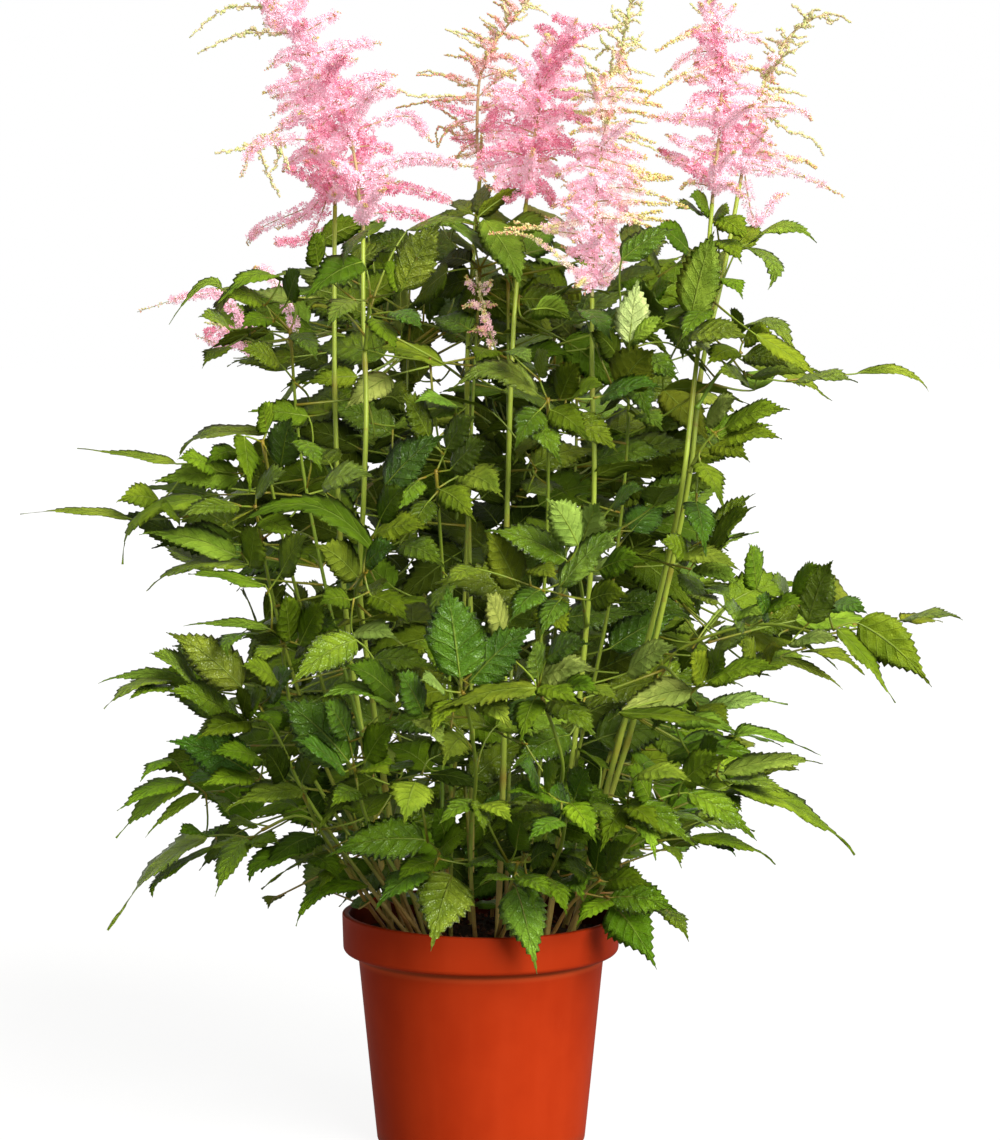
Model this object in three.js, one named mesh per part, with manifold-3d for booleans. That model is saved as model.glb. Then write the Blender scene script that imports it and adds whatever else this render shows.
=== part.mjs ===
// Astilbe (false goat's beard) growing in a round plastic pot.
// Millimetres, +Z up. The origin is the centre of the pot's underside; the viewer's side is -Y.
import * as THREE from 'three';
import { mergeVertices } from 'three/addons/utils/BufferGeometryUtils.js';
import Module from 'manifold-3d';

// ---- driving dimensions ----
const POT_HEIGHT = 157; // floor to rim top
const RIM_RADIUS = 95.9; // outside of the rim, a pot of 19 cm
const RIM_DEPTH = 27.6; // height of the rim band
const BODY_TOP_RADIUS = 84.9; // outside of the wall just under the rim
const BASE_RADIUS = 72.4; // outside of the wall at the floor
const WALL = 2;
const FLOOR = 3;
const DRAIN_HOLES = 6, DRAIN_RADIUS = 4.5, DRAIN_CIRCLE = 56;
const POT_SEGMENTS = 36;
const GAP = 0.4; // clearance between pieces that rest against each other
const SOIL_TOP = 144.6; // level top of the growing medium
const BLADE_THICK = 0.6; // depth of a leaflet's keel under its middle line
const BLADE_FOLD = 0.08; // how far a leaflet's edges stand over its middle line, per half width
const STALKLET_R = 0.75; // radius of a leaflet's stalklet
const WIDEST = 0.4; // where a blade is widest, from base to tip
const SHORT_STALKLET = 8; // under this length the blade runs straight into the stalk

const wasm = await Module();
wasm.setup();

const V = (p) => new THREE.Vector3(p[0], p[1], p[2]);

// Position-only indexed geometry, ready for joining.
function weld(geometry) {
  geometry.deleteAttribute('normal');
  geometry.deleteAttribute('uv');
  return mergeVertices(geometry, 1e-4);
}

function toSolid(geometry) {
  const g = weld(geometry);
  return new wasm.Manifold(new wasm.Mesh({ numProp: 3, vertProperties: new Float32Array(g.attributes.position.array), triVerts: new Uint32Array(g.index.array) }));
}

// A tapered stalk: a closed cylinder whose axis is bent along the points.
function stalk(points, r0, r1, sides, steps) {
  const curve = points.length > 2 ? new THREE.CatmullRomCurve3(points.map(V)) : new THREE.LineCurve3(V(points[0]), V(points[1]));
  const n = steps || points.length - 1;
  const at = [];
  let up = null;
  for (let i = 0; i <= n; i++) {
    const c = points.length - 1 === n ? V(points[i]) : curve.getPoint(i / n);
    const d = (points.length - 1 === n ? V(points[Math.min(i + 1, n)]).sub(V(points[Math.max(i - 1, 0)])) : curve.getTangent(i / n)).normalize();
    if (!up) up = Math.abs(d.z) < 0.9 ? new THREE.Vector3(0, 0, 1) : new THREE.Vector3(0, 1, 0);
    const side = up.clone().addScaledVector(d, -up.dot(d)).normalize();
    up = side;
    at.push({ c, side, other: new THREE.Vector3().crossVectors(d, side) });
  }
  const g = new THREE.CylinderGeometry(1, 1, 1, sides, n, false);
  const p = g.attributes.position, v = new THREE.Vector3();
  for (let i = 0; i < p.count; i++) {
    v.fromBufferAttribute(p, i);
    const k = Math.round((v.y + 0.5) * n), f = at[k], r = r0 + (r1 - r0) * (k / n);
    p.setXYZ(i, ...f.c.clone().addScaledVector(f.other, v.x * r).addScaledVector(f.side, v.z * r).toArray());
  }
  return g;
}

// The middle line of a leaflet: base, a point half way, tip.
function midline(base, mid, tip, t) {
  const u = 1 - t;
  return [0, 1, 2].map((k) => {
    const ctrl = 2 * mid[k] - 0.5 * (base[k] + tip[k]);
    return u * u * base[k] + 2 * u * t * ctrl + t * t * tip[k];
  });
}

// A leaflet on its stalklet: a three-sided cone drawn out along the stalklet and the blade's middle line.
// Its rings are the stalklet's foot, the blade's foot and the blade's widest place, and its apex is the leaf tip.
function leaflet(foot, base, mid, tip, normal, width) {
  const short = Math.hypot(foot[0] - base[0], foot[1] - base[1], foot[2] - base[2]) < SHORT_STALKLET;
  const line = (short ? [foot, midline(base, mid, tip, WIDEST), tip] : [foot, base, midline(base, mid, tip, WIDEST), tip]).map(V);
  const last = line.length - 1;
  const g = new THREE.ConeGeometry(1, 1, 3, last);
  const p = g.attributes.position, v = new THREE.Vector3(), N = V(normal);
  const frames = line.map((c, k) => {
    const d = line[Math.min(k + 1, last)].clone().sub(line[Math.max(k - 1, 0)]).normalize();
    const s = new THREE.Vector3().crossVectors(N, d).normalize();
    return { c, s, n: new THREE.Vector3().crossVectors(d, s) };
  });
  for (let i = 0; i < p.count; i++) {
    v.fromBufferAttribute(p, i);
    const k = Math.round((v.y + 0.5) * last), f = frames[k];
    const ring = Math.hypot(v.x, v.z), u = ring > 1e-6 ? v.x / ring : 0, w = ring > 1e-6 ? v.z / ring : 0;
    let q = f.c.clone();
    if (k < last - 1) q.addScaledVector(f.s, u * STALKLET_R * (k ? 1 : 0.35)).addScaledVector(f.n, -w * STALKLET_R * (k ? 1 : 0.35));
    else if (k === last - 1) q.addScaledVector(f.s, Math.sign(Math.round(u * 10)) * 0.5 * width).addScaledVector(f.n, w > 0 ? -BLADE_THICK : BLADE_FOLD * 0.5 * width);
    p.setXYZ(i, q.x, q.y, q.z);
  }
  return g;
}

// A flower branch: a three-sided spindle from the axis out to its tip.
function spindle(points, r) {
  const g = new THREE.ConeGeometry(1, 1, 3, points.length - 1);
  const p = g.attributes.position, v = new THREE.Vector3(), n = points.length - 1;
  const line = points.map(V);
  const frames = line.map((c, k) => {
    const d = line[Math.min(k + 1, n)].clone().sub(line[Math.max(k - 1, 0)]).normalize();
    const s = new THREE.Vector3().crossVectors(Math.abs(d.z) < 0.9 ? new THREE.Vector3(0, 0, 1) : new THREE.Vector3(0, 1, 0), d).normalize();
    return { c, s, n: new THREE.Vector3().crossVectors(d, s) };
  });
  for (let i = 0; i < p.count; i++) {
    v.fromBufferAttribute(p, i);
    const k = Math.round((v.y + 0.5) * n), f = frames[k];
    const ring = Math.hypot(v.x, v.z), u = ring > 1e-6 ? v.x / ring : 0, w = ring > 1e-6 ? v.z / ring : 0;
    const rr = k === 0 ? 0.3 : k === n ? 0 : r * (1 - 0.3 * (k - 1));
    const q = f.c.clone().addScaledVector(f.s, u * rr).addScaledVector(f.n, -w * rr);
    p.setXYZ(i, q.x, q.y, q.z);
  }
  return g;
}


// Several solids grown together: one closed body, back as a three.js geometry.
function join(geometries) {
  let whole = toSolid(geometries[0]);
  for (const g of geometries.slice(1)) whole = whole.add(toSolid(g));
  return fromSolid(whole);
}

function fromSolid(solid) {
  const m = solid.getMesh(), g = new THREE.BufferGeometry();
  const xyz = new Float32Array(m.numVert * 3);
  for (let i = 0; i < m.numVert; i++) for (let k = 0; k < 3; k++) xyz[i * 3 + k] = m.vertProperties[i * m.numProp + k];
  g.setAttribute('position', new THREE.BufferAttribute(xyz, 3));
  g.setIndex(new THREE.BufferAttribute(new Uint32Array(m.triVerts), 1));
  g.computeVertexNormals();
  return g;
}

const plant = new THREE.Group();
plant.name = 'astilbe_in_pot';

function addMesh(parent, name, geometry, color, roughness, metalness = 0) {
  const mesh = new THREE.Mesh(geometry, new THREE.MeshStandardMaterial({ color, roughness, metalness }));
  mesh.name = name;
  parent.add(mesh);
  return mesh;
}

// ---- pot: one injection moulding with a rolled band for a rim and drain holes in the floor ----
const rimFoot = POT_HEIGHT - RIM_DEPTH;
const potProfile = [
  [0, 0], [BASE_RADIUS - 2.4, 0], [BASE_RADIUS, 3], [BODY_TOP_RADIUS, rimFoot - 1.4], [RIM_RADIUS - 4.4, rimFoot], [RIM_RADIUS - 0.7, rimFoot + 4.6],
  [RIM_RADIUS, POT_HEIGHT - 2], [RIM_RADIUS - 1.3, POT_HEIGHT], [RIM_RADIUS - 3.5, POT_HEIGHT], [RIM_RADIUS - 4.9, POT_HEIGHT - 2], [RIM_RADIUS - 5.7, rimFoot + 6.6],
  [BODY_TOP_RADIUS - WALL, rimFoot - 1.4], [BASE_RADIUS - WALL + 0.2, FLOOR + 2.4], [BASE_RADIUS - WALL - 1.8, FLOOR], [0, FLOOR],
].map(([r, z]) => new THREE.Vector2(r, z));
let pot = toSolid(new THREE.LatheGeometry(potProfile, POT_SEGMENTS).rotateX(Math.PI / 2));
for (let i = 0; i < DRAIN_HOLES; i++) {
  const a = ((i + 0.5) / DRAIN_HOLES) * 2 * Math.PI;
  const drill = new THREE.CylinderGeometry(DRAIN_RADIUS, DRAIN_RADIUS, FLOOR * 4, 10).rotateX(Math.PI / 2);
  drill.translate(DRAIN_CIRCLE * Math.cos(a), DRAIN_CIRCLE * Math.sin(a), 0);
  pot = pot.subtract(toSolid(drill));
}
addMesh(plant, 'pot', fromSolid(pot), 0xb4401f, 0.38);

// ---- soil: it fills the pot to a little under the rim ----
const soilProfile = [
  [0, FLOOR + GAP], [BASE_RADIUS - WALL - 2.9, FLOOR + GAP], [BASE_RADIUS - WALL - 0.3, FLOOR + 2.8], [BODY_TOP_RADIUS - WALL - 0.5, rimFoot - 1.2], [RIM_RADIUS - 6.3, rimFoot + 7],
  [RIM_RADIUS - 6.1, SOIL_TOP - 4.2], [RIM_RADIUS - 9.9, SOIL_TOP - 2], [RIM_RADIUS - 23.9, SOIL_TOP], [0, SOIL_TOP],
].map(([r, z]) => new THREE.Vector2(r, z));
addMesh(plant, 'soil', new THREE.LatheGeometry(soilProfile, 30).rotateX(Math.PI / 2), 0x2a1a12, 0.95);

// ---- flower stems: [name, points from the soil to the plume, radius at the foot, radius at the top] ----
const flowerStems = [
  ['flower_stem_1', [[-48.9, -20.2, 145.39], [-58.4, -27.2, 206.5], [-67.5, -33.8, 268.1], [-75.6, -39.4, 329.9], [-81.3, -53, 390.5], [-77.9, -67.5, 451.3], [-76.3, -60.9, 512.6], [-78.8, -38, 570.6], [-79.6, -15, 628.7]], 2.3, 1.5],
  ['flower_stem_2', [[-62.3, 7.6, 145.3], [-71.3, 5.2, 208], [-80.2, 3, 271], [-89.3, 1.2, 334.1], [-94.9, -3.2, 397.3], [-98, -7.6, 460.8], [-99.8, -1.4, 523.7], [-100.4, 10.5, 586.2], [-100.4, 28, 646.5]], 2.3, 1.5],
  ['flower_stem_3', [[11.5, -17.6, 145.06], [13.8, -19, 208.7], [15.7, -20.5, 272.5], [16.4, -22.3, 336.2], [17, -24.4, 400], [18.7, -26.7, 463.7], [20.7, -27.9, 527.2], [24.1, -8.1, 587.6], [31, 12, 647.7]], 2.3, 1.5],
  ['flower_stem_4', [[-7.4, 38.4, 145.01], [-6.8, 37, 211.2], [-6.3, 35.6, 277.5], [-6.9, 34.2, 343.8], [-8.4, 32.7, 410.1], [-9.4, 31, 476.3], [-9.3, 26.7, 542.4], [-5.7, 39.3, 606.4], [-0.7, 62, 668.1]], 2.3, 1.5],
  ['flower_stem_5', [[44.8, -28.5, 145.31], [52.7, -31.2, 199.8], [60.5, -34.1, 254.7], [66.8, -36.9, 309.7], [71.9, -40.3, 364.8], [75.3, -49.4, 419.4], [76.5, -53, 474.5], [75, -48, 529.8], [75, -42, 584.6]], 2.3, 1.5],
  ['flower_stem_6', [[62.5, -12.3, 145.53], [77.1, -19.6, 209.2], [92.1, -27.1, 273.3], [109.3, -35.1, 336.7], [124.5, -45.4, 400.4], [134.9, -69.2, 461.1], [142.4, -56.6, 521.8], [150.6, -37.1, 584.2], [156.4, -22, 647.6]], 2.3, 1.5],
  ['flower_stem_7', [[58.6, 21.6, 145.71], [80, 15.9, 208.9], [100.4, 10.5, 273.2], [117.7, 5.5, 338.4], [131.8, -1.5, 404.2], [143.1, -16.4, 469.1], [150.5, -6.6, 534.4], [165.6, 7.1, 598.7], [178.3, 28, 661.5]], 2.3, 1.5],
];
const stems = new THREE.Group();
plant.add(stems);
for (const [name, points, r0, r1] of flowerStems) addMesh(stems, name, weld(stalk(points, r0, r1, 5)), 0x9aae3f, 0.5);

// ---- plumes: [name, colour, axis points, axis radii, branches of [radius, points from the axis to the tip]] ----
const flowerPlumes = [
  ['plume_1', 0xe98aac, [[-79.606, -14.816, 629.165], [-79.677, -12.792, 634.278], [-82.3, -17.5, 653], [-83.6, -18.4, 669.8], [-91.5, -19, 707.5], [-105, -19.2, 729.6], [-119.7, -19, 753], [-128.4, -18.4, 774.4], [-143.1, -17.5, 784.4], [-153.9, -16.3, 792.5], [-161.9, -15, 795.8]], [1.4, 0.7], [
    [2.6, [[-135.7, -17.9, 779.4], [-171.3, -17.9, 778.3], [-195.6, -17.9, 759.6]]],
    [2.6, [[-123.3, -18.7, 761.9], [-160.2, -18.7, 761.5], [-190.3, -18.7, 748.9]]],
    [4.2, [[-122.6, -18.8, 760.1], [-106.9, -12.9, 769.9], [-95.7, -5.3, 777]]],
    [4.2, [[-116, -19, 747.2], [-89.3, -15.3, 753.7], [-66.5, -10.4, 755.9]]],
    [4.2, [[-109.9, -19.1, 737.4], [-94.7, -16.1, 742.9], [-82.7, -12.2, 744.5]]],
    [4.2, [[-99.4, -19.1, 720.4], [-76, -13, 732.4], [-57.3, -5, 734.7]]],
    [4.2, [[-92.6, -19, 709.3], [-70.3, -23.2, 721.3], [-52.6, -28.6, 723.1]]],
    [4.2, [[-88.9, -18.8, 694.9], [-50.7, -14.3, 706.8], [-32.2, -8.6, 688.8]]],
    [4.2, [[-83.3, -18.2, 665.6], [-46.4, -26.5, 678], [-1.6, -37.3, 671.5]]],
    [4.2, [[-82.3, -17.5, 653], [-51.6, -7.7, 658.5], [-19.6, 5, 649.1]]],
    [4.2, [[-80.6, -14.4, 640.5], [-53.7, -9, 642.2], [-33.1, -2.1, 635.5]]],
    [4.2, [[-82.6, -17.7, 657.2], [-68, -14.5, 661.1], [-53.2, -10.3, 662.5]]],
    [4.2, [[-116, -19, 747.2], [-131.2, -14.5, 747.7], [-145.1, -8.7, 737.9]]],
    [4.2, [[-107.4, -19.2, 733.5], [-131.3, -14.1, 728.3], [-148, -7.6, 721.8]]],
    [4.2, [[-100.5, -19.1, 722.2], [-122.1, -11.5, 719], [-143, -1.5, 707.2]]],
    [4.2, [[-94.9, -19, 713], [-118.5, -15.7, 710.8], [-141.1, -11.5, 695.5]]],
    [4.2, [[-87.5, -18.7, 688.7], [-109.7, -18.7, 690.6], [-150.2, -18.7, 688.6], [-161.8, -18.7, 665.1]]],
    [2.6, [[-141.1, -11.5, 695.5], [-161.4, -23, 685.1], [-177.8, -38, 681.5]]],
    [2.6, [[-141.1, -11.5, 695.5], [-136.9, -15.3, 678.6], [-143.5, -20.2, 666.4]]],
    [2.6, [[-150.2, -18.7, 688.6], [-144, -11.6, 667.2], [-136.5, -2.3, 653.1]]],
    [4.2, [[-84.9, -18.5, 676.1], [-99.1, -14.1, 673.2], [-108.9, -8.4, 662.5]]],
    [4.2, [[-139.4, -17.7, 781.9], [-143, -17.7, 774.9], [-137.7, -17.7, 766.9]]],
    [4.2, [[-123.3, -18.7, 761.9], [-133.8, -15, 765.7], [-147.6, -10.2, 768.7]]],
    [4.2, [[-102.7, -19.2, 725.9], [-83.7, -25.2, 723.9], [-74, -33, 716.9]]],
    [4.2, [[-86.9, -18.6, 685.5], [-73.3, -16.4, 686.6], [-59.9, -13.5, 684]]],
    [4.2, [[-80, -13.4, 636.6], [-71.4, -44.9, 650.9], [-62.7, -76.5, 658.1]]],
    [4.2, [[-84.2, -18.4, 672.6], [-78.6, 3.5, 685.2], [-73.1, 25.5, 691.4]]],
    [4.2, [[-105.4, -19.2, 730.2], [-97.6, -41.5, 739.8], [-89.9, -63.7, 744.6]]],
    [4.2, [[-128.2, -18.4, 773.9], [-123.1, -4.9, 781.8], [-117.9, 8.6, 785.8]]],
  ]],
  ['plume_2', 0xe47fa4, [[-100.4, 28.139, 646.98], [-100.4, 29.672, 652.262], [-101, 27.3, 658.8], [-101.7, 35.7, 674.5], [-105, 25.9, 691.6], [-110.4, 35.2, 710.7], [-115.9, 30.6, 724.4], [-120, 22.9, 733.9]], [1.4, 0.7], [
    [4.2, [[-101.5, 33, 669.5], [-103.8, 43.3, 653.4], [-152.5, 56.5, 632], [-164, 71.2, 619.5]]],
    [4.2, [[-101.4, 31.6, 666.8], [-118.2, 39.9, 643.1], [-142.4, 50.6, 630.7]]],
    [4.2, [[-101.3, 31.1, 665.9], [-116.7, 22.4, 626.9], [-141.5, 11.1, 621.2]]],
    [4.2, [[-103.7, 29.7, 685], [-124.8, 36.9, 680.8], [-137.8, 46.4, 670]]],
    [4.2, [[-109.2, 33.2, 706.6], [-127.6, 39.9, 705.6], [-141.9, 48.5, 697.6]]],
    [4.2, [[-114.7, 31.6, 721.3], [-130, 35.9, 724.6], [-145.5, 41.3, 720.7]]],
    [4.2, [[-101.6, 34, 671.4], [-88.7, 30.5, 660.2], [-79, 26, 646.4]]],
    [4.2, [[-104.3, 27.9, 688], [-90.1, 32.3, 697.2], [-79.2, 37.9, 700.1]]],
    [4.2, [[-112.4, 33.5, 715.7], [-98.3, 35.2, 721.9], [-90.2, 37.5, 720.6]]],
    [4.2, [[-100.4, 29.3, 651.1], [-116.8, 7.9, 665.7], [-133.1, -13.5, 673]]],
    [4.2, [[-101.1, 28.6, 661.2], [-88, 53.2, 676.7], [-74.9, 77.8, 684.4]]],
    [4.2, [[-103.4, 30.6, 683.3], [-94.3, 17.2, 689.7], [-85.3, 3.7, 692.9]]],
    [4.2, [[-109.8, 34.1, 708.5], [-119.5, 44.4, 714.2], [-129.2, 54.6, 717]]],
  ]],
  ['plume_3', 0xe888aa, [[31.054, 12.158, 648.171], [31.649, 13.892, 653.357], [34.4, 8.6, 668.8], [36.4, 8.1, 691.9], [39.8, 7.7, 708.9], [41.2, 7.6, 730.5], [48, 7.7, 742], [54.8, 8.1, 754.2], [62.9, 8.6, 762.3], [74.5, 9.3, 766.3], [92.2, 10, 767]], [1.4, 0.7], [
    [4.2, [[40.9, 7.6, 725.1], [29.6, 11.3, 740], [17.3, 16.2, 750.4]]],
    [4.2, [[40.3, 7.7, 716.1], [24.1, 12.3, 721.1], [10.5, 18.4, 724]]],
    [4.2, [[38.9, 7.8, 704.7], [26.9, 13.1, 714.4], [13.2, 19.9, 715.9]]],
    [4.2, [[36.7, 8.1, 693.3], [18.7, 16, 697.5], [-0.5, 26.3, 696.4]]],
    [4.2, [[35.7, 8.3, 684.2], [16.6, 8.3, 685.8], [-1.8, 8.3, 673.5], [6.4, 8.3, 657.2]]],
    [4.2, [[38.7, 7.8, 703.2], [56.9, 12.6, 708.9], [76.2, 18.9, 705]]],
    [4.2, [[35.9, 8.2, 686.1], [51.4, 5.4, 689.1], [67.6, 1.7, 686.3]]],
    [4.2, [[41.1, 7.6, 728.7], [55.5, 13.9, 734.7], [72.1, 22, 733.7]]],
    [4.2, [[34.6, 8.6, 670.7], [16.6, 13.9, 660.7], [20.1, 20.9, 647.8]]],
    [4.2, [[33.5, 10.4, 663.7], [44, 13.6, 657.3], [51.6, 17.8, 646.4]]],
    [2.6, [[58.2, 8.3, 757.6], [67.7, 10.9, 754.9], [80.1, 14.4, 753]]],
    [4.2, [[35.2, 8.4, 678.4], [48.8, 12.4, 672.2], [58.4, 17.5, 662.8]]],
    [4.2, [[46.3, 7.7, 739.1], [40.5, 12.4, 750.9], [46, 18.5, 759.3]]],
    [4.2, [[50.8, 7.9, 747.1], [63.7, 11.7, 745.5], [70.6, 16.7, 741.6]]],
    [4.2, [[34.9, 8.5, 674.6], [18.7, 3.4, 672.1], [9.1, -3.2, 665.3]]],
    [4.2, [[40.5, 7.7, 719.7], [51.4, 9.8, 723.7], [61, 12.7, 719.8]]],
    [4.2, [[32, 13.2, 655.3], [33.6, -14.7, 674.4], [35.3, -42.7, 684]]],
    [4.2, [[36.7, 8.1, 693.2], [52.8, 31.1, 709.5], [68.9, 54.1, 717.7]]],
    [4.2, [[41.4, 7.6, 730.8], [51.4, -13.3, 742.4], [61.5, -34.1, 748.1]]],
    [4.2, [[54.6, 8.1, 753.9], [46.6, 24.1, 764.3], [38.6, 40.1, 769.5]]],
  ]],
  ['plume_4', 0xb08a5c, [[-0.662, 62.172, 668.568], [-0.245, 64.066, 673.715], [-2.8, 65.6, 690.3], [-1.4, 66.2, 732.5], [4.9, 66.5, 747.7], [10.4, 66.5, 760.8], [20.1, 66.2, 773.9], [28.5, 65.6, 782.2], [36.1, 64.9, 793.2], [39.6, 64, 798.7]], [1.4, 0.7], [
    [2.6, [[14.3, 66.4, 766], [7.6, 66.4, 771.3], [-0.7, 66.4, 776.8]]],
    [2.6, [[7.2, 66.5, 753.3], [-9.1, 66.5, 761.6], [-24.4, 66.5, 769.2]]],
    [2.6, [[3.8, 66.4, 745], [-10.5, 70.9, 749.4], [-25.9, 76.7, 751.7]]],
    [2.6, [[-1.5, 66.2, 729.3], [-22.3, 66.2, 736.7], [-44.6, 66.2, 737.4]]],
    [2.6, [[15, 66.4, 767], [24.3, 66.4, 763], [32.7, 66.4, 757.5]]],
    [2.6, [[5.6, 66.5, 749.3], [18.8, 69.6, 749.3], [32.7, 73.7, 746]]],
    [2.6, [[-1.8, 66, 719.8], [-32.7, 80.3, 719.9], [-60.2, 98.7, 715.6]]],
    [2.6, [[-2.2, 65.8, 707.2], [-22, 65.8, 700.8], [-30.7, 65.8, 686.9]]],
    [2.6, [[-0.5, 66.2, 734.8], [13.2, 70.9, 739.7], [24.4, 76.9, 737.2]]],
    [2.6, [[-2, 65.9, 713.5], [11.8, 65.9, 716], [23, 65.9, 711.8]]],
    [2.6, [[-2.8, 65.6, 691.4], [-13.3, 65.6, 685.5], [-20.3, 65.6, 674.4]]],
    [2.6, [[21.4, 66.1, 775.1], [16, 69.6, 783.9], [17.4, 74.2, 792.4]]],
    [2.6, [[29.5, 65.5, 783.6], [38.2, 66.8, 783.7], [46.6, 68.5, 779.7]]],
    [2.6, [[-0.3, 64.1, 673.9], [0.1, 38.4, 687.6], [0.4, 12.8, 694.5]]],
    [2.6, [[-1.7, 66.1, 722.7], [15.5, 85.8, 738.2], [32.7, 105.5, 746]]],
    [2.6, [[7.8, 66.5, 754.5], [-2.1, 48.9, 763.4], [-12, 31.3, 767.8]]],
    [2.6, [[22.4, 66, 776.2], [15.6, 78.3, 784.8], [8.7, 90.6, 789.1]]],
  ]],
  ['plume_5', 0xe9b3bd, [[75, -41.946, 585.097], [75, -41.347, 590.564], [75.6, -43.2, 608.7], [76.2, -43.7, 634.1], [80.1, -44.1, 674.8], [82.8, -44.3, 696.1], [80, -44.4, 718], [81.3, -44.3, 728.6], [90.7, -44.1, 735.9], [94.6, -43.7, 750.5], [97.3, -43.2, 767], [100.6, -42.6, 782.9], [102.5, -42, 793.4]], [1.4, 0.7], [
    [4.2, [[80.8, -44.3, 724.4], [98.4, -50.9, 724.3], [115.4, -59.3, 720.1]]],
    [4.2, [[88.8, -44.1, 734.4], [101.4, -40, 736.6], [116.4, -34.7, 732.9]]],
    [4.2, [[81.1, -44.4, 709.2], [95.9, -47.9, 709.8], [110.4, -52.5, 707.1]]],
    [4.2, [[82.3, -44.3, 691.8], [100.3, -37.8, 690.2], [119.5, -29.4, 683]]],
    [4.2, [[81.2, -44.2, 683.3], [96.3, -38.6, 680.8], [112, -31.4, 677.6]]],
    [4.2, [[79.7, -44.1, 670.7], [104.6, -33.7, 668.9], [129.4, -20.2, 665.1]]],
    [4.2, [[78.5, -43.9, 658.5], [106.6, -51.4, 656.7], [138.2, -61.1, 644.7]]],
    [4.2, [[76.2, -43.7, 634.1], [103.2, -38, 638.1], [130.4, -30.6, 635.5]]],
    [4.2, [[75.4, -42.5, 601.4], [87, -42.5, 599.4], [107.1, -42.5, 623.4], [125.8, -42.5, 634.1]]],
    [4.2, [[75.3, -42.3, 599.6], [64.2, -42.3, 602], [34.7, -42.3, 625.4], [5.2, -42.3, 628.1]]],
    [4.2, [[76, -43.6, 626.5], [49.5, -37.5, 629.4], [22.6, -29.8, 635.5]]],
    [4.2, [[77.4, -43.8, 646.3], [63.5, -41.2, 650.8], [45.4, -37.9, 644.8]]],
    [4.2, [[79.7, -44.1, 670.7], [65.5, -40, 672.8], [50.1, -34.7, 666.2]]],
    [4.2, [[82.5, -44.3, 694], [70.8, -40.7, 698.1], [60.1, -36.2, 694.2]]],
    [4.2, [[80.3, -44.4, 715.8], [69.3, -42.8, 719.3], [61.3, -40.7, 716.7]]],
    [2.6, [[84.1, -44.2, 730.8], [73.3, -44.2, 739.1], [67.9, -44.2, 745.7]]],
    [2.6, [[93.4, -43.8, 746.1], [83.9, -43.8, 752.4], [79.9, -43.8, 759]]],
    [2.6, [[94.6, -43.7, 750.5], [104, -40.7, 755.2], [108.2, -36.7, 762]]],
    [2.6, [[97, -43.2, 765.4], [89.3, -39.7, 772.4], [88.1, -35.2, 779.3]]],
    [2.6, [[98, -43.1, 770.2], [106.6, -41.4, 775], [108, -39.1, 781.7]]],
    [4.2, [[75.8, -43.4, 618.9], [88.4, -39.4, 619.4], [99.3, -34.3, 615.4]]],
    [4.2, [[75.7, -43.2, 611.2], [65.6, -38.7, 614], [54.9, -32.7, 619.4]]],
    [4.2, [[78.5, -43.9, 658.5], [89.8, -34.8, 650.2], [101, -23, 639.5]]],
    [4.2, [[78.9, -44, 662.6], [66.8, -40.9, 659.5], [54.8, -36.8, 659.5]]],
    [4.2, [[76.1, -43.7, 631.6], [84.3, -40.3, 627.4], [91.2, -35.9, 620.7]]],
    [4.2, [[75.5, -42.8, 605.1], [73.5, -47.5, 595.4], [69.4, -53.6, 587.5]]],
    [4.2, [[75.2, -42, 596.9], [89.4, -56.5, 611.3], [103.7, -71, 618.4]]],
    [4.2, [[78.9, -44, 662.2], [78, -17.2, 680.8], [77.1, 9.6, 690]]],
    [4.2, [[80, -44.4, 718.3], [76.4, -67.3, 727.6], [72.8, -90.2, 732.3]]],
    [2.6, [[92.1, -44, 741.3], [99.9, -34.2, 749], [107.7, -24.4, 752.8]]],
  ]],
  ['plume_6', 0xe893b2, [[156.444, -21.885, 648.084], [156.932, -20.615, 653.414], [157.6, -24.3, 662.3], [160.2, -25.1, 688.5], [161.5, -25.5, 707.9], [162.6, -25.5, 736.7], [161.2, -25.1, 756.7], [154.4, -24.3, 770.7], [153, -23.2, 784], [151.6, -22, 793.4]], [1.4, 0.7], [
    [4.2, [[157.6, -24.7, 764.1], [138.5, -31.1, 760.3], [117.5, -39.3, 749.3]]],
    [4.2, [[161.6, -25.2, 750.7], [141.8, -20, 747.5], [124, -13.3, 733.7]]],
    [4.2, [[162.3, -25.4, 741.7], [136.3, -30.3, 734], [110.3, -36.7, 717.5]]],
    [4.2, [[162.3, -25.5, 728.8], [150.5, -22.8, 730.6], [137.2, -19.3, 729.4]]],
    [4.2, [[161.9, -25.5, 718], [144.4, -32.2, 716.3], [133.6, -40.8, 701.4]]],
    [4.2, [[161.2, -25.4, 703.1], [141.7, -19, 706], [110, -10.6, 706.9]]],
    [4.2, [[159.2, -24.8, 678.7], [142.9, -17.5, 686.6], [125.7, -8, 694.9]]],
    [4.2, [[158.1, -24.4, 666.9], [141.2, -19.1, 672.8], [118.8, -12.1, 680.6]]],
    [4.2, [[160, -25, 686.5], [153.4, -22.5, 690.5], [145.5, -19.1, 691.3]]],
    [4.2, [[160.7, -25, 757.8], [179.3, -22.3, 759.4], [193.7, -18.8, 754.2]]],
    [2.6, [[158.1, -24.7, 763], [174.8, -18.5, 761.6], [190.2, -10.3, 763.3]]],
    [4.2, [[162.3, -25.4, 741.7], [173.3, -23, 744], [182.9, -19.8, 744.8]]],
    [2.6, [[162.4, -25.5, 730.9], [168, -22.5, 732], [176.4, -18.6, 724.1]]],
    [4.2, [[162.1, -25.5, 722.3], [177.4, -24.1, 725.3], [193.7, -22.4, 722.6]]],
    [4.2, [[161.6, -25.5, 711.5], [176.4, -18.9, 713.4], [216.3, -10.4, 711], [225.2, -0.9, 703.8]]],
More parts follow.
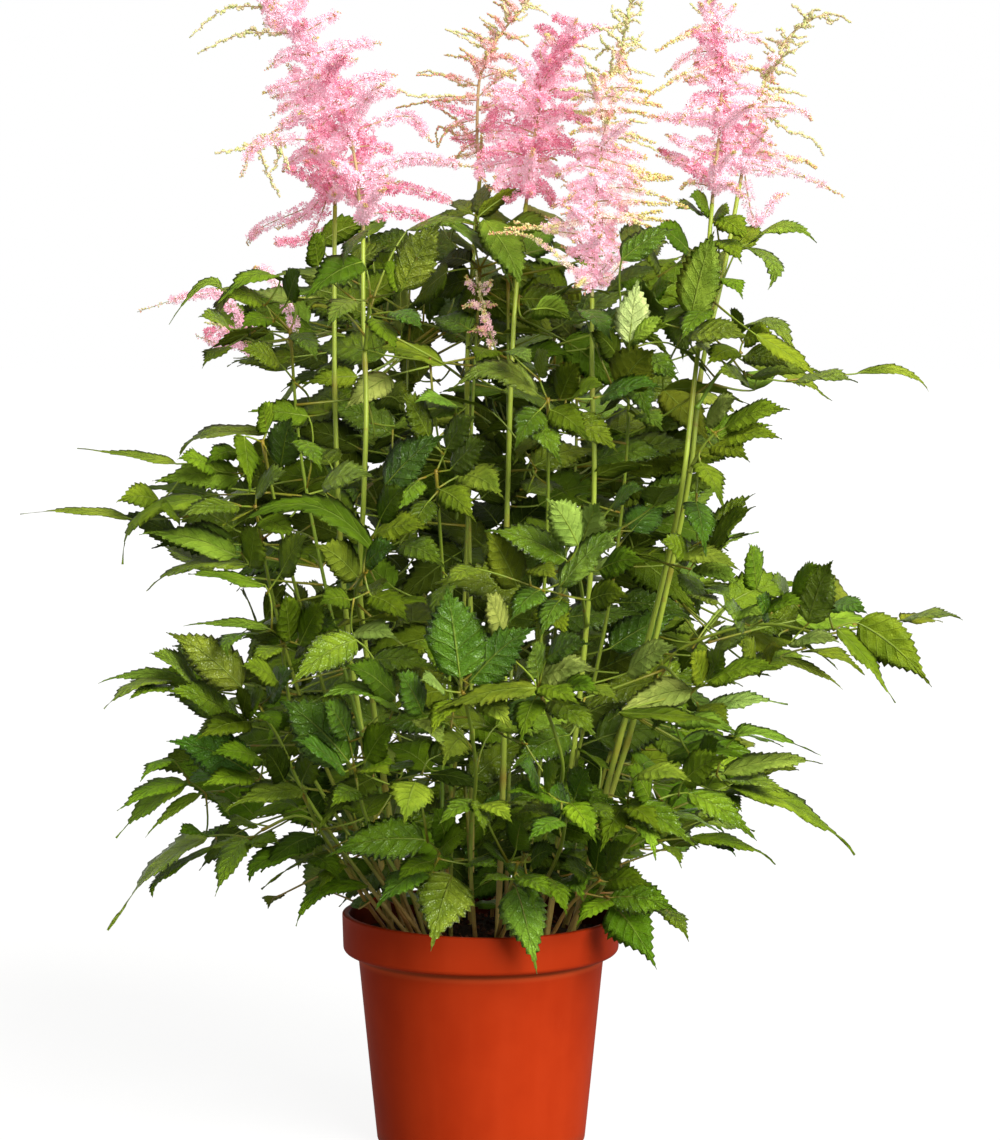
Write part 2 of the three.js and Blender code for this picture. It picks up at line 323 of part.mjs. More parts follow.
    [4.2, [[160.8, -25.3, 697.2], [175.1, -19.7, 698.6], [192.5, -12.4, 699.5]]],
    [4.2, [[160.2, -25.1, 688.5], [171, -21.8, 689.2], [182.1, -17.6, 687.9]]],
    [4.2, [[158.6, -24.6, 672.8], [177.6, -24.6, 675.7], [219.5, -24.6, 665], [245.9, -24.6, 652.3]]],
    [4.2, [[157.5, -23.8, 661.2], [168.6, -19.3, 661], [177.8, -13.5, 652.3]]],
    [2.6, [[155.6, -24.4, 768.3], [147.7, -21.8, 776.1], [141.1, -18.4, 781.6]]],
    [4.2, [[156.1, -24.5, 767.2], [166.5, -22.4, 774.7], [172, -19.7, 781.5]]],
    [4.2, [[162.5, -25.5, 735.3], [154.6, -22.1, 737.4], [146.7, -17.6, 742.9]]],
    [4.2, [[159.8, -25, 684.6], [147.8, -28.2, 678.3], [138.2, -32.4, 668.9]]],
    [4.2, [[161.9, -25.5, 718], [170.2, -32.6, 709], [179.1, -41.8, 704.7]]],
    [4.2, [[156.9, -20.7, 653.5], [156.5, -42.4, 669.1], [156, -64.1, 676.9]]],
    [4.2, [[159.6, -24.9, 682.4], [170.3, -7.2, 694.1], [181.1, 10.5, 700]]],
    [4.2, [[162.1, -25.5, 722.9], [155, -38.8, 728.9], [147.9, -52.2, 731.8]]],
    [4.2, [[159.3, -24.9, 760.6], [159.3, -11.6, 768], [159.4, 1.6, 771.8]]],
  ]],
  ['plume_7', 0xb9bf6a, [[178.394, 28.155, 661.966], [179.431, 29.861, 667.091], [180.3, 28, 673.8], [183.6, 28, 698.4], [191.7, 27.9, 721.6], [197.8, 27.9, 737.3], [204.6, 27.9, 745.5], [207.3, 27.9, 756.4], [216.8, 28, 767.3], [228.4, 28, 774.7], [242.1, 28, 777.4], [253.8, 28, 772]], [1.4, 0.7], [
    [2.6, [[199.3, 27.9, 739.1], [207, 31.5, 738.1], [216.3, 36.2, 736.3]]],
    [2.6, [[194.1, 27.9, 727.9], [206.8, 27.9, 725.7], [223.3, 27.9, 721.6]]],
    [4.2, [[181.9, 28, 685.5], [193, 23.8, 690.2], [202.2, 18.4, 687.3]]],
    [4.2, [[186.8, 28, 707.5], [197.5, 31.2, 710.8], [210.2, 35.4, 708.2]]],
    [4.2, [[180.4, 28, 674.2], [189.3, 35.4, 635.5], [204.4, 45.1, 652.1], [213.5, 55.8, 654.9]]],
    [4.2, [[182.8, 28, 692.3], [175.6, 31.3, 698.5], [171.7, 35.5, 706.8]]],
    [2.6, [[205.2, 27.9, 748], [198.4, 27.9, 753], [194.2, 27.9, 758.4]]],
    [2.6, [[209.6, 27.9, 759], [217.7, 29.7, 757.1], [224.7, 32.1, 758.6]]],
    [4.2, [[180.1, 28.5, 672], [186.5, -1.8, 689.7], [193, -32, 698.6]]],
    [4.2, [[207, 27.9, 755.2], [202.3, 39.6, 759.7], [197.5, 51.3, 762]]],
  ]],
  ['side_plume_1', 0xdcc9a0, [[20, -23.5, 520.8], [16.6, -10.5, 529.7], [10.5, 2.5, 547.6], [5, 6, 563.9], [0.9, 6, 581], [-3.2, 6, 602.1]], [0.9, 0.6], [
    [2.2, [[6.8, 4.8, 558.5], [-1.9, 4.8, 561.9], [-9.4, 4.8, 560.5]]],
    [2.2, [[6.4, 5.1, 559.8], [7.7, 5.1, 553.7], [6.4, 5.1, 548.2]]],
    [2.2, [[1.6, 6, 578.2], [-4.6, 6, 579.6], [-12.1, 6, 577.6]]],
    [2.2, [[1.9, 6, 576.7], [6.4, 6, 579.6], [10.5, 6, 578.9]]],
    [2.2, [[-0.8, 6, 589.8], [-7.3, 6, 593.3], [-10, 6, 598.7]]],
    [2.2, [[-0.8, 6, 589.8], [5, 6, 591.9], [7.7, 6, 596]]],
  ]],
  ['side_plume_2', 0xe59ab5, [[-102.8, 9.2, 560.6], [-124.6, 22.8, 555.9], [-151.7, 36.3, 552], [-170.6, 40, 555.4], [-179.6, 40, 563], [-191.4, 40, 566.4]], [0.9, 0.6], [
    [3.2, [[-167.4, 39.4, 554.8], [-177.6, 39.4, 550.5], [-197.6, 39.4, 556.8]]],
    [3.2, [[-151.7, 36.3, 552], [-166.8, 36.3, 567.9], [-180.6, 36.3, 584.5], [-202.7, 36.3, 584.5], [-238.1, 36.3, 573.4]]],
    [3.2, [[-170.6, 40, 555.4], [-163.1, 40, 548.4], [-158.9, 40, 542.9]]],
    [3.2, [[-124.6, 22.8, 555.9], [-135.5, 22.8, 582], [-146.5, 22.8, 601.2], [-156.1, 22.8, 604.7]]],
    [3.2, [[-179.6, 40, 563], [-185.2, 40, 559.5], [-192.1, 40, 559.5]]],
  ]],
];
const plumes = new THREE.Group();
plant.add(plumes);
for (const [name, color, axis, [r0, r1], branches] of flowerPlumes) {
  addMesh(plumes, name, join([stalk(axis, r0, r1, name.startsWith('side') ? 4 : 3), ...branches.map(([r, points]) => spindle(points, r))]), color, 0.75);
}

// ---- compound leaves: [name, colour, stalk points, stalk radii, leaflets] ----
// A leaflet is [foot on the stalk, base, middle, tip, face normal, width]; last come the side stalks.
const compoundLeaves = [
  ['leaf_01', 0x3f6a1c, [[-77.2, -50.6, 550.4], [-76.3, -55.4, 558.4], [-75.5, -60.2, 566.5], [-74.5, -65.8, 574], [-73.4, -72.5, 580.5], [-72.2, -79.5, 586.7]], [1.5, 1], [
    [[-72.9, -75.2, 582.9], [-84.8, -78, 584], [-92.6, -96.3, 578.9], [-100.4, -114.5, 567.8], [0.091, -0.437, 0.895], 18.5],
    [[-72.9, -75.2, 582.9], [-71.4, -83.9, 572.2], [-62.3, -102.3, 564.9], [-53.3, -120.7, 551], [0.292, -0.366, 0.884], 20.8],
    [[-71.7, -82.2, 574.3], [-58, -89.6, 576.3], [-47.1, -107.8, 574], [-36.2, -126, 565.5], [-0.065, -0.32, 0.945], 19.7],
    [[-72.5, -78, 585.3], [-52.9, -81.1, 590.7], [-58.3, -99.2, 603], [-63.6, -117.2, 609.5], [0.959, -0.284, 0], 18.2],
    [[-56.8, -80.5, 589.6], [-51.3, -91.2, 590.8], [-37.9, -104.4, 618.6], [-24.5, -117.5, 638], [-0.33, -0.892, -0.31], 27.4],
    [[-72.5, -78, 585.3], [-78.1, -76.7, 609.1], [-96.4, -96, 601.9], [-114.7, -115.2, 586.7], [0.144, -0.596, 0.79], 26],
    [[-82.4, -77.4, 583.8], [-108.3, -55.5, 606.2], [-109.3, -73.7, 621.2], [-110.4, -91.9, 630.2], [0.756, -0.39, -0.526], 19.7],
    [[-103.1, -59.9, 601.7], [-77.9, -64, 629.5], [-84.5, -82.3, 621.2], [-91, -100.7, 606.7], [-0.532, -0.3, 0.792], 20.4],
  ], []],
  ['leaf_02', 0x486f22, [[-38.5, -15.8, 145.52], [-64, -17.2, 227.7], [-88.3, -19.3, 310.9], [-107.1, -24.1, 395.2], [-121.9, -31.8, 480.2], [-127.4, -51.9, 563.4]], [1.9, 1], [
    [[-127.3, -51.4, 561.3], [-123, -58.2, 561.6], [-114.9, -76.4, 556.3], [-106.7, -94.5, 544.9], [0.045, -0.401, 0.915], 18.6],
    [[-127.3, -51.4, 561.3], [-141, -46.8, 571.3], [-149.9, -64.9, 571.3], [-158.7, -83, 565.6], [0.423, -0.34, 0.84], 18.3],
    [[-138.3, -47.7, 569.3], [-128.6, -51.8, 583.5], [-123.6, -70, 597.4], [-118.6, -88.1, 605.2], [-0.859, -0.417, -0.299], 19.6],
    [[-125.1, -43.6, 528.9], [-134.1, -54.5, 540.8], [-146.5, -72.9, 549.6], [-158.9, -91.4, 552], [0.807, -0.416, 0.418], 19.8],
    [[-138.3, -47.7, 569.3], [-154.9, -30, 560.8], [-156.4, -47.9, 573.5], [-157.8, -65.9, 580.4], [0.991, -0.116, -0.068], 18.5],
    [[-138.3, -47.7, 569.3], [-145.9, -42.8, 582], [-158.3, -61.1, 587.4], [-170.7, -79.5, 586.7], [0.685, -0.383, 0.62], 19.2],
    [[-144.4, -43.8, 579.5], [-134.2, -47.1, 596.8], [-151, -66.3, 600.3], [-173, -85.5, 584.1], [0.002, -0.314, 0.949], 24.1],
    [[-144.9, -40.6, 565.9], [-166.1, -63, 564.4], [-175.6, -81.2, 572.5], [-185.1, -99.3, 574.6], [0.698, -0.171, 0.695], 18.2],
    [[-151.6, -33.5, 562.5], [-170.3, -42.8, 551.8], [-177.3, -60.8, 548.9], [-184.4, -78.9, 540.4], [-0.133, -0.251, 0.959], 18.2],
    [[-144.4, -43.8, 579.5], [-173.6, -39.9, 589.9], [-186.9, -42, 594], [-209, -44.1, 568.6], [-0.336, -0.648, 0.683], 8.3],
  ], []],
  ['leaf_03', 0x3a6220, [[-41.1, -25.2, 145.68], [-68.4, -31.3, 212.8], [-94.8, -38.3, 281], [-113.8, -51.1, 350.6], [-131.1, -65.6, 420.4], [-144.9, -78.9, 491.3]], [1.9, 1], [
    [[-144.6, -78.6, 489.5], [-143.2, -73.2, 494.9], [-181.6, -76.2, 495.1], [-200, -79.1, 482.6], [-0.176, -0.275, 0.945], 25.2],
    [[-144.6, -78.6, 489.5], [-141.9, -73.2, 496.3], [-142.7, -91.2, 510.4], [-143.5, -109.3, 518.6], [0.85, -0.304, -0.431], 19.1],
    [[-144.6, -78.6, 489.5], [-156, -90.9, 493.9], [-152.9, -109.7, 480.9], [-149.8, -128.5, 460.8], [0.664, -0.43, 0.612], 22.8],
    [[-141.9, -76, 475.7], [-160.3, -67.3, 482.6], [-170.3, -85.5, 483.3], [-180.2, -103.7, 478.2], [0.38, -0.314, 0.87], 18.8],
    [[-144.6, -78.6, 489.5], [-131.9, -87.3, 474.5], [-127.4, -106, 496], [-123, -124.7, 510.2], [-0.425, -0.675, -0.603], 24.7],
    [[-134.4, -85.6, 477.5], [-118.1, -106.9, 492.8], [-110.1, -125.1, 487.2], [-102.1, -143.3, 475.5], [0.232, -0.333, 0.914], 19.6],
    [[-152.9, -70.8, 479.8], [-159.4, -82.9, 466.2], [-186.7, -92.4, 470.3], [-214, -101.9, 466.2], [0.257, -0.74, 0.622], 25],
    [[-158.1, -80.5, 468.9], [-175.2, -92, 472.1], [-186.2, -110.3, 480.7], [-197.2, -128.7, 483], [0.769, -0.292, 0.569], 19],
    [[-156.6, -69, 481.2], [-202.6, -64.7, 474.4], [-227.7, -68.1, 480.6], [-268.6, -71.5, 487.5], [0.218, -0.384, 0.897], 13.5],
    [[-193.4, -65.6, 475.8], [-213.9, -68.2, 449.9], [-226.7, -86.6, 454.7], [-239.5, -105.1, 453.2], [0.736, -0.466, 0.491], 19.4],
  ], []],
  ['leaf_04', 0x55762a, [[-44.4, -33.6, 145.83], [-75, -37.9, 205.3], [-104.6, -43.2, 265.9], [-125.5, -56.1, 328.9], [-139.8, -77, 391.7], [-147.8, -109.6, 450.2]], [1.9, 1], [
    [[-147.6, -108.8, 448.7], [-147.1, -108.8, 456.8], [-135.6, -127.1, 469.5], [-124, -145.5, 475.6], [-0.859, -0.352, 0.371], 21.3],
    [[-147.6, -108.8, 448.7], [-143, -112.6, 440.6], [-130.9, -130.9, 438.7], [-118.8, -149.2, 430.5], [-0.25, -0.409, 0.878], 20.3],
    [[-147.6, -108.8, 448.7], [-159.2, -106.2, 449.3], [-177, -125.2, 451.1], [-194.8, -144.1, 445.6], [0.25, -0.324, 0.912], 22.5],
    [[-156.9, -106.7, 449.2], [-174.8, -100.1, 452.8], [-220.6, -103.8, 445.2], [-235.7, -107.4, 413.8], [-0.49, -0.294, 0.82], 31.4],
    [[-144.5, -96.1, 426], [-160.4, -111.2, 416.7], [-191.9, -114.5, 429.8], [-223.4, -117.8, 433.8], [0.273, -0.516, 0.812], 29.6],
    [[-157.2, -108.2, 418.6], [-152.3, -114.6, 411.1], [-188.8, -118.1, 412.1], [-218.7, -121.5, 397.3], [-0.174, -0.243, 0.954], 29.4],
    [[-157.2, -108.2, 418.6], [-151.3, -110.1, 408.7], [-147.7, -128.6, 428.9], [-144.1, -147.2, 442], [-0.709, -0.542, -0.451], 23.7],
    [[-171.2, -101.4, 452.1], [-197.2, -108.6, 440.3], [-202.8, -126.4, 448.3], [-208.4, -144.3, 450.8], [0.855, -0.119, 0.504], 17.5],
    [[-192, -107.2, 442.7], [-232.8, -74.1, 438.3], [-261.7, -77.8, 444.6], [-305.8, -81.5, 444.8], [0.118, -0.338, 0.934], 14.7],
  ], []],
  ['leaf_05', 0x43682a, [[-37.8, -40, 146.03], [-67.9, -45.9, 190], [-97.9, -51.9, 235.1], [-121.7, -64.3, 282.2], [-128.6, -90.3, 329.3], [-130, -129.3, 367.1]], [1.9, 1], [
    [[-129.7, -120.7, 358.8], [-124.1, -130.7, 363.3], [-124.9, -149.3, 384.5], [-125.7, -167.8, 398.5], [0.731, -0.486, -0.48], 23.1],
    [[-130, -128.3, 366.2], [-137.6, -132.3, 370.7], [-160.3, -135.1, 375.6], [-193.3, -137.9, 375.3], [0.118, -0.452, 0.884], 11.2],
    [[-127.5, -124.7, 360.6], [-133.4, -128, 359.1], [-140.1, -146.1, 356.8], [-146.8, -164.2, 348.8], [0.064, -0.294, 0.954], 18],
    [[-125.2, -128.7, 362.4], [-117.5, -132.1, 360.2], [-108, -150.8, 380.6], [-98.6, -169.6, 393.5], [-0.807, -0.563, -0.177], 24.1],
    [[-136.1, -131.5, 369.8], [-144.6, -125.2, 367.3], [-162.4, -143.4, 366], [-161.8, -161.6, 356.3], [-0.25, -0.17, 0.953], 18.8],
    [[-129.7, -120.7, 358.8], [-120.7, -121.3, 354.4], [-111.3, -139.2, 362.6], [-101.9, -157.1, 364.9], [-0.828, -0.293, 0.478], 18.8],
    [[-120.6, -130.7, 361.1], [-114.6, -123.4, 369.1], [-102.4, -141.5, 374.8], [-90.1, -159.7, 374.3], [-0.691, -0.378, 0.616], 19.9],
    [[-136.1, -131.5, 369.8], [-140.1, -133, 399.7], [-167.5, -149.4, 407.7], [-187.5, -165.8, 411.8], [0.352, -0.169, 0.921], 25.4],
    [[-139.3, -132.7, 393.7], [-129.4, -136.3, 407.8], [-119.3, -154.9, 426], [-109.2, -173.5, 437], [-0.862, -0.506, -0.047], 24.2],
  ], []],
  ['leaf_06', 0x3f6a1c, [[-45.9, -44, 146.08], [-72.2, -49.9, 182.1], [-98.5, -56, 219.3], [-120.6, -69.5, 256.9], [-132.6, -97, 291.5], [-145.2, -130.3, 320.5]], [1.9, 1], [
    [[-144.9, -129.5, 319.8], [-142.7, -130.2, 315.9], [-135.8, -148.1, 314.4], [-128.8, -166, 307.5], [0.025, -0.22, 0.975], 17.7],
    [[-144.9, -129.5, 319.8], [-138.5, -133.2, 324.2], [-128.9, -151.6, 340.2], [-119.4, -169.9, 349.5], [-0.893, -0.449, 0.022], 20.9],
    [[-140, -116.5, 308.5], [-153.4, -125.8, 312.6], [-145.4, -143.9, 326.6], [-137.3, -162, 334.3], [-0.934, -0.312, 0.173], 19.5],
    [[-142.4, -123, 314.1], [-150.8, -126, 308.7], [-167.1, -144.8, 309.5], [-183.3, -163.7, 303.2], [0.321, -0.401, 0.858], 22.6],
    [[-144.9, -129.5, 319.8], [-155.7, -128.8, 331.5], [-180.2, -132, 355.7], [-204.7, -135.1, 371], [0.322, -0.913, 0.253], 28.5],
    [[-150.7, -123.9, 311.8], [-163.6, -112.1, 310.9], [-183.3, -131.5, 326.7], [-202.9, -150.8, 334.2], [0.737, -0.439, 0.514], 28.2],
    [[-139.8, -132.5, 323.3], [-130.7, -153.8, 338.5], [-141.7, -172.1, 349.7], [-152.7, -190.5, 354.5], [0.839, -0.308, 0.448], 19.7],
    [[-151.4, -129.1, 326.8], [-185.3, -111.8, 330.8], [-199.9, -130.8, 348.7], [-214.5, -149.9, 358.9], [0.802, -0.199, 0.563], 24],
    [[-178.5, -115.3, 330], [-186.4, -106.2, 328.7], [-217.7, -109.5, 339.1], [-251.7, -112.8, 334.9], [0.134, -0.587, 0.799], 13.2],
    [[-178.5, -115.3, 330], [-204.2, -106.8, 330.1], [-216.2, -125.2, 331.9], [-228.3, -143.7, 327.4], [0.116, -0.149, 0.982], 19.1],
    [[-199.1, -108.5, 330.1], [-204.3, -112.2, 334.1], [-224.9, -131.5, 335.1], [-243.9, -150.8, 322.4], [-0.141, -0.152, 0.978], 24.4],
  ], []],
  ['leaf_07', 0x486f22, [[-22.9, -54.1, 146.15], [-42.2, -73, 178.7], [-61.2, -92.5, 212.4], [-74.4, -119.7, 243.1], [-78.3, -155.5, 267], [-80.1, -192.6, 289.1]], [1.9, 1], [
    [[-79, -170, 275.6], [-83.3, -192.4, 291.7], [-105.7, -195.5, 317.3], [-128.1, -198.6, 334.3], [0.162, -0.986, 0.027], 37.7],
    [[-79.7, -184.5, 284.2], [-75, -192.3, 286.5], [-63.6, -210.5, 294.7], [-52.3, -228.6, 296.8], [-0.795, -0.36, 0.489], 19],
    [[-80.1, -191.7, 288.5], [-85.7, -198, 286], [-101.1, -217, 303.5], [-116.6, -236, 313.1], [0.769, -0.193, 0.61], 26.3],
    [[-83.5, -195.5, 287], [-72.1, -200.6, 294.1], [-62.7, -219.1, 311.6], [-53.2, -237.5, 322.1], [-0.765, -0.589, -0.261], 22.6],
    [[-80.1, -191.7, 288.5], [-83.7, -196.8, 309], [-91.1, -215.2, 326.3], [-98.5, -233.6, 336.8], [0.859, -0.48, -0.181], 22.8],
    [[-79.4, -177.2, 279.9], [-78.2, -178, 271.4], [-86.4, -196, 271.8], [-94.6, -214.1, 266.6], [0.371, -0.287, 0.883], 18],
    [[-83, -195.8, 304.9], [-50.2, -207.8, 325.2], [-75.2, -217.2, 342.3], [-105.1, -226.6, 336.5], [0.287, -0.287, 0.914], 25.5],
    [[-56.8, -205.4, 321.1], [-53.6, -200, 334.5], [-68.7, -218.9, 351.4], [-83.8, -237.8, 360.6], [0.835, -0.475, 0.277], 24.8],
    [[-54.2, -201.1, 331.8], [-77.9, -209.3, 372], [-98.3, -225.7, 364], [-118.6, -242.1, 347.9], [0.292, -0.774, 0.562], 24.8],
  ], []],
  ['leaf_08', 0x3a6220, [[-77.8, -49.3, 356.1], [-79.6, -67.3, 368.2], [-81.6, -85.3, 380.2], [-82.2, -103.7, 391.7], [-79.1, -123, 401], [-73.8, -142.6, 409.1]], [1.5, 1], [
    [[-73.9, -142.1, 408.9], [-73.6, -147.5, 414.7], [-63.1, -165.7, 425.6], [-52.5, -183.9, 430.1], [-0.881, -0.418, 0.22], 19.3],
    [[-77, -130.7, 404.2], [-80.1, -131.5, 404.8], [-93.1, -150.3, 421.1], [-106.2, -169.1, 430.2], [0.809, -0.586, -0.036], 24.6],
    [[-73.9, -142.1, 408.9], [-67.5, -137.4, 420.3], [-110, -142.2, 453.3], [-160.3, -147, 442], [0.245, -0.293, 0.924], 38],
    [[-75, -138.3, 407.3], [-70.6, -142.3, 393.4], [-57.5, -160.8, 390.1], [-44.4, -179.3, 380.3], [-0.217, -0.458, 0.862], 21.3],
    [[-71.5, -141.5, 396.2], [-84.2, -145.1, 391], [-93.7, -163.2, 394.4], [-103.2, -181.2, 392], [0.728, -0.368, 0.578], 18.4],
    [[-76, -134.5, 405.7], [-70.5, -124.2, 431], [-50.8, -143.2, 439.7], [-31.2, -162.1, 440.6], [-0.596, -0.45, 0.665], 25],
    [[-71.6, -126.3, 425.9], [-64.7, -139.3, 442.7], [-55.8, -157.7, 458.3], [-46.9, -176, 467.3], [-0.842, -0.516, -0.16], 21.5],
    [[-81.7, -144.4, 392], [-82.5, -139.4, 368.2], [-67.1, -157.9, 372.3], [-51.6, -176.4, 369.6], [-0.438, -0.334, 0.835], 20.8],
    [[-71.6, -126.3, 425.9], [-102.8, -128.3, 464], [-85.2, -147, 472.9], [-67.7, -165.7, 474.3], [-0.669, -0.469, 0.577], 22.6],
  ], []],
  ['leaf_09', 0x55762a, [[-62.5, -20.6, 146.1], [-78.1, -33.3, 172], [-90.2, -52, 197.2], [-102.1, -74.1, 219.5], [-109.5, -100.5, 239.1], [-116.3, -125.8, 260.3]], [1.9, 1], [
    [[-114.8, -120.2, 255.6], [-115.9, -133.1, 264.1], [-140.8, -147.4, 264.7], [-165.6, -161.8, 257.3], [0.098, -0.387, 0.917], 26.1],
    [[-116.1, -125.2, 259.8], [-117.1, -123, 268.5], [-109.6, -141.3, 285], [-102.1, -159.5, 294.8], [-0.772, -0.548, -0.322], 20.4],
    [[-115.7, -130.5, 262.4], [-128.5, -130.1, 270.9], [-134.5, -148.4, 287.3], [-140.5, -166.7, 297.1], [0.865, -0.447, -0.227], 21],
    [[-125.9, -130.2, 269.2], [-148.9, -128.2, 271.9], [-164.5, -146.9, 275.8], [-180.1, -165.6, 272.9], [0.337, -0.258, 0.905], 21],
    [[-144.3, -128.6, 271.4], [-142.7, -133, 284.5], [-158.2, -151.7, 293.3], [-173.8, -170.4, 295], [0.588, -0.276, 0.761], 22.5],
    [[-143, -132.1, 281.9], [-151.7, -125.8, 275.6], [-178.6, -128.7, 291.4], [-205.5, -131.7, 298.9], [0.153, -0.982, 0.106], 28.8],
    [[-144.3, -128.6, 271.4], [-176.2, -98.3, 256.2], [-170, -116.1, 254.6], [-163.8, -134, 247.7], [0.381, -0.086, 0.92], 16.7],
    [[-169.8, -104.4, 259.2], [-186.4, -87.7, 255.2], [-205, -90, 245], [-223.5, -92.4, 228.3], [-0.309, -0.769, 0.56], 9.2],
    [[-183.1, -91, 256], [-195.6, -95.9, 265.2], [-216.9, -113.4, 262.8], [-238.1, -131, 252.5], [-0.077, -0.254, 0.964], 24.4],
    [[-193.1, -94.9, 263.4], [-195.7, -95, 264.4], [-218.9, -98, 251.1], [-242, -100.9, 229.7], [-0.493, -0.463, 0.737], 26.2],
    [[-193.1, -94.9, 263.4], [-205.1, -100.7, 280.6], [-213.7, -118.9, 279.5], [-222.3, -137.2, 272.6], [-0.142, -0.149, 0.979], 17.7],
  ], []],
  ['leaf_10', 0x43682a, [[-53.3, -37.9, 146.05], [-70.6, -41.2, 170], [-87.4, -45.5, 195.3], [-100.9, -52.6, 221.9], [-122.5, -66.1, 237.1], [-146, -83.7, 230.3]], [1.9, 1], [
    [[-140.8, -79.8, 231.8], [-150.5, -86.8, 234.9], [-158.9, -104.7, 239.8], [-167.3, -122.7, 239.2], [0.448, -0.101, 0.888], 17.2],
    [[-145.4, -83.3, 230.5], [-155.9, -66.3, 220], [-144.4, -84.4, 225.3], [-133, -102.4, 224.6], [-0.381, -0.127, 0.916], 18.6],
    [[-151.7, -73.1, 224.2], [-160, -65.8, 221.3], [-168.1, -84.9, 209.6], [-176.2, -104, 190.6], [-0.316, -0.51, 0.8], 22.3],
    [[-114.1, -60.9, 231.2], [-111.4, -82.7, 218], [-142.4, -101.1, 213], [-152.5, -119.5, 203.4], [-0.117, -0.251, 0.961], 25.7],
    [[-109.9, -58.2, 228.3], [-112, -70.3, 210.5], [-102.2, -88.5, 208.5], [-92.3, -106.7, 200.5], [-0.055, -0.292, 0.955], 19.2],
    [[-153.8, -69.7, 222.1], [-185.8, -46.3, 219.5], [-219.5, -50.9, 200.4], [-252.6, -55.5, 160], [-0.625, -0.248, 0.74], 38],
    [[-112.5, -74, 223.3], [-94.3, -75.2, 205.9], [-100.9, -93.4, 202.4], [-107.4, -111.6, 193.3], [-0.226, -0.244, 0.943], 18.3],
    [[-179.4, -51, 220], [-184.4, -29.4, 209.9], [-214.6, -44.8, 194.5], [-222.2, -60.2, 182.8], [-0.468, -0.185, 0.864], 24],
    [[-90.8, -47.3, 202], [-76, -63.1, 188.1], [-106.5, -75.6, 188.3], [-123.4, -88.1, 168.1], [-0.218, -0.324, 0.921], 24.7],
  ], []],
  ['leaf_11', 0x3f6a1c, [[-3, -58.7, 145.84], [-5.9, -83.3, 192.1], [-6, -113.1, 236.1], [-2.5, -149.3, 274.9], [-4.7, -189.5, 309.7], [-10, -231.8, 341.6]], [1.9, 1], [
    [[-8.8, -222.5, 334.6], [-15, -235.2, 337], [-22.5, -253.5, 331.7], [-30, -271.9, 320.4], [-0.132, -0.362, 0.923], 19.4],
    [[-9.9, -230.7, 340.8], [-5.6, -233.7, 348.1], [15.3, -244.6, 371.8], [36.2, -255.6, 387], [-0.503, -0.862, 0.055], 28.7],
    [[-6.5, -233.1, 346.6], [-11.8, -238.7, 351.3], [-16.1, -241.7, 385.7], [-20.4, -244.7, 411.5], [0.041, -0.995, -0.094], 38],
    [[-9.9, -230.7, 340.8], [0.6, -230.6, 336.4], [10.6, -249, 333], [20.6, -267.3, 323.5], [-0.202, -0.42, 0.885], 18.8],
    [[-9.9, -230.7, 340.8], [-21.9, -231.5, 342.8], [-29.1, -249.3, 351.2], [-36.2, -267.2, 354], [0.811, -0.147, 0.566], 17.3],
    [[-9.9, -230.7, 340.8], [-17.1, -217.7, 352.6], [-28, -236.3, 368.2], [-38.9, -254.8, 376.9], [0.892, -0.309, 0.33], 22.3],
    [[-12.5, -230.1, 336], [-35.3, -225.9, 326.9], [-43.2, -244.6, 346.7], [-51.2, -263.2, 359.2], [0.859, -0.492, -0.145], 24.4],
    [[-6.8, -206, 322.2], [-39.2, -219.4, 322.3], [-29.8, -237.6, 319.2], [-20.4, -255.9, 310.1], [0.199, -0.215, 0.956], 18.5],
    [[-9.7, -236.5, 349.4], [15.7, -225.5, 375], [9.8, -244.1, 395.6], [3.9, -262.8, 408.9], [0.883, -0.436, -0.173], 22.3],
    [[10.6, -227.7, 369.9], [35.6, -246.8, 345.9], [1.7, -250.3, 343.1], [-32.2, -253.7, 330.5], [-0.182, -0.302, 0.936], 32.9],
  ], []],
  ['leaf_12', 0x486f22, [[-28.5, -43.5, 146.5], [-34.7, -63, 159.8], [-39.8, -82.6, 174.9], [-39, -102.5, 190.4], [-33.4, -121.8, 205.7], [-27.4, -141.1, 221]], [1.9, 1], [
    [[-29.9, -133.1, 214.7], [-32.7, -135.8, 217.5], [-43.4, -154.1, 217.7], [-54, -172.3, 211.9], [0.283, -0.304, 0.91], 19.2],
    [[-28.7, -136.9, 217.6], [-25.8, -155.1, 228.6], [-15.9, -173.3, 240.6], [-6, -191.4, 246.3], [-0.896, -0.365, 0.255], 19.4],
    [[-27, -147.8, 224.2], [-20.8, -145.1, 229.6], [-25.6, -163.5, 249.1], [-30.5, -181.9, 261.7], [0.725, -0.551, -0.413], 22.4],
    [[-27.5, -140.6, 220.6], [-8.4, -136.3, 216.2], [2.1, -154.3, 221.6], [12.6, -172.4, 221], [-0.337, -0.071, 0.939], 18.1],
    [[-31.1, -129.3, 211.7], [-36.3, -121.2, 209.7], [-52.2, -140.3, 204.5], [-68.1, -159.4, 191.9], [0.012, -0.431, 0.902], 22.7],
    [[-26.4, -151.5, 226.4], [-35.5, -159.8, 236], [-67.5, -163, 236.8], [-99.5, -166.3, 228.5], [0.031, -0.87, 0.492], 29.2],
    [[-32.2, -125.6, 208.7], [-18.5, -122.3, 205.9], [-25.1, -139.5, 189], [-31.8, -156.6, 164.3], [0.145, -0.786, 0.601], 37.7],
    [[-33.7, -158.1, 234.1], [-40.8, -205.8, 280.7], [-43.9, -224.2, 273.5], [-47, -242.5, 260.2], [0.216, -0.503, 0.837], 28.8],
    [[-39.4, -196.3, 271.4], [-74.2, -215.8, 288.6], [-64.2, -233.8, 293.5], [-54.1, -251.7, 292.6], [-0.22, -0.016, 0.975], 17.8],
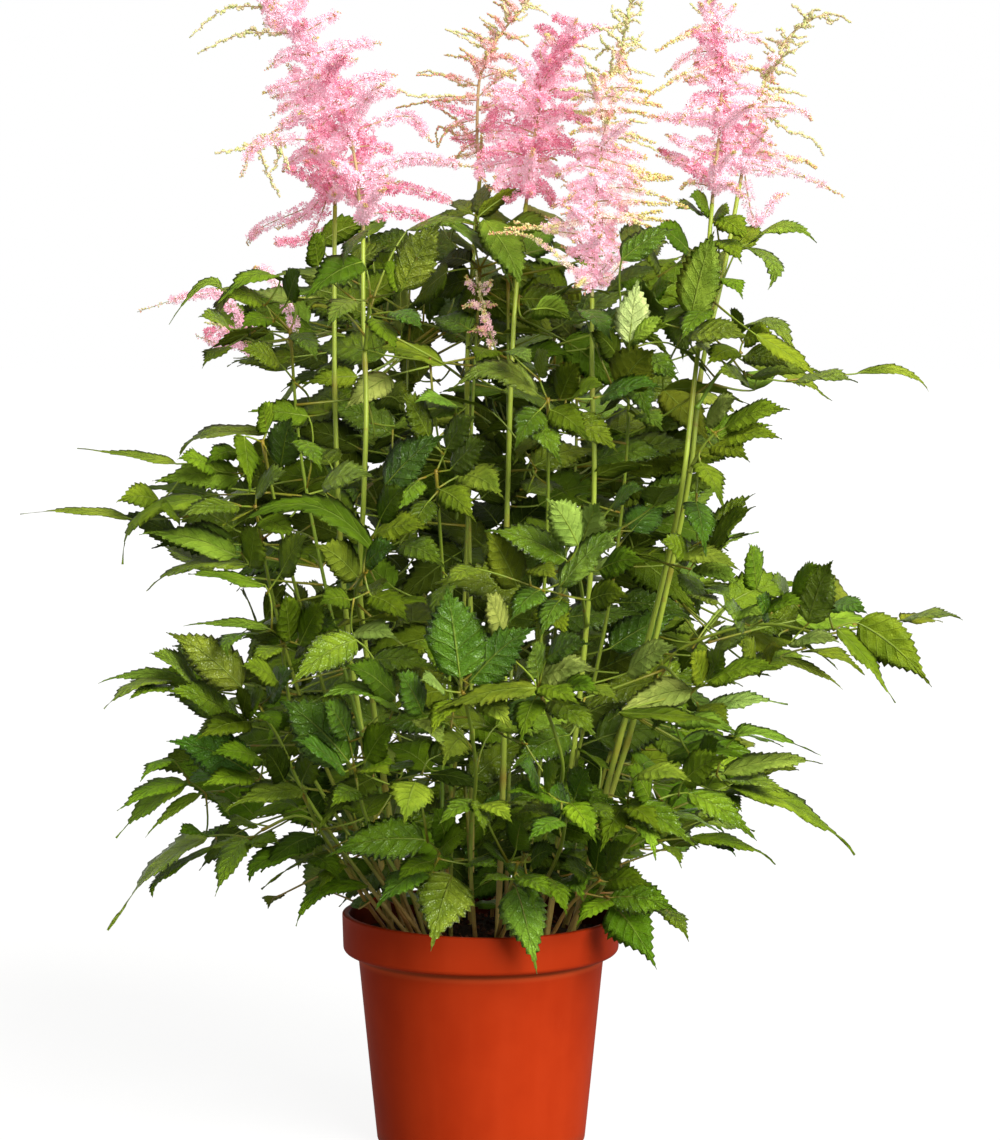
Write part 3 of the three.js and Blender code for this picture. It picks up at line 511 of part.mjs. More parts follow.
    [[-67.2, -211.9, 285.2], [-67.2, -177.3, 301.9], [-59.9, -195.3, 300.4], [-52.7, -213.3, 293.4], [0.479, -0.015, 0.878], 17.1],
  ], []],
  ['leaf_13', 0x3a6220, [[10.5, -48.2, 146.32], [13.2, -64.5, 161.2], [16.1, -81.3, 177.1], [19, -99.4, 191.3], [22, -118.3, 204.5], [25, -137.2, 217.7]], [1.9, 1], [
    [[24.9, -136.7, 217.4], [32.9, -136, 217.5], [41.1, -154, 227.4], [49.4, -171.9, 231.4], [-0.905, -0.3, 0.3], 18.9],
    [[24.9, -136.7, 217.4], [16.5, -138, 217.9], [8.4, -156, 229.1], [0.3, -174, 234.4], [0.785, -0.071, 0.615], 19.3],
    [[19.9, -137.5, 217.7], [23.6, -150.6, 227.9], [25.5, -168.6, 244.4], [27.3, -186.7, 254.6], [-0.618, -0.508, -0.601], 20.3],
    [[23.2, -125.7, 209.7], [25.7, -125.5, 205.7], [36.7, -143.8, 205], [47.6, -162.1, 198.3], [-0.147, -0.281, 0.948], 18.7],
    [[23.7, -125.7, 208.9], [21.8, -128.8, 205], [11, -146.9, 210.1], [0.2, -165, 209.3], [0.254, -0.036, 0.967], 18.2],
    [[20.8, -111, 199.4], [23.8, -111.2, 196.6], [30.8, -114.1, 172.9], [37.7, -117.1, 141.3], [0.012, -0.994, 0.108], 29.5],
    [[21.4, -114.7, 202], [47, -113.7, 202.4], [51.9, -132.1, 196.3], [56.9, -150.4, 184.3], [0.36, -0.331, 0.872], 18.2],
    [[18.2, -137.7, 217.8], [1.7, -193.6, 264.7], [11.5, -211.7, 264.7], [21.4, -229.9, 258.9], [-0.133, -0.229, 0.964], 18],
    [[5, -182.4, 255.3], [0.4, -193.6, 264.7], [1.8, -211.5, 260.9], [3.1, -229.5, 251.8], [0.607, -0.229, 0.761], 17.2],
    [[1.3, -191.4, 262.8], [-1.5, -190.7, 266.2], [-13.7, -209.1, 265.2], [-25.9, -227.5, 257.9], [0.136, -0.304, 0.943], 19.4],
  ], []],
  ['leaf_14', 0x55762a, [[45.3, -45.9, 146.08], [51.2, -53.4, 158.1], [57.3, -61.2, 170.9], [64.4, -71.1, 181.6], [72.1, -82.5, 190.1], [79.9, -94.1, 198.3]], [1.9, 1], [
    [[78.2, -91.6, 196.5], [79.8, -99.1, 201.8], [89.1, -117.6, 219.8], [98.4, -136.1, 230.8], [-0.907, -0.418, 0.049], 21.8],
    [[79.7, -93.8, 198.1], [84.1, -89.4, 196.1], [98, -107.9, 201.9], [112, -126.4, 201.2], [-0.629, -0.382, 0.677], 20.1],
    [[79.5, -97.6, 200.7], [73.1, -99.8, 200.6], [62.8, -117.9, 210.8], [52.5, -135.9, 214.8], [0.823, -0.272, 0.499], 19.8],
    [[79.5, -97.6, 200.7], [76.8, -112.6, 208.2], [78.2, -130.6, 225], [79.7, -148.7, 235.5], [-0.794, -0.406, -0.453], 20.5],
    [[69.1, -78.1, 186.8], [87.4, -68, 181.5], [110.1, -86.7, 184.9], [132.8, -105.5, 180.1], [-0.525, -0.657, 0.541], 25.4],
    [[83.7, -70, 182.6], [86.3, -81.6, 182.5], [74.9, -100, 180.9], [63.5, -118.4, 173.1], [0.007, -0.254, 0.967], 19.1],
    [[85.3, -77, 182.5], [88.1, -67.7, 178], [103.1, -81.3, 162.7], [118.1, -94.9, 139.6], [-0.227, -0.87, 0.438], 30.9],
    [[83.7, -70, 182.6], [125.4, -15.2, 165.1], [133.5, -33.6, 160.7], [141.6, -52.1, 150.4], [0.221, -0.275, 0.936], 18.4],
  ], []],
  ['leaf_15', 0x43682a, [[18.8, -52.6, 146.17], [32.1, -70.5, 172.1], [44.9, -89.1, 199], [53, -113.4, 222.8], [55.5, -142.7, 242], [57.1, -172.7, 260.2]], [1.9, 1], [
    [[57.1, -171.9, 259.7], [58.3, -174.4, 262.5], [66.6, -193, 255.6], [74.8, -211.6, 242.5], [-0.051, -0.49, 0.87], 19.5],
    [[56.7, -166.1, 256.2], [61.1, -165.9, 263.1], [65.8, -184.1, 280.1], [70.5, -202.3, 290.5], [-0.703, -0.535, -0.469], 21],
    [[56.4, -160.3, 252.7], [58.7, -157, 252.6], [50, -175.2, 267], [41.3, -193.4, 275], [0.906, -0.424, 0.011], 21.7],
    [[56.7, -166.1, 256.2], [66.3, -164.3, 257.6], [77.4, -182.5, 259.3], [88.5, -200.8, 254.9], [-0.273, -0.236, 0.932], 18.4],
    [[58.1, -173.9, 261.9], [49.1, -188.1, 266.5], [33.7, -206.7, 276], [18.2, -225.3, 278.5], [0.59, -0.24, 0.771], 22.4],
    [[55.8, -148.6, 245.6], [58.8, -148.3, 248.6], [41.5, -167.1, 257.5], [24.1, -185.8, 259], [0.487, -0.216, 0.846], 22.5],
    [[52.7, -182.4, 264.7], [51.7, -186.3, 253.3], [41.3, -204.5, 252.7], [30.9, -222.7, 246.2], [0.157, -0.273, 0.949], 19.2],
    [[50.9, -185.3, 265.6], [41.2, -203.9, 277.3], [46.3, -221.8, 290.2], [51.4, -239.7, 297.1], [-0.959, -0.282, -0.015], 18.2],
    [[43.1, -200.2, 275], [38.7, -198.2, 276.4], [31.9, -216.3, 290.1], [25.1, -234.3, 297.6], [0.949, -0.234, 0.209], 20.7],
  ], []],
  ['leaf_16', 0x3f6a1c, [[58.1, -29.8, 145.81], [70.4, -40.4, 177.6], [82.4, -55, 208.5], [92.1, -82.9, 229.4], [99.9, -115.7, 243], [107.7, -148.6, 256.5]], [1.9, 1], [
    [[106, -141.4, 253.5], [110.8, -151.5, 260.9], [102.3, -169.9, 278.8], [93.9, -188.4, 289.8], [0.887, -0.457, -0.064], 22.4],
    [[109.8, -149.5, 259.4], [104.3, -150.7, 252.9], [108.8, -169.3, 244.1], [113.3, -187.9, 228.9], [0.284, -0.471, 0.835], 19.5],
    [[107.5, -147.8, 256.2], [95.1, -153.2, 257.2], [106.1, -171.6, 254.8], [117, -190.1, 246.1], [-0.054, -0.318, 0.947], 19.1],
    [[97.6, -152.1, 257], [95.7, -155, 259.5], [117.8, -168.7, 251.6], [139.9, -182.4, 235.8], [-0.012, -0.665, 0.746], 24.6],
    [[106, -141.4, 253.5], [94.1, -143.6, 255.8], [85.9, -162.3, 247.6], [77.6, -180.9, 232.9], [-0.053, -0.504, 0.862], 21.1],
    [[107.5, -147.8, 256.2], [135.4, -140.7, 263.9], [157.5, -153.1, 255], [179.6, -165.5, 238.2], [0.162, -0.555, 0.816], 24.5],
    [[129.8, -142.1, 262.4], [131.4, -154.6, 272.5], [145.2, -173.4, 288], [158.9, -192.1, 296.1], [-0.825, -0.561, 0.07], 22.5],
    [[96.1, -154.4, 259], [101.4, -194.1, 284.2], [118, -212.9, 288.5], [134.6, -231.6, 285.8], [-0.372, -0.291, 0.881], 21.6],
    [[95.4, -96.6, 235.1], [122.7, -105.3, 223.7], [127.5, -123.2, 222.4], [132.3, -141.1, 215.7], [0.382, -0.103, 0.919], 16.4],
    [[117.2, -103.6, 226], [139.4, -103.4, 228.1], [168.4, -106.3, 227.2], [196.1, -109.3, 213.7], [0.22, -0.213, 0.952], 25.4],
    [[135, -103.4, 227.7], [154.4, -84.7, 221.7], [161.6, -102.6, 223.7], [168.9, -120.5, 220.2], [-0.062, -0.066, 0.996], 16.7],
  ], []],
  ['leaf_17', 0x486f22, [[63.8, -3.8, 146.1], [80.6, -20.4, 176.3], [97.5, -37.5, 207.2], [114.1, -60.5, 234.2], [129.6, -89.8, 255.1], [144.9, -120.1, 274.7]], [1.9, 1], [
    [[141.5, -113.4, 270.4], [144.5, -127.8, 281.2], [149.9, -145.9, 295.3], [155.4, -164, 303.3], [-0.937, -0.338, -0.089], 19.7],
    [[138.6, -107.5, 266.6], [138.8, -110, 267.9], [130.8, -128.4, 262.5], [122.7, -146.7, 251], [-0.545, -0.143, 0.826], 19.6],
    [[141.5, -113.4, 270.4], [159.8, -113, 272.4], [192.8, -116.4, 282.2], [225.9, -119.8, 282.7], [-0.178, -0.333, 0.926], 29],
    [[156.1, -113.1, 272], [160.1, -108.8, 267.1], [181.1, -128.1, 270], [202.2, -147.4, 264.9], [-0.055, -0.117, 0.992], 24.6],
    [[138.6, -108, 266.9], [124, -101, 282], [148.8, -116.6, 289], [173.7, -132.3, 287.8], [-0.3, -0.31, 0.902], 26.6],
    [[138.6, -107.5, 266.6], [158.5, -102.4, 258.1], [165, -120.3, 257.9], [171.5, -138.3, 252.3], [0.156, -0.103, 0.982], 16.7],
    [[154.5, -103.4, 259.8], [160.8, -97, 258], [170.2, -115.1, 261.6], [179.7, -133.2, 259.5], [-0.206, -0.068, 0.976], 17.6],
    [[156.1, -113.1, 272], [164.4, -124.6, 265.4], [207.6, -129.2, 253.5], [246.1, -133.8, 225.1], [0.413, -0.213, 0.885], 38],
    [[156.1, -113.1, 272], [167.3, -117.4, 296.3], [184.2, -120.3, 300.7], [224.2, -123.2, 288.5], [0.114, -0.194, 0.974], 26],
    [[143.9, -124.9, 279], [127.6, -149.9, 311.8], [146.5, -168.9, 315.2], [165.5, -188, 311], [-0.295, -0.313, 0.903], 23.2],
  ], []],
  ['leaf_18', 0x3a6220, [[117.3, 4.2, 316.5], [119.3, -24.9, 327.1], [121.6, -54.3, 336.4], [125.7, -84.9, 338.3], [131.2, -115.1, 334.2], [136.8, -145.2, 329.6]], [1.5, 1], [
    [[135.6, -138.6, 330.6], [138.1, -145.3, 332.2], [110.6, -151.6, 328], [83.1, -157.9, 315.5], [-0.082, -0.647, 0.758], 25.4],
    [[136.7, -144.4, 329.7], [130.5, -141.5, 325.2], [120, -160, 320.3], [109.6, -178.4, 309.1], [-0.024, -0.388, 0.921], 20.4],
    [[136.7, -144.4, 329.7], [145.3, -143.8, 336.6], [140.1, -161.9, 352.3], [134.9, -180.1, 361.7], [0.866, -0.427, -0.26], 21.3],
    [[134.5, -132.7, 331.5], [143.8, -136.1, 320.6], [152.6, -154.2, 319.9], [161.3, -172.4, 313.5], [-0.21, -0.283, 0.936], 18.4],
    [[134.5, -132.7, 331.5], [149.2, -132.4, 334.6], [154.2, -150.8, 352.1], [159.3, -169.1, 363], [-0.835, -0.462, -0.3], 20.5],
    [[137.6, -144, 331.9], [148.7, -152.5, 339], [170.6, -171.4, 350.3], [192.5, -190.4, 353.2], [-0.493, -0.26, 0.83], 26.9],
    [[141.9, -135.4, 322.8], [146.2, -129.3, 315.1], [169.7, -139.3, 324.9], [200.3, -149.3, 325.5], [-0.282, -0.287, 0.915], 25.3],
    [[143.3, -132.5, 333.4], [180.4, -124.6, 342.2], [174.9, -142.8, 358.3], [169.4, -161, 368], [0.896, -0.403, -0.186], 21.6],
    [[136.7, -144.4, 329.7], [89.6, -177.4, 321.3], [126.1, -180.7, 320.4], [154.8, -184, 317.6], [0.036, -0.192, 0.981], 29.6],
    [[173, -126.2, 340.4], [182.5, -113, 340.9], [189.3, -131.2, 354.6], [196.1, -149.3, 362.1], [-0.915, -0.116, 0.387], 20.8],
  ], []],
  ['leaf_19', 0x55762a, [[65.1, 9.4, 145.3], [75.7, 15.7, 213.8], [94.9, 19.1, 280.5], [129.4, 2.4, 336.6], [188.2, -23.7, 362.1], [239, -68.2, 357.8]], [1.9, 1], [
    [[227.8, -58.4, 358.7], [238.9, -68.6, 363.9], [258.3, -71.7, 344.7], [277.6, -74.8, 316.8], [0.676, -0.414, 0.609], 26.4],
    [[236.7, -66.6, 362.9], [254.8, -49.2, 365.9], [279.6, -52.5, 350.1], [304.4, -55.8, 325.3], [-0.159, -0.987, -0.036], 30.9],
    [[236.7, -66.6, 362.9], [233.1, -72.8, 379.8], [244.4, -91.1, 382.7], [255.6, -109.4, 379.6], [-0.391, -0.247, 0.887], 20.2],
    [[233.8, -71.6, 376.4], [217.8, -89.5, 370.8], [224.2, -108.9, 398.5], [230.6, -128.2, 417.6], [-0.566, -0.705, -0.427], 29.2],
    [[227.8, -58.4, 358.7], [214.7, -80.3, 349.8], [233.7, -99.5, 350.6], [253.1, -118.7, 340.9], [0.082, -0.146, 0.986], 23.7],
    [[221, -85.9, 371.9], [207, -84, 356.2], [222, -102.7, 362.3], [236.9, -121.4, 361.7], [-0.397, -0.188, 0.898], 20.8],
    [[217.3, -75.9, 351.6], [199.6, -86.6, 346.5], [222, -89, 339.4], [241.2, -91.3, 327.6], [0.269, -0.612, 0.743], 9.2],
    [[221, -85.9, 371.9], [205.9, -95.7, 388.1], [213.8, -114.2, 404.8], [221.8, -132.7, 414.7], [-0.943, -0.238, 0.232], 20.8],
    [[208.9, -93.7, 384.9], [188.3, -92.4, 377.8], [200.7, -110.8, 386.2], [213.1, -129.2, 388.1], [-0.642, -0.227, 0.732], 19.7],
    [[251.2, -52.7, 365.3], [288.6, -10.9, 364], [307.1, -30, 370.7], [325.6, -49.1, 370], [-0.274, -0.115, 0.955], 23.1],
    [[208.9, -93.7, 384.9], [182.7, -104.8, 394.3], [178.8, -123.4, 415.4], [174.8, -142, 429.2], [0.792, -0.498, -0.352], 22.3],
  ], []],
  ['leaf_20', 0x43682a, [[11.4, -56.7, 146.13], [25.9, -84.3, 185], [40.5, -111.8, 225], [51.3, -143.2, 263.2], [52.8, -183.4, 293.8], [38.6, -201.3, 337.8]], [1.9, 1], [
    [[39, -200.9, 336.7], [37.3, -207.1, 341.1], [50.5, -225.5, 341.5], [63.8, -244, 335.5], [-0.262, -0.324, 0.909], 19.7],
    [[38.7, -202.1, 337.6], [34.8, -205.5, 333.2], [30.2, -223.9, 325.4], [25.7, -242.3, 311.4], [-0.189, -0.466, 0.864], 19.7],
    [[39, -200.9, 336.7], [37.4, -193.1, 344.5], [56.1, -212.1, 354.4], [74.7, -231, 356.7], [-0.657, -0.452, 0.603], 23.5],
    [[39, -200.9, 336.7], [45.1, -194.3, 331.8], [60.6, -213.4, 325.3], [76, -232.4, 311.3], [-0.044, -0.501, 0.864], 24],
    [[38.4, -197.8, 339.8], [37.4, -198.1, 345.8], [35.3, -216.4, 363.5], [33.2, -234.7, 374.7], [0.779, -0.441, -0.445], 21.1],
    [[39, -200.9, 336.7], [51.4, -200, 339], [63.6, -218.3, 344.3], [75.8, -236.6, 343.4], [-0.573, -0.29, 0.766], 19.9],
    [[38.2, -197.9, 341], [22.8, -174.3, 342.3], [27.5, -191.9, 350.9], [32.2, -209.5, 354.1], [-0.939, -0.144, 0.311], 16.5],
    [[38.2, -197.9, 341], [43, -203.3, 359.2], [56.5, -221.8, 370], [70, -240.3, 374.1], [-0.811, -0.433, 0.395], 20.8],
    [[48.9, -200.2, 338.5], [64.2, -193.3, 339.4], [76.1, -211.6, 340.9], [88, -229.9, 336.3], [-0.079, -0.135, 0.988], 18.9],
    [[48.9, -200.2, 338.5], [94, -197.8, 349.6], [109.3, -216.7, 364.7], [124.6, -235.6, 372.3], [-0.814, -0.416, 0.406], 23.1],
  ], []],
  ['leaf_21', 0x3f6a1c, [[71.4, -44.5, 364], [69.1, -71.9, 380.1], [66.8, -99.5, 395.7], [64.3, -129.4, 406.2], [61.7, -160.9, 409.7], [59, -192.6, 411.7]], [1.5, 1], [
    [[59.1, -191.8, 411.7], [55.2, -192.6, 421.3], [29.1, -203, 436.5], [3.1, -213.3, 443.4], [0.5, -0.66, 0.56], 27.1],
    [[59.1, -191.8, 411.7], [51.3, -198.2, 404.6], [72.7, -201.2, 430.1], [94.1, -204.2, 447.1], [-0.61, -0.587, 0.532], 27.3],
    [[59.6, -185.6, 411.3], [51.5, -187.7, 395.2], [44.9, -206, 388.7], [38.4, -224.3, 376.1], [-0.011, -0.46, 0.888], 19.5],
    [[59.6, -185.6, 411.3], [76.9, -189.6, 414.6], [90.8, -208.1, 422.8], [104.7, -226.6, 424.3], [-0.769, -0.464, 0.441], 21.3],
    [[56, -192.4, 419.4], [62.6, -199.4, 431.4], [52.3, -218.3, 452.2], [41.9, -237.2, 465.3], [0.628, -0.682, -0.374], 23.6],
    [[53.1, -187.3, 398.4], [70.6, -189.6, 395.4], [82.7, -207.9, 401.6], [94.8, -226.2, 401.6], [-0.827, -0.507, 0.244], 20],
    [[60.1, -179.5, 410.9], [65.6, -179, 429.7], [70.9, -197.6, 449.3], [76.1, -216.2, 461.9], [-0.157, -0.671, -0.724], 22],
    [[53.1, -187.3, 398.4], [38.6, -194.5, 402.3], [29.1, -212.9, 397.7], [19.5, -231.2, 387], [0.186, -0.46, 0.868], 19.9],
    [[41.5, -193.1, 401.5], [24.1, -179.8, 402.8], [13.6, -198.9, 427.5], [3.1, -218.1, 443.7], [0.671, -0.681, -0.294], 28.2],
    [[64.5, -179.1, 425.9], [84.9, -174.8, 454.4], [94.4, -193, 464.8], [103.9, -211.2, 469.1], [-0.847, -0.255, 0.467], 18.8],
    [[41.5, -193.1, 401.5], [-1.3, -207.1, 416.9], [-11.2, -225.3, 416.7], [-21.1, -243.4, 410.8], [0.188, -0.262, 0.947], 18],
  ], []],
  ['leaf_22', 0x486f22, [[-20.8, -8, 145.18], [-20.5, -15.9, 213.6], [-20.4, -24.7, 282.2], [-22.3, -40.3, 349.4], [-25.9, -64.8, 413.9], [-29, -100.9, 472.7]], [1.9, 1], [
    [[-28.9, -100, 471.2], [-19.7, -101.2, 472.7], [-6.5, -119.9, 487.2], [6.7, -138.5, 494.6], [-0.807, -0.59, -0.029], 22.9],
    [[-28.9, -100, 471.2], [-39.6, -97.1, 465.9], [-49.6, -115.8, 457.5], [-59.7, -134.5, 442.3], [0.037, -0.547, 0.836], 21.9],
    [[-28.3, -93, 459.8], [-26.3, -104.4, 459.8], [-14.3, -123, 454.6], [-2.4, -141.5, 442.8], [-0.393, -0.579, 0.714], 21.3],
    [[-28.9, -100, 471.2], [-22.4, -97.7, 485.7], [-12.4, -116.3, 502], [-2.4, -134.8, 511.3], [-0.834, -0.538, -0.127], 21.3],
    [[-26.7, -102.1, 459.8], [-32.9, -105.3, 453.2], [-39.7, -123.8, 444.8], [-46.5, -142.3, 429.9], [0.03, -0.541, 0.84], 20.7],
    [[-23.7, -98.2, 482.8], [-32.9, -100.6, 492.5], [-42.2, -119.5, 513.6], [-51.6, -138.4, 527], [0.869, -0.491, -0.068], 24.6],
    [[-35.3, -98.3, 468], [-62.6, -101.4, 462.2], [-41.9, -114.4, 485], [-21.3, -127.4, 499.2], [-0.597, -0.795, 0.107], 27.6],
    [[-31.1, -100.1, 490.6], [-13.4, -75.5, 512.3], [-31.2, -94.3, 515.6], [-49, -113.2, 511.5], [0.159, -0.171, 0.972], 23.4],
    [[-16.9, -80.4, 508], [-16.5, -96.1, 515.3], [-29.5, -114.4, 521], [-42.6, -132.8, 520.3], [0.436, -0.191, 0.879], 20.5],
    [[-16.9, -80.4, 508], [-9.4, -69.3, 513.4], [-38, -72.4, 508.4], [-66.6, -75.4, 495], [-0.238, -0.414, 0.879], 27.2],
    [[-27.7, -85.9, 448.3], [-52.6, -107.4, 423.7], [-36.9, -126.1, 421.6], [-21.2, -144.9, 412.5], [-0.3, -0.495, 0.816], 21.6],
  ], []],
  ['leaf_23', 0x3a6220, [[25.7, 6.9, 145.3], [31.4, -5.8, 222], [36.9, -21.2, 298.6], [42, -47, 372.4], [45.1, -70, 447.2], [44.8, -98.7, 520.1]], [1.9, 1], [
    [[44.8, -98, 518.3], [38.9, -93.9, 521.2], [9.3, -96.9, 539.1], [-20.3, -99.9, 526.7], [0.131, -0.52, 0.844], 27],
    [[44.8, -98, 518.3], [52.8, -93.3, 518.5], [59, -111.8, 535.7], [65.1, -130.2, 546.2], [-0.73, -0.549, -0.406], 21.5],
    [[44.8, -98, 518.3], [46.1, -100.2, 512.2], [58.8, -118.9, 506.8], [71.6, -137.5, 494.6], [-0.366, -0.591, 0.719], 21.9],
    [[44.8, -98, 518.3], [39.5, -100.7, 512.2], [30.9, -119.2, 504.1], [22.3, -137.8, 489.4], [0.236, -0.588, 0.774], 21.1],
    [[44.8, -98, 518.3], [38.8, -101.3, 534.6], [41.6, -119.2, 546.6], [44.3, -137.1, 552.9], [-0.88, -0.315, -0.356], 17.5],
    [[51.2, -94.2, 518.5], [60.4, -107.2, 520.4], [70.7, -125.4, 528.8], [81.1, -143.5, 531.1], [-0.756, -0.251, 0.605], 18.6],
    [[56.7, -102, 519.6], [56.6, -100.6, 505.7], [73.8, -119.7, 500.1], [91, -138.7, 486.9], [-0.21, -0.578, 0.788], 24.7],
    [[40.6, -100.2, 513.4], [32.9, -102.5, 505.8], [43.2, -121.3, 496], [53.4, -140.1, 479.1], [0.002, -0.577, 0.816], 21.7],
    [[58.6, -104.6, 520], [79.1, -94.8, 519.9], [99.1, -113.9, 529.2], [119, -133, 530.7], [-0.534, -0.336, 0.776], 26.5],
    [[75, -96.8, 519.9], [91.9, -86.3, 526.1], [103.3, -105.1, 543.9], [114.7, -123.9, 554.4], [-0.509, -0.693, -0.511], 30.2],
    [[88.5, -88.4, 524.9], [68.7, -82.9, 577.5], [77.5, -101.2, 571.3], [86.2, -119.6, 558.8], [0.188, -0.373, 0.909], 21.1],
  ], []],
  ['leaf_24', 0x55762a, [[-26.6, 17.2, 145.1], [-19.7, 17.1, 236.7], [-13.4, 17, 328.4], [-9.8, 16.8, 420.3], [-5.5, 16.5, 512.2], [-0.5, 16, 604]], [1.9, 1], [
    [[-0.6, 16, 601.7], [-7.4, 15.8, 608.2], [-19.4, 34, 611], [-31.3, 52.1, 607.8], [-0.584, -0.378, 0.718], 19.6],
    [[-0.6, 16, 601.7], [-7.4, 16.5, 595.8], [-21.5, 35, 592], [-35.6, 53.5, 581.4], [-0.815, -0.521, 0.252], 22],
    [[-0.6, 16, 601.7], [-3.2, 6.8, 589.1], [-10.3, 25.4, 578.4], [-17.4, 43.9, 560.8], [-0.869, -0.463, -0.172], 22],
    [[-1.6, 16.1, 583.8], [6.3, 16.8, 589], [20.2, 35.2, 588.5], [34.1, 53.7, 581.4], [0.778, -0.512, 0.364], 21.1],
    [[-0.6, 16, 601.7], [-3.2, 13.4, 640.9], [10.5, 31.8, 641.5], [24.3, 50.2, 635.5], [0.66, -0.4, 0.636], 20.9],
    [[-2.7, 13.9, 633.1], [-0.5, 8.3, 642.3], [0.8, 26.3, 655.6], [2.1, 44.4, 663.1], [-0.67, -0.334, 0.663], 18.8],
    [[-2.7, 13.9, 633.1], [-25.6, -2.4, 636.8], [7.7, 0.8, 615.1], [20.7, 4, 591.9], [0.685, -0.305, 0.662], 28],
    [[4.7, 16.7, 588], [31.8, 17.3, 576.6], [39.9, 35.8, 593.1], [48, 54.4, 602.9], [-0.226, -0.495, 0.839], 20.8],
    [[-2.6, 16.2, 566], [-7.3, 2.3, 561.9], [-22, 20.8, 568.9], [-36.7, 39.3, 569.2], [-0.388, -0.465, 0.796], 21.6],
    [[-3.5, 16.3, 548.1], [-0.6, 18.6, 554.6], [16.8, 37.3, 560.4], [34.1, 56.1, 559.1], [0.455, -0.508, 0.732], 23.1],
    [[26.4, 17.2, 578.9], [68.2, 16.3, 580.8], [52.2, 35, 580.4], [36.2, 53.6, 573], [-0.667, -0.448, 0.596], 21.4],
  ], []],
  ['leaf_25', 0x43682a, [[36.8, -3.4, 145.41], [56.2, -7.8, 226.3], [74.6, -13.8, 307.8], [89.5, -26.2, 389.3], [97.9, -41.4, 471.2], [99.7, -67.5, 550.6]], [1.9, 1], [
    [[99.3, -61.8, 533.2], [97.7, -67.5, 552.6], [102.3, -86.8, 579.7], [106.8, -106.1, 598.3], [-0.83, -0.496, -0.255], 26.1],
    [[98.3, -65.2, 544.8], [99.3, -61.8, 555.1], [112.4, -80.3, 565.2], [125.6, -98.9, 568.7], [-0.765, -0.342, 0.546], 20.5],
    [[99.7, -66.8, 548.6], [106.6, -62.5, 543.8], [119.1, -81, 541.1], [131.6, -99.5, 531.9], [-0.38, -0.505, 0.775], 20.8],
    [[98.3, -65.2, 544.8], [93, -69.7, 544], [82.6, -88.1, 557.8], [72.2, -106.6, 565], [0.849, -0.523, -0.073], 21.3],
    [[99.3, -61.8, 533.2], [101, -70.8, 530.8], [106.3, -89.2, 521.6], [111.6, -107.7, 506], [0.01, -0.554, 0.832], 20.6],
    [[99.7, -66.8, 548.6], [110.1, -54.8, 576.9], [101.2, -73.1, 590.3], [92.2, -91.4, 597.4], [0.894, -0.448, -0.018], 20.6],
    [[105.9, -59.6, 565.6], [114.2, -52.2, 583.5], [121.1, -70.2, 592.9], [127.9, -88.2, 596.7], [-0.941, -0.299, 0.161], 17.6],
    [[112.5, -53.7, 579.9], [120.9, -34.3, 603.3], [113.5, -52.4, 614.4], [106.1, -70.4, 619.6], [0.931, -0.273, 0.243], 19.1],
    [[119.2, -38.2, 598.6], [140.1, -40.2, 616.1], [126.9, -58.7, 627.8], [113.7, -77.2, 632.8], [0.836, -0.462, 0.297], 21.8],
  ], []],
  ['leaf_26', 0x3f6a1c, [[154.6, -7.1, 553.1], [154.7, -13.6, 560.5], [154.9, -20.2, 567.8], [155, -27.7, 574.2], [155.2, -36.3, 579], [155.4, -45.1, 583.3]], [1.5, 1], [
    [[155.4, -43.2, 582.4], [151.2, -48.8, 576.7], [141.7, -67.1, 570.4], [132.1, -85.4, 557.8], [-0.141, -0.396, 0.907], 20.5],
    [[155.2, -36.3, 579], [163.9, -36.4, 597.9], [169.2, -54.3, 594.7], [174.5, -72.2, 585.9], [0.109, -0.288, 0.951], 16.9],
    [[152, -47.7, 577.8], [141.2, -48.4, 572], [148.9, -51.5, 606.8], [156.6, -54.7, 632.8], [-0.377, -0.926, 0], 29.6],
    [[162.2, -36.4, 594.1], [161.7, -26.1, 623.4], [168, -44.1, 619], [174.3, -62.2, 608.9], [-0.007, -0.373, 0.928], 18.4],
    [[161.8, -28.2, 617.5], [176.8, -22.3, 618.6], [195.8, -40.9, 608.7], [191.9, -59.5, 592.3], [0.468, -0.376, 0.8], 20.7],
    [[173.8, -23.5, 618.4], [183, -8.8, 621.3], [204, -28.1, 632.8], [225.3, -47.4, 624.1], [-0.28, -0.238, 0.93], 24.7],
    [[161.8, -28.2, 617.5], [160.7, -18.4, 637.5], [170.3, -36.7, 633.5], [180, -55, 623.5], [-0.296, -0.474, 0.83], 19.7],
    [[160.9, -20.4, 633.5], [158.7, -5, 638.9], [163.1, -22.6, 642.7], [167.5, -40.1, 641.5], [-0.848, -0.174, 0.501], 15.6],
    [[160.9, -20.4, 633.5], [148.4, -20.5, 642.2], [139.4, -38.3, 646.6], [130.5, -56.2, 645.4], [0.594, -0.229, 0.771], 17.3],
    [[153.4, -20.5, 638.7], [155.2, -19.8, 641.5], [147.2, -37.8, 650.3], [139.1, -55.7, 653.4], [0.914, -0.33, 0.237], 17.7],
  ], []],
  ['leaf_27', 0x486f22, [[144.6, -58.7, 511], [149.7, -57.8, 519.4], [154.8, -57, 527.8], [160.7, -56, 535.7], [167.7, -54.8, 542.4], [175.2, -53.6, 548.8]], [1.5, 1], [
    [[172.1, -54.1, 546.1], [176.5, -53.7, 546.1], [190.5, -72.3, 546.7], [204.5, -90.9, 540.8], [-0.47, -0.462, 0.752], 21.1],
    [[173.6, -53.9, 547.4], [171.1, -55.1, 550.2], [160.1, -73.2, 549.2], [149.1, -91.3, 542.1], [0.315, -0.384, 0.868], 19.4],
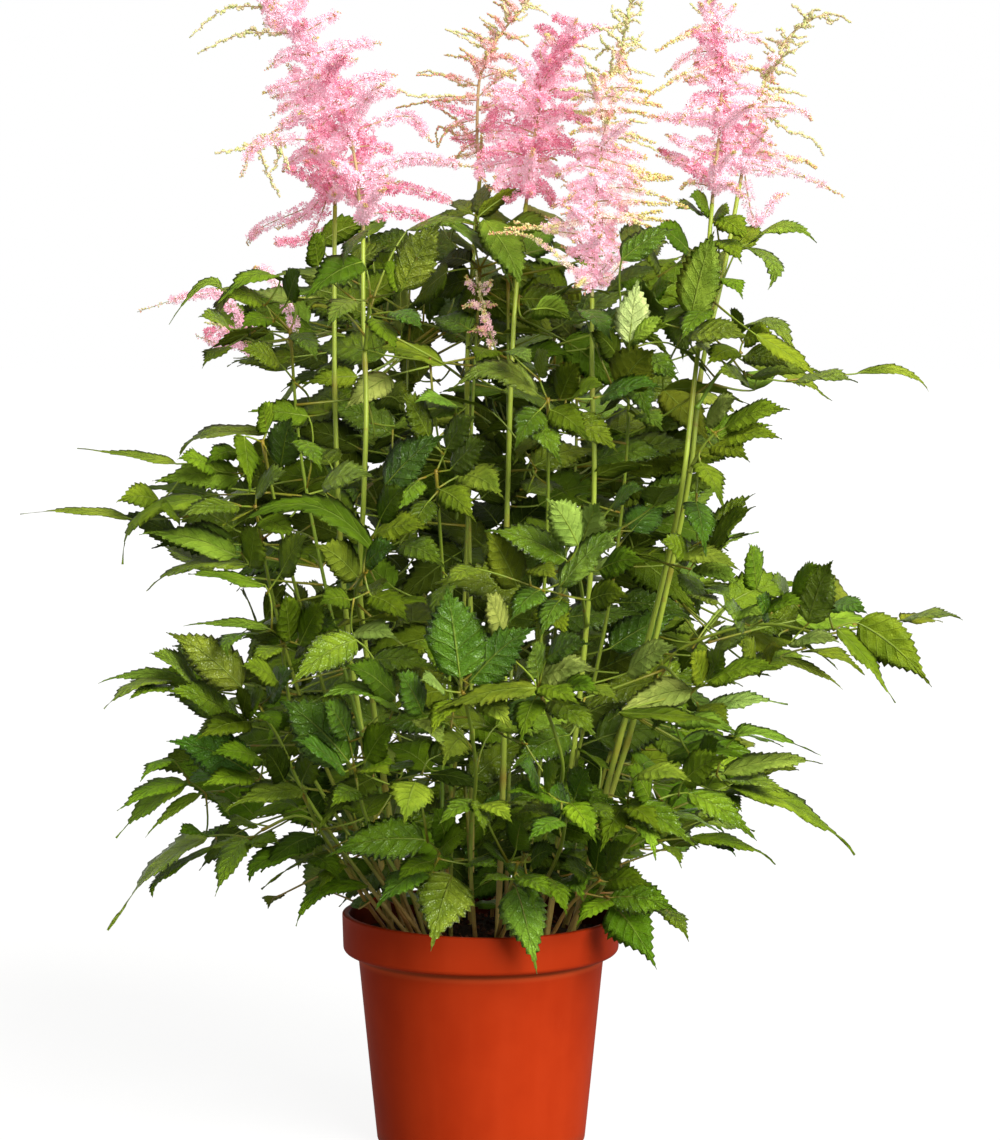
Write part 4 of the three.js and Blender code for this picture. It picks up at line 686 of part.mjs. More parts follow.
    [[173.6, -53.9, 547.4], [177, -45.7, 556.6], [186.4, -63.8, 561.3], [195.8, -81.9, 560.3], [-0.816, -0.38, 0.436], 17.7],
    [[176.3, -47.3, 554.8], [176.7, -28, 560.8], [195.6, -47.2, 568.7], [213.7, -66.4, 543.2], [0.1, -0.332, 0.938], 24.2],
    [[176.5, -39.6, 557.2], [171.9, -41.2, 563.1], [172.7, -58.8, 572.6], [173.6, -76.5, 576.7], [-0.835, -0.232, -0.499], 16.3],
    [[169.2, -54.6, 543.7], [180.9, -60.6, 531.7], [202.6, -80, 539.2], [224.3, -99.3, 538.5], [-0.362, -0.248, 0.898], 26.4],
    [[176.2, -58.2, 536.5], [178.1, -62.6, 529.1], [166.7, -80.7, 536.2], [155.3, -98.7, 537.2], [0.67, -0.267, 0.692], 18.8],
    [[165, -55.3, 539.8], [155.2, -51.8, 548.7], [148.3, -69.4, 554], [141.3, -87.1, 553.9], [0.838, -0.259, 0.481], 16.5],
    [[157.4, -56.6, 531.3], [139.1, -64.6, 559.1], [158.8, -83.7, 563.5], [178.6, -102.8, 560.3], [-0.443, -0.435, 0.784], 23.7],
    [[178.6, -59.4, 534.1], [212.6, -38.6, 528.1], [231.7, -57.7, 533.3], [250.8, -76.8, 531], [-0.28, -0.209, 0.937], 23.3],
    [[205.8, -42.8, 529.3], [255, -9.9, 532.4], [285.4, -12.5, 535.2], [305, -15.1, 522.4], [0.101, -0.584, 0.805], 10.2],
  ], []],
  ['leaf_28', 0x3a6220, [[139.1, -69, 469.2], [142.1, -69.9, 475.1], [145, -70.7, 480.9], [148.4, -71.7, 486.5], [152.5, -72.8, 491.5], [156.9, -74.1, 496.3]], [1.5, 1], [
    [[155.9, -73.8, 495.2], [159.5, -75, 491], [178.7, -94.1, 497.2], [197.9, -113.2, 495.8], [-0.485, -0.39, 0.783], 24.5],
    [[156.8, -74.1, 496.2], [163, -71.3, 498.8], [183.2, -90.6, 510.8], [203.3, -109.9, 514.7], [-0.638, -0.394, 0.662], 25],
    [[155.9, -73.8, 495.2], [150.2, -74.4, 501.6], [160, -92.8, 515], [169.7, -111.2, 521.9], [-0.907, -0.359, 0.221], 20],
    [[151.7, -72.6, 490.5], [154.1, -77.9, 487.2], [165.5, -96.2, 486.8], [177, -114.6, 480.2], [-0.415, -0.414, 0.81], 18.9],
    [[146.5, -71.1, 483.4], [145.3, -93.4, 477.5], [152.2, -112, 467.7], [159.1, -130.7, 451.1], [0.31, -0.47, 0.827], 21.5],
    [[145.8, -84.5, 479.9], [143.2, -86.1, 450.5], [145.6, -104.9, 438.3], [147.9, -123.6, 419.1], [0.404, -0.556, 0.727], 23.1],
    [[143.7, -85.8, 456.4], [147.4, -84.6, 415.8], [164.1, -96.4, 442.1], [180.8, -108.2, 460], [-0.773, -0.568, 0.281], 26],
    [[146.7, -84.8, 423.9], [149.6, -94.2, 415.3], [164.7, -112.8, 438.5], [179.9, -131.4, 453.2], [-0.862, -0.265, 0.432], 27.6],
    [[146.7, -84.8, 423.9], [132.6, -102.8, 416], [150.9, -121.8, 417.8], [169.2, -140.7, 412.1], [-0.274, -0.355, 0.894], 22.8],
    [[135.4, -99.2, 417.6], [143.3, -101.4, 409.3], [156.6, -120, 407.7], [170, -138.6, 399.5], [-0.178, -0.367, 0.913], 20.2],
    [[148.4, -90.4, 418.7], [138.3, -81.5, 402.1], [141.4, -99.9, 393.1], [144.5, -118.4, 377.8], [0.417, -0.45, 0.79], 20.1],
  ], []],
  ['leaf_29', 0x55762a, [[-5.7, 64.7, 145.14], [-9.8, 69.7, 212.7], [-14, 81.1, 279.7], [-3.9, 104.4, 342.3], [20.4, 153.9, 379.6], [65.8, 203.4, 377.8]], [1.9, 1], [
    [[64.7, 202.2, 377.8], [64.2, 198.8, 388.2], [68.9, 218.6, 368.3], [73.5, 238.3, 339.3], [0.461, 0.645, 0.609], 27.4],
    [[55.8, 192.5, 378.2], [70.7, 186.6, 405], [89.9, 199.5, 408.1], [109.1, 212.3, 404.8], [0.262, -0.381, 0.887], 21.7],
    [[64.7, 202.2, 377.8], [46.6, 213.1, 389.4], [53.4, 236, 374.3], [60.3, 258.9, 350.6], [0.949, -0.312, -0.036], 29.5],
    [[64.7, 189, 394.3], [79.2, 181.7, 372.3], [95.3, 202.5, 373], [111.4, 223.7, 363.6], [0.134, 0.1, 0.986], 23.1],
    [[67.7, 187.8, 399.6], [81.7, 176.9, 392.8], [98.4, 186.4, 418.9], [115, 195.8, 436.8], [0.802, -0.417, -0.427], 27.4],
    [[76.3, 183.2, 376.7], [77.7, 178.9, 377.7], [97.1, 193.8, 383.9], [116.6, 208.7, 383.3], [0.18, -0.401, 0.898], 21.3],
    [[67.7, 187.8, 399.6], [89, 167.5, 408.6], [108.2, 173.1, 425.2], [127.3, 178.9, 435.1], [0.128, -0.964, 0.232], 20.7],
    [[84.7, 171.6, 406.8], [78.2, 148.1, 404.7], [98, 158, 413.1], [117.8, 168, 415], [0.143, -0.666, 0.732], 19.7],
    [[79.5, 152.8, 405.1], [100.2, 161.1, 390.7], [116.4, 147.5, 404.3], [132.5, 133.9, 411.3], [0.556, 0.808, 0.196], 21.3],
    [[55.8, 192.5, 378.2], [19.3, 248.8, 382.9], [40.7, 264.7, 389.7], [62.2, 280.6, 389], [0.078, -0.287, 0.955], 23.2],
    [[91.9, 157.8, 396.5], [96.4, 166, 412.4], [115.1, 162.8, 433.5], [133.9, 159.5, 447.3], [0.468, 0.811, -0.352], 22.3],
    [[6.3, 125.1, 357.9], [27, 103, 366.2], [13.1, 86.4, 363.7], [-0.8, 69.6, 353.9], [-0.039, -0.317, 0.947], 21.2],
  ], []],
  ['leaf_30', 0x43682a, [[28.4, 31.2, 145.27], [37.4, 39.8, 221.5], [46.1, 46.2, 298.3], [55, 52.8, 375], [65.4, 59.9, 451.5], [67.5, 75.9, 527.3]], [1.9, 1], [
    [[67, 72.4, 510.7], [68.2, 77.3, 549.1], [56.9, 92, 562.8], [45.6, 106.6, 570.4], [0.636, 0.712, -0.299], 19.3],
    [[67, 72.4, 510.7], [74.6, 76.1, 508.4], [81.5, 97.9, 517.5], [88.4, 119.7, 520], [-0.892, 0.172, 0.418], 20.4],
    [[67.4, 75.5, 525.4], [93.4, 75.4, 547.1], [94.5, 98.9, 552.9], [95.6, 122.6, 552.1], [-0.784, -0.031, 0.62], 20.5],
    [[68, 76.3, 541.4], [72.9, 68, 560.9], [80.2, 93.1, 564.5], [92.3, 120.4, 547.9], [-0.134, 0.284, 0.949], 24.7],
    [[41.2, 163, 527], [17.2, 155.8, 509.7], [35.2, 167.7, 510.2], [53.1, 179.6, 504.8], [0.434, -0.496, 0.752], 19.5],
    [[38.3, 172.7, 525.3], [25.6, 174.7, 500], [41.7, 201.2, 508], [57.6, 227.7, 507.2], [0.311, -0.31, 0.898], 28.1],
    [[28.1, 174.3, 505.1], [-10.6, 144.5, 528.6], [10.5, 162.6, 536.7], [31.6, 179.9, 510.4], [0.338, 0.077, 0.938], 25],
    [[55.7, 114.4, 531.7], [20.6, 106.8, 529.8], [31.9, 130.9, 534.1], [43.2, 155.1, 531], [0.555, -0.278, 0.784], 23],
    [[-2.9, 150.5, 523.9], [-4.8, 183.1, 492.9], [14.8, 200.1, 497.9], [34.3, 217.1, 495.7], [0.189, -0.294, 0.937], 22.3],
    [[65.8, 63, 466.4], [32.8, 16, 484.6], [41.7, -7.5, 482.9], [50.8, -31.1, 472.8], [0.752, 0.124, 0.648], 24.4],
    [[65.8, 63, 466.4], [28.5, 62.4, 461.5], [5.2, 47, 468.4], [-18.2, 31.5, 466.4], [-0.158, 0.384, 0.91], 26.4],
    [[39.4, 25.4, 481], [29.5, 14.7, 455.4], [44.6, -1.8, 457.2], [59.9, -18.2, 451.9], [0.037, -0.076, 0.996], 21.1],
  ], [[[67.4, 75.5, 525.4], [52.4, 125.6, 533.5], [37.4, 175.6, 524.8]]]],
  ['leaf_31', 0x3f6a1c, [[11.1, 30.1, 145.12], [14.4, 23.1, 235.2], [17, 17.4, 325.6], [18.1, 15, 416.2], [18.7, 11.6, 506.8], [18.8, 7.3, 597.3]], [1.9, 1], [
    [[18.8, 7.4, 595], [21.7, 21.9, 597.4], [33.3, 43.5, 593.3], [44.9, 65.1, 582.2], [-0.811, 0.528, 0.252], 23.2],
    [[20.5, 16.1, 596.4], [27.7, -4.5, 582.9], [48.7, -16.9, 582.4], [69.8, -29.3, 574.9], [-0.421, -0.831, 0.364], 22.3],
    [[20, 13.2, 596], [18.2, 18.4, 583.9], [33.1, 31.1, 573.4], [47.8, 43.8, 556.1], [-0.728, 0.663, -0.172], 21.6],
    [[26.3, -0.4, 585.6], [31.7, 2.4, 581.6], [60, 2.2, 589.8], [88.4, 1.9, 588.7], [-0.125, -0.199, 0.972], 26.9],
    [[26.3, -0.4, 585.6], [30.4, -31, 570.5], [50.9, -37.5, 588], [71.5, -44, 598.5], [-0.516, 0.172, 0.839], 22.1],
    [[-4.4, 36.7, 550.8], [-4.9, 39.4, 556.1], [10.2, 55.6, 562.7], [25.3, 71.9, 563], [-0.518, 0.314, 0.796], 20.3],
    [[20.5, 16.1, 596.4], [1.9, -4.1, 637], [18.8, -32.7, 615.4], [27.1, -43.1, 592.4], [0.014, -0.75, 0.662], 27.8],
    [[7.1, 23.3, 546.5], [6.8, -9.6, 548.1], [2, -34.2, 549.1], [-2.8, -58.9, 542.2], [0.149, -0.147, 0.978], 23.8],
    [[18.7, 9.9, 542.2], [25.8, 9.2, 542.9], [44.2, -7.4, 548.5], [62.7, -24, 547.3], [-0.501, -0.462, 0.732], 22.4],
    [[29.6, -24.9, 573.5], [36.4, -76.7, 577.9], [49.4, -55.3, 577.5], [62.3, -34, 570], [-0.633, 0.494, 0.596], 21.7],
    [[-96.9, 144, 557.8], [-100.9, 162.8, 588], [-119.4, 179.5, 591.4], [-137.7, 201.2, 575.6], [-0.314, 0.003, 0.949], 23.5],
    [[-50.6, 90.3, 563.2], [-50.1, 62.4, 490.1], [-35.7, 39.4, 496.8], [-21.2, 16.2, 494.9], [-0.388, -0.148, 0.91], 25.7],
  ], [[[18.7, 9.9, 542.2], [-40.8, 78.9, 564.4], [-100.4, 148, 557.4]]]],
  ['leaf_32', 0x486f22, [[-26.6, 3.4, 145.29], [-27, 17, 222], [-26.2, 33, 298.5], [-21.2, 58.2, 372.3], [-15.4, 80.2, 447.1], [-4.5, 106.1, 520.1]], [1.9, 1], [
    [[-16.6, 104, 526.7], [-3.3, 103.8, 523.6], [26.9, 96.9, 542.2], [57, 90, 529.3], [0.042, 0.535, 0.844], 28],
    [[-4.8, 105.5, 518.3], [-4.7, 103.2, 513.7], [-11.1, 126, 508], [-17.6, 148.8, 495.3], [0.535, 0.443, 0.719], 23],
    [[-4.7, 104.1, 515.5], [4, 108.6, 511.8], [16.1, 124.5, 503.9], [28.3, 140.4, 489.5], [-0.103, 0.625, 0.774], 20.6],
    [[-6.9, 100.4, 504.1], [-7.1, 78, 516.8], [-2.9, 96.9, 533.9], [1.3, 115.7, 544.3], [0.909, 0.093, -0.406], 21.3],
    [[-6.9, 100.4, 504.1], [-16, 109.5, 505.1], [-23.6, 132.6, 499.8], [-31.2, 155.6, 487.3], [0.426, 0.444, 0.788], 23.4],
    [[2.3, 107.7, 512.5], [4.6, 109.3, 501], [3.4, 130.9, 491.1], [2.4, 152.4, 474.1], [0.248, 0.522, 0.816], 21.9],
    [[-22.6, 103.3, 530.9], [-31.3, 114.8, 521.8], [-46.1, 135.6, 530.4], [-60.7, 156.4, 531.8], [0.588, 0.228, 0.776], 24.4],
    [[-58.1, 98.9, 547.9], [-56.2, 86.3, 557.9], [-57.3, 106.6, 585.6], [-58.4, 126.9, 604.6], [0.904, 0.342, -0.255], 26.7],
    [[-29.6, 112.5, 523.6], [-43.4, 101.8, 523.3], [-50.1, 123.9, 542], [-56.7, 146, 553], [0.665, 0.544, -0.511], 31.7],
    [[-58.1, 98.9, 547.9], [-57.7, 94.6, 543.8], [-40.3, 103.2, 556.5], [-22.7, 112, 563.2], [-0.41, 0.909, -0.073], 19.6],
    [[-13.3, 85.3, 461.4], [-13.9, 56.2, 466.5], [-40.8, 55.3, 475.7], [-67.6, 54.2, 476.1], [0.118, 0.6, 0.791], 25.7],
    [[-56.6, 88.8, 555.9], [-114.2, 89.1, 621], [-94.5, 97.8, 632.1], [-74.8, 106.4, 636.8], [-0.481, 0.825, 0.297], 20.6],
  ], [[[-4.8, 105.5, 518.3], [-35.3, 101.7, 540], [-65.8, 97.9, 550.6]]]],
  ['leaf_33', 0x3a6220, [[16.9, 10.9, 145.21], [18.7, 19.7, 212.7], [20, 28.9, 280.3], [21.6, 45, 346.6], [23, 69.8, 410.2], [22.2, 104.6, 468.9]], [1.9, 1], [
    [[22.2, 103.7, 467.4], [15.4, 105.8, 464], [3.8, 123.7, 477.5], [-7.8, 141.5, 484.4], [0.83, 0.557, -0.029], 21.3],
    [[22.2, 103.7, 467.4], [19.5, 89.9, 493.6], [26.6, 108.3, 513.3], [33.9, 126.6, 525.8], [-0.907, 0.415, -0.068], 23],
    [[22.4, 97, 456], [11.2, 86.7, 469], [-2.6, 108.1, 468.3], [-16.4, 129.5, 459.1], [0.374, 0.431, 0.821], 24.4],
    [[22.5, 90.2, 444.6], [57.6, 106.2, 462.6], [32.8, 113.5, 486.7], [8.2, 120.8, 501.7], [0.358, 0.928, 0.107], 29.1],
    [[20, 92.7, 488.4], [8.6, 51.9, 511.7], [24.5, 71.6, 514.9], [40.3, 91.5, 510.9], [-0.173, 0.157, 0.972], 22.9],
    [[-74.3, 179.2, 407.8], [-68.3, 187.9, 416.9], [-44.8, 205.6, 432.8], [-21.4, 223.2, 440], [-0.656, 0.505, 0.56], 28.4],
    [[-70.7, 184.4, 413.3], [-66.5, 190.3, 404.9], [-86.7, 194.2, 429.2], [-106.9, 198.2, 445.4], [0.642, 0.552, 0.532], 26],
    [[10.9, 60.1, 507], [7.5, 58.9, 513.5], [34.5, 60.6, 508.8], [61.5, 62.2, 496.2], [0.256, 0.403, 0.879], 25.6],
    [[-69.5, 186.2, 415.1], [-79.7, 194.8, 429.5], [-69.4, 212.2, 449], [-59, 229.7, 461.4], [-0.604, 0.703, -0.374], 22.2],
    [[-64.6, 171, 414.9], [-41.4, 179.9, 394.2], [-33.4, 198.3, 416.9], [-25.4, 216.7, 431.8], [-0.729, 0.618, -0.294], 26],
    [[23, 69.9, 410.3], [19.8, 71.3, 396.2], [17.7, 96.8, 389.3], [15.5, 122.5, 373.5], [0.468, 0.39, 0.793], 26.4],
    [[-35.6, 146.3, 436.1], [-47.5, 127, 379.9], [-58.7, 153.7, 377.6], [-70, 180.3, 365.9], [0.322, 0.366, 0.873], 27.9],
  ], [[[22.4, 97, 456], [-27.4, 139.3, 442.1], [-77.2, 181.7, 405.7]]]],
  ['leaf_34', 0x55762a, [[-20.7, 42.6, 145.76], [-23.8, 72.6, 209.9], [-27.6, 97.7, 276.8], [-37.4, 116.7, 345.1], [-48.5, 134.4, 413.6], [-58.3, 148.3, 483.2]], [1.9, 1], [
    [[-58.1, 148, 481.5], [-48.9, 137.3, 484.3], [-53.5, 176.2, 484.5], [-57.2, 194.8, 471.7], [-0.282, 0.165, 0.945], 25.7],
    [[-58.1, 148, 481.5], [-68.2, 159.5, 483.1], [-86.6, 162.6, 470.4], [-105, 165.6, 450.7], [-0.62, -0.491, 0.612], 22.3],
    [[-61.5, 145, 452.9], [-67.1, 139.9, 469.9], [-85.7, 141.1, 490.8], [-104.2, 142.5, 504.5], [-0.517, 0.607, -0.603], 23.9],
    [[-61.5, 145, 452.9], [-60.7, 162.4, 453.3], [-60.3, 189.6, 457.1], [-59.9, 216.7, 453.3], [-0.783, 0.013, 0.622], 23.5],
    [[-76.1, 150, 448.9], [-88.3, 169.4, 450.3], [-101.1, 194.3, 452.3], [-113.7, 219.1, 446.4], [-0.39, -0.126, 0.912], 24.2],
    [[-85.9, 165.5, 450], [-90.5, 212.5, 449.1], [-79.2, 260, 441], [-77.9, 276.4, 407.7], [-0.128, 0.557, 0.82], 33.4],
    [[-90.6, 154.9, 440.8], [-94.2, 159.7, 406], [-101.2, 195.3, 406.9], [-107.5, 224.3, 392.3], [-0.259, 0.149, 0.954], 29.1],
    [[-46.4, 131, 400.4], [-80.1, 151.1, 399.6], [-97.1, 146.3, 418.5], [-114.2, 141.6, 430.7], [-0.597, 0.663, -0.451], 22.2],
    [[-46.4, 131, 400.4], [-40.6, 110.2, 412.2], [-30.8, 81, 414.3], [-21, 51.8, 406.5], [0.15, -0.046, 0.988], 29.1],
    [[-41.8, 114.4, 409.8], [-62, 82.1, 384.3], [-87, 77.5, 385.2], [-112.1, 72.7, 377.9], [-0.174, 0.286, 0.942], 24.2],
    [[-41.8, 114.4, 409.8], [-42.1, 117.4, 406.4], [-17.5, 98.3, 413.7], [7, 79.2, 411.3], [0.338, 0.534, 0.775], 29.4],
  ], [[[-54.2, 142.5, 454.4], [-73, 148.9, 450.6], [-91.7, 155.3, 440.2]]]],
  ['leaf_35', 0x43682a, [[7.4, 59.3, 145.76], [11.6, 81.2, 193.3], [13.8, 109.8, 238], [12.8, 145.3, 277.6], [17.5, 184.6, 313.1], [25.6, 225.9, 345.6]], [1.9, 1], [
    [[23.8, 216.8, 338.5], [20.2, 223.6, 352.1], [0.3, 234.8, 375.1], [-19.7, 246.2, 389.9], [0.531, 0.845, 0.055], 27.9],
    [[20.9, 222.2, 349.4], [23.8, 209.6, 356.8], [28.4, 211.3, 389], [32.9, 213.1, 413.2], [0.2, 0.975, -0.094], 35.6],
    [[23.8, 216.8, 338.5], [51.8, 218.1, 335.8], [60.2, 237.1, 356], [68.7, 255.9, 368.8], [-0.85, 0.507, -0.145], 24.9],
    [[132.5, 119.5, 370.1], [138, 118.4, 368.9], [135.8, 136.1, 389.3], [133.6, 153.7, 402.7], [-0.801, 0.358, -0.48], 22.1],
    [[20.9, 222.2, 349.4], [-14.3, 245.8, 354.4], [18.3, 250.2, 351.7], [50.8, 254.5, 339.6], [0.173, 0.307, 0.936], 31.7],
    [[132.5, 119.5, 370.1], [118, 109.8, 365.5], [109.5, 127.6, 384.7], [101.1, 145.6, 396.9], [0.822, 0.541, -0.177], 22.7],
    [[132.5, 119.5, 370.1], [145.4, 123.6, 400.5], [177.1, 135.6, 409], [201.1, 149, 413.3], [-0.316, 0.229, 0.921], 26.9],
    [[142.8, 122.8, 394.4], [130.3, 121.3, 410.1], [119.9, 140.5, 428.9], [109.4, 159.7, 440.3], [0.86, 0.507, -0.047], 25],
    [[14.8, 161.7, 292.4], [19.2, 138.1, 311], [22.7, 162.3, 309.6], [26.4, 186.3, 300.3], [-0.437, 0.256, 0.862], 23.4],
    [[121, 126, 366.8], [75.6, 81.4, 353.5], [56.1, 99.5, 356.8], [36.6, 117.5, 351.5], [0.395, 0.469, 0.79], 25.1],
    [[18.3, 142.8, 307.3], [-2.7, 121, 305], [-32.5, 122.8, 312.3], [-62.1, 124.6, 310.1], [0.103, 0.639, 0.763], 28.1],
    [[84.7, 90.3, 356.2], [81.9, 69.6, 346.4], [67.1, 39.8, 349.2], [52.3, 9.9, 341.3], [0.179, -0.169, 0.969], 31.4],
  ], [[[17.5, 184.7, 313.2], [76.7, 151.1, 354], [135.9, 117.5, 371.1]]]],
  ['leaf_36', 0x3f6a1c, [[37.6, 51.4, 145.94], [59.7, 60.5, 184.7], [84.4, 70.5, 222.6], [104.2, 86.9, 261.1], [111.4, 115.6, 296.7], [118, 150.5, 326.5]], [1.9, 1], [
    [[116.6, 142.8, 320], [120.8, 142.7, 318.8], [135.8, 164.7, 319.6], [150.8, 186.8, 312.9], [-0.365, 0.362, 0.858], 24.2],
    [[117.8, 149.6, 325.8], [127.1, 145.8, 339.3], [151.5, 155.4, 364.9], [175.8, 164.9, 381.1], [-0.535, 0.806, 0.253], 30.2],
    [[123.4, 147.3, 333.9], [142.7, 141.8, 319.8], [161.2, 165, 336.8], [179.6, 188.1, 344.8], [-0.784, 0.347, 0.514], 30.3],
    [[46.6, 198, 296.4], [51.9, 197.1, 294.2], [75.2, 203, 321.5], [98.5, 208.9, 339.6], [-0.27, 0.963, 0.027], 40.1],
    [[125.2, 146.6, 336.6], [158, 142.4, 332.5], [173.9, 161, 350.8], [189.8, 179.8, 361.3], [-0.791, 0.239, 0.563], 24.5],
    [[46.6, 198, 296.4], [53.6, 210.8, 294.5], [60.8, 233.3, 311.4], [68.2, 255.9, 320.7], [-0.786, -0.099, 0.61], 25.4],
    [[50.8, 205.7, 295.3], [37.8, 208.1, 299.3], [25.2, 223.6, 316.2], [12.6, 239, 326.3], [0.625, 0.735, -0.261], 21.7],
    [[151.4, 143.2, 333.3], [174.6, 139.6, 338.8], [193.3, 162.7, 339.8], [210.3, 185.6, 326.5], [0.119, 0.17, 0.978], 25.7],
    [[46.6, 198, 296.4], [7.7, 185.5, 336.3], [25.5, 202.7, 352.2], [47.5, 221.7, 346.8], [-0.377, 0.149, 0.914], 23.6],
    [[60.9, 188.4, 305.3], [12.9, 151.2, 339.5], [19.6, 176.3, 357.6], [26.4, 201.4, 367.5], [-0.955, 0.102, 0.277], 26.6],
    [[23.3, 190.5, 320.3], [39.6, 247.8, 377.8], [58.6, 265.3, 369.9], [77.6, 282.9, 354], [-0.343, 0.753, 0.562], 24.5],
    [[22.5, 158.6, 332.7], [32.7, 101.2, 279.5], [46.7, 75.1, 277.9], [60.6, 48.9, 266.5], [0.187, -0.143, 0.972], 28.5],
  ], [[[117.8, 149.6, 325.8], [81.2, 174.6, 317.9], [44.5, 199.5, 295.1]]]],
  ['leaf_37', 0x486f22, [[-63.8, 16.1, 145.89], [-75.5, 31.4, 179.5], [-89.4, 49.5, 211.7], [-102.5, 73.5, 240.1], [-113.6, 104.3, 262.2], [-124.2, 136.3, 282.7]], [1.9, 1], [
    [[-121.9, 129.3, 278.2], [-135.6, 124.3, 278.1], [-167.7, 129.7, 287.7], [-200, 135.1, 288.2], [0.199, 0.321, 0.926], 28.5],
    [[-132.9, 125.3, 278.1], [-140.8, 130.4, 272.7], [-158.6, 149.8, 275.4], [-176.5, 169.2, 270.6], [0.065, 0.112, 0.992], 22.7],
    [[-139.2, 129.4, 273.8], [-135.9, 139.4, 271.5], [-178.5, 144.6, 259.8], [-216.4, 149.7, 231.8], [-0.41, 0.219, 0.885], 37.5],
    [[-113.6, 104.4, 262.2], [-102.5, 111.3, 291.3], [-127.3, 126.4, 298.3], [-152.3, 141.5, 297.1], [0.294, 0.315, 0.902], 26.4],
    [[-121.8, 140.2, 294.9], [-150.9, 141.1, 299.7], [-167.1, 143.7, 303.9], [-205.4, 145.8, 292.2], [-0.117, 0.192, 0.974], 24.9],
    [[-113.3, 158.9, 336.3], [-109.1, 156.3, 343.3], [-81.6, 152.4, 339.1], [-54.1, 148.4, 326.8], [0.309, 0.574, 0.758], 25],
    [[-117.5, 149.5, 318.6], [-99, 164.7, 315.4], [-116.1, 183.5, 318.6], [-133.4, 202.5, 314.6], [0.308, 0.3, 0.903], 22.1],
    [[-113.3, 158.9, 336.3], [-126.8, 165.1, 349.4], [-141.1, 189, 360.3], [-155.3, 213, 363.1], [0.55, 0.091, 0.83], 25.9],
    [[-118.6, 147.2, 313.9], [-123, 143.4, 324], [-147.1, 156.3, 334.5], [-178.9, 169.9, 335.1], [0.307, 0.261, 0.915], 27.1],
    [[-102.8, 74.4, 240.7], [-68.6, 62.8, 279.6], [-69.6, 36.1, 285.3], [-70.8, 9.5, 282.5], [-0.508, 0.069, 0.859], 25.1],
    [[-109.9, 156.8, 341.9], [-61.6, 184.6, 327.1], [-94.5, 197.7, 326.2], [-120.3, 208.7, 323.5], [0.02, 0.194, 0.981], 28.7],
    [[-104.7, 109.9, 285.5], [-35.6, 67.3, 322.9], [-8.7, 80.6, 321.8], [18.2, 93.9, 311], [-0.151, 0.642, 0.752], 28.8],
  ], [[[-123.9, 135.5, 282.2], [-118.4, 147.5, 314.8], [-113, 159.6, 337.6]]]],
  ['leaf_38', 0x3a6220, [[-22.8, 61.2, 146.07], [-35.6, 75.9, 171.9], [-54.2, 86.9, 197.1], [-76.2, 97.7, 219.4], [-102.2, 103.9, 239.1], [-127.2, 109.6, 260.3]], [1.9, 1], [
    [[-116.8, 107.2, 251.5], [-130.3, 140.2, 277], [-136.5, 168.6, 294], [-142.9, 196.9, 302], [-0.96, -0.259, 0.106], 30.9],
    [[-97.2, 102.7, 235.3], [-95.7, 70.8, 243], [-68.9, 63.2, 251.8], [-42.2, 55.6, 251.6], [-0.106, 0.177, 0.978], 26.5],
    [[-82, 99.1, 223.8], [-85.7, 110.9, 215.1], [-109.2, 136.8, 210.3], [-128.6, 142.9, 201], [-0.269, 0.065, 0.961], 24.9],
    [[-127.6, 133.6, 271.9], [-97.3, 183.6, 265.8], [-111.2, 208.5, 263.4], [-125.1, 233.3, 252.7], [-0.236, 0.121, 0.964], 25.2],
    [[-109.4, 163.6, 268.2], [-96.7, 170, 267.2], [-101.6, 191.7, 254.6], [-106.3, 213.3, 234.2], [-0.506, 0.449, 0.737], 24.9],
    [[-99.2, 168.7, 267.4], [-53.4, 185, 223.7], [-63.9, 219.6, 203.4], [-74.2, 253.6, 160.4], [-0.343, 0.578, 0.74], 40.4],
    [[-72.5, 95.9, 215.7], [-37.6, 91.4, 250.6], [-16, 110, 262], [5.6, 128.7, 264], [-0.397, 0.131, 0.908], 27.5],
    [[-59.7, 89.6, 202.7], [-51.1, 89.2, 207.2], [-69.8, 113.8, 201.2], [-88.6, 138.4, 184.7], [-0.032, 0.398, 0.917], 30.9],
    [[-62.6, 181.7, 232.4], [-41, 185.7, 206.4], [-57.3, 213.8, 191.7], [-72.4, 220.2, 180.5], [-0.21, 0.457, 0.864], 23],
    [[-59.7, 89.6, 202.7], [-66.4, 82.5, 183.4], [-73.7, 116.8, 183.6], [-83.6, 136.9, 162.1], [-0.28, 0.272, 0.921], 26.3],
    [[-44.6, 92.3, 243.6], [0.8, 96.9, 229.4], [29.6, 99.1, 244.9], [58.3, 101.4, 250.5], [-0.351, 0.23, 0.907], 28.8],
  ], [[[-92.1, 101.5, 231.5], [-89.5, 120.8, 234], [-87, 140.1, 230.3]]]],
  ['leaf_39', 0x55762a, [[-15.2, 54.8, 146.11], [-31.2, 80.6, 184.8], [-47.2, 106.4, 224.7], [-59.9, 136.2, 262.9], [-64.2, 175.4, 293.4], [-51.5, 194.2, 337.8]], [1.9, 1], [
    [[-54.3, 190.1, 328], [-46.1, 195.7, 341], [-45.9, 215.2, 359.8], [-45.7, 234.7, 371.6], [-0.82, 0.359, -0.445], 22.4],
    [[-49.4, 193.5, 335.8], [-51.3, 185.9, 340.3], [-73.4, 200.7, 350.2], [-95.5, 215.5, 352.5], [0.552, 0.575, 0.603], 23.5],
    [[-54.3, 190.1, 328], [-61.6, 188.2, 336], [-79.9, 206, 329.3], [-98, 223.8, 314.8], [-0.014, 0.503, 0.864], 24.9],
    [[-47.7, 194.6, 338.4], [-55, 204.4, 359.9], [-70.6, 222.6, 371.2], [-86.2, 240.8, 375.5], [0.775, 0.494, 0.395], 21.7],
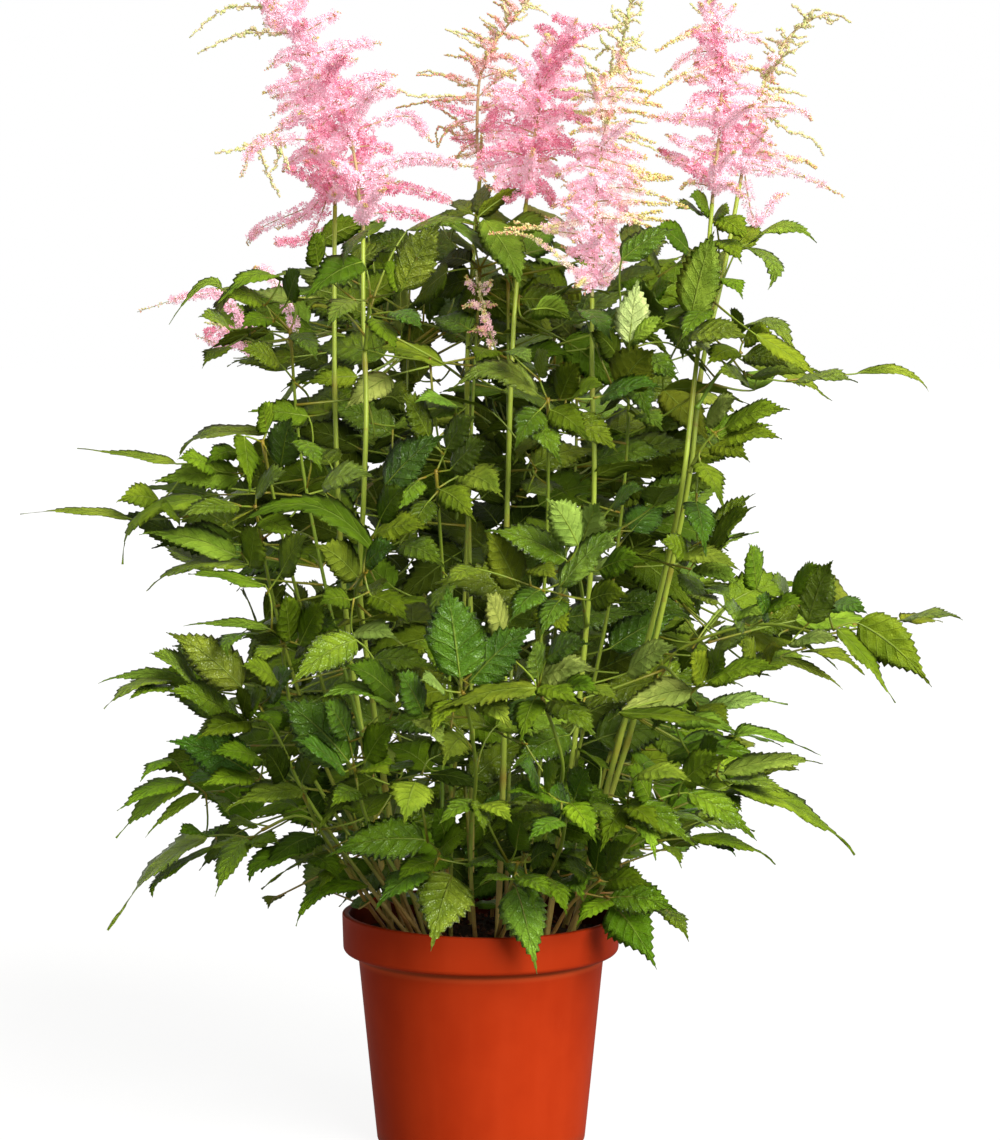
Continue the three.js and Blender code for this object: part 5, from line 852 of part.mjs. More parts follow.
    [[-60.9, 145, 269.7], [-70.4, 149.1, 263.9], [-73.4, 169.2, 282.3], [-76.4, 189.3, 293.5], [0.755, 0.459, -0.469], 22.7],
    [[-58.7, 189, 332.8], [-104.8, 189.1, 345.7], [-119.3, 210.1, 361.6], [-133.8, 231.2, 369.6], [0.843, 0.352, 0.406], 24.3],
    [[-60, 137.3, 263.8], [-74.9, 151.8, 252.1], [-67.9, 169.8, 265.9], [-60.9, 187.8, 273.5], [-0.935, 0.355, 0.011], 20.7],
    [[-67.4, 164.5, 260.7], [-58.8, 180.9, 268.9], [-48.8, 204.7, 279], [-38.7, 228.4, 281.7], [-0.634, 0.059, 0.771], 23.9],
    [[-57.8, 131.3, 256.6], [-72.6, 139.8, 243.9], [-56.3, 161.7, 253.4], [-39.9, 183.4, 255], [-0.507, 0.165, 0.846], 24],
    [[-62.2, 174.3, 265.6], [-47.9, 178.4, 283], [-38.2, 195.4, 296.9], [-28.6, 212.4, 304.5], [-0.902, 0.378, 0.209], 21],
    [[-50.4, 113.9, 234.3], [-59.9, 103.6, 241.6], [-83.8, 96.3, 246.8], [-107.6, 88.9, 243.9], [-0.17, 0.673, 0.719], 23.5],
    [[-55.3, 125.5, 249.1], [-48, 124.2, 254.9], [-49.5, 153.2, 261.9], [-51.2, 182.2, 259.8], [0.167, -0.073, 0.983], 27.4],
  ], [[[-61.7, 152.6, 275.6], [-64.7, 158.8, 269.6], [-67.6, 164.9, 260.2]]]],
  ['leaf_40', 0x43682a, [[-55.3, 32.7, 145.69], [-68.6, 39.1, 180.7], [-84.8, 49.6, 214.1], [-99.2, 73.6, 239.9], [-107.8, 107, 257], [-114.7, 144.5, 262.7]], [1.9, 1], [
    [[-114.5, 143.6, 262.6], [-120, 147.3, 265.7], [-109.8, 163.6, 282.8], [-99.6, 180.1, 293.2], [-0.823, 0.565, -0.064], 21.4],
    [[-114.5, 143.6, 262.6], [-108.7, 161.9, 266.6], [-133.1, 173.8, 258.4], [-157.5, 185.7, 241.9], [-0.054, 0.663, 0.746], 25.7],
    [[-109.9, 158.2, 265.8], [-153.7, 177.7, 280.1], [-170.3, 194.5, 295.8], [-186.7, 211.3, 304], [0.737, 0.672, 0.07], 22.8],
    [[-144.9, 173.8, 277.2], [-174.2, 169.6, 275.5], [-195.6, 186.4, 266], [-216.9, 203.2, 248], [-0.074, 0.573, 0.816], 26.3],
    [[-76.1, 90.5, 218.8], [-97.1, 102.6, 215.4], [-105.3, 121.5, 233.3], [-113.4, 140.4, 244.2], [0.93, 0.364, 0.049], 21.6],
    [[-136.2, 169.9, 274.4], [-108.2, 186, 286.8], [-124.1, 203.2, 290.8], [-140, 220.3, 288.3], [0.365, 0.299, 0.881], 20.2],
    [[-106.1, 100.6, 253.7], [-152.4, 102.6, 230.3], [-177.1, 113.2, 229.5], [-200.7, 123.5, 217], [-0.146, 0.269, 0.952], 23.5],
    [[-88.4, 55.6, 220.6], [-47.4, 48.3, 210.9], [-50.9, 74.3, 213.2], [-54.6, 100.2, 207], [0.34, 0.118, 0.933], 24.7],
    [[-88.4, 55.6, 220.6], [-98, 66, 184.2], [-122.6, 79.8, 187.5], [-147.2, 93.6, 182.9], [0.399, 0.74, 0.541], 24.4],
    [[-96.1, 63.9, 191.5], [-104.7, 65.3, 181.2], [-116.2, 80.3, 166.9], [-127.7, 95.3, 145.3], [0.38, 0.815, 0.438], 28.9],
    [[-92, 67.8, 229.8], [-78, 59.4, 237.3], [-96.2, 38.5, 229.6], [-114.5, 17.4, 212], [-0.774, 0.358, 0.522], 28.8],
    [[-63.8, 51.2, 214.8], [-83, 6.3, 195.5], [-88.4, -20.7, 192.6], [-93.8, -47.6, 180.6], [0.116, -0.286, 0.951], 26.8],
  ], [[[-94, 64.9, 230.6], [-83.7, 79.6, 226.5], [-73.5, 94.2, 216.2]]]],
  ['leaf_41', 0x3f6a1c, [[26.6, 44.4, 145.6], [29.5, 54.2, 173.7], [33.4, 69.1, 199.5], [36.1, 93.4, 217.4], [30.1, 116.5, 236.3], [22, 139.1, 255]], [1.9, 1], [
    [[17.2, 138, 255], [15.7, 147.4, 263.5], [16.6, 166.3, 283], [17.7, 185.3, 295.6], [-0.823, 0.391, -0.413], 22.4],
    [[12.2, 137.5, 255.6], [15.4, 136.3, 258.8], [6.8, 154.2, 270.3], [-1.7, 172.1, 275.8], [0.913, 0.318, 0.255], 18.6],
    [[28.5, 120.9, 240], [29.4, 115.6, 245.6], [40.8, 139.1, 240.2], [52.1, 162.6, 226.9], [-0.116, 0.415, 0.902], 23.8],
    [[16, 145.5, 261.8], [29.4, 157.3, 274.1], [60.6, 166, 274.9], [91.7, 174.8, 266.6], [-0.181, 0.852, 0.492], 29.4],
    [[26.9, 125.3, 243.6], [15, 124.6, 235.5], [20.4, 142.4, 218.5], [25.9, 160.1, 193.6], [-0.201, 0.773, 0.601], 38.1],
    [[17.4, 124.7, 237.1], [16.4, 94.3, 253.5], [40.5, 101.9, 265.7], [64.5, 109.6, 269.4], [-0.415, 0.678, 0.607], 24.9],
    [[-22.7, 134.1, 253.1], [-27.4, 148.3, 262.1], [-32.7, 165.9, 278.8], [-38, 183.6, 289.1], [0.511, 0.615, -0.601], 20.6],
    [[-27.7, 133.6, 252], [-30.1, 116.9, 227.6], [-36.4, 121, 204.1], [-42.5, 125.1, 172.9], [0.17, 0.979, 0.108], 29.2],
    [[16.8, 106.5, 246.9], [0.6, 66.4, 242.4], [-19.5, 46.2, 248.4], [-39.7, 25.9, 245.2], [-0.181, 0.246, 0.952], 26.9],
    [[26.7, 154.9, 271.6], [40.3, 213.8, 316.8], [38.3, 231.6, 309.9], [36.4, 249.3, 297.2], [-0.346, 0.424, 0.837], 27.6],
    [[3.8, 74.4, 243.3], [-20.9, 40.1, 252.9], [-48.1, 42.7, 250], [-75.2, 45.2, 238], [-0.265, -0.012, 0.964], 26.6],
    [[34.9, 190.2, 298.7], [-5.6, 189.2, 298.7], [7.8, 208.5, 297.7], [21.2, 227.9, 289.9], [-0.13, 0.307, 0.943], 20.6],
  ], [[[22.2, 138.5, 254.5], [-3.5, 136, 257.3], [-29.2, 133.5, 251.7]]]],
];
const leaves = new THREE.Group();
plant.add(leaves);
for (const [name, color, points, [r0, r1], blades, rachises] of compoundLeaves) {
  addMesh(leaves, name, join([stalk(points, r0, r1, 3), ...rachises.map((q) => stalk(q, 0.9, 0.9, 3)), ...blades.map((b) => leaflet(...b))]), color, 0.55);
}

export default plant;
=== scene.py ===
import bpy, math
import numpy as np
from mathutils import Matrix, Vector


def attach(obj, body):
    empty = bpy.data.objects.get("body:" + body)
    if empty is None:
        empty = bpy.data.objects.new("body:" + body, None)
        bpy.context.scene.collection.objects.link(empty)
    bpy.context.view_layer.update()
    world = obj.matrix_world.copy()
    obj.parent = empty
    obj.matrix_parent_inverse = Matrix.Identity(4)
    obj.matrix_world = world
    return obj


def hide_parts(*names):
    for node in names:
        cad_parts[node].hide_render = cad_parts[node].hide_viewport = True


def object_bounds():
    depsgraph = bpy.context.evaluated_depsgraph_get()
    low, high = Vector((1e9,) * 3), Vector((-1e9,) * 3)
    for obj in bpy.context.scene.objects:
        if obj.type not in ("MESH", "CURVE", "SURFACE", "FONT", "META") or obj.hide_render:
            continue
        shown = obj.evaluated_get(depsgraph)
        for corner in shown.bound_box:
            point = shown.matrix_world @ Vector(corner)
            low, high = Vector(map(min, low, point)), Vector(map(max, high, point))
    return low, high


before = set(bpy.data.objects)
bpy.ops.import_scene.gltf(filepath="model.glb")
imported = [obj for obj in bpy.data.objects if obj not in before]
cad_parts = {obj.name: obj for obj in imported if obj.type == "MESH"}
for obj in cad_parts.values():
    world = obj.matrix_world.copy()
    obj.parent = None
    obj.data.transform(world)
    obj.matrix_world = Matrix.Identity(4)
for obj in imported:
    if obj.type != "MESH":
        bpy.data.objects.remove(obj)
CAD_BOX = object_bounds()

# Astilbe in a round plastic pot. The tables below are in millimetres in the model's own frame.
STEMS = {
    "flower_stem_1": ([(-48.9,-20.2,145.39), (-58.4,-27.2,206.5), (-67.5,-33.8,268.1), (-75.6,-39.4,329.9), (-81.3,-53,390.5), (-77.9,-67.5,451.3), (-76.3,-60.9,512.6), (-78.8,-38,570.6), (-79.6,-15,628.7)], 2.3, 1.5),
    "flower_stem_2": ([(-62.3,7.6,145.3), (-71.3,5.2,208), (-80.2,3,271), (-89.3,1.2,334.1), (-94.9,-3.2,397.3), (-98,-7.6,460.8), (-99.8,-1.4,523.7), (-100.4,10.5,586.2), (-100.4,28,646.5)], 2.3, 1.5),
    "flower_stem_3": ([(11.5,-17.6,145.06), (13.8,-19,208.7), (15.7,-20.5,272.5), (16.4,-22.3,336.2), (17,-24.4,400), (18.7,-26.7,463.7), (20.7,-27.9,527.2), (24.1,-8.1,587.6), (31,12,647.7)], 2.3, 1.5),
    "flower_stem_4": ([(-7.4,38.4,145.01), (-6.8,37,211.2), (-6.3,35.6,277.5), (-6.9,34.2,343.8), (-8.4,32.7,410.1), (-9.4,31,476.3), (-9.3,26.7,542.4), (-5.7,39.3,606.4), (-0.7,62,668.1)], 2.3, 1.5),
    "flower_stem_5": ([(44.8,-28.5,145.31), (52.7,-31.2,199.8), (60.5,-34.1,254.7), (66.8,-36.9,309.7), (71.9,-40.3,364.8), (75.3,-49.4,419.4), (76.5,-53,474.5), (75,-48,529.8), (75,-42,584.6)], 2.3, 1.5),
    "flower_stem_6": ([(62.5,-12.3,145.53), (77.1,-19.6,209.2), (92.1,-27.1,273.3), (109.3,-35.1,336.7), (124.5,-45.4,400.4), (134.9,-69.2,461.1), (142.4,-56.6,521.8), (150.6,-37.1,584.2), (156.4,-22,647.6)], 2.3, 1.5),
    "flower_stem_7": ([(58.6,21.6,145.71), (80,15.9,208.9), (100.4,10.5,273.2), (117.7,5.5,338.4), (131.8,-1.5,404.2), (143.1,-16.4,469.1), (150.5,-6.6,534.4), (165.6,7.1,598.7), (178.3,28,661.5)], 2.3, 1.5),
}
# plume: axis, radii, branches of (radius, kind, points)
PLUMES = {
    "plume_1": ([(-79.61,-14.82,629.16), (-79.68,-12.79,634.28), (-82.3,-17.5,653), (-83.6,-18.4,669.8), (-91.5,-19,707.5), (-105,-19.2,729.6), (-119.7,-19,753), (-128.4,-18.4,774.4), (-143.1,-17.5,784.4), (-153.9,-16.3,792.5), (-161.9,-15,795.8)], (1.4,0.7), [
        (2.6, "g", [(-135.7,-17.9,779.4), (-171.3,-17.9,778.3), (-195.6,-17.9,759.6)]),
        (2.6, "g", [(-123.3,-18.7,761.9), (-160.2,-18.7,761.5), (-190.3,-18.7,748.9)]),
        (4.2, "p", [(-122.6,-18.8,760.1), (-106.9,-12.9,769.9), (-95.7,-5.3,777)]),
        (4.2, "p", [(-116,-19,747.2), (-89.3,-15.3,753.7), (-66.5,-10.4,755.9)]),
        (4.2, "p", [(-109.9,-19.1,737.4), (-94.7,-16.1,742.9), (-82.7,-12.2,744.5)]),
        (4.2, "p", [(-99.4,-19.1,720.4), (-76,-13,732.4), (-57.3,-5,734.7)]),
        (4.2, "p", [(-92.6,-19,709.3), (-70.3,-23.2,721.3), (-52.6,-28.6,723.1)]),
        (4.2, "p", [(-88.9,-18.8,694.9), (-50.7,-14.3,706.8), (-32.2,-8.6,688.8)]),
        (4.2, "p", [(-83.3,-18.2,665.6), (-46.4,-26.5,678), (-1.6,-37.3,671.5)]),
        (4.2, "d", [(-82.3,-17.5,653), (-51.6,-7.7,658.5), (-19.6,5,649.1)]),
        (4.2, "d", [(-80.6,-14.4,640.5), (-53.7,-9,642.2), (-33.1,-2.1,635.5)]),
        (4.2, "l", [(-82.6,-17.7,657.2), (-68,-14.5,661.1), (-53.2,-10.3,662.5)]),
        (4.2, "p", [(-116,-19,747.2), (-131.2,-14.5,747.7), (-145.1,-8.7,737.9)]),
        (4.2, "p", [(-107.4,-19.2,733.5), (-131.3,-14.1,728.3), (-148,-7.6,721.8)]),
        (4.2, "p", [(-100.5,-19.1,722.2), (-122.1,-11.5,719), (-143,-1.5,707.2)]),
        (4.2, "p", [(-94.9,-19,713), (-118.5,-15.7,710.8), (-141.1,-11.5,695.5)]),
        (4.2, "p", [(-87.5,-18.7,688.7), (-109.7,-18.7,690.6), (-150.2,-18.7,688.6), (-161.8,-18.7,665.1)]),
        (2.6, "g", [(-141.1,-11.5,695.5), (-161.4,-23,685.1), (-177.8,-38,681.5)]),
        (2.6, "g", [(-141.1,-11.5,695.5), (-136.9,-15.3,678.6), (-143.5,-20.2,666.4)]),
        (2.6, "g", [(-150.2,-18.7,688.6), (-144,-11.6,667.2), (-136.5,-2.3,653.1)]),
        (4.2, "d", [(-84.9,-18.5,676.1), (-99.1,-14.1,673.2), (-108.9,-8.4,662.5)]),
        (4.2, "p", [(-139.4,-17.7,781.9), (-143,-17.7,774.9), (-137.7,-17.7,766.9)]),
        (4.2, "l", [(-123.3,-18.7,761.9), (-133.8,-15,765.7), (-147.6,-10.2,768.7)]),
        (4.2, "d", [(-102.7,-19.2,725.9), (-83.7,-25.2,723.9), (-74,-33,716.9)]),
        (4.2, "d", [(-86.9,-18.6,685.5), (-73.3,-16.4,686.6), (-59.9,-13.5,684)]),
        (4.2, "p", [(-80,-13.4,636.6), (-71.4,-44.9,650.9), (-62.7,-76.5,658.1)]),
        (4.2, "d", [(-81.7,-16.4,648.8), (-92.7,9.2,665.1), (-103.7,34.8,673.3)]),
        (4.2, "p", [(-82.9,-17.9,660.1), (-91,-43.8,670.1), (-99.1,-69.7,675.1)]),
        (4.2, "d", [(-84.2,-18.4,672.6), (-78.6,3.5,685.2), (-73.1,25.5,691.4)]),
        (4.2, "p", [(-89.3,-18.8,697.1), (-76.3,-42.7,716.9), (-63.2,-66.6,726.8)]),
        (4.2, "p", [(-96.6,-19.1,715.8), (-99.8,4.9,733.1), (-103.1,28.8,741.8)]),
        (4.2, "d", [(-105.4,-19.2,730.2), (-97.6,-41.5,739.8), (-89.9,-63.7,744.6)]),
        (4.2, "d", [(-114.9,-19.1,745.4), (-116.2,-4.7,752.9), (-117.5,9.6,756.7)]),
        (4.2, "p", [(-122.5,-18.8,760), (-131.3,-36.7,772), (-140.1,-54.6,778.1)]),
        (4.2, "p", [(-128.2,-18.4,773.9), (-123.1,-4.9,781.8), (-117.9,8.6,785.8)]),
        (4.2, "p", [(-137.6,-17.8,780.7), (-143.8,-26.5,785.2), (-150.1,-35.2,787.5)]),
        (4.2, "p", [(-146.1,-17.2,786.6), (-145.9,-5.8,791.4), (-145.8,5.6,793.8)]),
        (5, "p", [(-108.4,-16.3,721), (-97.8,-10.3,712.5), (-88.5,-5.1,711.1)]),
        (5, "d", [(-97.8,-10.3,712.5), (-107.1,-14.7,700.7), (-116.4,-18.6,697.7)]),
        (5, "p", [(-103.5,-17.8,712.2), (-92.2,-14.6,711.1), (-81.6,-11.3,702)]),
        (5, "p", [(-88.6,-18.8,693.6), (-101.4,-21.9,687.5), (-110.8,-24.6,684.3)]),
        (4.8, "d", [(-87.3,-18.7,687.7), (-82.8,-14.4,692.1), (-72.2,-9.9,690.7)]),
        (5, "p", [(-110.3,-15.6,720.7), (-122.2,-8.2,731.9), (-130.6,-2.1,741.8)]),
        (5, "p", [(-113.9,-17.8,732.1), (-107.1,-12.5,736.7), (-96.5,-6.5,733.6)]),
        (5, "p", [(-116.6,-19,748.1), (-112.3,-15,743.4), (-101.8,-10.1,741.1)]),
        (4.8, "d", [(-86.5,-18.6,683.7), (-95,-15,694.5), (-100.5,-11.4,700.8)]),
        (4.8, "p", [(-83.3,-18.2,666.3), (-92.3,-16,664.9), (-101.9,-13.5,658)]),
        (4.8, "p", [(-82.8,-17.9,660.1), (-73.2,-20.1,664.6), (-62.4,-22.6,667.2)]),
        (4.8, "p", [(-84.8,-18.5,675.8), (-77.5,-12.6,673.9), (-66.9,-7.1,669.7)]),
        (4.6, "d", [(-87.8,-18.7,689.6), (-84.1,-16,695.8), (-74.7,-13.7,700.3)]),
        (4.8, "p", [(-123.8,-18.7,763.1), (-136.6,-12.1,769.5), (-143.7,-6.9,776.8)]),
        (4.6, "p", [(-120.6,-18.9,755.3), (-116,-22.1,754.5), (-109.1,-24.9,759.7)]),
        (4.4, "l", [(-97.2,-19.1,716.8), (-110.8,-21.1,709.5), (-122.8,-23.3,708.6)]),
        (3.2, "g", [(-146.8,-18.7,761.6), (-155.4,-15.3,764.5), (-163.7,-12.3,761.2)]),
        (3, "g", [(-135.5,-18.7,689.3), (-132.4,-23.1,678.7), (-128.3,-26.2,671)]),
        (4.4, "l", [(-111.4,-14.9,721.7), (-101.5,-17.9,722.2), (-91.9,-21,721)]),
        (4.8, "d", [(-97.5,-13.4,697.4), (-105.6,-18.7,695.3), (-116.2,-24.2,689.2)]),
        (4.4, "p", [(-80,-13.3,636.2), (-77.9,-37.1,644.5), (-76.1,-58.5,646.8)]),
        (4.4, "p", [(-81.7,-16.5,649.1), (-82.5,7.6,651.1), (-83.1,29.3,648.1)]),
        (4.4, "d", [(-82.9,-17.9,661), (-90.7,-34.2,665), (-97.6,-48.9,664.9)]),
        (4.4, "p", [(-84.4,-18.5,673.8), (-79.6,2.5,680.6), (-75.2,21.4,682.2)]),
        (4.4, "d", [(-89.8,-18.9,699.6), (-91.1,-36.1,706.5), (-92.2,-51.6,709.1)]),
        (4.4, "p", [(-97.2,-19.1,716.8), (-99.5,-0.4,720.7), (-101.7,16.3,720.4)]),
        (4.4, "p", [(-106.5,-19.2,732.1), (-108.2,-30.6,733.1), (-109.7,-40.9,731.8)]),
        (4.4, "p", [(-116.6,-19,748.1), (-115.4,-9.4,750.5), (-114.3,-0.7,750.6)]),
        (4.4, "d", [(-123.4,-18.7,762), (-120.6,-28,766.2), (-118.2,-36.3,767.9)]),
        (4.4, "p", [(-129.2,-18.4,774.9), (-127.5,-7.5,779), (-126,2.2,780.3)]),
        (4.4, "p", [(-140,-17.7,782.3), (-142.5,-24.8,784.4), (-144.8,-31.1,784.8)]),
        (4.4, "p", [(-147.6,-17,787.8), (-148.4,-9.7,790.2), (-149.1,-3.1,790.8)]),
    ]),
    "plume_2": ([(-100.4,28.14,646.98), (-100.4,29.67,652.26), (-101,27.3,658.8), (-101.7,35.7,674.5), (-105,25.9,691.6), (-110.4,35.2,710.7), (-115.9,30.6,724.4), (-120,22.9,733.9)], (1.4,0.7), [
        (4.2, "p", [(-101.5,33,669.5), (-103.8,43.3,653.4), (-152.5,56.5,632), (-164,71.2,619.5)]),
        (4.2, "p", [(-101.4,31.6,666.8), (-118.2,39.9,643.1), (-142.4,50.6,630.7)]),
        (4.2, "d", [(-101.3,31.1,665.9), (-116.7,22.4,626.9), (-141.5,11.1,621.2)]),
        (4.2, "p", [(-103.7,29.7,685), (-124.8,36.9,680.8), (-137.8,46.4,670)]),
        (4.2, "p", [(-109.2,33.2,706.6), (-127.6,39.9,705.6), (-141.9,48.5,697.6)]),
        (4.2, "l", [(-114.7,31.6,721.3), (-130,35.9,724.6), (-145.5,41.3,720.7)]),
        (4.2, "d", [(-101.6,34,671.4), (-88.7,30.5,660.2), (-79,26,646.4)]),
        (4.2, "l", [(-104.3,27.9,688), (-90.1,32.3,697.2), (-79.2,37.9,700.1)]),
        (4.2, "p", [(-112.4,33.5,715.7), (-98.3,35.2,721.9), (-90.2,37.5,720.6)]),
        (4.2, "d", [(-100.4,29.3,651.1), (-116.8,7.9,665.7), (-133.1,-13.5,673)]),
        (4.2, "p", [(-100.5,29.1,653.8), (-111.1,45.2,661.1), (-121.6,61.4,664.8)]),
        (4.2, "d", [(-100.8,28,656.8), (-109.7,5.5,669.9), (-118.7,-17.1,676.4)]),
        (4.2, "p", [(-101.1,28.6,661.2), (-88,53.2,676.7), (-74.9,77.8,684.4)]),
        (4.2, "p", [(-101.4,32.4,668.3), (-108,7.3,678.5), (-114.6,-17.7,683.7)]),
        (4.2, "d", [(-101.9,35.1,675.6), (-114.4,48.1,681.9), (-126.8,61.2,685.1)]),
        (4.2, "p", [(-103.4,30.6,683.3), (-94.3,17.2,689.7), (-85.3,3.7,692.9)]),
        (4.2, "p", [(-104.9,26.2,691.1), (-106.4,42.2,702.7), (-107.9,58.2,708.5)]),
        (4.2, "p", [(-107.3,29.9,699.8), (-110.7,15.9,706.8), (-114.2,1.9,710.4)]),
        (4.2, "p", [(-109.8,34.1,708.5), (-119.5,44.4,714.2), (-129.2,54.6,717)]),
        (4.2, "d", [(-112.3,33.6,715.3), (-118,19.3,720.8), (-123.8,4.9,723.6)]),
        (4.2, "p", [(-114.8,31.6,721.6), (-112.4,40,724.9), (-110.1,48.5,726.6)]),
        (4.6, "p", [(-101.5,33,669.5), (-109.6,36.2,665.6), (-119.5,39.7,659.2)]),
        (4.6, "p", [(-103.6,30,684.4), (-111.8,25.1,680.7), (-121.2,20.3,674.4)]),
        (4.6, "p", [(-101.1,28.2,660.5), (-93,33.7,653.2), (-85,38.8,648.4)]),
        (4.4, "p", [(-100.4,29.7,652.3), (-100.1,13.8,654.8), (-99.9,-0.5,653.8)]),
        (4.2, "l", [(-100.8,27.9,657.1), (-97.7,45.9,659.3), (-94.8,62.1,657.6)]),
        (4.4, "p", [(-101.4,31.7,667.1), (-99.8,18.5,672.4), (-98.4,6.5,674.3)]),
        (4.4, "p", [(-102.7,32.6,679.9), (-104.3,42,680.9), (-105.7,50.5,679.9)]),
        (4.2, "l", [(-105.6,26.9,693.6), (-104.5,17.6,697.8), (-103.5,9.3,699.6)]),
        (4.2, "l", [(-110.1,34.7,709.7), (-109.2,42.7,711.4), (-108.4,49.8,711.3)]),
        (4.4, "p", [(-114.5,31.8,720.8), (-114.9,24,721.6), (-115.3,17,720.7)]),
    ]),
    "plume_3": ([(31.05,12.16,648.17), (31.65,13.89,653.36), (34.4,8.6,668.8), (36.4,8.1,691.9), (39.8,7.7,708.9), (41.2,7.6,730.5), (48,7.7,742), (54.8,8.1,754.2), (62.9,8.6,762.3), (74.5,9.3,766.3), (92.2,10,767)], (1.4,0.7), [
        (4.2, "p", [(40.9,7.6,725.1), (29.6,11.3,740), (17.3,16.2,750.4)]),
        (4.2, "d", [(40.3,7.7,716.1), (24.1,12.3,721.1), (10.5,18.4,724)]),
        (4.2, "p", [(38.9,7.8,704.7), (26.9,13.1,714.4), (13.2,19.9,715.9)]),
        (4.2, "p", [(36.7,8.1,693.3), (18.7,16,697.5), (-0.5,26.3,696.4)]),
        (4.2, "p", [(35.7,8.3,684.2), (16.6,8.3,685.8), (-1.8,8.3,673.5), (6.4,8.3,657.2)]),
        (4.2, "p", [(38.7,7.8,703.2), (56.9,12.6,708.9), (76.2,18.9,705)]),
        (4.2, "d", [(35.9,8.2,686.1), (51.4,5.4,689.1), (67.6,1.7,686.3)]),
        (4.2, "p", [(41.1,7.6,728.7), (55.5,13.9,734.7), (72.1,22,733.7)]),
        (4.2, "d", [(34.6,8.6,670.7), (16.6,13.9,660.7), (20.1,20.9,647.8)]),
        (4.2, "d", [(33.5,10.4,663.7), (44,13.6,657.3), (51.6,17.8,646.4)]),
        (2.6, "g", [(58.2,8.3,757.6), (67.7,10.9,754.9), (80.1,14.4,753)]),
        (4.2, "l", [(35.2,8.4,678.4), (48.8,12.4,672.2), (58.4,17.5,662.8)]),
        (4.2, "p", [(46.3,7.7,739.1), (40.5,12.4,750.9), (46,18.5,759.3)]),
        (4.2, "p", [(50.8,7.9,747.1), (63.7,11.7,745.5), (70.6,16.7,741.6)]),
        (4.2, "p", [(34.9,8.5,674.6), (18.7,3.4,672.1), (9.1,-3.2,665.3)]),
        (4.2, "d", [(40.5,7.7,719.7), (51.4,9.8,723.7), (61,12.7,719.8)]),
        (4.2, "p", [(32,13.2,655.3), (33.6,-14.7,674.4), (35.3,-42.7,684)]),
        (4.2, "d", [(33.8,9.8,665.3), (33.1,34.1,674.4), (32.3,58.4,679)]),
        (4.2, "d", [(35.3,8.4,678.6), (31.2,-10.3,687), (27.2,-29,691.2)]),
        (4.2, "p", [(36.7,8.1,693.2), (52.8,31.1,709.5), (68.9,54.1,717.7)]),
        (4.2, "p", [(38.9,7.8,704.2), (21.6,-9.7,715.3), (4.3,-27.2,720.9)]),
        (4.2, "p", [(40.3,7.7,717), (34.3,22.1,725.3), (28.3,36.6,729.5)]),
        (4.2, "d", [(41.4,7.6,730.8), (51.4,-13.3,742.4), (61.5,-34.1,748.1)]),
        (4.2, "d", [(45.8,7.7,738.3), (41.6,23.3,746.9), (37.3,38.9,751.2)]),
        (4.2, "d", [(50.2,7.8,746), (57.1,-9.1,754.7), (64.1,-26,759.1)]),
        (4.2, "d", [(54.6,8.1,753.9), (46.6,24.1,764.3), (38.6,40.1,769.5)]),
        (4.2, "p", [(59.9,8.4,759.3), (62.1,-4.6,767), (64.4,-17.6,770.8)]),
        (4.2, "d", [(66.1,8.8,763.4), (58,17.4,771.4), (50,26,775.4)]),
        (4.4, "p", [(39.9,7.7,710), (26.8,1.6,721.3), (14.6,-2.8,726.1), (5.7,-5.7,722.6)]),
        (4.6, "d", [(38.4,7.9,701.7), (24.1,12.8,710.6), (13.2,15.9,711.5), (5,18.4,706.2)]),
        (4.4, "d", [(37.1,8,695.5), (23.4,12.2,700.9), (10.5,15.4,703.2), (0.9,17.9,698.5)]),
        (4.4, "p", [(35.9,8.2,685.8), (23.5,13.7,689.6), (10.5,18.4,692.9), (-1.9,22.6,692.3)]),
        (4.6, "d", [(35.2,8.4,678.5), (21.4,0.8,683), (7.8,-5.1,683.5), (-1.7,-9.6,678.7)]),
        (4.6, "p", [(34.8,8.5,673.7), (21.4,14.5,676.3), (9.1,19.2,674.4), (-0.5,23.2,669.5)]),
        (4.4, "p", [(34.5,8.6,670), (22.7,3.1,666.5), (13.2,-1.4,661.5), (6.4,-4.6,656.8)]),
        (4, "d", [(32.8,11.7,659.9), (25.5,6.9,657.2), (16.6,1.4,649.7)]),
        (4.6, "p", [(40.5,7.7,719.1), (50.6,4.2,725.8), (62.1,1.4,723.7), (71.6,-1.3,716.9)]),
        (4.6, "d", [(39.9,7.7,710), (51.3,0.7,711.6), (62.7,-5.5,706.3), (75.5,-11.8,702)]),
        (4.4, "p", [(38.2,7.9,700.8), (47.4,13.6,696.2), (57,18.9,701.5)]),
        (4.6, "d", [(36,8.2,687), (47.3,6.2,691.2), (59.5,4.3,690.4), (69,2.7,684.8)]),
        (4.4, "d", [(35.6,8.3,682.2), (48.6,2.3,684.4), (60.8,-2.7,683.8), (70.2,-6.8,678.3)]),
        (4, "p", [(34.7,8.5,672.4), (44.7,13,671.3), (54.3,17.1,665.7)]),
        (4.4, "p", [(41.1,7.6,729.4), (47.2,3.2,733.6), (55.3,-1.8,740.4)]),
        (4.4, "l", [(41.9,7.6,731.7), (34.9,2.3,738.5), (30.8,-1.9,742)]),
        (4.6, "p", [(40.2,7.7,715.7), (33.6,2.6,722), (29.5,-0.9,730.4)]),
        (4.4, "p", [(41.2,7.6,730.5), (48.7,11.5,737.9), (54.2,14.9,747.9)]),
        (4.2, "d", [(32.1,13.1,655.8), (40.6,17,660.4), (47.5,20.8,654.8), (49.6,24.1,644.3)]),
        (2.6, "c", [(54.4,8.1,753.6), (48.6,12.2,758.2), (44.6,15.7,763.6)]),
        (4, "l", [(36.6,8.1,692.8), (46,11.2,697.2), (54.2,13.5,695)]),
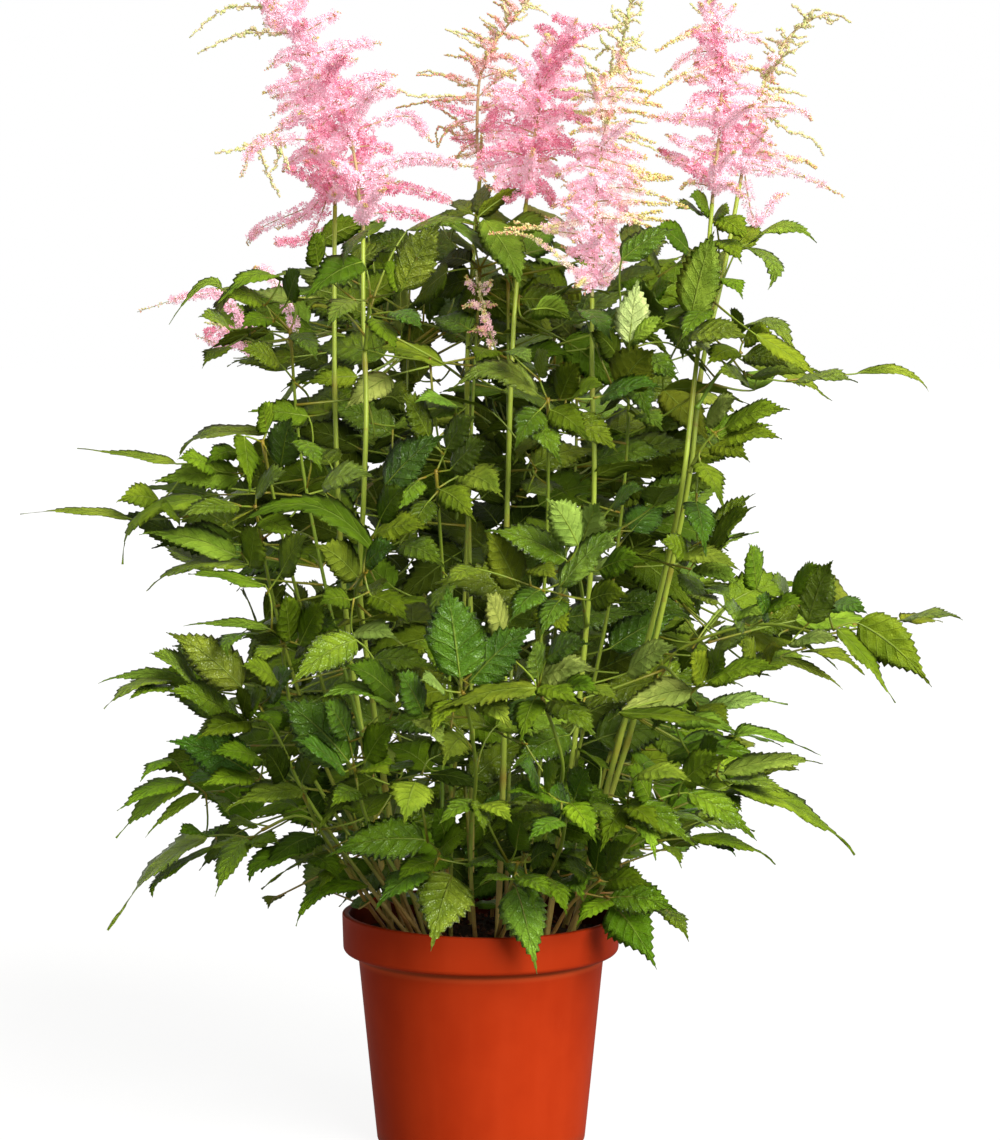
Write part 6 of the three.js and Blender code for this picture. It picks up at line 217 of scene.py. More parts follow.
        (3.4, "b", [(35.1,8.4,677.3), (44,12.6,678.8), (51.5,15.7,678)]),
        (4.4, "d", [(32.1,13.1,655.8), (32.9,-6.9,657.2), (33.7,-24.8,654.4)]),
        (4.4, "p", [(34.4,8.6,668.8), (32.3,32,675.6), (30.3,53.1,676.9)]),
        (4.4, "d", [(36,8.2,687), (40.9,-15.4,691.2), (45.3,-36.7,690)]),
        (4.4, "d", [(38.4,7.9,701.7), (34.4,28.4,704), (30.8,46.8,701.8)]),
        (4.4, "d", [(40.3,7.7,716.9), (39.6,-12,718.8), (38.9,-29.7,716.7)]),
        (4.4, "d", [(42.3,7.6,732.3), (42.6,21.3,733.8), (42.9,33.7,732.5)]),
        (4.4, "d", [(48,7.7,742), (47.6,-2.4,743.9), (47.2,-11.6,743.5)]),
        (4.4, "d", [(53.4,8,751.6), (57.1,17.7,756.5), (60.5,26.5,758.5)]),
        (4.4, "d", [(59.5,8.4,758.9), (57.6,-1.5,759.5), (56,-10.3,758.1)]),
        (4.4, "d", [(67.2,8.9,763.8), (67.5,17.5,764.5), (67.8,25.3,763.5)]),
    ]),
    "plume_4": ([(-0.66,62.17,668.57), (-0.24,64.07,673.72), (-2.8,65.6,690.3), (-1.4,66.2,732.5), (4.9,66.5,747.7), (10.4,66.5,760.8), (20.1,66.2,773.9), (28.5,65.6,782.2), (36.1,64.9,793.2), (39.6,64,798.7)], (1.4,0.7), [
        (2.6, "g", [(14.3,66.4,766), (7.6,66.4,771.3), (-0.7,66.4,776.8)]),
        (2.6, "g", [(7.2,66.5,753.3), (-9.1,66.5,761.6), (-24.4,66.5,769.2)]),
        (2.6, "b", [(3.8,66.4,745), (-10.5,70.9,749.4), (-25.9,76.7,751.7)]),
        (2.6, "b", [(-1.5,66.2,729.3), (-22.3,66.2,736.7), (-44.6,66.2,737.4)]),
        (2.6, "b", [(15,66.4,767), (24.3,66.4,763), (32.7,66.4,757.5)]),
        (2.6, "b", [(5.6,66.5,749.3), (18.8,69.6,749.3), (32.7,73.7,746)]),
        (2.6, "b", [(-1.8,66,719.8), (-32.7,80.3,719.9), (-60.2,98.7,715.6)]),
        (2.6, "b", [(-2.2,65.8,707.2), (-22,65.8,700.8), (-30.7,65.8,686.9)]),
        (2.6, "b", [(-0.5,66.2,734.8), (13.2,70.9,739.7), (24.4,76.9,737.2)]),
        (2.6, "b", [(-2,65.9,713.5), (11.8,65.9,716), (23,65.9,711.8)]),
        (2.6, "b", [(-2.8,65.6,691.4), (-13.3,65.6,685.5), (-20.3,65.6,674.4)]),
        (2.6, "g", [(21.4,66.1,775.1), (16,69.6,783.9), (17.4,74.2,792.4)]),
        (2.6, "g", [(29.5,65.5,783.6), (38.2,66.8,783.7), (46.6,68.5,779.7)]),
        (2.6, "b", [(-0.3,64.1,673.9), (0.1,38.4,687.6), (0.4,12.8,694.5)]),
        (2.6, "b", [(-1.8,65,683.6), (-15.3,89.7,704.6), (-28.8,114.4,715.1)]),
        (2.6, "b", [(-2.5,65.7,698), (8.4,51,709.4), (19.4,36.3,715.1)]),
        (2.6, "b", [(-1.7,66.1,722.7), (15.5,85.8,738.2), (32.7,105.5,746)]),
        (2.6, "b", [(0.8,66.3,737.9), (-6.9,50.3,749.1), (-14.6,34.3,754.7)]),
        (2.6, "b", [(4.5,66.5,746.8), (8,86,754), (11.4,105.4,757.6)]),
        (2.6, "b", [(7.8,66.5,754.5), (-2.1,48.9,763.4), (-12,31.3,767.8)]),
        (2.6, "b", [(11.4,66.5,762.2), (6.6,80.8,770), (1.7,95,773.9)]),
        (2.6, "b", [(17.1,66.3,769.9), (11,53.1,775.3), (4.9,39.9,778.1)]),
        (2.6, "b", [(22.4,66,776.2), (15.6,78.3,784.8), (8.7,90.6,789.1)]),
        (2.6, "b", [(27.3,65.7,781.1), (17.9,52.5,787.2), (8.4,39.3,790.2)]),
        (2.6, "b", [(31.9,65.3,787.1), (26.1,79.1,794), (20.3,92.9,797.4)]),
        (2.6, "g", [(10.4,66.5,760.8), (-0.7,68.7,762.9), (-11.9,70.8,766.2), (-23.1,72.7,768.7)]),
        (3.4, "b", [(4.6,66.5,746.9), (11.8,70.4,750.7), (19.5,73.9,747.4)]),
        (2.4, "g", [(-1.5,66.2,730.3), (-13.3,73.7,730.9), (-23.9,80.6,736.8), (-35.9,87.2,740.8), (-44.4,91.8,739.9)]),
        (3.6, "b", [(-1.7,66.1,723.6), (-11.1,59.9,722.1), (-21.5,53.9,719.6)]),
        (2.4, "g", [(-10.2,60.5,722.2), (-35.4,55.3,722.4), (-47.8,53,722.6), (-56.1,51.2,726.8)]),
        (4.2, "d", [(-2.2,65.9,708.1), (-11.2,64.1,710.4), (-21.6,62.4,714.2), (-36.9,60.1,717.5)]),
        (3.6, "b", [(-2.5,65.7,699.2), (-14.7,71.6,695.7), (-24.6,76.2,700.1), (-30.9,78.8,701.1), (-31,84.6,688.4)]),
        (3.6, "d", [(-2.7,65.6,692.5), (-12,71.8,692.8), (-20.4,76.4,693.8)]),
        (2.4, "c", [(-1.9,65,684.2), (-10.5,69.6,681.7), (-21.8,74.4,680.2)]),
        (2.4, "g", [(21.4,66.1,775.2), (27.1,67.9,776.1), (32,69.4,779.1)]),
        (2.4, "g", [(26.3,65.8,780), (20.2,69.4,785), (16,72,789.4)]),
        (2.4, "g", [(14.5,66.4,766.3), (23,70.2,762.9), (32.7,74,765.3)]),
        (2.2, "g", [(31.3,65.3,786.3), (36.1,66.3,785.1), (41,67,785.5)]),
        (3, "b", [(0.3,66.3,736.5), (-4.9,60.8,742.8), (-7.6,56.7,750.8)]),
        (3.6, "d", [(-2.4,65.8,701.4), (4.8,68.2,701.2), (10.4,70.3,712.1)]),
        (2.6, "c", [(2.9,66.4,742.9), (13.2,62.2,740.3), (24.3,58.3,734.1)]),
        (3.4, "d", [(-2.1,65.9,712.5), (4.8,69.2,717.2), (13.2,72.1,721.2)]),
        (2.2, "g", [(19.1,66.2,772.5), (16.7,69.7,779.7), (17.4,72,785.1)]),
        (3, "b", [(-1.1,64.6,679), (0.4,50.9,682.7), (1.7,38.6,683.2)]),
        (2.6, "g", [(-2.1,65.9,712.5), (1.9,81.2,717.1), (5.5,94.9,717.9)]),
        (3, "b", [(2.9,66.4,742.9), (3.3,50.6,749.4), (3.7,36.4,751.9)]),
        (3, "b", [(9.8,66.5,759.4), (6.6,74.1,761.7), (3.7,80.9,762)]),
        (3, "b", [(20.5,66.2,774.3), (22.5,56.9,775.5), (24.2,48.5,774.7)]),
        (2.6, "g", [(30.5,65.4,785.1), (29.3,73.6,787.3), (28.2,81.1,787.6)]),
    ]),
    "plume_5": ([(75,-41.95,585.1), (75,-41.35,590.56), (75.6,-43.2,608.7), (76.2,-43.7,634.1), (80.1,-44.1,674.8), (82.8,-44.3,696.1), (80,-44.4,718), (81.3,-44.3,728.6), (90.7,-44.1,735.9), (94.6,-43.7,750.5), (97.3,-43.2,767), (100.6,-42.6,782.9), (102.5,-42,793.4)], (1.4,0.7), [
        (4.2, "c", [(80.8,-44.3,724.4), (98.4,-50.9,724.3), (115.4,-59.3,720.1)]),
        (4.2, "c", [(88.8,-44.1,734.4), (101.4,-40,736.6), (116.4,-34.7,732.9)]),
        (4.2, "c", [(81.1,-44.4,709.2), (95.9,-47.9,709.8), (110.4,-52.5,707.1)]),
        (4.2, "c", [(82.3,-44.3,691.8), (100.3,-37.8,690.2), (119.5,-29.4,683)]),
        (4.2, "l", [(81.2,-44.2,683.3), (96.3,-38.6,680.8), (112,-31.4,677.6)]),
        (4.2, "c", [(79.7,-44.1,670.7), (104.6,-33.7,668.9), (129.4,-20.2,665.1)]),
        (4.2, "c", [(78.5,-43.9,658.5), (106.6,-51.4,656.7), (138.2,-61.1,644.7)]),
        (3.4, "c", [(76.2,-43.7,634.1), (103.2,-38,638.1), (130.4,-30.6,635.5)]),
        (3.4, "c", [(75.4,-42.5,601.4), (87,-42.5,599.4), (107.1,-42.5,623.4), (125.8,-42.5,634.1)]),
        (3.4, "c", [(75.3,-42.3,599.6), (64.2,-42.3,602), (34.7,-42.3,625.4), (5.2,-42.3,628.1)]),
        (3.4, "c", [(76,-43.6,626.5), (49.5,-37.5,629.4), (22.6,-29.8,635.5)]),
        (4.2, "l", [(77.4,-43.8,646.3), (63.5,-41.2,650.8), (45.4,-37.9,644.8)]),
        (4.2, "l", [(79.7,-44.1,670.7), (65.5,-40,672.8), (50.1,-34.7,666.2)]),
        (4.2, "l", [(82.5,-44.3,694), (70.8,-40.7,698.1), (60.1,-36.2,694.2)]),
        (4.2, "c", [(80.3,-44.4,715.8), (69.3,-42.8,719.3), (61.3,-40.7,716.7)]),
        (2.6, "g", [(84.1,-44.2,730.8), (73.3,-44.2,739.1), (67.9,-44.2,745.7)]),
        (2.6, "g", [(93.4,-43.8,746.1), (83.9,-43.8,752.4), (79.9,-43.8,759)]),
        (2.6, "g", [(94.6,-43.7,750.5), (104,-40.7,755.2), (108.2,-36.7,762)]),
        (2.6, "g", [(97,-43.2,765.4), (89.3,-39.7,772.4), (88.1,-35.2,779.3)]),
        (2.6, "g", [(98,-43.1,770.2), (106.6,-41.4,775), (108,-39.1,781.7)]),
        (4.2, "l", [(75.8,-43.4,618.9), (88.4,-39.4,619.4), (99.3,-34.3,615.4)]),
        (4.2, "p", [(75.7,-43.2,611.2), (65.6,-38.7,614), (54.9,-32.7,619.4)]),
        (4.2, "l", [(78.5,-43.9,658.5), (89.8,-34.8,650.2), (101,-23,639.5)]),
        (4.2, "p", [(78.9,-44,662.6), (66.8,-40.9,659.5), (54.8,-36.8,659.5)]),
        (4.2, "p", [(76.1,-43.7,631.6), (84.3,-40.3,627.4), (91.2,-35.9,620.7)]),
        (4.2, "l", [(75.5,-42.8,605.1), (73.5,-47.5,595.4), (69.4,-53.6,587.5)]),
        (4.2, "l", [(75.2,-42,596.9), (89.4,-56.5,611.3), (103.7,-71,618.4)]),
        (4.2, "l", [(75.7,-43.3,612), (59.4,-20.1,630.1), (43,3,639.2)]),
        (4.2, "l", [(76.1,-43.7,631.8), (66.2,-60.1,641.2), (56.2,-76.6,645.9)]),
        (4.2, "l", [(78.9,-44,662.2), (78,-17.2,680.8), (77.1,9.6,690)]),
        (4.2, "l", [(81.4,-44.2,684.8), (91.5,-61.8,696.6), (101.7,-79.5,702.4)]),
        (4.2, "l", [(82.1,-44.3,701.6), (90.3,-21.5,717.8), (98.4,1.3,725.9)]),
        (4.2, "l", [(80,-44.4,718.3), (76.4,-67.3,727.6), (72.8,-90.2,732.3)]),
        (4.2, "l", [(81.1,-44.3,726.6), (76.1,-31.9,731.7), (71.2,-19.6,734.2)]),
        (2.6, "g", [(86.8,-44.2,732.9), (87.5,-56.3,741.5), (88.2,-68.3,745.8)]),
        (2.6, "g", [(92.1,-44,741.3), (99.9,-34.2,749), (107.7,-24.4,752.8)]),
        (2.6, "g", [(95,-43.6,753), (85,-54.2,761), (74.9,-64.8,765)]),
        (2.6, "g", [(97.1,-43.2,765.8), (96.1,-33,772.1), (95.1,-22.7,775.3)]),
        (2.6, "g", [(99,-42.9,775.4), (104,-39.9,781.6), (108.8,-37.3,776)]),
        (2.6, "g", [(98.3,-43,772), (93.3,-40,775.3), (89.4,-37.9,776.1)]),
        (2.6, "g", [(97,-43.3,765.3), (102.4,-46.7,770), (106.3,-49.2,767)]),
        (2.6, "g", [(96.2,-43.4,760.1), (91.1,-46.4,765.7), (85.7,-49.2,759.2)]),
        (2.6, "g", [(95.5,-43.5,755.7), (102,-40.7,757.4), (106.8,-38.7,755.9)]),
        (2.8, "g", [(94,-43.8,748.2), (85.4,-39.3,750.4), (80.1,-36.8,748.1), (77.5,-34.4,743.8)]),
        (2.6, "g", [(94.4,-43.7,749.7), (101.3,-41.2,754.8), (110.8,-38.1,750.8)]),
        (3.6, "b", [(90.9,-44.1,736.7), (96,-41.1,742.1), (100.9,-37.6,734.3)]),
        (2.6, "c", [(91.3,-44,738.2), (100,-42.4,729.8), (107.5,-40.8,728.6)]),
        (2.6, "c", [(81,-44.3,725.8), (74.7,-39.2,726.7), (69.4,-35.4,738.4)]),
        (2.6, "c", [(80.2,-44.4,719.7), (96.9,-37.8,717.8), (110.5,-33,715.2), (122.1,-28.9,712.9)]),
        (2.6, "c", [(80,-44.4,718), (69.8,-51.1,722), (59.7,-56.4,723.4), (53.7,-59.6,722.7)]),
        (2.8, "c", [(81.2,-44.4,708.8), (72.1,-38.5,708), (62.8,-33.4,709.3)]),
        (3.2, "b", [(80.9,-44.4,711.1), (87.3,-46,707.4), (92.6,-47.5,711.1)]),
        (3.4, "b", [(82.7,-44.3,697.3), (73.4,-40.6,697.2), (64.1,-37.5,702.1)]),
        (2.8, "c", [(81.9,-44.3,703), (92.3,-37.5,701.4), (101.8,-31.9,703.3), (111.4,-26.4,701.6)]),
        (3, "c", [(82.7,-44.3,697.3), (93.3,-47.1,695.6), (103.9,-49.6,692.3), (116.5,-52.4,687.5)]),
        (3, "c", [(81.2,-44.2,683.8), (96.4,-35.5,683.7), (111.5,-27.7,679.6)]),
        (3.2, "c", [(80.5,-44.1,678.2), (95,-38.1,673.9), (107.2,-33.6,670.5), (118.2,-29.4,663.8)]),
        (3, "c", [(79.7,-44.1,670.5), (96.4,-37.1,666.3), (112.7,-31.3,664.3), (126.4,-26.7,664)]),
        (4.2, "l", [(79.1,-44,664.1), (93.3,-51.2,667.4), (107.7,-58,659)]),
        (3.2, "c", [(77.6,-43.8,649.1), (93.8,-35.5,650), (110.9,-27.7,648.1), (128.1,-20.3,647.4)]),
        (3.2, "c", [(77,-43.8,642.7), (90.1,-47.8,638.8), (106.7,-52.2,640.4), (121.2,-55.9,642.7)]),
        (4.4, "p", [(80.4,-44.1,677), (72.8,-40.1,681.6), (64.9,-36,677.5)]),
        (4.2, "l", [(79.5,-44,668.4), (70.2,-38.2,660.8), (60.9,-32.7,660.3)]),
        (4.4, "l", [(78.5,-43.9,657.7), (67.3,-48.4,656.8), (55.9,-52.2,649)]),
        (4.4, "l", [(77.4,-43.8,647), (66.6,-51.1,642.4), (53.8,-58.1,640)]),
        (3.4, "c", [(76.6,-43.7,638.4), (65.3,-49,636.6), (50.6,-54.8,633.4), (33.2,-61,631.1), (15.9,-67,631)]),
        (4.4, "l", [(81.4,-44.2,684.9), (70.6,-48.9,686.7), (61.2,-53.2,682.6)]),
        (4.4, "l", [(81.9,-44.2,689.4), (87.5,-41.9,689.4), (94.9,-39.3,681.1)]),
        (4.4, "l", [(78.7,-44,659.8), (87.4,-46.9,654), (94.7,-49.7,646.9)]),
        (4.4, "p", [(77,-43.8,642.7), (84.3,-41.4,633.8), (92.4,-38.8,625.9)]),
        (4.2, "l", [(75.8,-43.4,618.1), (66.9,-38.8,616.6), (57.6,-34,613.1)]),
        (4.4, "l", [(75.9,-43.5,623.4), (84.2,-46.8,613.8), (89.5,-49.5,609.4)]),
        (4.2, "l", [(75.6,-43.2,608.7), (80.4,-38.6,593.5), (88.6,-34,598.2)]),
        (3.2, "c", [(75.5,-42.9,605.8), (89.9,-36,609.3), (102.1,-30.4,617.7), (113.1,-25.7,626.9)]),
        (4.2, "l", [(76,-43.6,627.4), (69.4,-47.2,626.4), (61.3,-50.3,622.2)]),
        (3, "c", [(76.6,-43.7,638.4), (96.5,-56.5,636.9), (112.8,-65.8,632.4)]),
        (4, "l", [(75.4,-42.5,602), (68.1,-46.3,602.1), (62.7,-50.2,591.8)]),
        (2.4, "g", [(100.1,-42.7,780.4), (104.4,-45.1,783.9), (107.7,-46.8,784.2)]),
        (2.6, "c", [(82.1,-44.3,701.9), (77.4,-42.4,709.2), (72.1,-40.9,706.7)]),
        (2.6, "c", [(80.3,-44.4,715.7), (87.2,-46.8,724.3), (93.2,-48.5,717.5)]),
        (3.2, "c", [(75.2,-41.8,595.3), (69.2,-65.7,596.6), (63.9,-87.2,592.8)]),
        (4.2, "l", [(75.5,-43,606.8), (76.2,-23,616.6), (76.7,-5.1,621.1)]),
        (4.2, "l", [(75.9,-43.4,619.4), (78,-60.9,624.9), (80,-76.7,626.2)]),
        (3.2, "c", [(76.2,-43.7,634.1), (76.1,-21.2,644.6), (76,-0.9,649)]),
        (4.2, "l", [(78.7,-44,659.8), (75.8,-63.2,665.7), (73.2,-80.5,667)]),
        (3.2, "c", [(80.7,-44.1,679.3), (77.5,-24.3,685.4), (74.6,-6.4,686.7)]),
        (3.2, "c", [(82.4,-44.3,692.7), (83.6,-62,700.3), (84.7,-78,703.3)]),
        (4.2, "l", [(81.6,-44.3,705.3), (86.6,-30.1,706.9), (91.1,-17.3,705.2)]),
        (4.2, "l", [(80,-44.4,718), (78.1,-57.9,722.8), (76.4,-70,724.3)]),
        (4.2, "l", [(80.8,-44.3,724.7), (81.5,-33.1,728), (82.1,-23,728.5)]),
        (3.2, "c", [(83.3,-44.3,730.1), (82.6,-53.7,732.8), (82,-62.3,733.1)]),
        (4.2, "l", [(89.2,-44.1,734.7), (90.1,-32,737.5), (90.9,-21.2,737.5)]),
        (3.2, "c", [(92.3,-43.9,742), (93.6,-54,746.9), (94.8,-63.1,749.1)]),
        (4.2, "l", [(94.6,-43.7,750.5), (93.3,-35.7,753), (92.2,-28.4,753.5)]),
        (2.6, "g", [(96.3,-43.4,760.9), (97.3,-51.4,764.1), (98.2,-58.5,765.2)]),
        (2.6, "g", [(98,-43.1,770.3), (98.2,-35.9,770.8), (98.4,-29.4,769.8)]),
    ]),
    "plume_6": ([(156.44,-21.89,648.08), (156.93,-20.61,653.41), (157.6,-24.3,662.3), (160.2,-25.1,688.5), (161.5,-25.5,707.9), (162.6,-25.5,736.7), (161.2,-25.1,756.7), (154.4,-24.3,770.7), (153,-23.2,784), (151.6,-22,793.4)], (1.4,0.7), [
        (4.2, "c", [(157.6,-24.7,764.1), (138.5,-31.1,760.3), (117.5,-39.3,749.3)]),
        (4.2, "l", [(161.6,-25.2,750.7), (141.8,-20,747.5), (124,-13.3,733.7)]),
        (4.2, "c", [(162.3,-25.4,741.7), (136.3,-30.3,734), (110.3,-36.7,717.5)]),
        (4.2, "p", [(162.3,-25.5,728.8), (150.5,-22.8,730.6), (137.2,-19.3,729.4)]),
        (4.2, "l", [(161.9,-25.5,718), (144.4,-32.2,716.3), (133.6,-40.8,701.4)]),
        (4.2, "l", [(161.2,-25.4,703.1), (141.7,-19,706), (110,-10.6,706.9)]),
        (4.2, "p", [(159.2,-24.8,678.7), (142.9,-17.5,686.6), (125.7,-8,694.9)]),
        (4.2, "p", [(158.1,-24.4,666.9), (141.2,-19.1,672.8), (118.8,-12.1,680.6)]),
        (4.2, "p", [(160,-25,686.5), (153.4,-22.5,690.5), (145.5,-19.1,691.3)]),
        (4.2, "l", [(160.7,-25,757.8), (179.3,-22.3,759.4), (193.7,-18.8,754.2)]),
        (2.6, "g", [(158.1,-24.7,763), (174.8,-18.5,761.6), (190.2,-10.3,763.3)]),
        (4.2, "l", [(162.3,-25.4,741.7), (173.3,-23,744), (182.9,-19.8,744.8)]),
        (2.6, "b", [(162.4,-25.5,730.9), (168,-22.5,732), (176.4,-18.6,724.1)]),
        (4.2, "l", [(162.1,-25.5,722.3), (177.4,-24.1,725.3), (193.7,-22.4,722.6)]),
        (4.2, "l", [(161.6,-25.5,711.5), (176.4,-18.9,713.4), (216.3,-10.4,711), (225.2,-0.9,703.8)]),
        (4.2, "d", [(160.8,-25.3,697.2), (175.1,-19.7,698.6), (192.5,-12.4,699.5)]),
        (4.2, "p", [(160.2,-25.1,688.5), (171,-21.8,689.2), (182.1,-17.6,687.9)]),
        (4.2, "l", [(158.6,-24.6,672.8), (177.6,-24.6,675.7), (219.5,-24.6,665), (245.9,-24.6,652.3)]),
        (4.2, "p", [(157.5,-23.8,661.2), (168.6,-19.3,661), (177.8,-13.5,652.3)]),
        (2.6, "g", [(155.6,-24.4,768.3), (147.7,-21.8,776.1), (141.1,-18.4,781.6)]),
        (4.2, "l", [(156.1,-24.5,767.2), (166.5,-22.4,774.7), (172,-19.7,781.5)]),
        (4.2, "d", [(162.5,-25.5,735.3), (154.6,-22.1,737.4), (146.7,-17.6,742.9)]),
        (4.2, "d", [(159.8,-25,684.6), (147.8,-28.2,678.3), (138.2,-32.4,668.9)]),
        (4.2, "d", [(161.9,-25.5,718), (170.2,-32.6,709), (179.1,-41.8,704.7)]),
        (4.2, "p", [(156.9,-20.7,653.5), (156.5,-42.4,669.1), (156,-64.1,676.9)]),
        (4.2, "d", [(157.3,-22.8,658.7), (139,0.9,676.4), (120.7,24.6,685.2)]),
        (4.2, "p", [(158.1,-24.4,667.1), (163.4,-50.2,677.1), (168.7,-76,682.1)]),
        (4.2, "p", [(159.6,-24.9,682.4), (170.3,-7.2,694.1), (181.1,10.5,700)]),
        (4.2, "p", [(160.7,-25.2,695.3), (170.8,-48.9,707), (181,-72.6,712.8)]),
        (4.2, "p", [(161.4,-25.5,706.7), (161.6,-6.4,714.8), (161.8,12.7,718.9)]),
        (4.2, "p", [(162.1,-25.5,722.9), (155,-38.8,728.9), (147.9,-52.2,731.8)]),
        (4.2, "d", [(162.4,-25.5,738.9), (155.7,-6,753.5), (148.9,13.4,760.8)]),
        (4.2, "d", [(161.6,-25.2,750.6), (151.3,-39.4,757.5), (141,-53.5,761)]),
        (4.2, "d", [(159.3,-24.9,760.6), (159.3,-11.6,768), (159.4,1.6,771.8)]),
        (4.2, "p", [(155.3,-24.4,768.8), (150.4,-37.1,776.7), (145.5,-49.7,780.6)]),
        (4.2, "p", [(153.8,-23.8,776.7), (154.4,-13.7,782.4), (155,-3.5,785.3)]),
        (4.4, "p", [(161.9,-25.3,746.2), (151.9,-21.8,743.6), (143.9,-19.2,742)]),
        (4.6, "d", [(162.4,-25.5,732.2), (166.6,-23.4,735.3), (169.4,-21.7,742.2)]),
        (4.4, "d", [(162.6,-25.5,736.7), (153.3,-20.7,740.4), (144,-16.9,740.6)]),
        (3, "c", [(162.4,-25.5,732.2), (169.4,-21.8,737.1), (175.6,-19.2,735.3)]),
        (4.4, "p", [(162.1,-25.5,723.1), (175,-19.2,724.5), (186.1,-14.8,723.6), (195.9,-10.7,721.1)]),
        (4.4, "l", [(162.3,-25.5,727.6), (172.1,-31.9,733.6), (181.8,-37,738.6)]),
        (4.2, "l", [(161.8,-25.5,717), (172.1,-23.6,714.7), (181.6,-22,711.2), (191.2,-20.5,712.9)]),
        (4.6, "d", [(161.9,-25.5,718.5), (151.6,-28.1,720.6), (144.2,-29.9,717.9), (139.4,-31.6,711.8)]),
        (4.4, "p", [(161.6,-25.5,710.9), (153.6,-29.9,716.8), (146.7,-33.5,710.3)]),
        (4.6, "p", [(161.3,-25.4,704.8), (144.9,-30.2,703.8), (127.9,-34.5,704.2), (111.6,-38.4,705.7)]),
        (4, "l", [(160.9,-25.3,698.7), (149,-27.7,702.8), (136.8,-29.8,700.3)]),
        (5, "p", [(160.8,-25.3,697.7), (171.2,-27.5,705.2), (182.5,-29.2,707.2), (193.2,-30.9,701.2)]),
        (5, "p", [(160.6,-25.2,694.6), (171.7,-21.6,696), (183.3,-18.3,694.9), (191.7,-15.6,690.1)]),
        (4.6, "d", [(160.3,-25.1,689.5), (171.7,-21.2,687.5), (182.1,-18.1,685)]),
        (4.8, "p", [(159.2,-24.8,678.8), (145,-30.2,684.5), (132.7,-34.3,689.2), (124.5,-37.2,693.3)]),
        (4.8, "p", [(158,-24.4,666.4), (147.5,-21.1,672.2), (137.5,-18.3,676.3), (126.8,-15.5,679.8)]),
        (4.6, "d", [(157.6,-24.3,662.3), (147.8,-28.8,668.3), (138.2,-32.4,672.6)]),
        (3.2, "c", [(157.4,-23.1,659.5), (148.3,-19.8,660.9), (140.3,-17.4,662.2), (135.7,-15.4,657.8)]),
        (4.4, "p", [(157.5,-23.7,660.9), (167.4,-17.3,660.3), (174.4,-12.8,656.4), (180.2,-8.5,652.6)]),
        (4.4, "p", [(161.4,-25.2,753.5), (153,-23.7,752.6), (143.7,-22.4,749.5)]),
        (4, "p", [(160.1,-25,758.9), (168,-20.5,763.7), (177.7,-15.9,761.2)]),
        (4.2, "l", [(162.3,-25.4,740.9), (173.6,-18.4,745.8), (183.3,-13.4,747.6)]),
        (4.4, "p", [(155.8,-24.5,767.8), (159.8,-21.6,774.6), (161.2,-19.4,782.2)]),
        (4.4, "p", [(161.6,-25.5,709.4), (169.2,-26.8,709.9), (177.2,-28.1,706.8)]),
        (2.6, "c", [(156.9,-24.6,765.5), (147.5,-26.6,765.6), (138,-28.5,762.4)]),
        (4.2, "p", [(153.3,-23.4,781.2), (158.4,-21.3,785.8), (161.1,-20,789.1)]),
        (4.4, "d", [(159.8,-25,684.4), (168.3,-23.4,680.1), (175.1,-22,671.9)]),
        (4.2, "p", [(158.7,-24.6,673.3), (167.1,-21.6,673.1), (174,-18.9,666.2)]),
        (2.6, "c", [(162.1,-25.4,744.1), (175.4,-33.1,738.8), (189.6,-40.8,736.6)]),
        (2.8, "c", [(162.5,-25.5,735.2), (147.9,-21.1,733.2), (137.3,-18.2,731.6)]),
        (4.4, "p", [(157.1,-21.8,656.2), (162.8,-43.1,660.8), (167.8,-62.2,660.4)]),
        (4.4, "p", [(159,-24.7,676.1), (159.7,-1.5,681.8), (160.3,19.4,682.2)]),
        (4.4, "p", [(161.1,-25.4,701.8), (159.2,-40.2,708.1), (157.5,-53.6,710.5)]),
        (4.2, "l", [(162.5,-25.5,733.7), (166.7,-14.4,734.9), (170.5,-4.3,733.6)]),
        (4.4, "p", [(160.8,-25.1,757.4), (159.9,-33.9,761.8), (159,-41.9,763.8)]),
        (4.2, "l", [(154,-24,774.2), (153.1,-15.5,776.8), (152.2,-7.8,777.4)]),
    ]),
    "plume_7": ([(178.39,28.16,661.97), (179.43,29.86,667.09), (180.3,28,673.8), (183.6,28,698.4), (191.7,27.9,721.6), (197.8,27.9,737.3), (204.6,27.9,745.5), (207.3,27.9,756.4), (216.8,28,767.3), (228.4,28,774.7), (242.1,28,777.4), (253.8,28,772)], (1.4,0.7), [
        (2.6, "g", [(199.3,27.9,739.1), (207,31.5,738.1), (216.3,36.2,736.3)]),
        (2.6, "g", [(194.1,27.9,727.9), (206.8,27.9,725.7), (223.3,27.9,721.6)]),
        (4.2, "l", [(181.9,28,685.5), (193,23.8,690.2), (202.2,18.4,687.3)]),
        (4.2, "l", [(186.8,28,707.5), (197.5,31.2,710.8), (210.2,35.4,708.2)]),
        (4.2, "l", [(180.4,28,674.2), (189.3,35.4,635.5), (204.4,45.1,652.1), (213.5,55.8,654.9)]),
        (4.2, "l", [(182.8,28,692.3), (175.6,31.3,698.5), (171.7,35.5,706.8)]),
        (2.6, "g", [(205.2,27.9,748), (198.4,27.9,753), (194.2,27.9,758.4)]),
        (2.6, "g", [(209.6,27.9,759), (217.7,29.7,757.1), (224.7,32.1,758.6)]),
        (4.2, "p", [(180.1,28.5,672), (186.5,-1.8,689.7), (193,-32,698.6)]),
        (2.6, "g", [(187.3,28,708.9), (200.7,45,721.3), (214.1,62.1,727.5)]),
        (2.6, "g", [(199,27.9,738.7), (204.9,8,746.9), (210.8,-11.9,751)]),
        (2.6, "g", [(207,27.9,755.2), (202.3,39.6,759.7), (197.5,51.3,762)]),
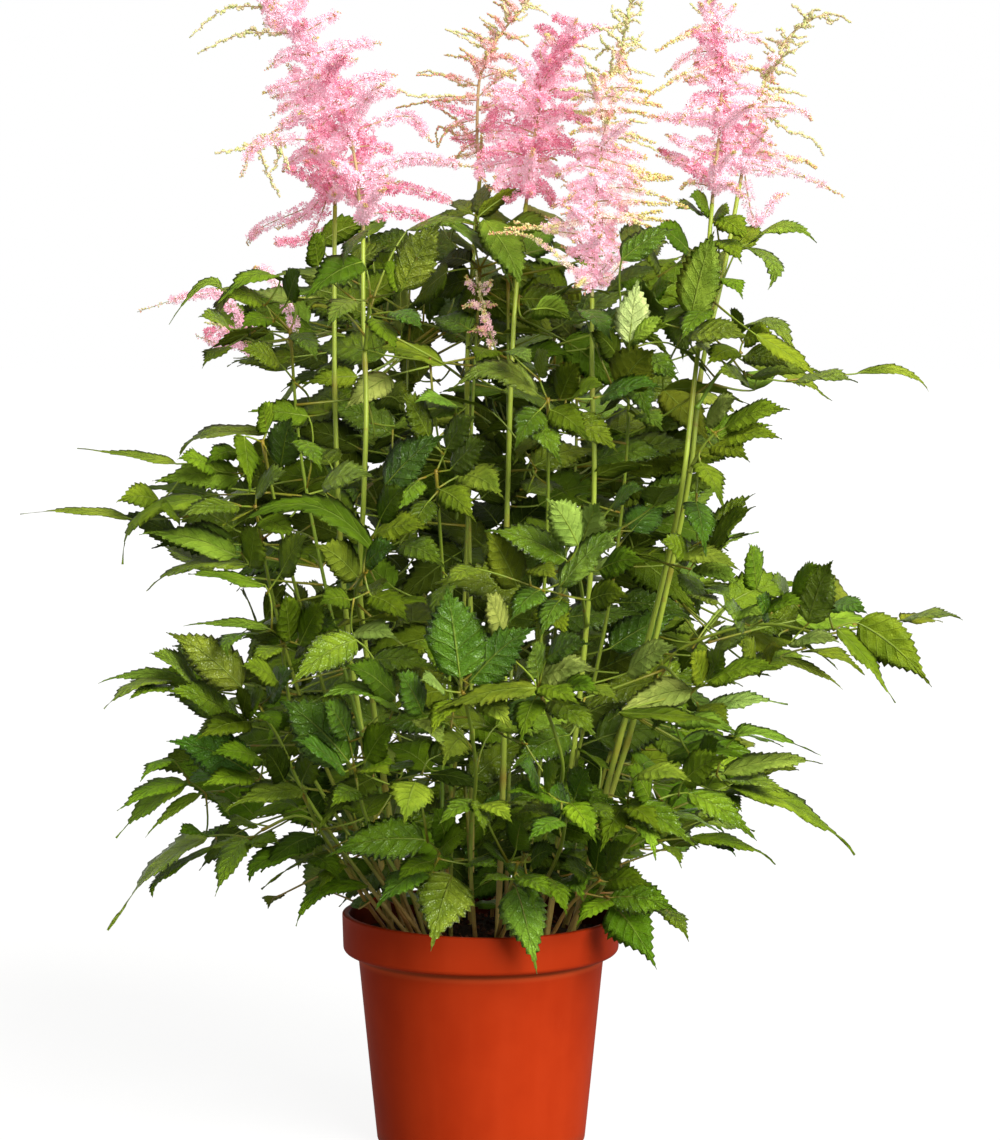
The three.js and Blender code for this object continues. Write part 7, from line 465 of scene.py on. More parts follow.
        (2.6, "g", [(223.8,28,771.8), (217.7,17.3,779), (211.6,6.6,782.6)]),
        (3, "g", [(204.7,27.9,746.1), (198.6,31.2,749.4), (194.7,33.6,752.2)]),
        (3, "g", [(203.5,27.9,744.2), (211.3,24.9,742), (216.6,22.6,736.5)]),
        (3, "g", [(196.5,27.9,734), (190.5,31.6,739.1), (185.2,34.5,743.1)]),
        (3.4, "b", [(197.5,27.9,736.5), (200,29,732.2), (204.2,30.2,729.8)]),
        (2.8, "g", [(187.9,27.9,710.6), (200.6,35.1,706.4), (212.2,42,698), (225.1,48,695.2), (233.9,52.9,688.4), (238.4,56.5,681.6)]),
        (2.8, "c", [(181.5,28,682.9), (198.2,38.4,683.1), (214.1,47.3,679.5), (225,53.1,677.3), (233,57.9,673.2)]),
        (4.6, "p", [(180.6,28,676.4), (190.8,31.2,678.2), (202.8,34.4,676), (214.8,37.8,670.5)]),
        (4.2, "l", [(180,28.7,671.3), (191.8,25,670.8), (204,21.4,669)]),
        (3.2, "b", [(181.2,28,680.3), (192.1,30.6,683.6), (200.5,32.4,681.7)]),
        (3.2, "g", [(207.2,27.9,755.8), (213.6,29.3,752.2), (219.8,30.4,755.8)]),
        (3.2, "g", [(211.8,27.9,761.6), (217.4,26.8,761.6), (222.8,25.8,762.2)]),
        (3.2, "g", [(216.8,28,767.3), (223.3,31.6,769.5), (228.3,34.2,769.1)]),
        (3.2, "g", [(205.2,27.9,747.8), (209.3,26.6,752.2), (211.9,25.5,758.8)]),
        (3, "g", [(210.3,27.9,759.8), (206.3,24.6,765.8), (202.7,22.6,766.5)]),
        (3, "g", [(222.9,28,771.2), (226.6,23.6,779.3), (231.9,20.5,779.5)]),
        (3.6, "l", [(183.3,28,695.8), (192.2,32.5,697.5), (200.8,36.6,693.7)]),
        (2.8, "c", [(190,27.9,716.7), (202.3,22,720.1), (214.3,17,715.2)]),
        (4.2, "p", [(182.2,28,688), (177,32.4,695), (173.1,36.4,700.9)]),
        (3, "g", [(234.2,28,775.8), (239.6,30.9,772.5), (245.3,33.3,774.1)]),
        (4.2, "l", [(179.8,29.1,669.9), (180.6,10.8,675.4), (181.3,-5.6,676.6)]),
        (2.6, "g", [(182,28,686.7), (180.4,47.5,691), (179,65.1,690.8)]),
        (3.2, "c", [(188.7,27.9,713.1), (189,13.9,715), (189.2,1.2,713.9)]),
        (4.2, "l", [(196.2,27.9,733.2), (197.3,43.1,740.1), (198.3,56.8,742.9)]),
        (4.2, "l", [(203.5,27.9,744.2), (199.8,19.6,746.5), (196.5,12.1,746.7)]),
        (3.2, "c", [(207,27.9,755.3), (207,35.1,757.6), (206.9,41.5,758.2)]),
        (2.6, "g", [(216.8,28,767.3), (217.1,21.1,769.1), (217.4,14.9,769.3)]),
        (2.6, "g", [(229.1,28,774.8), (226.3,33.5,777.2), (223.7,38.5,778)]),
    ]),
    "side_plume_1": ([(20,-23.5,520.8), (16.6,-10.5,529.7), (10.5,2.5,547.6), (5,6,563.9), (0.9,6,581), (-3.2,6,602.1)], (0.9,0.6), [
        (2.2, "c", [(6.8,4.8,558.5), (-1.9,4.8,561.9), (-9.4,4.8,560.5)]),
        (2.2, "c", [(6.4,5.1,559.8), (7.7,5.1,553.7), (6.4,5.1,548.2)]),
        (2.2, "c", [(1.6,6,578.2), (-4.6,6,579.6), (-12.1,6,577.6)]),
        (2.2, "c", [(1.9,6,576.7), (6.4,6,579.6), (10.5,6,578.9)]),
        (2.2, "c", [(-0.8,6,589.8), (-7.3,6,593.3), (-10,6,598.7)]),
        (2.2, "g", [(-0.8,6,589.8), (5,6,591.9), (7.7,6,596)]),
    ]),
    "side_plume_2": ([(-102.8,9.2,560.6), (-124.6,22.8,555.9), (-151.7,36.3,552), (-170.6,40,555.4), (-179.6,40,563), (-191.4,40,566.4)], (0.9,0.6), [
        (3.2, "p", [(-167.4,39.4,554.8), (-177.6,39.4,550.5), (-197.6,39.4,556.8)]),
        (3.2, "p", [(-151.7,36.3,552), (-166.8,36.3,567.9), (-180.6,36.3,584.5), (-202.7,36.3,584.5), (-238.1,36.3,573.4)]),
        (3.2, "p", [(-170.6,40,555.4), (-163.1,40,548.4), (-158.9,40,542.9)]),
        (3.2, "l", [(-124.6,22.8,555.9), (-135.5,22.8,582), (-146.5,22.8,601.2), (-156.1,22.8,604.7)]),
        (3.2, "d", [(-179.6,40,563), (-185.2,40,559.5), (-192.1,40,559.5)]),
    ]),
}
# leaf: stalk points, foot radius, side stalks, leaflets of (foot, base, middle, tip, face normal, width, kind)
LEAVES = {
    "leaf_01": ([(-77.2,-50.6,550.4), (-76.3,-55.4,558.4), (-75.5,-60.2,566.5), (-74.5,-65.8,574), (-73.4,-72.5,580.5), (-72.2,-79.5,586.7)], 1.5, [], [
        ((-72.9,-75.2,582.9), (-84.8,-78,584), (-92.6,-96.3,578.9), (-100.4,-114.5,567.8), (0.09,-0.44,0.9), 18.5, "b"),
        ((-72.9,-75.2,582.9), (-71.4,-83.9,572.2), (-62.3,-102.3,564.9), (-53.3,-120.7,551), (0.29,-0.37,0.88), 20.8, "d"),
        ((-71.7,-82.2,574.3), (-58,-89.6,576.3), (-47.1,-107.8,574), (-36.2,-126,565.5), (-0.07,-0.32,0.94), 19.7, "g"),
        ((-72.5,-78,585.3), (-52.9,-81.1,590.7), (-58.3,-99.2,603), (-63.6,-117.2,609.5), (0.96,-0.28,0), 18.2, "m"),
        ((-56.8,-80.5,589.6), (-51.3,-91.2,590.8), (-37.9,-104.4,618.6), (-24.5,-117.5,638), (-0.33,-0.89,-0.31), 27.4, "b"),
        ((-72.5,-78,585.3), (-78.1,-76.7,609.1), (-96.4,-96,601.9), (-114.7,-115.2,586.7), (0.14,-0.6,0.79), 26, "d"),
        ((-82.4,-77.4,583.8), (-108.3,-55.5,606.2), (-109.3,-73.7,621.2), (-110.4,-91.9,630.2), (0.76,-0.39,-0.53), 19.7, "m"),
        ((-103.1,-59.9,601.7), (-77.9,-64,629.5), (-84.5,-82.3,621.2), (-91,-100.7,606.7), (-0.53,-0.3,0.79), 20.4, "d"),
        ((-75.2,-61.6,568.4), (-23.7,-39.8,539.6), (-50.2,-41.5,550.2), (-76.7,-43.3,552.1), (0.24,-0.39,0.89), 25.6, "o"),
        ((-34,-44.2,545.4), (-23.3,-25.7,467.6), (-8.1,-8.9,461.9), (7.1,7.8,448.3), (0.03,0.48,0.88), 23.1, "m"),
        ((-74.5,-65.8,574), (-49.6,-15.3,629.8), (-25.2,-22.1,637.5), (-0.8,-28.9,635.1), (-0.18,-0.28,0.94), 23.4, "m"),
        ((-76.3,-55.4,558.4), (-106.4,4.5,583.6), (-128.6,5.4,584), (-150.7,6.2,579.8), (-0.08,0.07,0.99), 19.8, "l"),
    ]),
    "leaf_02": ([(-38.5,-15.8,145.52), (-64,-17.2,227.7), (-88.3,-19.3,310.9), (-107.1,-24.1,395.2), (-121.9,-31.8,480.2), (-127.4,-51.9,563.4)], 1.9, [], [
        ((-127.3,-51.4,561.3), (-123,-58.2,561.6), (-114.9,-76.4,556.3), (-106.7,-94.5,544.9), (0.04,-0.4,0.92), 18.6, "m"),
        ((-127.3,-51.4,561.3), (-141,-46.8,571.3), (-149.9,-64.9,571.3), (-158.7,-83,565.6), (0.42,-0.34,0.84), 18.3, "d"),
        ((-138.3,-47.7,569.3), (-128.6,-51.8,583.5), (-123.6,-70,597.4), (-118.6,-88.1,605.2), (-0.86,-0.42,-0.3), 19.6, "d"),
        ((-125.1,-43.6,528.9), (-134.1,-54.5,540.8), (-146.5,-72.9,549.6), (-158.9,-91.4,552), (0.81,-0.42,0.42), 19.8, "m"),
        ((-138.3,-47.7,569.3), (-154.9,-30,560.8), (-156.4,-47.9,573.5), (-157.8,-65.9,580.4), (0.99,-0.12,-0.07), 18.5, "d"),
        ((-138.3,-47.7,569.3), (-145.9,-42.8,582), (-158.3,-61.1,587.4), (-170.7,-79.5,586.7), (0.69,-0.38,0.62), 19.2, "m"),
        ((-144.4,-43.8,579.5), (-134.2,-47.1,596.8), (-151,-66.3,600.3), (-173,-85.5,584.1), (0,-0.31,0.95), 24.1, "m"),
        ((-144.9,-40.6,565.9), (-166.1,-63,564.4), (-175.6,-81.2,572.5), (-185.1,-99.3,574.6), (0.7,-0.17,0.69), 18.2, "m"),
        ((-151.6,-33.5,562.5), (-170.3,-42.8,551.8), (-177.3,-60.8,548.9), (-184.4,-78.9,540.4), (-0.13,-0.25,0.96), 18.2, "d"),
        ((-144.4,-43.8,579.5), (-173.6,-39.9,589.9), (-186.9,-42,594), (-209,-44.1,568.6), (-0.34,-0.65,0.68), 8.3, "n"),
        ((-124.1,-39.7,512.7), (-65.9,-13.2,516.7), (-58.8,13.1,514.8), (-51.8,39.5,503.9), (-0.68,0.34,0.65), 26.4, "m"),
        ((-77.5,-18.5,515.9), (-72.7,-12.6,488.1), (-83.7,5.6,489.8), (-94.8,23.7,484.7), (-0.02,0.08,1), 20, "b"),
        ((-74.6,-15,499.2), (-55.7,-26.4,497.7), (-29.8,-22,504.2), (-3.8,-17.6,502.3), (-0.01,-0.41,0.91), 24.8, "b"),
        ((-59.5,-24.1,498), (-53.7,-35,461.8), (-32.9,-46.7,469.6), (-12,-58.4,469.7), (-0.05,0.23,0.97), 22.8, "o"),
        ((-115.6,-28.5,443.8), (-105.5,16.9,455), (-128.9,28.5,460.8), (-152.4,40,460.2), (-0.34,-0.8,0.5), 24.8, "d"),
        ((-108.2,-24.7,401.3), (-170.9,27.4,423.1), (-198.8,29.7,438.7), (-226.6,32.1,442.6), (0.04,-0.94,0.34), 30.8, "d"),
        ((-123.5,-37.5,504), (-139.9,11.2,488.7), (-147.4,36.9,474.2), (-154.9,62.7,454.7), (-0.03,0.54,0.84), 27.4, "d"),
        ((-84.8,-19,299), (-143.8,15.3,278.5), (-167,30.7,272.5), (-190.2,46.2,263.6), (-0.56,-0.53,0.64), 25.7, "d"),
        ((-125,-43.3,527.7), (-126.7,4.9,522.1), (-137.5,26.2,514.1), (-148.2,47.6,501.9), (-0.81,-0.14,0.57), 23.6, "m"),
        ((-84.8,-19,299), (-138,44.3,310.8), (-158.5,47.7,318.4), (-179,51.2,323.2), (0.21,-0.39,0.9), 19.5, "d"),
        ((-105.8,-23.8,389.2), (-184.7,4.3,396.5), (-204.9,17.3,406.9), (-225,30.3,414.7), (0.22,-0.3,0.93), 26.5, "m"),
        ((-89.6,-19.6,316.9), (-144.5,9.6,310.5), (-163.9,-15.1,310.4), (-183.3,-39.9,301.4), (-0.31,0.07,0.95), 31.8, "d"),
        ((-127,-50.5,557.5), (-151.7,-31.3,554), (-149.6,-6.2,552.6), (-147.5,19,546.5), (0.38,0.1,0.92), 23, "l"),
        ((-95,-21,341), (-99.8,-6.9,346), (-125.8,-0.9,349.1), (-151.8,5.1,350), (-0.13,-0.78,0.62), 25.4, "d"),
        ((-126.6,-49,551.5), (-144.9,11,559.7), (-167.4,11.3,558.1), (-189.9,11.6,547.3), (-0.23,0.45,0.86), 20.1, "o"),
        ((-84.8,-19,299), (-110.4,-19.5,286.9), (-135.1,-17.4,279), (-159.7,-15.3,267.4), (-0.34,-0.57,0.75), 26.4, "d"),
        ((-127.4,-51.9,563.4), (-167.6,-12.1,593.8), (-175,4,582.4), (-182.4,20.1,567.4), (-0.76,0.17,0.63), 21.5, "b"),
        ((-92.3,-20.3,329), (-131,-19.4,312.1), (-137,-41.1,302.4), (-142.9,-62.9,288.1), (0.35,-0.52,0.78), 23.4, "m"),
        ((-123.5,-37.5,504), (-124.6,-18.9,497.8), (-141.7,-9.7,482.2), (-158.7,-0.5,462), (-0.66,0.2,0.73), 23, "m"),
        ((-108.2,-24.7,401.3), (-163.4,9.2,407.2), (-190.1,12.1,414.8), (-216.8,15,417.3), (0.08,-0.61,0.79), 24.9, "g"),
        ((-96.4,-21.4,347), (-126.4,53.7,351.1), (-147.9,52,349.6), (-169.5,50.3,345.1), (-0.06,-0.61,0.79), 20.8, "d"),
        ((-96.4,-21.4,347), (-102.1,-17,349.4), (-125.3,-19.5,351.3), (-148.6,-22.1,349.1), (0.09,-0.87,0.48), 21, "d"),
        ((-113.4,-27.4,431.6), (-140.4,6.7,411.3), (-152.9,17.1,400.8), (-165.5,27.4,383.1), (-0.76,-0.04,0.65), 19.9, "d"),
        ((-118.7,-30.1,462), (-154.3,-1.3,453.7), (-175.9,-2.8,446.4), (-197.6,-4.4,434.1), (-0.4,-0.12,0.91), 20.8, "m"),
        ((-103.1,-23.1,377.1), (-123,-29.7,370.8), (-142.3,-41.4,369), (-161.7,-53.1,360.1), (-0.3,0.07,0.95), 20.4, "m"),
        ((-127.4,-51.9,563.4), (-127.3,-18.4,581.2), (-143.2,-6,588), (-159.2,6.5,588), (-0.11,-0.39,0.91), 20.4, "l"),
        ((-111.3,-26.3,419.5), (-133.8,38.6,421.8), (-159.1,53.7,419.1), (-184.4,68.7,412.5), (-0.19,-0.02,0.98), 28.6, "m"),
        ((-97.7,-21.7,353.1), (-115.3,-47,347), (-135.7,-50.9,339.5), (-156.1,-54.8,329.7), (-0.3,-0.37,0.88), 22.9, "m"),
        ((-108.2,-24.7,401.3), (-99.1,25.5,425.4), (-121.9,43.5,446.1), (-144.7,61.6,458.4), (0.34,-0.36,0.87), 29.5, "d"),
        ((-101.7,-22.7,371.1), (-106.2,-33.6,371.3), (-111.7,-53.4,379), (-117.3,-73.3,379.1), (0.37,0.08,0.93), 20.4, "b"),
        ((-76.1,-18.2,269.3), (-134.8,24,271.1), (-153.2,45.1,280.1), (-171.6,66.2,285.4), (-0.38,-0.58,0.72), 25.3, "d"),
        ((-117.7,-29.6,455.9), (-116.1,-37.6,504.9), (-135.8,-45.6,508.6), (-155.6,-53.5,510.5), (0.37,-0.71,0.6), 21.3, "m"),
        ((-122.3,-33.2,486.1), (-104.5,-10.1,462.1), (-128.9,-0.9,448.5), (-153.2,8.3,424.6), (-0.6,0.03,0.8), 27.4, "m"),
        ((-95,-21,341), (-131.8,2.6,345.5), (-149.4,13.4,354), (-167.1,24.3,357), (-0.23,-0.71,0.66), 20.3, "d"),
        ((-123.5,-37.5,504), (-104.1,1.1,505.8), (-118.5,18.5,507.4), (-133,35.9,500), (-0.43,-0.21,0.88), 20.4, "o"),
        ((-108.2,-24.7,401.3), (-128.9,57.6,404.7), (-152.7,57.9,399.3), (-176.5,58.3,383.4), (-0.28,-0.76,0.59), 25.6, "d"),
        ((-125,-43.3,527.7), (-119.6,35.1,509.4), (-132.2,45.9,497.7), (-144.8,56.7,483.6), (-0.33,0.54,0.78), 19.7, "d"),
        ((-116.6,-29.1,449.8), (-184.3,-3.2,455.5), (-204.7,-4.7,460.5), (-225,-6.3,460.5), (0.14,-0.64,0.76), 17.5, "d"),
        ((-101.7,-22.7,371.1), (-107.6,-3.9,368.6), (-137.9,-1.6,364.5), (-168.3,0.7,351.4), (-0.28,-0.08,0.96), 27.1, "m"),
        ((-92.3,-20.3,329), (-123.9,33.1,344.9), (-144.1,33.9,354.9), (-164.3,34.8,357), (0.24,-0.46,0.85), 21.2, "d"),
        ((-54.9,-16.7,198.3), (-57.7,2.6,196), (-78.3,9.2,183.5), (-98.9,15.8,162.2), (-0.54,-0.75,0.37), 29.6, "d"),
    ]),
    "leaf_03": ([(-41.1,-25.2,145.68), (-68.4,-31.3,212.8), (-94.8,-38.3,281), (-113.8,-51.1,350.6), (-131.1,-65.6,420.4), (-144.9,-78.9,491.3)], 1.9, [], [
        ((-144.6,-78.6,489.5), (-143.2,-73.2,494.9), (-181.6,-76.2,495.1), (-200,-79.1,482.6), (-0.18,-0.28,0.94), 25.2, "m"),
        ((-144.6,-78.6,489.5), (-141.9,-73.2,496.3), (-142.7,-91.2,510.4), (-143.5,-109.3,518.6), (0.85,-0.3,-0.43), 19.1, "m"),
        ((-144.6,-78.6,489.5), (-156,-90.9,493.9), (-152.9,-109.7,480.9), (-149.8,-128.5,460.8), (0.66,-0.43,0.61), 22.8, "d"),
        ((-141.9,-76,475.7), (-160.3,-67.3,482.6), (-170.3,-85.5,483.3), (-180.2,-103.7,478.2), (0.38,-0.31,0.87), 18.8, "d"),
        ((-144.6,-78.6,489.5), (-131.9,-87.3,474.5), (-127.4,-106,496), (-123,-124.7,510.2), (-0.42,-0.68,-0.6), 24.7, "g"),
        ((-134.4,-85.6,477.5), (-118.1,-106.9,492.8), (-110.1,-125.1,487.2), (-102.1,-143.3,475.5), (0.23,-0.33,0.91), 19.6, "m"),
        ((-152.9,-70.8,479.8), (-159.4,-82.9,466.2), (-186.7,-92.4,470.3), (-214,-101.9,466.2), (0.26,-0.74,0.62), 25, "b"),
        ((-158.1,-80.5,468.9), (-175.2,-92,472.1), (-186.2,-110.3,480.7), (-197.2,-128.7,483), (0.77,-0.29,0.57), 19, "m"),
        ((-156.6,-69,481.2), (-202.6,-64.7,474.4), (-227.7,-68.1,480.6), (-268.6,-71.5,487.5), (0.22,-0.38,0.9), 13.5, "n"),
        ((-193.4,-65.6,475.8), (-213.9,-68.2,449.9), (-226.7,-86.6,454.7), (-239.5,-105.1,453.2), (0.74,-0.47,0.49), 19.4, "m"),
        ((-136.5,-70.8,448.1), (-85.9,-31.7,460.3), (-83.8,-8.6,459.2), (-81.6,14.5,450.5), (-0.42,0.22,0.88), 22.3, "m"),
        ((-96,-39.5,457.9), (-101.3,-37.9,472.4), (-110.3,-16.2,481), (-119.3,5.4,482), (-0.15,-0.27,0.95), 22.5, "m"),
        ((-106.1,-47.3,455.4), (-85.7,-59.1,440.9), (-92.4,-78.9,441.4), (-99,-98.8,435), (-0.4,0,0.92), 19.9, "m"),
        ((-89.8,-56.7,443.8), (-69.2,-42.1,413.1), (-41,-34.8,415.1), (-12.8,-27.5,407.7), (0.06,0.15,0.99), 27.5, "g"),
        ((-128.2,-63.2,408.8), (-203.6,-53.2,424.2), (-222.8,-58.9,435.5), (-242,-64.5,442), (0.45,-0.75,0.49), 19.6, "d"),
        ((-138,-72.2,455.9), (-184.3,-59.2,453.7), (-209.5,-45.9,458.1), (-234.6,-32.7,456.5), (-0.08,-0.26,0.96), 24.1, "d"),
        ((-131.1,-65.6,420.4), (-164.3,-56.9,419.7), (-191.4,-69.5,423.8), (-218.5,-82.2,421.8), (0.32,-0.62,0.71), 29.3, "k"),
    ]),
    "leaf_04": ([(-44.4,-33.6,145.83), (-75,-37.9,205.3), (-104.6,-43.2,265.9), (-125.5,-56.1,328.9), (-139.8,-77,391.7), (-147.8,-109.6,450.2)], 1.9, [], [
        ((-147.6,-108.8,448.7), (-147.1,-108.8,456.8), (-135.6,-127.1,469.5), (-124,-145.5,475.6), (-0.86,-0.35,0.37), 21.3, "b"),
        ((-147.6,-108.8,448.7), (-143,-112.6,440.6), (-130.9,-130.9,438.7), (-118.8,-149.2,430.5), (-0.25,-0.41,0.88), 20.3, "m"),
        ((-147.6,-108.8,448.7), (-159.2,-106.2,449.3), (-177,-125.2,451.1), (-194.8,-144.1,445.6), (0.25,-0.32,0.91), 22.5, "m"),
        ((-156.9,-106.7,449.2), (-174.8,-100.1,452.8), (-220.6,-103.8,445.2), (-235.7,-107.4,413.8), (-0.49,-0.29,0.82), 31.4, "m"),
        ((-144.5,-96.1,426), (-160.4,-111.2,416.7), (-191.9,-114.5,429.8), (-223.4,-117.8,433.8), (0.27,-0.52,0.81), 29.6, "b"),
        ((-157.2,-108.2,418.6), (-152.3,-114.6,411.1), (-188.8,-118.1,412.1), (-218.7,-121.5,397.3), (-0.17,-0.24,0.95), 29.4, "m"),
        ((-157.2,-108.2,418.6), (-151.3,-110.1,408.7), (-147.7,-128.6,428.9), (-144.1,-147.2,442), (-0.71,-0.54,-0.45), 23.7, "o"),
        ((-171.2,-101.4,452.1), (-197.2,-108.6,440.3), (-202.8,-126.4,448.3), (-208.4,-144.3,450.8), (0.85,-0.12,0.5), 17.5, "d"),
        ((-192,-107.2,442.7), (-232.8,-74.1,438.3), (-261.7,-77.8,444.6), (-305.8,-81.5,444.8), (0.12,-0.34,0.93), 14.7, "n"),
        ((-144.5,-96.1,426), (-120.2,-87.9,448.3), (-144.3,-103.5,448.4), (-168.5,-119.2,439.3), (-0.3,0.2,0.93), 27.4, "o"),
        ((-137,-73,379.6), (-74.8,-72.9,393.6), (-71.8,-96.5,394.4), (-68.7,-120.2,387.6), (-0.29,-0.16,0.94), 22.6, "m"),
        ((-87.2,-72.9,390.8), (-66.8,-37.9,412.1), (-53.5,-11.1,419.2), (-40.2,15.6,416.8), (-0.59,0.23,0.78), 28.2, "d"),
        ((-75,-51.9,403.6), (-58.6,-45.8,379.8), (-39.2,-34.6,380.9), (-19.7,-23.5,374.7), (0.16,-0.06,0.98), 21.2, "m"),
        ((-121.7,-53.8,317.4), (-180.1,-12.3,326), (-197.3,3.9,339.7), (-214.4,20.1,344.8), (-0.1,-0.58,0.81), 25.4, "m"),
        ((-96.5,-41.8,249.4), (-156.6,-16,254.4), (-179.2,-16.5,263.3), (-201.9,-17.1,265.8), (0.22,-0.52,0.83), 21.5, "k"),
        ((-110.3,-46.7,283.1), (-173.2,-3.3,276.3), (-190.4,8.9,276.8), (-207.7,21,274.7), (-0.21,-0.23,0.95), 18, "d"),
        ((-83.1,-39.3,221.8), (-126.2,-3.5,232.9), (-152.2,-2.9,246.4), (-178.1,-2.3,252.4), (0.35,-0.05,0.94), 27.2, "d"),
        ((-112.2,-47.9,288.8), (-173.4,-14.9,295.2), (-191.7,-3.9,304.2), (-210.1,7.1,307.4), (0.06,-0.41,0.91), 20.7, "k"),
        ((-58.3,-35.6,172.9), (-60.1,-17.1,169.5), (-50.4,4.5,171.1), (-40.7,26.1,166.8), (0.21,-0.03,0.98), 25.3, "g"),
    ]),
    "leaf_05": ([(-37.8,-40,146.03), (-67.9,-45.9,190), (-97.9,-51.9,235.1), (-121.7,-64.3,282.2), (-128.6,-90.3,329.3), (-130,-129.3,367.1)], 1.9, [], [
        ((-129.7,-120.7,358.8), (-124.1,-130.7,363.3), (-124.9,-149.3,384.5), (-125.7,-167.8,398.5), (0.73,-0.49,-0.48), 23.1, "d"),
        ((-130,-128.3,366.2), (-137.6,-132.3,370.7), (-160.3,-135.1,375.6), (-193.3,-137.9,375.3), (0.12,-0.45,0.88), 11.2, "n"),
        ((-127.5,-124.7,360.6), (-133.4,-128,359.1), (-140.1,-146.1,356.8), (-146.8,-164.2,348.8), (0.06,-0.29,0.95), 18, "m"),
        ((-125.2,-128.7,362.4), (-117.5,-132.1,360.2), (-108,-150.8,380.6), (-98.6,-169.6,393.5), (-0.81,-0.56,-0.18), 24.1, "d"),
        ((-136.1,-131.5,369.8), (-144.6,-125.2,367.3), (-162.4,-143.4,366), (-161.8,-161.6,356.3), (-0.25,-0.17,0.95), 18.8, "m"),
        ((-129.7,-120.7,358.8), (-120.7,-121.3,354.4), (-111.3,-139.2,362.6), (-101.9,-157.1,364.9), (-0.83,-0.29,0.48), 18.8, "k"),
        ((-120.6,-130.7,361.1), (-114.6,-123.4,369.1), (-102.4,-141.5,374.8), (-90.1,-159.7,374.3), (-0.69,-0.38,0.62), 19.9, "d"),
        ((-136.1,-131.5,369.8), (-140.1,-133,399.7), (-167.5,-149.4,407.7), (-187.5,-165.8,411.8), (0.35,-0.17,0.92), 25.4, "m"),
        ((-139.3,-132.7,393.7), (-129.4,-136.3,407.8), (-119.3,-154.9,426), (-109.2,-173.5,437), (-0.86,-0.51,-0.05), 24.2, "o"),
        ((-128.6,-90.4,329.4), (-80.2,-75.3,340.7), (-63,-49.3,343.4), (-45.8,-23.3,336), (-0.16,0.19,0.97), 29.4, "m"),
        ((-89.9,-78.3,338.4), (-72.1,-93.4,345), (-49.5,-105.8,348.2), (-26.9,-118.2,343.1), (-0.27,-0.55,0.79), 24.3, "m"),
        ((-75.7,-90.4,343.7), (-66.3,-87.6,327.6), (-40.8,-104.5,335.8), (-15.4,-121.5,334.1), (-0.47,-0.57,0.68), 28.9, "m"),
        ((-71.9,-89.3,337.3), (-72.2,-86.5,335.6), (-45.5,-84.4,335.5), (-18.8,-82.4,326.8), (0.17,-0.63,0.76), 25.5, "b"),
    ]),
    "leaf_06": ([(-45.9,-44,146.08), (-72.2,-49.9,182.1), (-98.5,-56,219.3), (-120.6,-69.5,256.9), (-132.6,-97,291.5), (-145.2,-130.3,320.5)], 1.9, [], [
        ((-144.9,-129.5,319.8), (-142.7,-130.2,315.9), (-135.8,-148.1,314.4), (-128.8,-166,307.5), (0.03,-0.22,0.97), 17.7, "d"),
        ((-144.9,-129.5,319.8), (-138.5,-133.2,324.2), (-128.9,-151.6,340.2), (-119.4,-169.9,349.5), (-0.89,-0.45,0.02), 20.9, "g"),
        ((-140,-116.5,308.5), (-153.4,-125.8,312.6), (-145.4,-143.9,326.6), (-137.3,-162,334.3), (-0.93,-0.31,0.17), 19.5, "m"),
        ((-142.4,-123,314.1), (-150.8,-126,308.7), (-167.1,-144.8,309.5), (-183.3,-163.7,303.2), (0.32,-0.4,0.86), 22.6, "d"),
        ((-144.9,-129.5,319.8), (-155.7,-128.8,331.5), (-180.2,-132,355.7), (-204.7,-135.1,371), (0.32,-0.91,0.25), 28.5, "b"),
        ((-150.7,-123.9,311.8), (-163.6,-112.1,310.9), (-183.3,-131.5,326.7), (-202.9,-150.8,334.2), (0.74,-0.44,0.51), 28.2, "m"),
        ((-139.8,-132.5,323.3), (-130.7,-153.8,338.5), (-141.7,-172.1,349.7), (-152.7,-190.5,354.5), (0.84,-0.31,0.45), 19.7, "m"),
        ((-151.4,-129.1,326.8), (-185.3,-111.8,330.8), (-199.9,-130.8,348.7), (-214.5,-149.9,358.9), (0.8,-0.2,0.56), 24, "b"),
        ((-178.5,-115.3,330), (-186.4,-106.2,328.7), (-217.7,-109.5,339.1), (-251.7,-112.8,334.9), (0.13,-0.59,0.8), 13.2, "n"),
        ((-178.5,-115.3,330), (-204.2,-106.8,330.1), (-216.2,-125.2,331.9), (-228.3,-143.7,327.4), (0.12,-0.15,0.98), 19.1, "m"),
        ((-199.1,-108.5,330.1), (-204.3,-112.2,334.1), (-224.9,-131.5,335.1), (-243.9,-150.8,322.4), (-0.14,-0.15,0.98), 24.4, "m"),
        ((-153.3,-121.5,311.6), (-155.5,-125.1,312.5), (-152.6,-143,327), (-149.7,-160.9,335.4), (-0.84,-0.38,-0.39), 19.4, "d"),
        ((-155.1,-124.4,312.3), (-157.5,-124.3,312.4), (-162.1,-141.9,320), (-166.7,-159.6,322.2), (0.8,-0.04,0.6), 16.3, "m"),
        ((-125.6,-81,271.4), (-89.1,-72.9,302.4), (-117.6,-63,310.6), (-146,-53.2,309.1), (-0.15,-0.69,0.71), 28.5, "m"),
        ((-96.4,-74.5,296.2), (-74.4,-86.2,296.3), (-66.5,-103.8,291.2), (-58.5,-121.4,279.3), (-0.65,-0.55,0.52), 19.8, "m"),
        ((-92,-76.8,296.2), (-106,-102.6,306.8), (-117.1,-123.9,307.3), (-128.3,-145.2,300), (-0.61,0.2,0.77), 22.8, "b"),
        ((-78.8,-83.9,296.3), (-63.8,-67.9,306.8), (-35.4,-61.9,304.9), (-7,-55.9,293.4), (0.17,0.27,0.95), 28, "d"),
    ]),
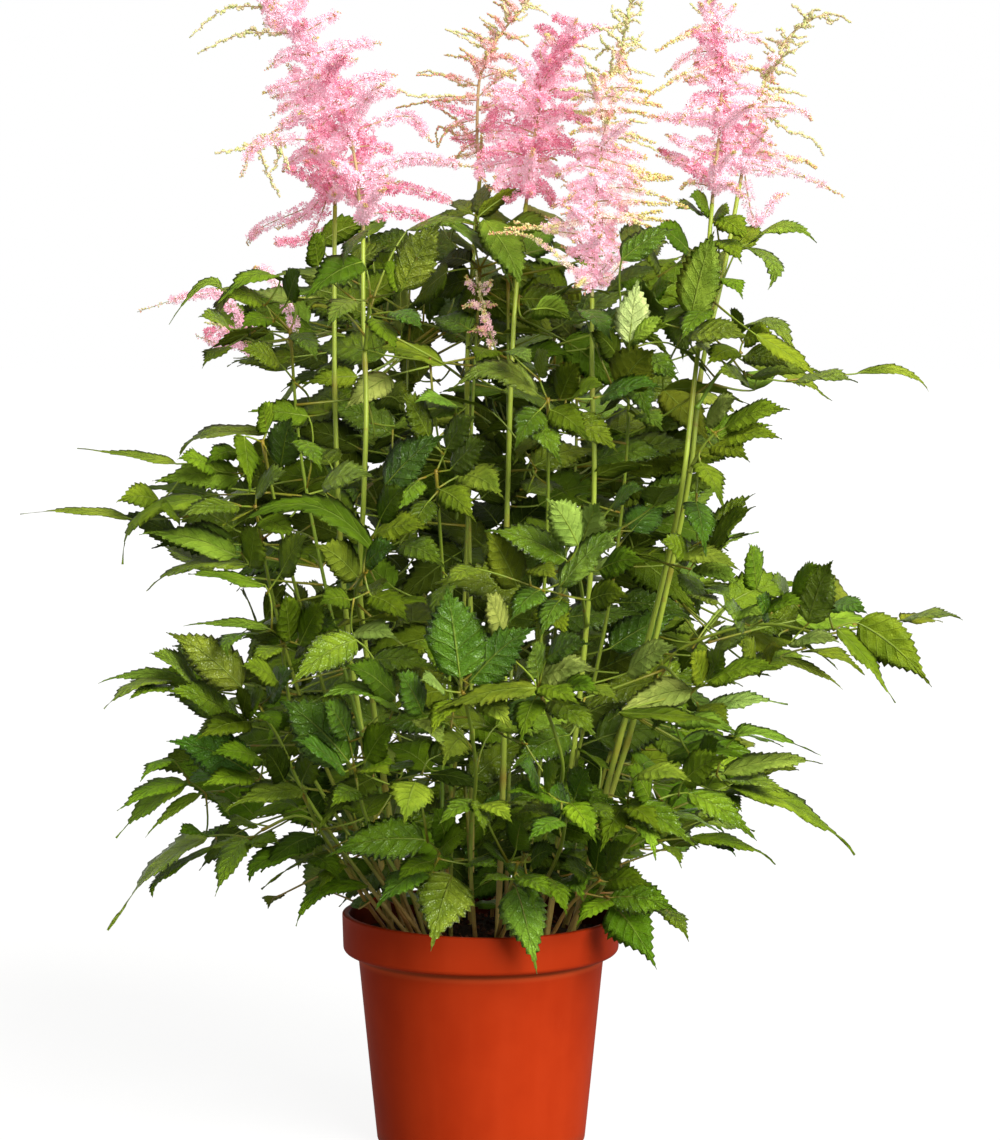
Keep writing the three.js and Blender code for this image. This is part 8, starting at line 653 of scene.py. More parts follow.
    "leaf_07": ([(-22.9,-54.1,146.15), (-42.2,-73,178.7), (-61.2,-92.5,212.4), (-74.4,-119.7,243.1), (-78.3,-155.5,267), (-80.1,-192.6,289.1)], 1.9, [], [
        ((-79,-170,275.6), (-83.3,-192.4,291.7), (-105.7,-195.5,317.3), (-128.1,-198.6,334.3), (0.16,-0.99,0.03), 37.7, "g"),
        ((-79.7,-184.5,284.2), (-75,-192.3,286.5), (-63.6,-210.5,294.7), (-52.3,-228.6,296.8), (-0.8,-0.36,0.49), 19, "m"),
        ((-80.1,-191.7,288.5), (-85.7,-198,286), (-101.1,-217,303.5), (-116.6,-236,313.1), (0.77,-0.19,0.61), 26.3, "g"),
        ((-83.5,-195.5,287), (-72.1,-200.6,294.1), (-62.7,-219.1,311.6), (-53.2,-237.5,322.1), (-0.77,-0.59,-0.26), 22.6, "d"),
        ((-80.1,-191.7,288.5), (-83.7,-196.8,309), (-91.1,-215.2,326.3), (-98.5,-233.6,336.8), (0.86,-0.48,-0.18), 22.8, "g"),
        ((-79.4,-177.2,279.9), (-78.2,-178,271.4), (-86.4,-196,271.8), (-94.6,-214.1,266.6), (0.37,-0.29,0.88), 18, "m"),
        ((-83,-195.8,304.9), (-50.2,-207.8,325.2), (-75.2,-217.2,342.3), (-105.1,-226.6,336.5), (0.29,-0.29,0.91), 25.5, "m"),
        ((-56.8,-205.4,321.1), (-53.6,-200,334.5), (-68.7,-218.9,351.4), (-83.8,-237.8,360.6), (0.83,-0.47,0.28), 24.8, "d"),
        ((-54.2,-201.1,331.8), (-77.9,-209.3,372), (-98.3,-225.7,364), (-118.6,-242.1,347.9), (0.29,-0.77,0.56), 24.8, "m"),
        ((-72.2,-115.2,238), (-51.5,-92.1,272.5), (-64.9,-66.5,270.9), (-78.3,-40.9,259.8), (-0.19,0.14,0.97), 27.8, "m"),
        ((-55.6,-96.7,265.6), (-33.8,-122.5,273.5), (-11.6,-130.2,272.2), (10.6,-137.8,263.2), (0.1,-0.34,0.94), 22.6, "k"),
        ((-38.2,-117.3,271.9), (-33.8,-108.6,281.2), (-13.6,-99.3,288), (6.6,-90,287.7), (0.19,-0.67,0.72), 21.1, "k"),
        ((-77.5,-148.6,262.4), (-66.9,-150.7,276), (-84.8,-174.1,268.8), (-102.7,-197.4,251.4), (-0.11,-0.4,0.91), 30, "k"),
    ]),
    "leaf_08": ([(-77.8,-49.3,356.1), (-79.6,-67.3,368.2), (-81.6,-85.3,380.2), (-82.2,-103.7,391.7), (-79.1,-123,401), (-73.8,-142.6,409.1)], 1.5, [], [
        ((-73.9,-142.1,408.9), (-73.6,-147.5,414.7), (-63.1,-165.7,425.6), (-52.5,-183.9,430.1), (-0.88,-0.42,0.22), 19.3, "g"),
        ((-77,-130.7,404.2), (-80.1,-131.5,404.8), (-93.1,-150.3,421.1), (-106.2,-169.1,430.2), (0.81,-0.59,-0.04), 24.6, "o"),
        ((-73.9,-142.1,408.9), (-67.5,-137.4,420.3), (-110,-142.2,453.3), (-160.3,-147,442), (0.24,-0.29,0.92), 38, "d"),
        ((-75,-138.3,407.3), (-70.6,-142.3,393.4), (-57.5,-160.8,390.1), (-44.4,-179.3,380.3), (-0.22,-0.46,0.86), 21.3, "d"),
        ((-71.5,-141.5,396.2), (-84.2,-145.1,391), (-93.7,-163.2,394.4), (-103.2,-181.2,392), (0.73,-0.37,0.58), 18.4, "d"),
        ((-76,-134.5,405.7), (-70.5,-124.2,431), (-50.8,-143.2,439.7), (-31.2,-162.1,440.6), (-0.6,-0.45,0.67), 25, "m"),
        ((-71.6,-126.3,425.9), (-64.7,-139.3,442.7), (-55.8,-157.7,458.3), (-46.9,-176,467.3), (-0.84,-0.52,-0.16), 21.5, "d"),
        ((-81.7,-144.4,392), (-82.5,-139.4,368.2), (-67.1,-157.9,372.3), (-51.6,-176.4,369.6), (-0.44,-0.33,0.83), 20.8, "l"),
        ((-71.6,-126.3,425.9), (-102.8,-128.3,464), (-85.2,-147,472.9), (-67.7,-165.7,474.3), (-0.67,-0.47,0.58), 22.6, "b"),
        ((-81.7,-89.9,383.1), (-26.7,-82.7,336.8), (-12.5,-98.4,344.6), (1.8,-114.1,345.5), (-0.39,-0.1,0.92), 20.3, "b"),
        ((-59.7,-87,364.6), (-56.8,-97.5,372.1), (-79.9,-118.3,375.1), (-102.9,-139.2,368), (-0.17,0.09,0.98), 29.3, "o"),
    ]),
    "leaf_09": ([(-62.5,-20.6,146.1), (-78.1,-33.3,172), (-90.2,-52,197.2), (-102.1,-74.1,219.5), (-109.5,-100.5,239.1), (-116.3,-125.8,260.3)], 1.9, [], [
        ((-114.8,-120.2,255.6), (-115.9,-133.1,264.1), (-140.8,-147.4,264.7), (-165.6,-161.8,257.3), (0.1,-0.39,0.92), 26.1, "b"),
        ((-116.1,-125.2,259.8), (-117.1,-123,268.5), (-109.6,-141.3,285), (-102.1,-159.5,294.8), (-0.77,-0.55,-0.32), 20.4, "d"),
        ((-115.7,-130.5,262.4), (-128.5,-130.1,270.9), (-134.5,-148.4,287.3), (-140.5,-166.7,297.1), (0.86,-0.45,-0.23), 21, "k"),
        ((-125.9,-130.2,269.2), (-148.9,-128.2,271.9), (-164.5,-146.9,275.8), (-180.1,-165.6,272.9), (0.34,-0.26,0.91), 21, "m"),
        ((-144.3,-128.6,271.4), (-142.7,-133,284.5), (-158.2,-151.7,293.3), (-173.8,-170.4,295), (0.59,-0.28,0.76), 22.5, "d"),
        ((-143,-132.1,281.9), (-151.7,-125.8,275.6), (-178.6,-128.7,291.4), (-205.5,-131.7,298.9), (0.15,-0.98,0.11), 28.8, "g"),
        ((-144.3,-128.6,271.4), (-176.2,-98.3,256.2), (-170,-116.1,254.6), (-163.8,-134,247.7), (0.38,-0.09,0.92), 16.7, "m"),
        ((-169.8,-104.4,259.2), (-186.4,-87.7,255.2), (-205,-90,245), (-223.5,-92.4,228.3), (-0.31,-0.77,0.56), 9.2, "n"),
        ((-183.1,-91,256), (-195.6,-95.9,265.2), (-216.9,-113.4,262.8), (-238.1,-131,252.5), (-0.08,-0.25,0.96), 24.4, "m"),
        ((-193.1,-94.9,263.4), (-195.7,-95,264.4), (-218.9,-98,251.1), (-242,-100.9,229.7), (-0.49,-0.46,0.74), 26.2, "b"),
        ((-193.1,-94.9,263.4), (-205.1,-100.7,280.6), (-213.7,-118.9,279.5), (-222.3,-137.2,272.6), (-0.14,-0.15,0.98), 17.7, "m"),
        ((-183.1,-91,256), (-186.7,-51.9,221.8), (-194.3,-69.8,228.1), (-201.9,-87.7,228.9), (0.47,-0.03,0.88), 17.1, "d"),
        ((-100.1,-70.4,215.8), (-52.7,-73.4,234.7), (-32.1,-72.8,232.2), (-11.5,-72.1,222.9), (0.23,-0.66,0.72), 20.1, "d"),
        ((-106.6,-90.3,231.5), (-77.1,-93.4,240.3), (-70.9,-65.7,249.2), (-64.7,-38,249), (-0.17,-0.12,0.98), 27, "d"),
        ((-83,-92.8,238.5), (-85.7,-101.6,248.1), (-93.7,-124,254.6), (-101.8,-146.5,253.5), (0.44,-0.05,0.9), 22.5, "d"),
        ((-71.7,-72.2,227.1), (-77.7,-32.8,244.1), (-92.9,-9.1,255.4), (-108.2,14.6,257.4), (-0.18,-0.38,0.91), 27.2, "m"),
        ((-75,-30.8,166.8), (-106.7,13.3,171.8), (-115.1,31.6,168.6), (-123.5,49.8,163.3), (-0.3,0.09,0.95), 20.2, "b"),
    ]),
    "leaf_10": ([(-53.3,-37.9,146.05), (-70.6,-41.2,170), (-87.4,-45.5,195.3), (-100.9,-52.6,221.9), (-122.5,-66.1,237.1), (-146,-83.7,230.3)], 1.9, [], [
        ((-140.8,-79.8,231.8), (-150.5,-86.8,234.9), (-158.9,-104.7,239.8), (-167.3,-122.7,239.2), (0.45,-0.1,0.89), 17.2, "m"),
        ((-145.4,-83.3,230.5), (-155.9,-66.3,220), (-144.4,-84.4,225.3), (-133,-102.4,224.6), (-0.38,-0.13,0.92), 18.6, "d"),
        ((-151.7,-73.1,224.2), (-160,-65.8,221.3), (-168.1,-84.9,209.6), (-176.2,-104,190.6), (-0.32,-0.51,0.8), 22.3, "m"),
        ((-114.1,-60.9,231.2), (-111.4,-82.7,218), (-142.4,-101.1,213), (-152.5,-119.5,203.4), (-0.12,-0.25,0.96), 25.7, "d"),
        ((-109.9,-58.2,228.3), (-112,-70.3,210.5), (-102.2,-88.5,208.5), (-92.3,-106.7,200.5), (-0.06,-0.29,0.95), 19.2, "d"),
        ((-153.8,-69.7,222.1), (-185.8,-46.3,219.5), (-219.5,-50.9,200.4), (-252.6,-55.5,160), (-0.62,-0.25,0.74), 38, "b"),
        ((-112.5,-74,223.3), (-94.3,-75.2,205.9), (-100.9,-93.4,202.4), (-107.4,-111.6,193.3), (-0.23,-0.24,0.94), 18.3, "d"),
        ((-179.4,-51,220), (-184.4,-29.4,209.9), (-214.6,-44.8,194.5), (-222.2,-60.2,182.8), (-0.47,-0.18,0.86), 24, "d"),
        ((-90.8,-47.3,202), (-76,-63.1,188.1), (-106.5,-75.6,188.3), (-123.4,-88.1,168.1), (-0.22,-0.32,0.92), 24.7, "m"),
        ((-93.4,-48.7,207.1), (-80.2,4.4,226.8), (-78.2,31.4,241.3), (-76.3,58.3,246.6), (-0.28,-0.31,0.91), 27, "m"),
        ((-110.7,-63,221.2), (-107.7,-67.7,224.4), (-126.5,-89.4,221.3), (-145.3,-111.1,208.7), (0,-0.34,0.94), 28, "k"),
        ((-93.4,-48.7,207.1), (-92.1,-49.5,211.7), (-119.7,-60.5,205.9), (-147.3,-71.5,190), (-0.39,0.08,0.92), 29.7, "d"),
        ((-90.8,-38.1,211), (-90.7,-36.8,227.4), (-78.6,-19,240.2), (-66.5,-1.2,245.5), (-0.02,-0.44,0.9), 22, "d"),
        ((-98.2,-51.2,216.6), (-100.4,-25.5,213.1), (-104.9,-0.4,209.4), (-109.5,24.7,195.1), (0.79,0.33,0.52), 25.6, "d"),
        ((-74,-42.1,175.1), (-83,-41.5,169.3), (-79.2,-22.1,174.7), (-75.5,-2.7,173.9), (-0.29,-0.06,0.96), 17.8, "g"),
    ]),
    "leaf_11": ([(-3,-58.7,145.84), (-5.9,-83.3,192.1), (-6,-113.1,236.1), (-2.5,-149.3,274.9), (-4.7,-189.5,309.7), (-10,-231.8,341.6)], 1.9, [], [
        ((-8.8,-222.5,334.6), (-15,-235.2,337), (-22.5,-253.5,331.7), (-30,-271.9,320.4), (-0.13,-0.36,0.92), 19.4, "m"),
        ((-9.9,-230.7,340.8), (-5.6,-233.7,348.1), (15.3,-244.6,371.8), (36.2,-255.6,387), (-0.5,-0.86,0.06), 28.7, "g"),
        ((-6.5,-233.1,346.6), (-11.8,-238.7,351.3), (-16.1,-241.7,385.7), (-20.4,-244.7,411.5), (0.04,-0.99,-0.09), 38, "g"),
        ((-9.9,-230.7,340.8), (0.6,-230.6,336.4), (10.6,-249,333), (20.6,-267.3,323.5), (-0.2,-0.42,0.89), 18.8, "b"),
        ((-9.9,-230.7,340.8), (-21.9,-231.5,342.8), (-29.1,-249.3,351.2), (-36.2,-267.2,354), (0.81,-0.15,0.57), 17.3, "l"),
        ((-9.9,-230.7,340.8), (-17.1,-217.7,352.6), (-28,-236.3,368.2), (-38.9,-254.8,376.9), (0.89,-0.31,0.33), 22.3, "d"),
        ((-12.5,-230.1,336), (-35.3,-225.9,326.9), (-43.2,-244.6,346.7), (-51.2,-263.2,359.2), (0.86,-0.49,-0.14), 24.4, "g"),
        ((-6.8,-206,322.2), (-39.2,-219.4,322.3), (-29.8,-237.6,319.2), (-20.4,-255.9,310.1), (0.2,-0.21,0.96), 18.5, "l"),
        ((-9.7,-236.5,349.4), (15.7,-225.5,375), (9.8,-244.1,395.6), (3.9,-262.8,408.9), (0.88,-0.44,-0.17), 22.3, "l"),
        ((10.6,-227.7,369.9), (35.6,-246.8,345.9), (1.7,-250.3,343.1), (-32.2,-253.7,330.5), (-0.18,-0.3,0.94), 32.9, "o"),
        ((-2.6,-150.4,275.9), (10.4,-121.8,305.1), (41.3,-119.5,312.7), (72.1,-117.3,310.4), (-0.02,-0.65,0.76), 29.2, "b"),
        ((-3.8,-173.9,296.2), (-22.4,-154.1,311.8), (-46.7,-157.8,314.2), (-71.1,-161.4,308.7), (0.05,-0.67,0.74), 23.2, "d"),
        ((-18.7,-158.1,308.7), (-19.6,-139.6,330.8), (-40,-151,329.7), (-60.4,-162.3,320.9), (0.19,-0.66,0.73), 22.4, "d"),
        ((-18.9,-154.4,313.1), (-10.1,-148.4,301.7), (-16.8,-172.5,300.3), (-23.6,-196.5,290.7), (0.4,-0.31,0.86), 24, "b"),
    ]),
    "leaf_12": ([(-28.5,-43.5,146.5), (-34.7,-63,159.8), (-39.8,-82.6,174.9), (-39,-102.5,190.4), (-33.4,-121.8,205.7), (-27.4,-141.1,221)], 1.9, [], [
        ((-29.9,-133.1,214.7), (-32.7,-135.8,217.5), (-43.4,-154.1,217.7), (-54,-172.3,211.9), (0.28,-0.3,0.91), 19.2, "d"),
        ((-28.7,-136.9,217.6), (-25.8,-155.1,228.6), (-15.9,-173.3,240.6), (-6,-191.4,246.3), (-0.9,-0.36,0.26), 19.4, "d"),
        ((-27,-147.8,224.2), (-20.8,-145.1,229.6), (-25.6,-163.5,249.1), (-30.5,-181.9,261.7), (0.72,-0.55,-0.41), 22.4, "d"),
        ((-27.5,-140.6,220.6), (-8.4,-136.3,216.2), (2.1,-154.3,221.6), (12.6,-172.4,221), (-0.34,-0.07,0.94), 18.1, "m"),
        ((-31.1,-129.3,211.7), (-36.3,-121.2,209.7), (-52.2,-140.3,204.5), (-68.1,-159.4,191.9), (0.01,-0.43,0.9), 22.7, "g"),
        ((-26.4,-151.5,226.4), (-35.5,-159.8,236), (-67.5,-163,236.8), (-99.5,-166.3,228.5), (0.03,-0.87,0.49), 29.2, "m"),
        ((-32.2,-125.6,208.7), (-18.5,-122.3,205.9), (-25.1,-139.5,189), (-31.8,-156.6,164.3), (0.14,-0.79,0.6), 37.7, "b"),
        ((-33.7,-158.1,234.1), (-40.8,-205.8,280.7), (-43.9,-224.2,273.5), (-47,-242.5,260.2), (0.22,-0.5,0.84), 28.8, "b"),
        ((-39.4,-196.3,271.4), (-74.2,-215.8,288.6), (-64.2,-233.8,293.5), (-54.1,-251.7,292.6), (-0.22,-0.02,0.97), 17.8, "m"),
        ((-67.2,-211.9,285.2), (-67.2,-177.3,301.9), (-59.9,-195.3,300.4), (-52.7,-213.3,293.4), (0.48,-0.01,0.88), 17.1, "l"),
        ((-37.7,-106.8,193.8), (-23.7,-94.5,215.4), (-37,-117,211.3), (-50.3,-139.6,198.3), (-0.06,-0.33,0.94), 25.9, "d"),
        ((-26.5,-97,211.1), (-1,-67.9,209), (23.3,-53.8,214.9), (47.7,-39.6,211.8), (0.11,-0.28,0.95), 26.5, "k"),
        ((-11.2,-79.5,209.8), (-23,-64.4,207), (-43.7,-56.6,201.7), (-64.3,-48.9,188.8), (-0.49,-0.68,0.54), 22.4, "k"),
        ((-21.4,-91.2,210.7), (-22.4,-90.4,217.1), (-44.5,-99.9,228.7), (-66.5,-109.5,232.2), (0.48,-0.63,0.61), 23.7, "d"),
    ]),
    "leaf_13": ([(10.5,-48.2,146.32), (13.2,-64.5,161.2), (16.1,-81.3,177.1), (19,-99.4,191.3), (22,-118.3,204.5), (25,-137.2,217.7)], 1.9, [], [
        ((24.9,-136.7,217.4), (32.9,-136,217.5), (41.1,-154,227.4), (49.4,-171.9,231.4), (-0.91,-0.3,0.3), 18.9, "k"),
        ((24.9,-136.7,217.4), (16.5,-138,217.9), (8.4,-156,229.1), (0.3,-174,234.4), (0.79,-0.07,0.61), 19.3, "k"),
        ((19.9,-137.5,217.7), (23.6,-150.6,227.9), (25.5,-168.6,244.4), (27.3,-186.7,254.6), (-0.62,-0.51,-0.6), 20.3, "d"),
        ((23.2,-125.7,209.7), (25.7,-125.5,205.7), (36.7,-143.8,205), (47.6,-162.1,198.3), (-0.15,-0.28,0.95), 18.7, "m"),
        ((23.7,-125.7,208.9), (21.8,-128.8,205), (11,-146.9,210.1), (0.2,-165,209.3), (0.25,-0.04,0.97), 18.2, "m"),
        ((20.8,-111,199.4), (23.8,-111.2,196.6), (30.8,-114.1,172.9), (37.7,-117.1,141.3), (0.01,-0.99,0.11), 29.5, "b"),
        ((21.4,-114.7,202), (47,-113.7,202.4), (51.9,-132.1,196.3), (56.9,-150.4,184.3), (0.36,-0.33,0.87), 18.2, "m"),
        ((18.2,-137.7,217.8), (1.7,-193.6,264.7), (11.5,-211.7,264.7), (21.4,-229.9,258.9), (-0.13,-0.23,0.96), 18, "b"),
        ((5,-182.4,255.3), (0.4,-193.6,264.7), (1.8,-211.5,260.9), (3.1,-229.5,251.8), (0.61,-0.23,0.76), 17.2, "m"),
        ((1.3,-191.4,262.8), (-1.5,-190.7,266.2), (-13.7,-209.1,265.2), (-25.9,-227.5,257.9), (0.14,-0.3,0.94), 19.4, "m"),
        ((31.6,-114.3,202.2), (32.1,-92.2,214.8), (51.5,-83.8,210.5), (70.9,-75.4,199), (0.51,-0.65,0.56), 21.2, "k"),
        ((32,-96.6,212.3), (28.8,-74.2,214.6), (56.9,-78.1,211.6), (84.9,-81.9,199.2), (0.27,0,0.96), 27.6, "k"),
        ((29.4,-78.7,214.1), (27.7,-68.8,198.9), (47.3,-59.7,194.5), (66.8,-50.7,182.8), (0.52,-0.54,0.66), 21.6, "k"),
        ((30.7,-87.6,213.2), (19.2,-92.7,211), (28.6,-120.6,203.8), (38.1,-148.4,186.5), (0.58,-0.16,0.8), 29.9, "d"),
    ]),
    "leaf_14": ([(45.3,-45.9,146.08), (51.2,-53.4,158.1), (57.3,-61.2,170.9), (64.4,-71.1,181.6), (72.1,-82.5,190.1), (79.9,-94.1,198.3)], 1.9, [], [
        ((78.2,-91.6,196.5), (79.8,-99.1,201.8), (89.1,-117.6,219.8), (98.4,-136.1,230.8), (-0.91,-0.42,0.05), 21.8, "m"),
        ((79.7,-93.8,198.1), (84.1,-89.4,196.1), (98,-107.9,201.9), (112,-126.4,201.2), (-0.63,-0.38,0.68), 20.1, "m"),
        ((79.5,-97.6,200.7), (73.1,-99.8,200.6), (62.8,-117.9,210.8), (52.5,-135.9,214.8), (0.82,-0.27,0.5), 19.8, "k"),
        ((79.5,-97.6,200.7), (76.8,-112.6,208.2), (78.2,-130.6,225), (79.7,-148.7,235.5), (-0.79,-0.41,-0.45), 20.5, "k"),
        ((69.1,-78.1,186.8), (87.4,-68,181.5), (110.1,-86.7,184.9), (132.8,-105.5,180.1), (-0.53,-0.66,0.54), 25.4, "m"),
        ((83.7,-70,182.6), (86.3,-81.6,182.5), (74.9,-100,180.9), (63.5,-118.4,173.1), (0.01,-0.25,0.97), 19.1, "m"),
        ((85.3,-77,182.5), (88.1,-67.7,178), (103.1,-81.3,162.7), (118.1,-94.9,139.6), (-0.23,-0.87,0.44), 30.9, "d"),
        ((83.7,-70,182.6), (125.4,-15.2,165.1), (133.5,-33.6,160.7), (141.6,-52.1,150.4), (0.22,-0.28,0.94), 18.4, "m"),
        ((64.6,-71.4,181.8), (67.9,-59.1,193.6), (96.5,-52.5,186.1), (125,-45.8,168.4), (0.4,0.02,0.92), 30, "d"),
        ((67.2,-61.6,191.2), (61.4,-19.1,190.4), (74,0.3,199.7), (86.7,19.7,201.4), (0.2,-0.39,0.9), 22.4, "m"),
        ((69.1,-78.1,186.8), (57.7,-80.2,197.4), (62.8,-108.1,199.8), (68,-136,193.1), (-0.33,-0.13,0.93), 26.7, "m"),
        ((62.6,-27.6,190.6), (40.6,-9.8,184.3), (41,19.9,181.2), (41.4,49.5,168.3), (-0.17,0.26,0.95), 28.9, "d"),
    ]),
    "leaf_15": ([(18.8,-52.6,146.17), (32.1,-70.5,172.1), (44.9,-89.1,199), (53,-113.4,222.8), (55.5,-142.7,242), (57.1,-172.7,260.2)], 1.9, [], [
        ((57.1,-171.9,259.7), (58.3,-174.4,262.5), (66.6,-193,255.6), (74.8,-211.6,242.5), (-0.05,-0.49,0.87), 19.5, "m"),
        ((56.7,-166.1,256.2), (61.1,-165.9,263.1), (65.8,-184.1,280.1), (70.5,-202.3,290.5), (-0.7,-0.54,-0.47), 21, "d"),
        ((56.4,-160.3,252.7), (58.7,-157,252.6), (50,-175.2,267), (41.3,-193.4,275), (0.91,-0.42,0.01), 21.7, "g"),
        ((56.7,-166.1,256.2), (66.3,-164.3,257.6), (77.4,-182.5,259.3), (88.5,-200.8,254.9), (-0.27,-0.24,0.93), 18.4, "m"),
        ((58.1,-173.9,261.9), (49.1,-188.1,266.5), (33.7,-206.7,276), (18.2,-225.3,278.5), (0.59,-0.24,0.77), 22.4, "d"),
        ((55.8,-148.6,245.6), (58.8,-148.3,248.6), (41.5,-167.1,257.5), (24.1,-185.8,259), (0.49,-0.22,0.85), 22.5, "m"),
        ((52.7,-182.4,264.7), (51.7,-186.3,253.3), (41.3,-204.5,252.7), (30.9,-222.7,246.2), (0.16,-0.27,0.95), 19.2, "g"),
        ((50.9,-185.3,265.6), (41.2,-203.9,277.3), (46.3,-221.8,290.2), (51.4,-239.7,297.1), (-0.96,-0.28,-0.01), 18.2, "m"),
        ((43.1,-200.2,275), (38.7,-198.2,276.4), (31.9,-216.3,290.1), (25.1,-234.3,297.6), (0.95,-0.23,0.21), 20.7, "g"),
        ((50.1,-104.6,214.2), (43.7,-85.4,234.3), (68.4,-84.7,228.3), (93.1,-84,213.7), (0.33,-0.56,0.76), 25.2, "d"),
        ((45,-89.2,230.3), (43.6,-95.4,251), (68.6,-107.4,256.8), (93.7,-119.3,253.6), (-0.36,-0.7,0.61), 26.1, "m"),
        ((43.9,-94.2,246.9), (32.8,-115.5,252), (32.4,-143.5,258.8), (32.1,-171.5,256.7), (-0.16,0.08,0.98), 26.4, "b"),
        ((54,-125.6,230.8), (54,-114.5,242.6), (78.3,-112.9,247.7), (102.7,-111.2,244.9), (0.01,-0.69,0.72), 23, "d"),
    ]),
    "leaf_16": ([(58.1,-29.8,145.81), (70.4,-40.4,177.6), (82.4,-55,208.5), (92.1,-82.9,229.4), (99.9,-115.7,243), (107.7,-148.6,256.5)], 1.9, [], [
        ((106,-141.4,253.5), (110.8,-151.5,260.9), (102.3,-169.9,278.8), (93.9,-188.4,289.8), (0.89,-0.46,-0.06), 22.4, "d"),
        ((109.8,-149.5,259.4), (104.3,-150.7,252.9), (108.8,-169.3,244.1), (113.3,-187.9,228.9), (0.28,-0.47,0.83), 19.5, "b"),
        ((107.5,-147.8,256.2), (95.1,-153.2,257.2), (106.1,-171.6,254.8), (117,-190.1,246.1), (-0.05,-0.32,0.95), 19.1, "m"),
        ((97.6,-152.1,257), (95.7,-155,259.5), (117.8,-168.7,251.6), (139.9,-182.4,235.8), (-0.01,-0.67,0.75), 24.6, "m"),
        ((106,-141.4,253.5), (94.1,-143.6,255.8), (85.9,-162.3,247.6), (77.6,-180.9,232.9), (-0.05,-0.5,0.86), 21.1, "d"),
        ((107.5,-147.8,256.2), (135.4,-140.7,263.9), (157.5,-153.1,255), (179.6,-165.5,238.2), (0.16,-0.56,0.82), 24.5, "m"),
        ((129.8,-142.1,262.4), (131.4,-154.6,272.5), (145.2,-173.4,288), (158.9,-192.1,296.1), (-0.82,-0.56,0.07), 22.5, "m"),
        ((96.1,-154.4,259), (101.4,-194.1,284.2), (118,-212.9,288.5), (134.6,-231.6,285.8), (-0.37,-0.29,0.88), 21.6, "b"),
        ((95.4,-96.6,235.1), (122.7,-105.3,223.7), (127.5,-123.2,222.4), (132.3,-141.1,215.7), (0.38,-0.1,0.92), 16.4, "m"),
        ((117.2,-103.6,226), (139.4,-103.4,228.1), (168.4,-106.3,227.2), (196.1,-109.3,213.7), (0.22,-0.21,0.95), 25.4, "m"),
        ((135,-103.4,227.7), (154.4,-84.7,221.7), (161.6,-102.6,223.7), (168.9,-120.5,220.2), (-0.06,-0.07,1), 16.7, "g"),
        ((93.8,-90.2,232.4), (52.9,-98,241.6), (30.1,-104,238.5), (7.2,-110,227.4), (-0.16,-0.43,0.89), 23.2, "m"),
        ((88.6,-72.8,221.9), (65.2,-66.2,227.3), (79.7,-42.3,219.5), (94.3,-18.3,201.8), (0.82,-0.22,0.52), 29, "m"),
        ((61.1,-96.4,239.8), (38.3,-104.7,246.9), (20.2,-118.6,244.7), (2,-132.5,235), (-0.01,-0.39,0.92), 22.2, "d"),
        ((52,-99.7,242.6), (40.9,-81.3,240.5), (17.8,-89.4,234.2), (-5.3,-97.4,219.5), (-0.05,-0.74,0.67), 25, "k"),
    ]),
    "leaf_17": ([(63.8,-3.8,146.1), (80.6,-20.4,176.3), (97.5,-37.5,207.2), (114.1,-60.5,234.2), (129.6,-89.8,255.1), (144.9,-120.1,274.7)], 1.9, [], [
        ((141.5,-113.4,270.4), (144.5,-127.8,281.2), (149.9,-145.9,295.3), (155.4,-164,303.3), (-0.94,-0.34,-0.09), 19.7, "d"),
        ((138.6,-107.5,266.6), (138.8,-110,267.9), (130.8,-128.4,262.5), (122.7,-146.7,251), (-0.55,-0.14,0.83), 19.6, "d"),
        ((141.5,-113.4,270.4), (159.8,-113,272.4), (192.8,-116.4,282.2), (225.9,-119.8,282.7), (-0.18,-0.33,0.93), 29, "l"),
        ((156.1,-113.1,272), (160.1,-108.8,267.1), (181.1,-128.1,270), (202.2,-147.4,264.9), (-0.06,-0.12,0.99), 24.6, "b"),
        ((138.6,-108,266.9), (124,-101,282), (148.8,-116.6,289), (173.7,-132.3,287.8), (-0.3,-0.31,0.9), 26.6, "d"),
        ((138.6,-107.5,266.6), (158.5,-102.4,258.1), (165,-120.3,257.9), (171.5,-138.3,252.3), (0.16,-0.1,0.98), 16.7, "m"),
        ((154.5,-103.4,259.8), (160.8,-97,258), (170.2,-115.1,261.6), (179.7,-133.2,259.5), (-0.21,-0.07,0.98), 17.6, "m"),
        ((156.1,-113.1,272), (164.4,-124.6,265.4), (207.6,-129.2,253.5), (246.1,-133.8,225.1), (0.41,-0.21,0.89), 38, "o"),
        ((156.1,-113.1,272), (167.3,-117.4,296.3), (184.2,-120.3,300.7), (224.2,-123.2,288.5), (0.11,-0.19,0.97), 26, "b"),
        ((143.9,-124.9,279), (127.6,-149.9,311.8), (146.5,-168.9,315.2), (165.5,-188,311), (-0.29,-0.31,0.9), 23.2, "b"),
        ((123.6,-78.4,247), (107.7,-70.2,270.7), (114.7,-46.5,271.8), (121.6,-22.8,264.9), (0.61,-0.08,0.79), 23.4, "m"),
        ((108.1,-52.2,224.5), (57.3,-67,244.7), (39,-81.3,252.6), (20.7,-95.5,253.1), (0.49,-0.4,0.77), 22.2, "d"),
        ((77.6,-61.1,236.6), (76.1,-63.1,240.1), (76.2,-91,245), (76.3,-118.9,241), (0.7,0.01,0.71), 26.2, "m"),
        ((76.4,-62.7,239.4), (81.5,-55.4,268.2), (75.2,-30.8,273.6), (69,-6.2,270.9), (0.51,0.08,0.86), 23.9, "d"),
        ((114.1,-60.5,234.2), (190.8,-40.4,262.7), (202.3,-57.2,268.7), (213.8,-74.1,270.6), (-0.44,-0.09,0.9), 21.5, "o"),
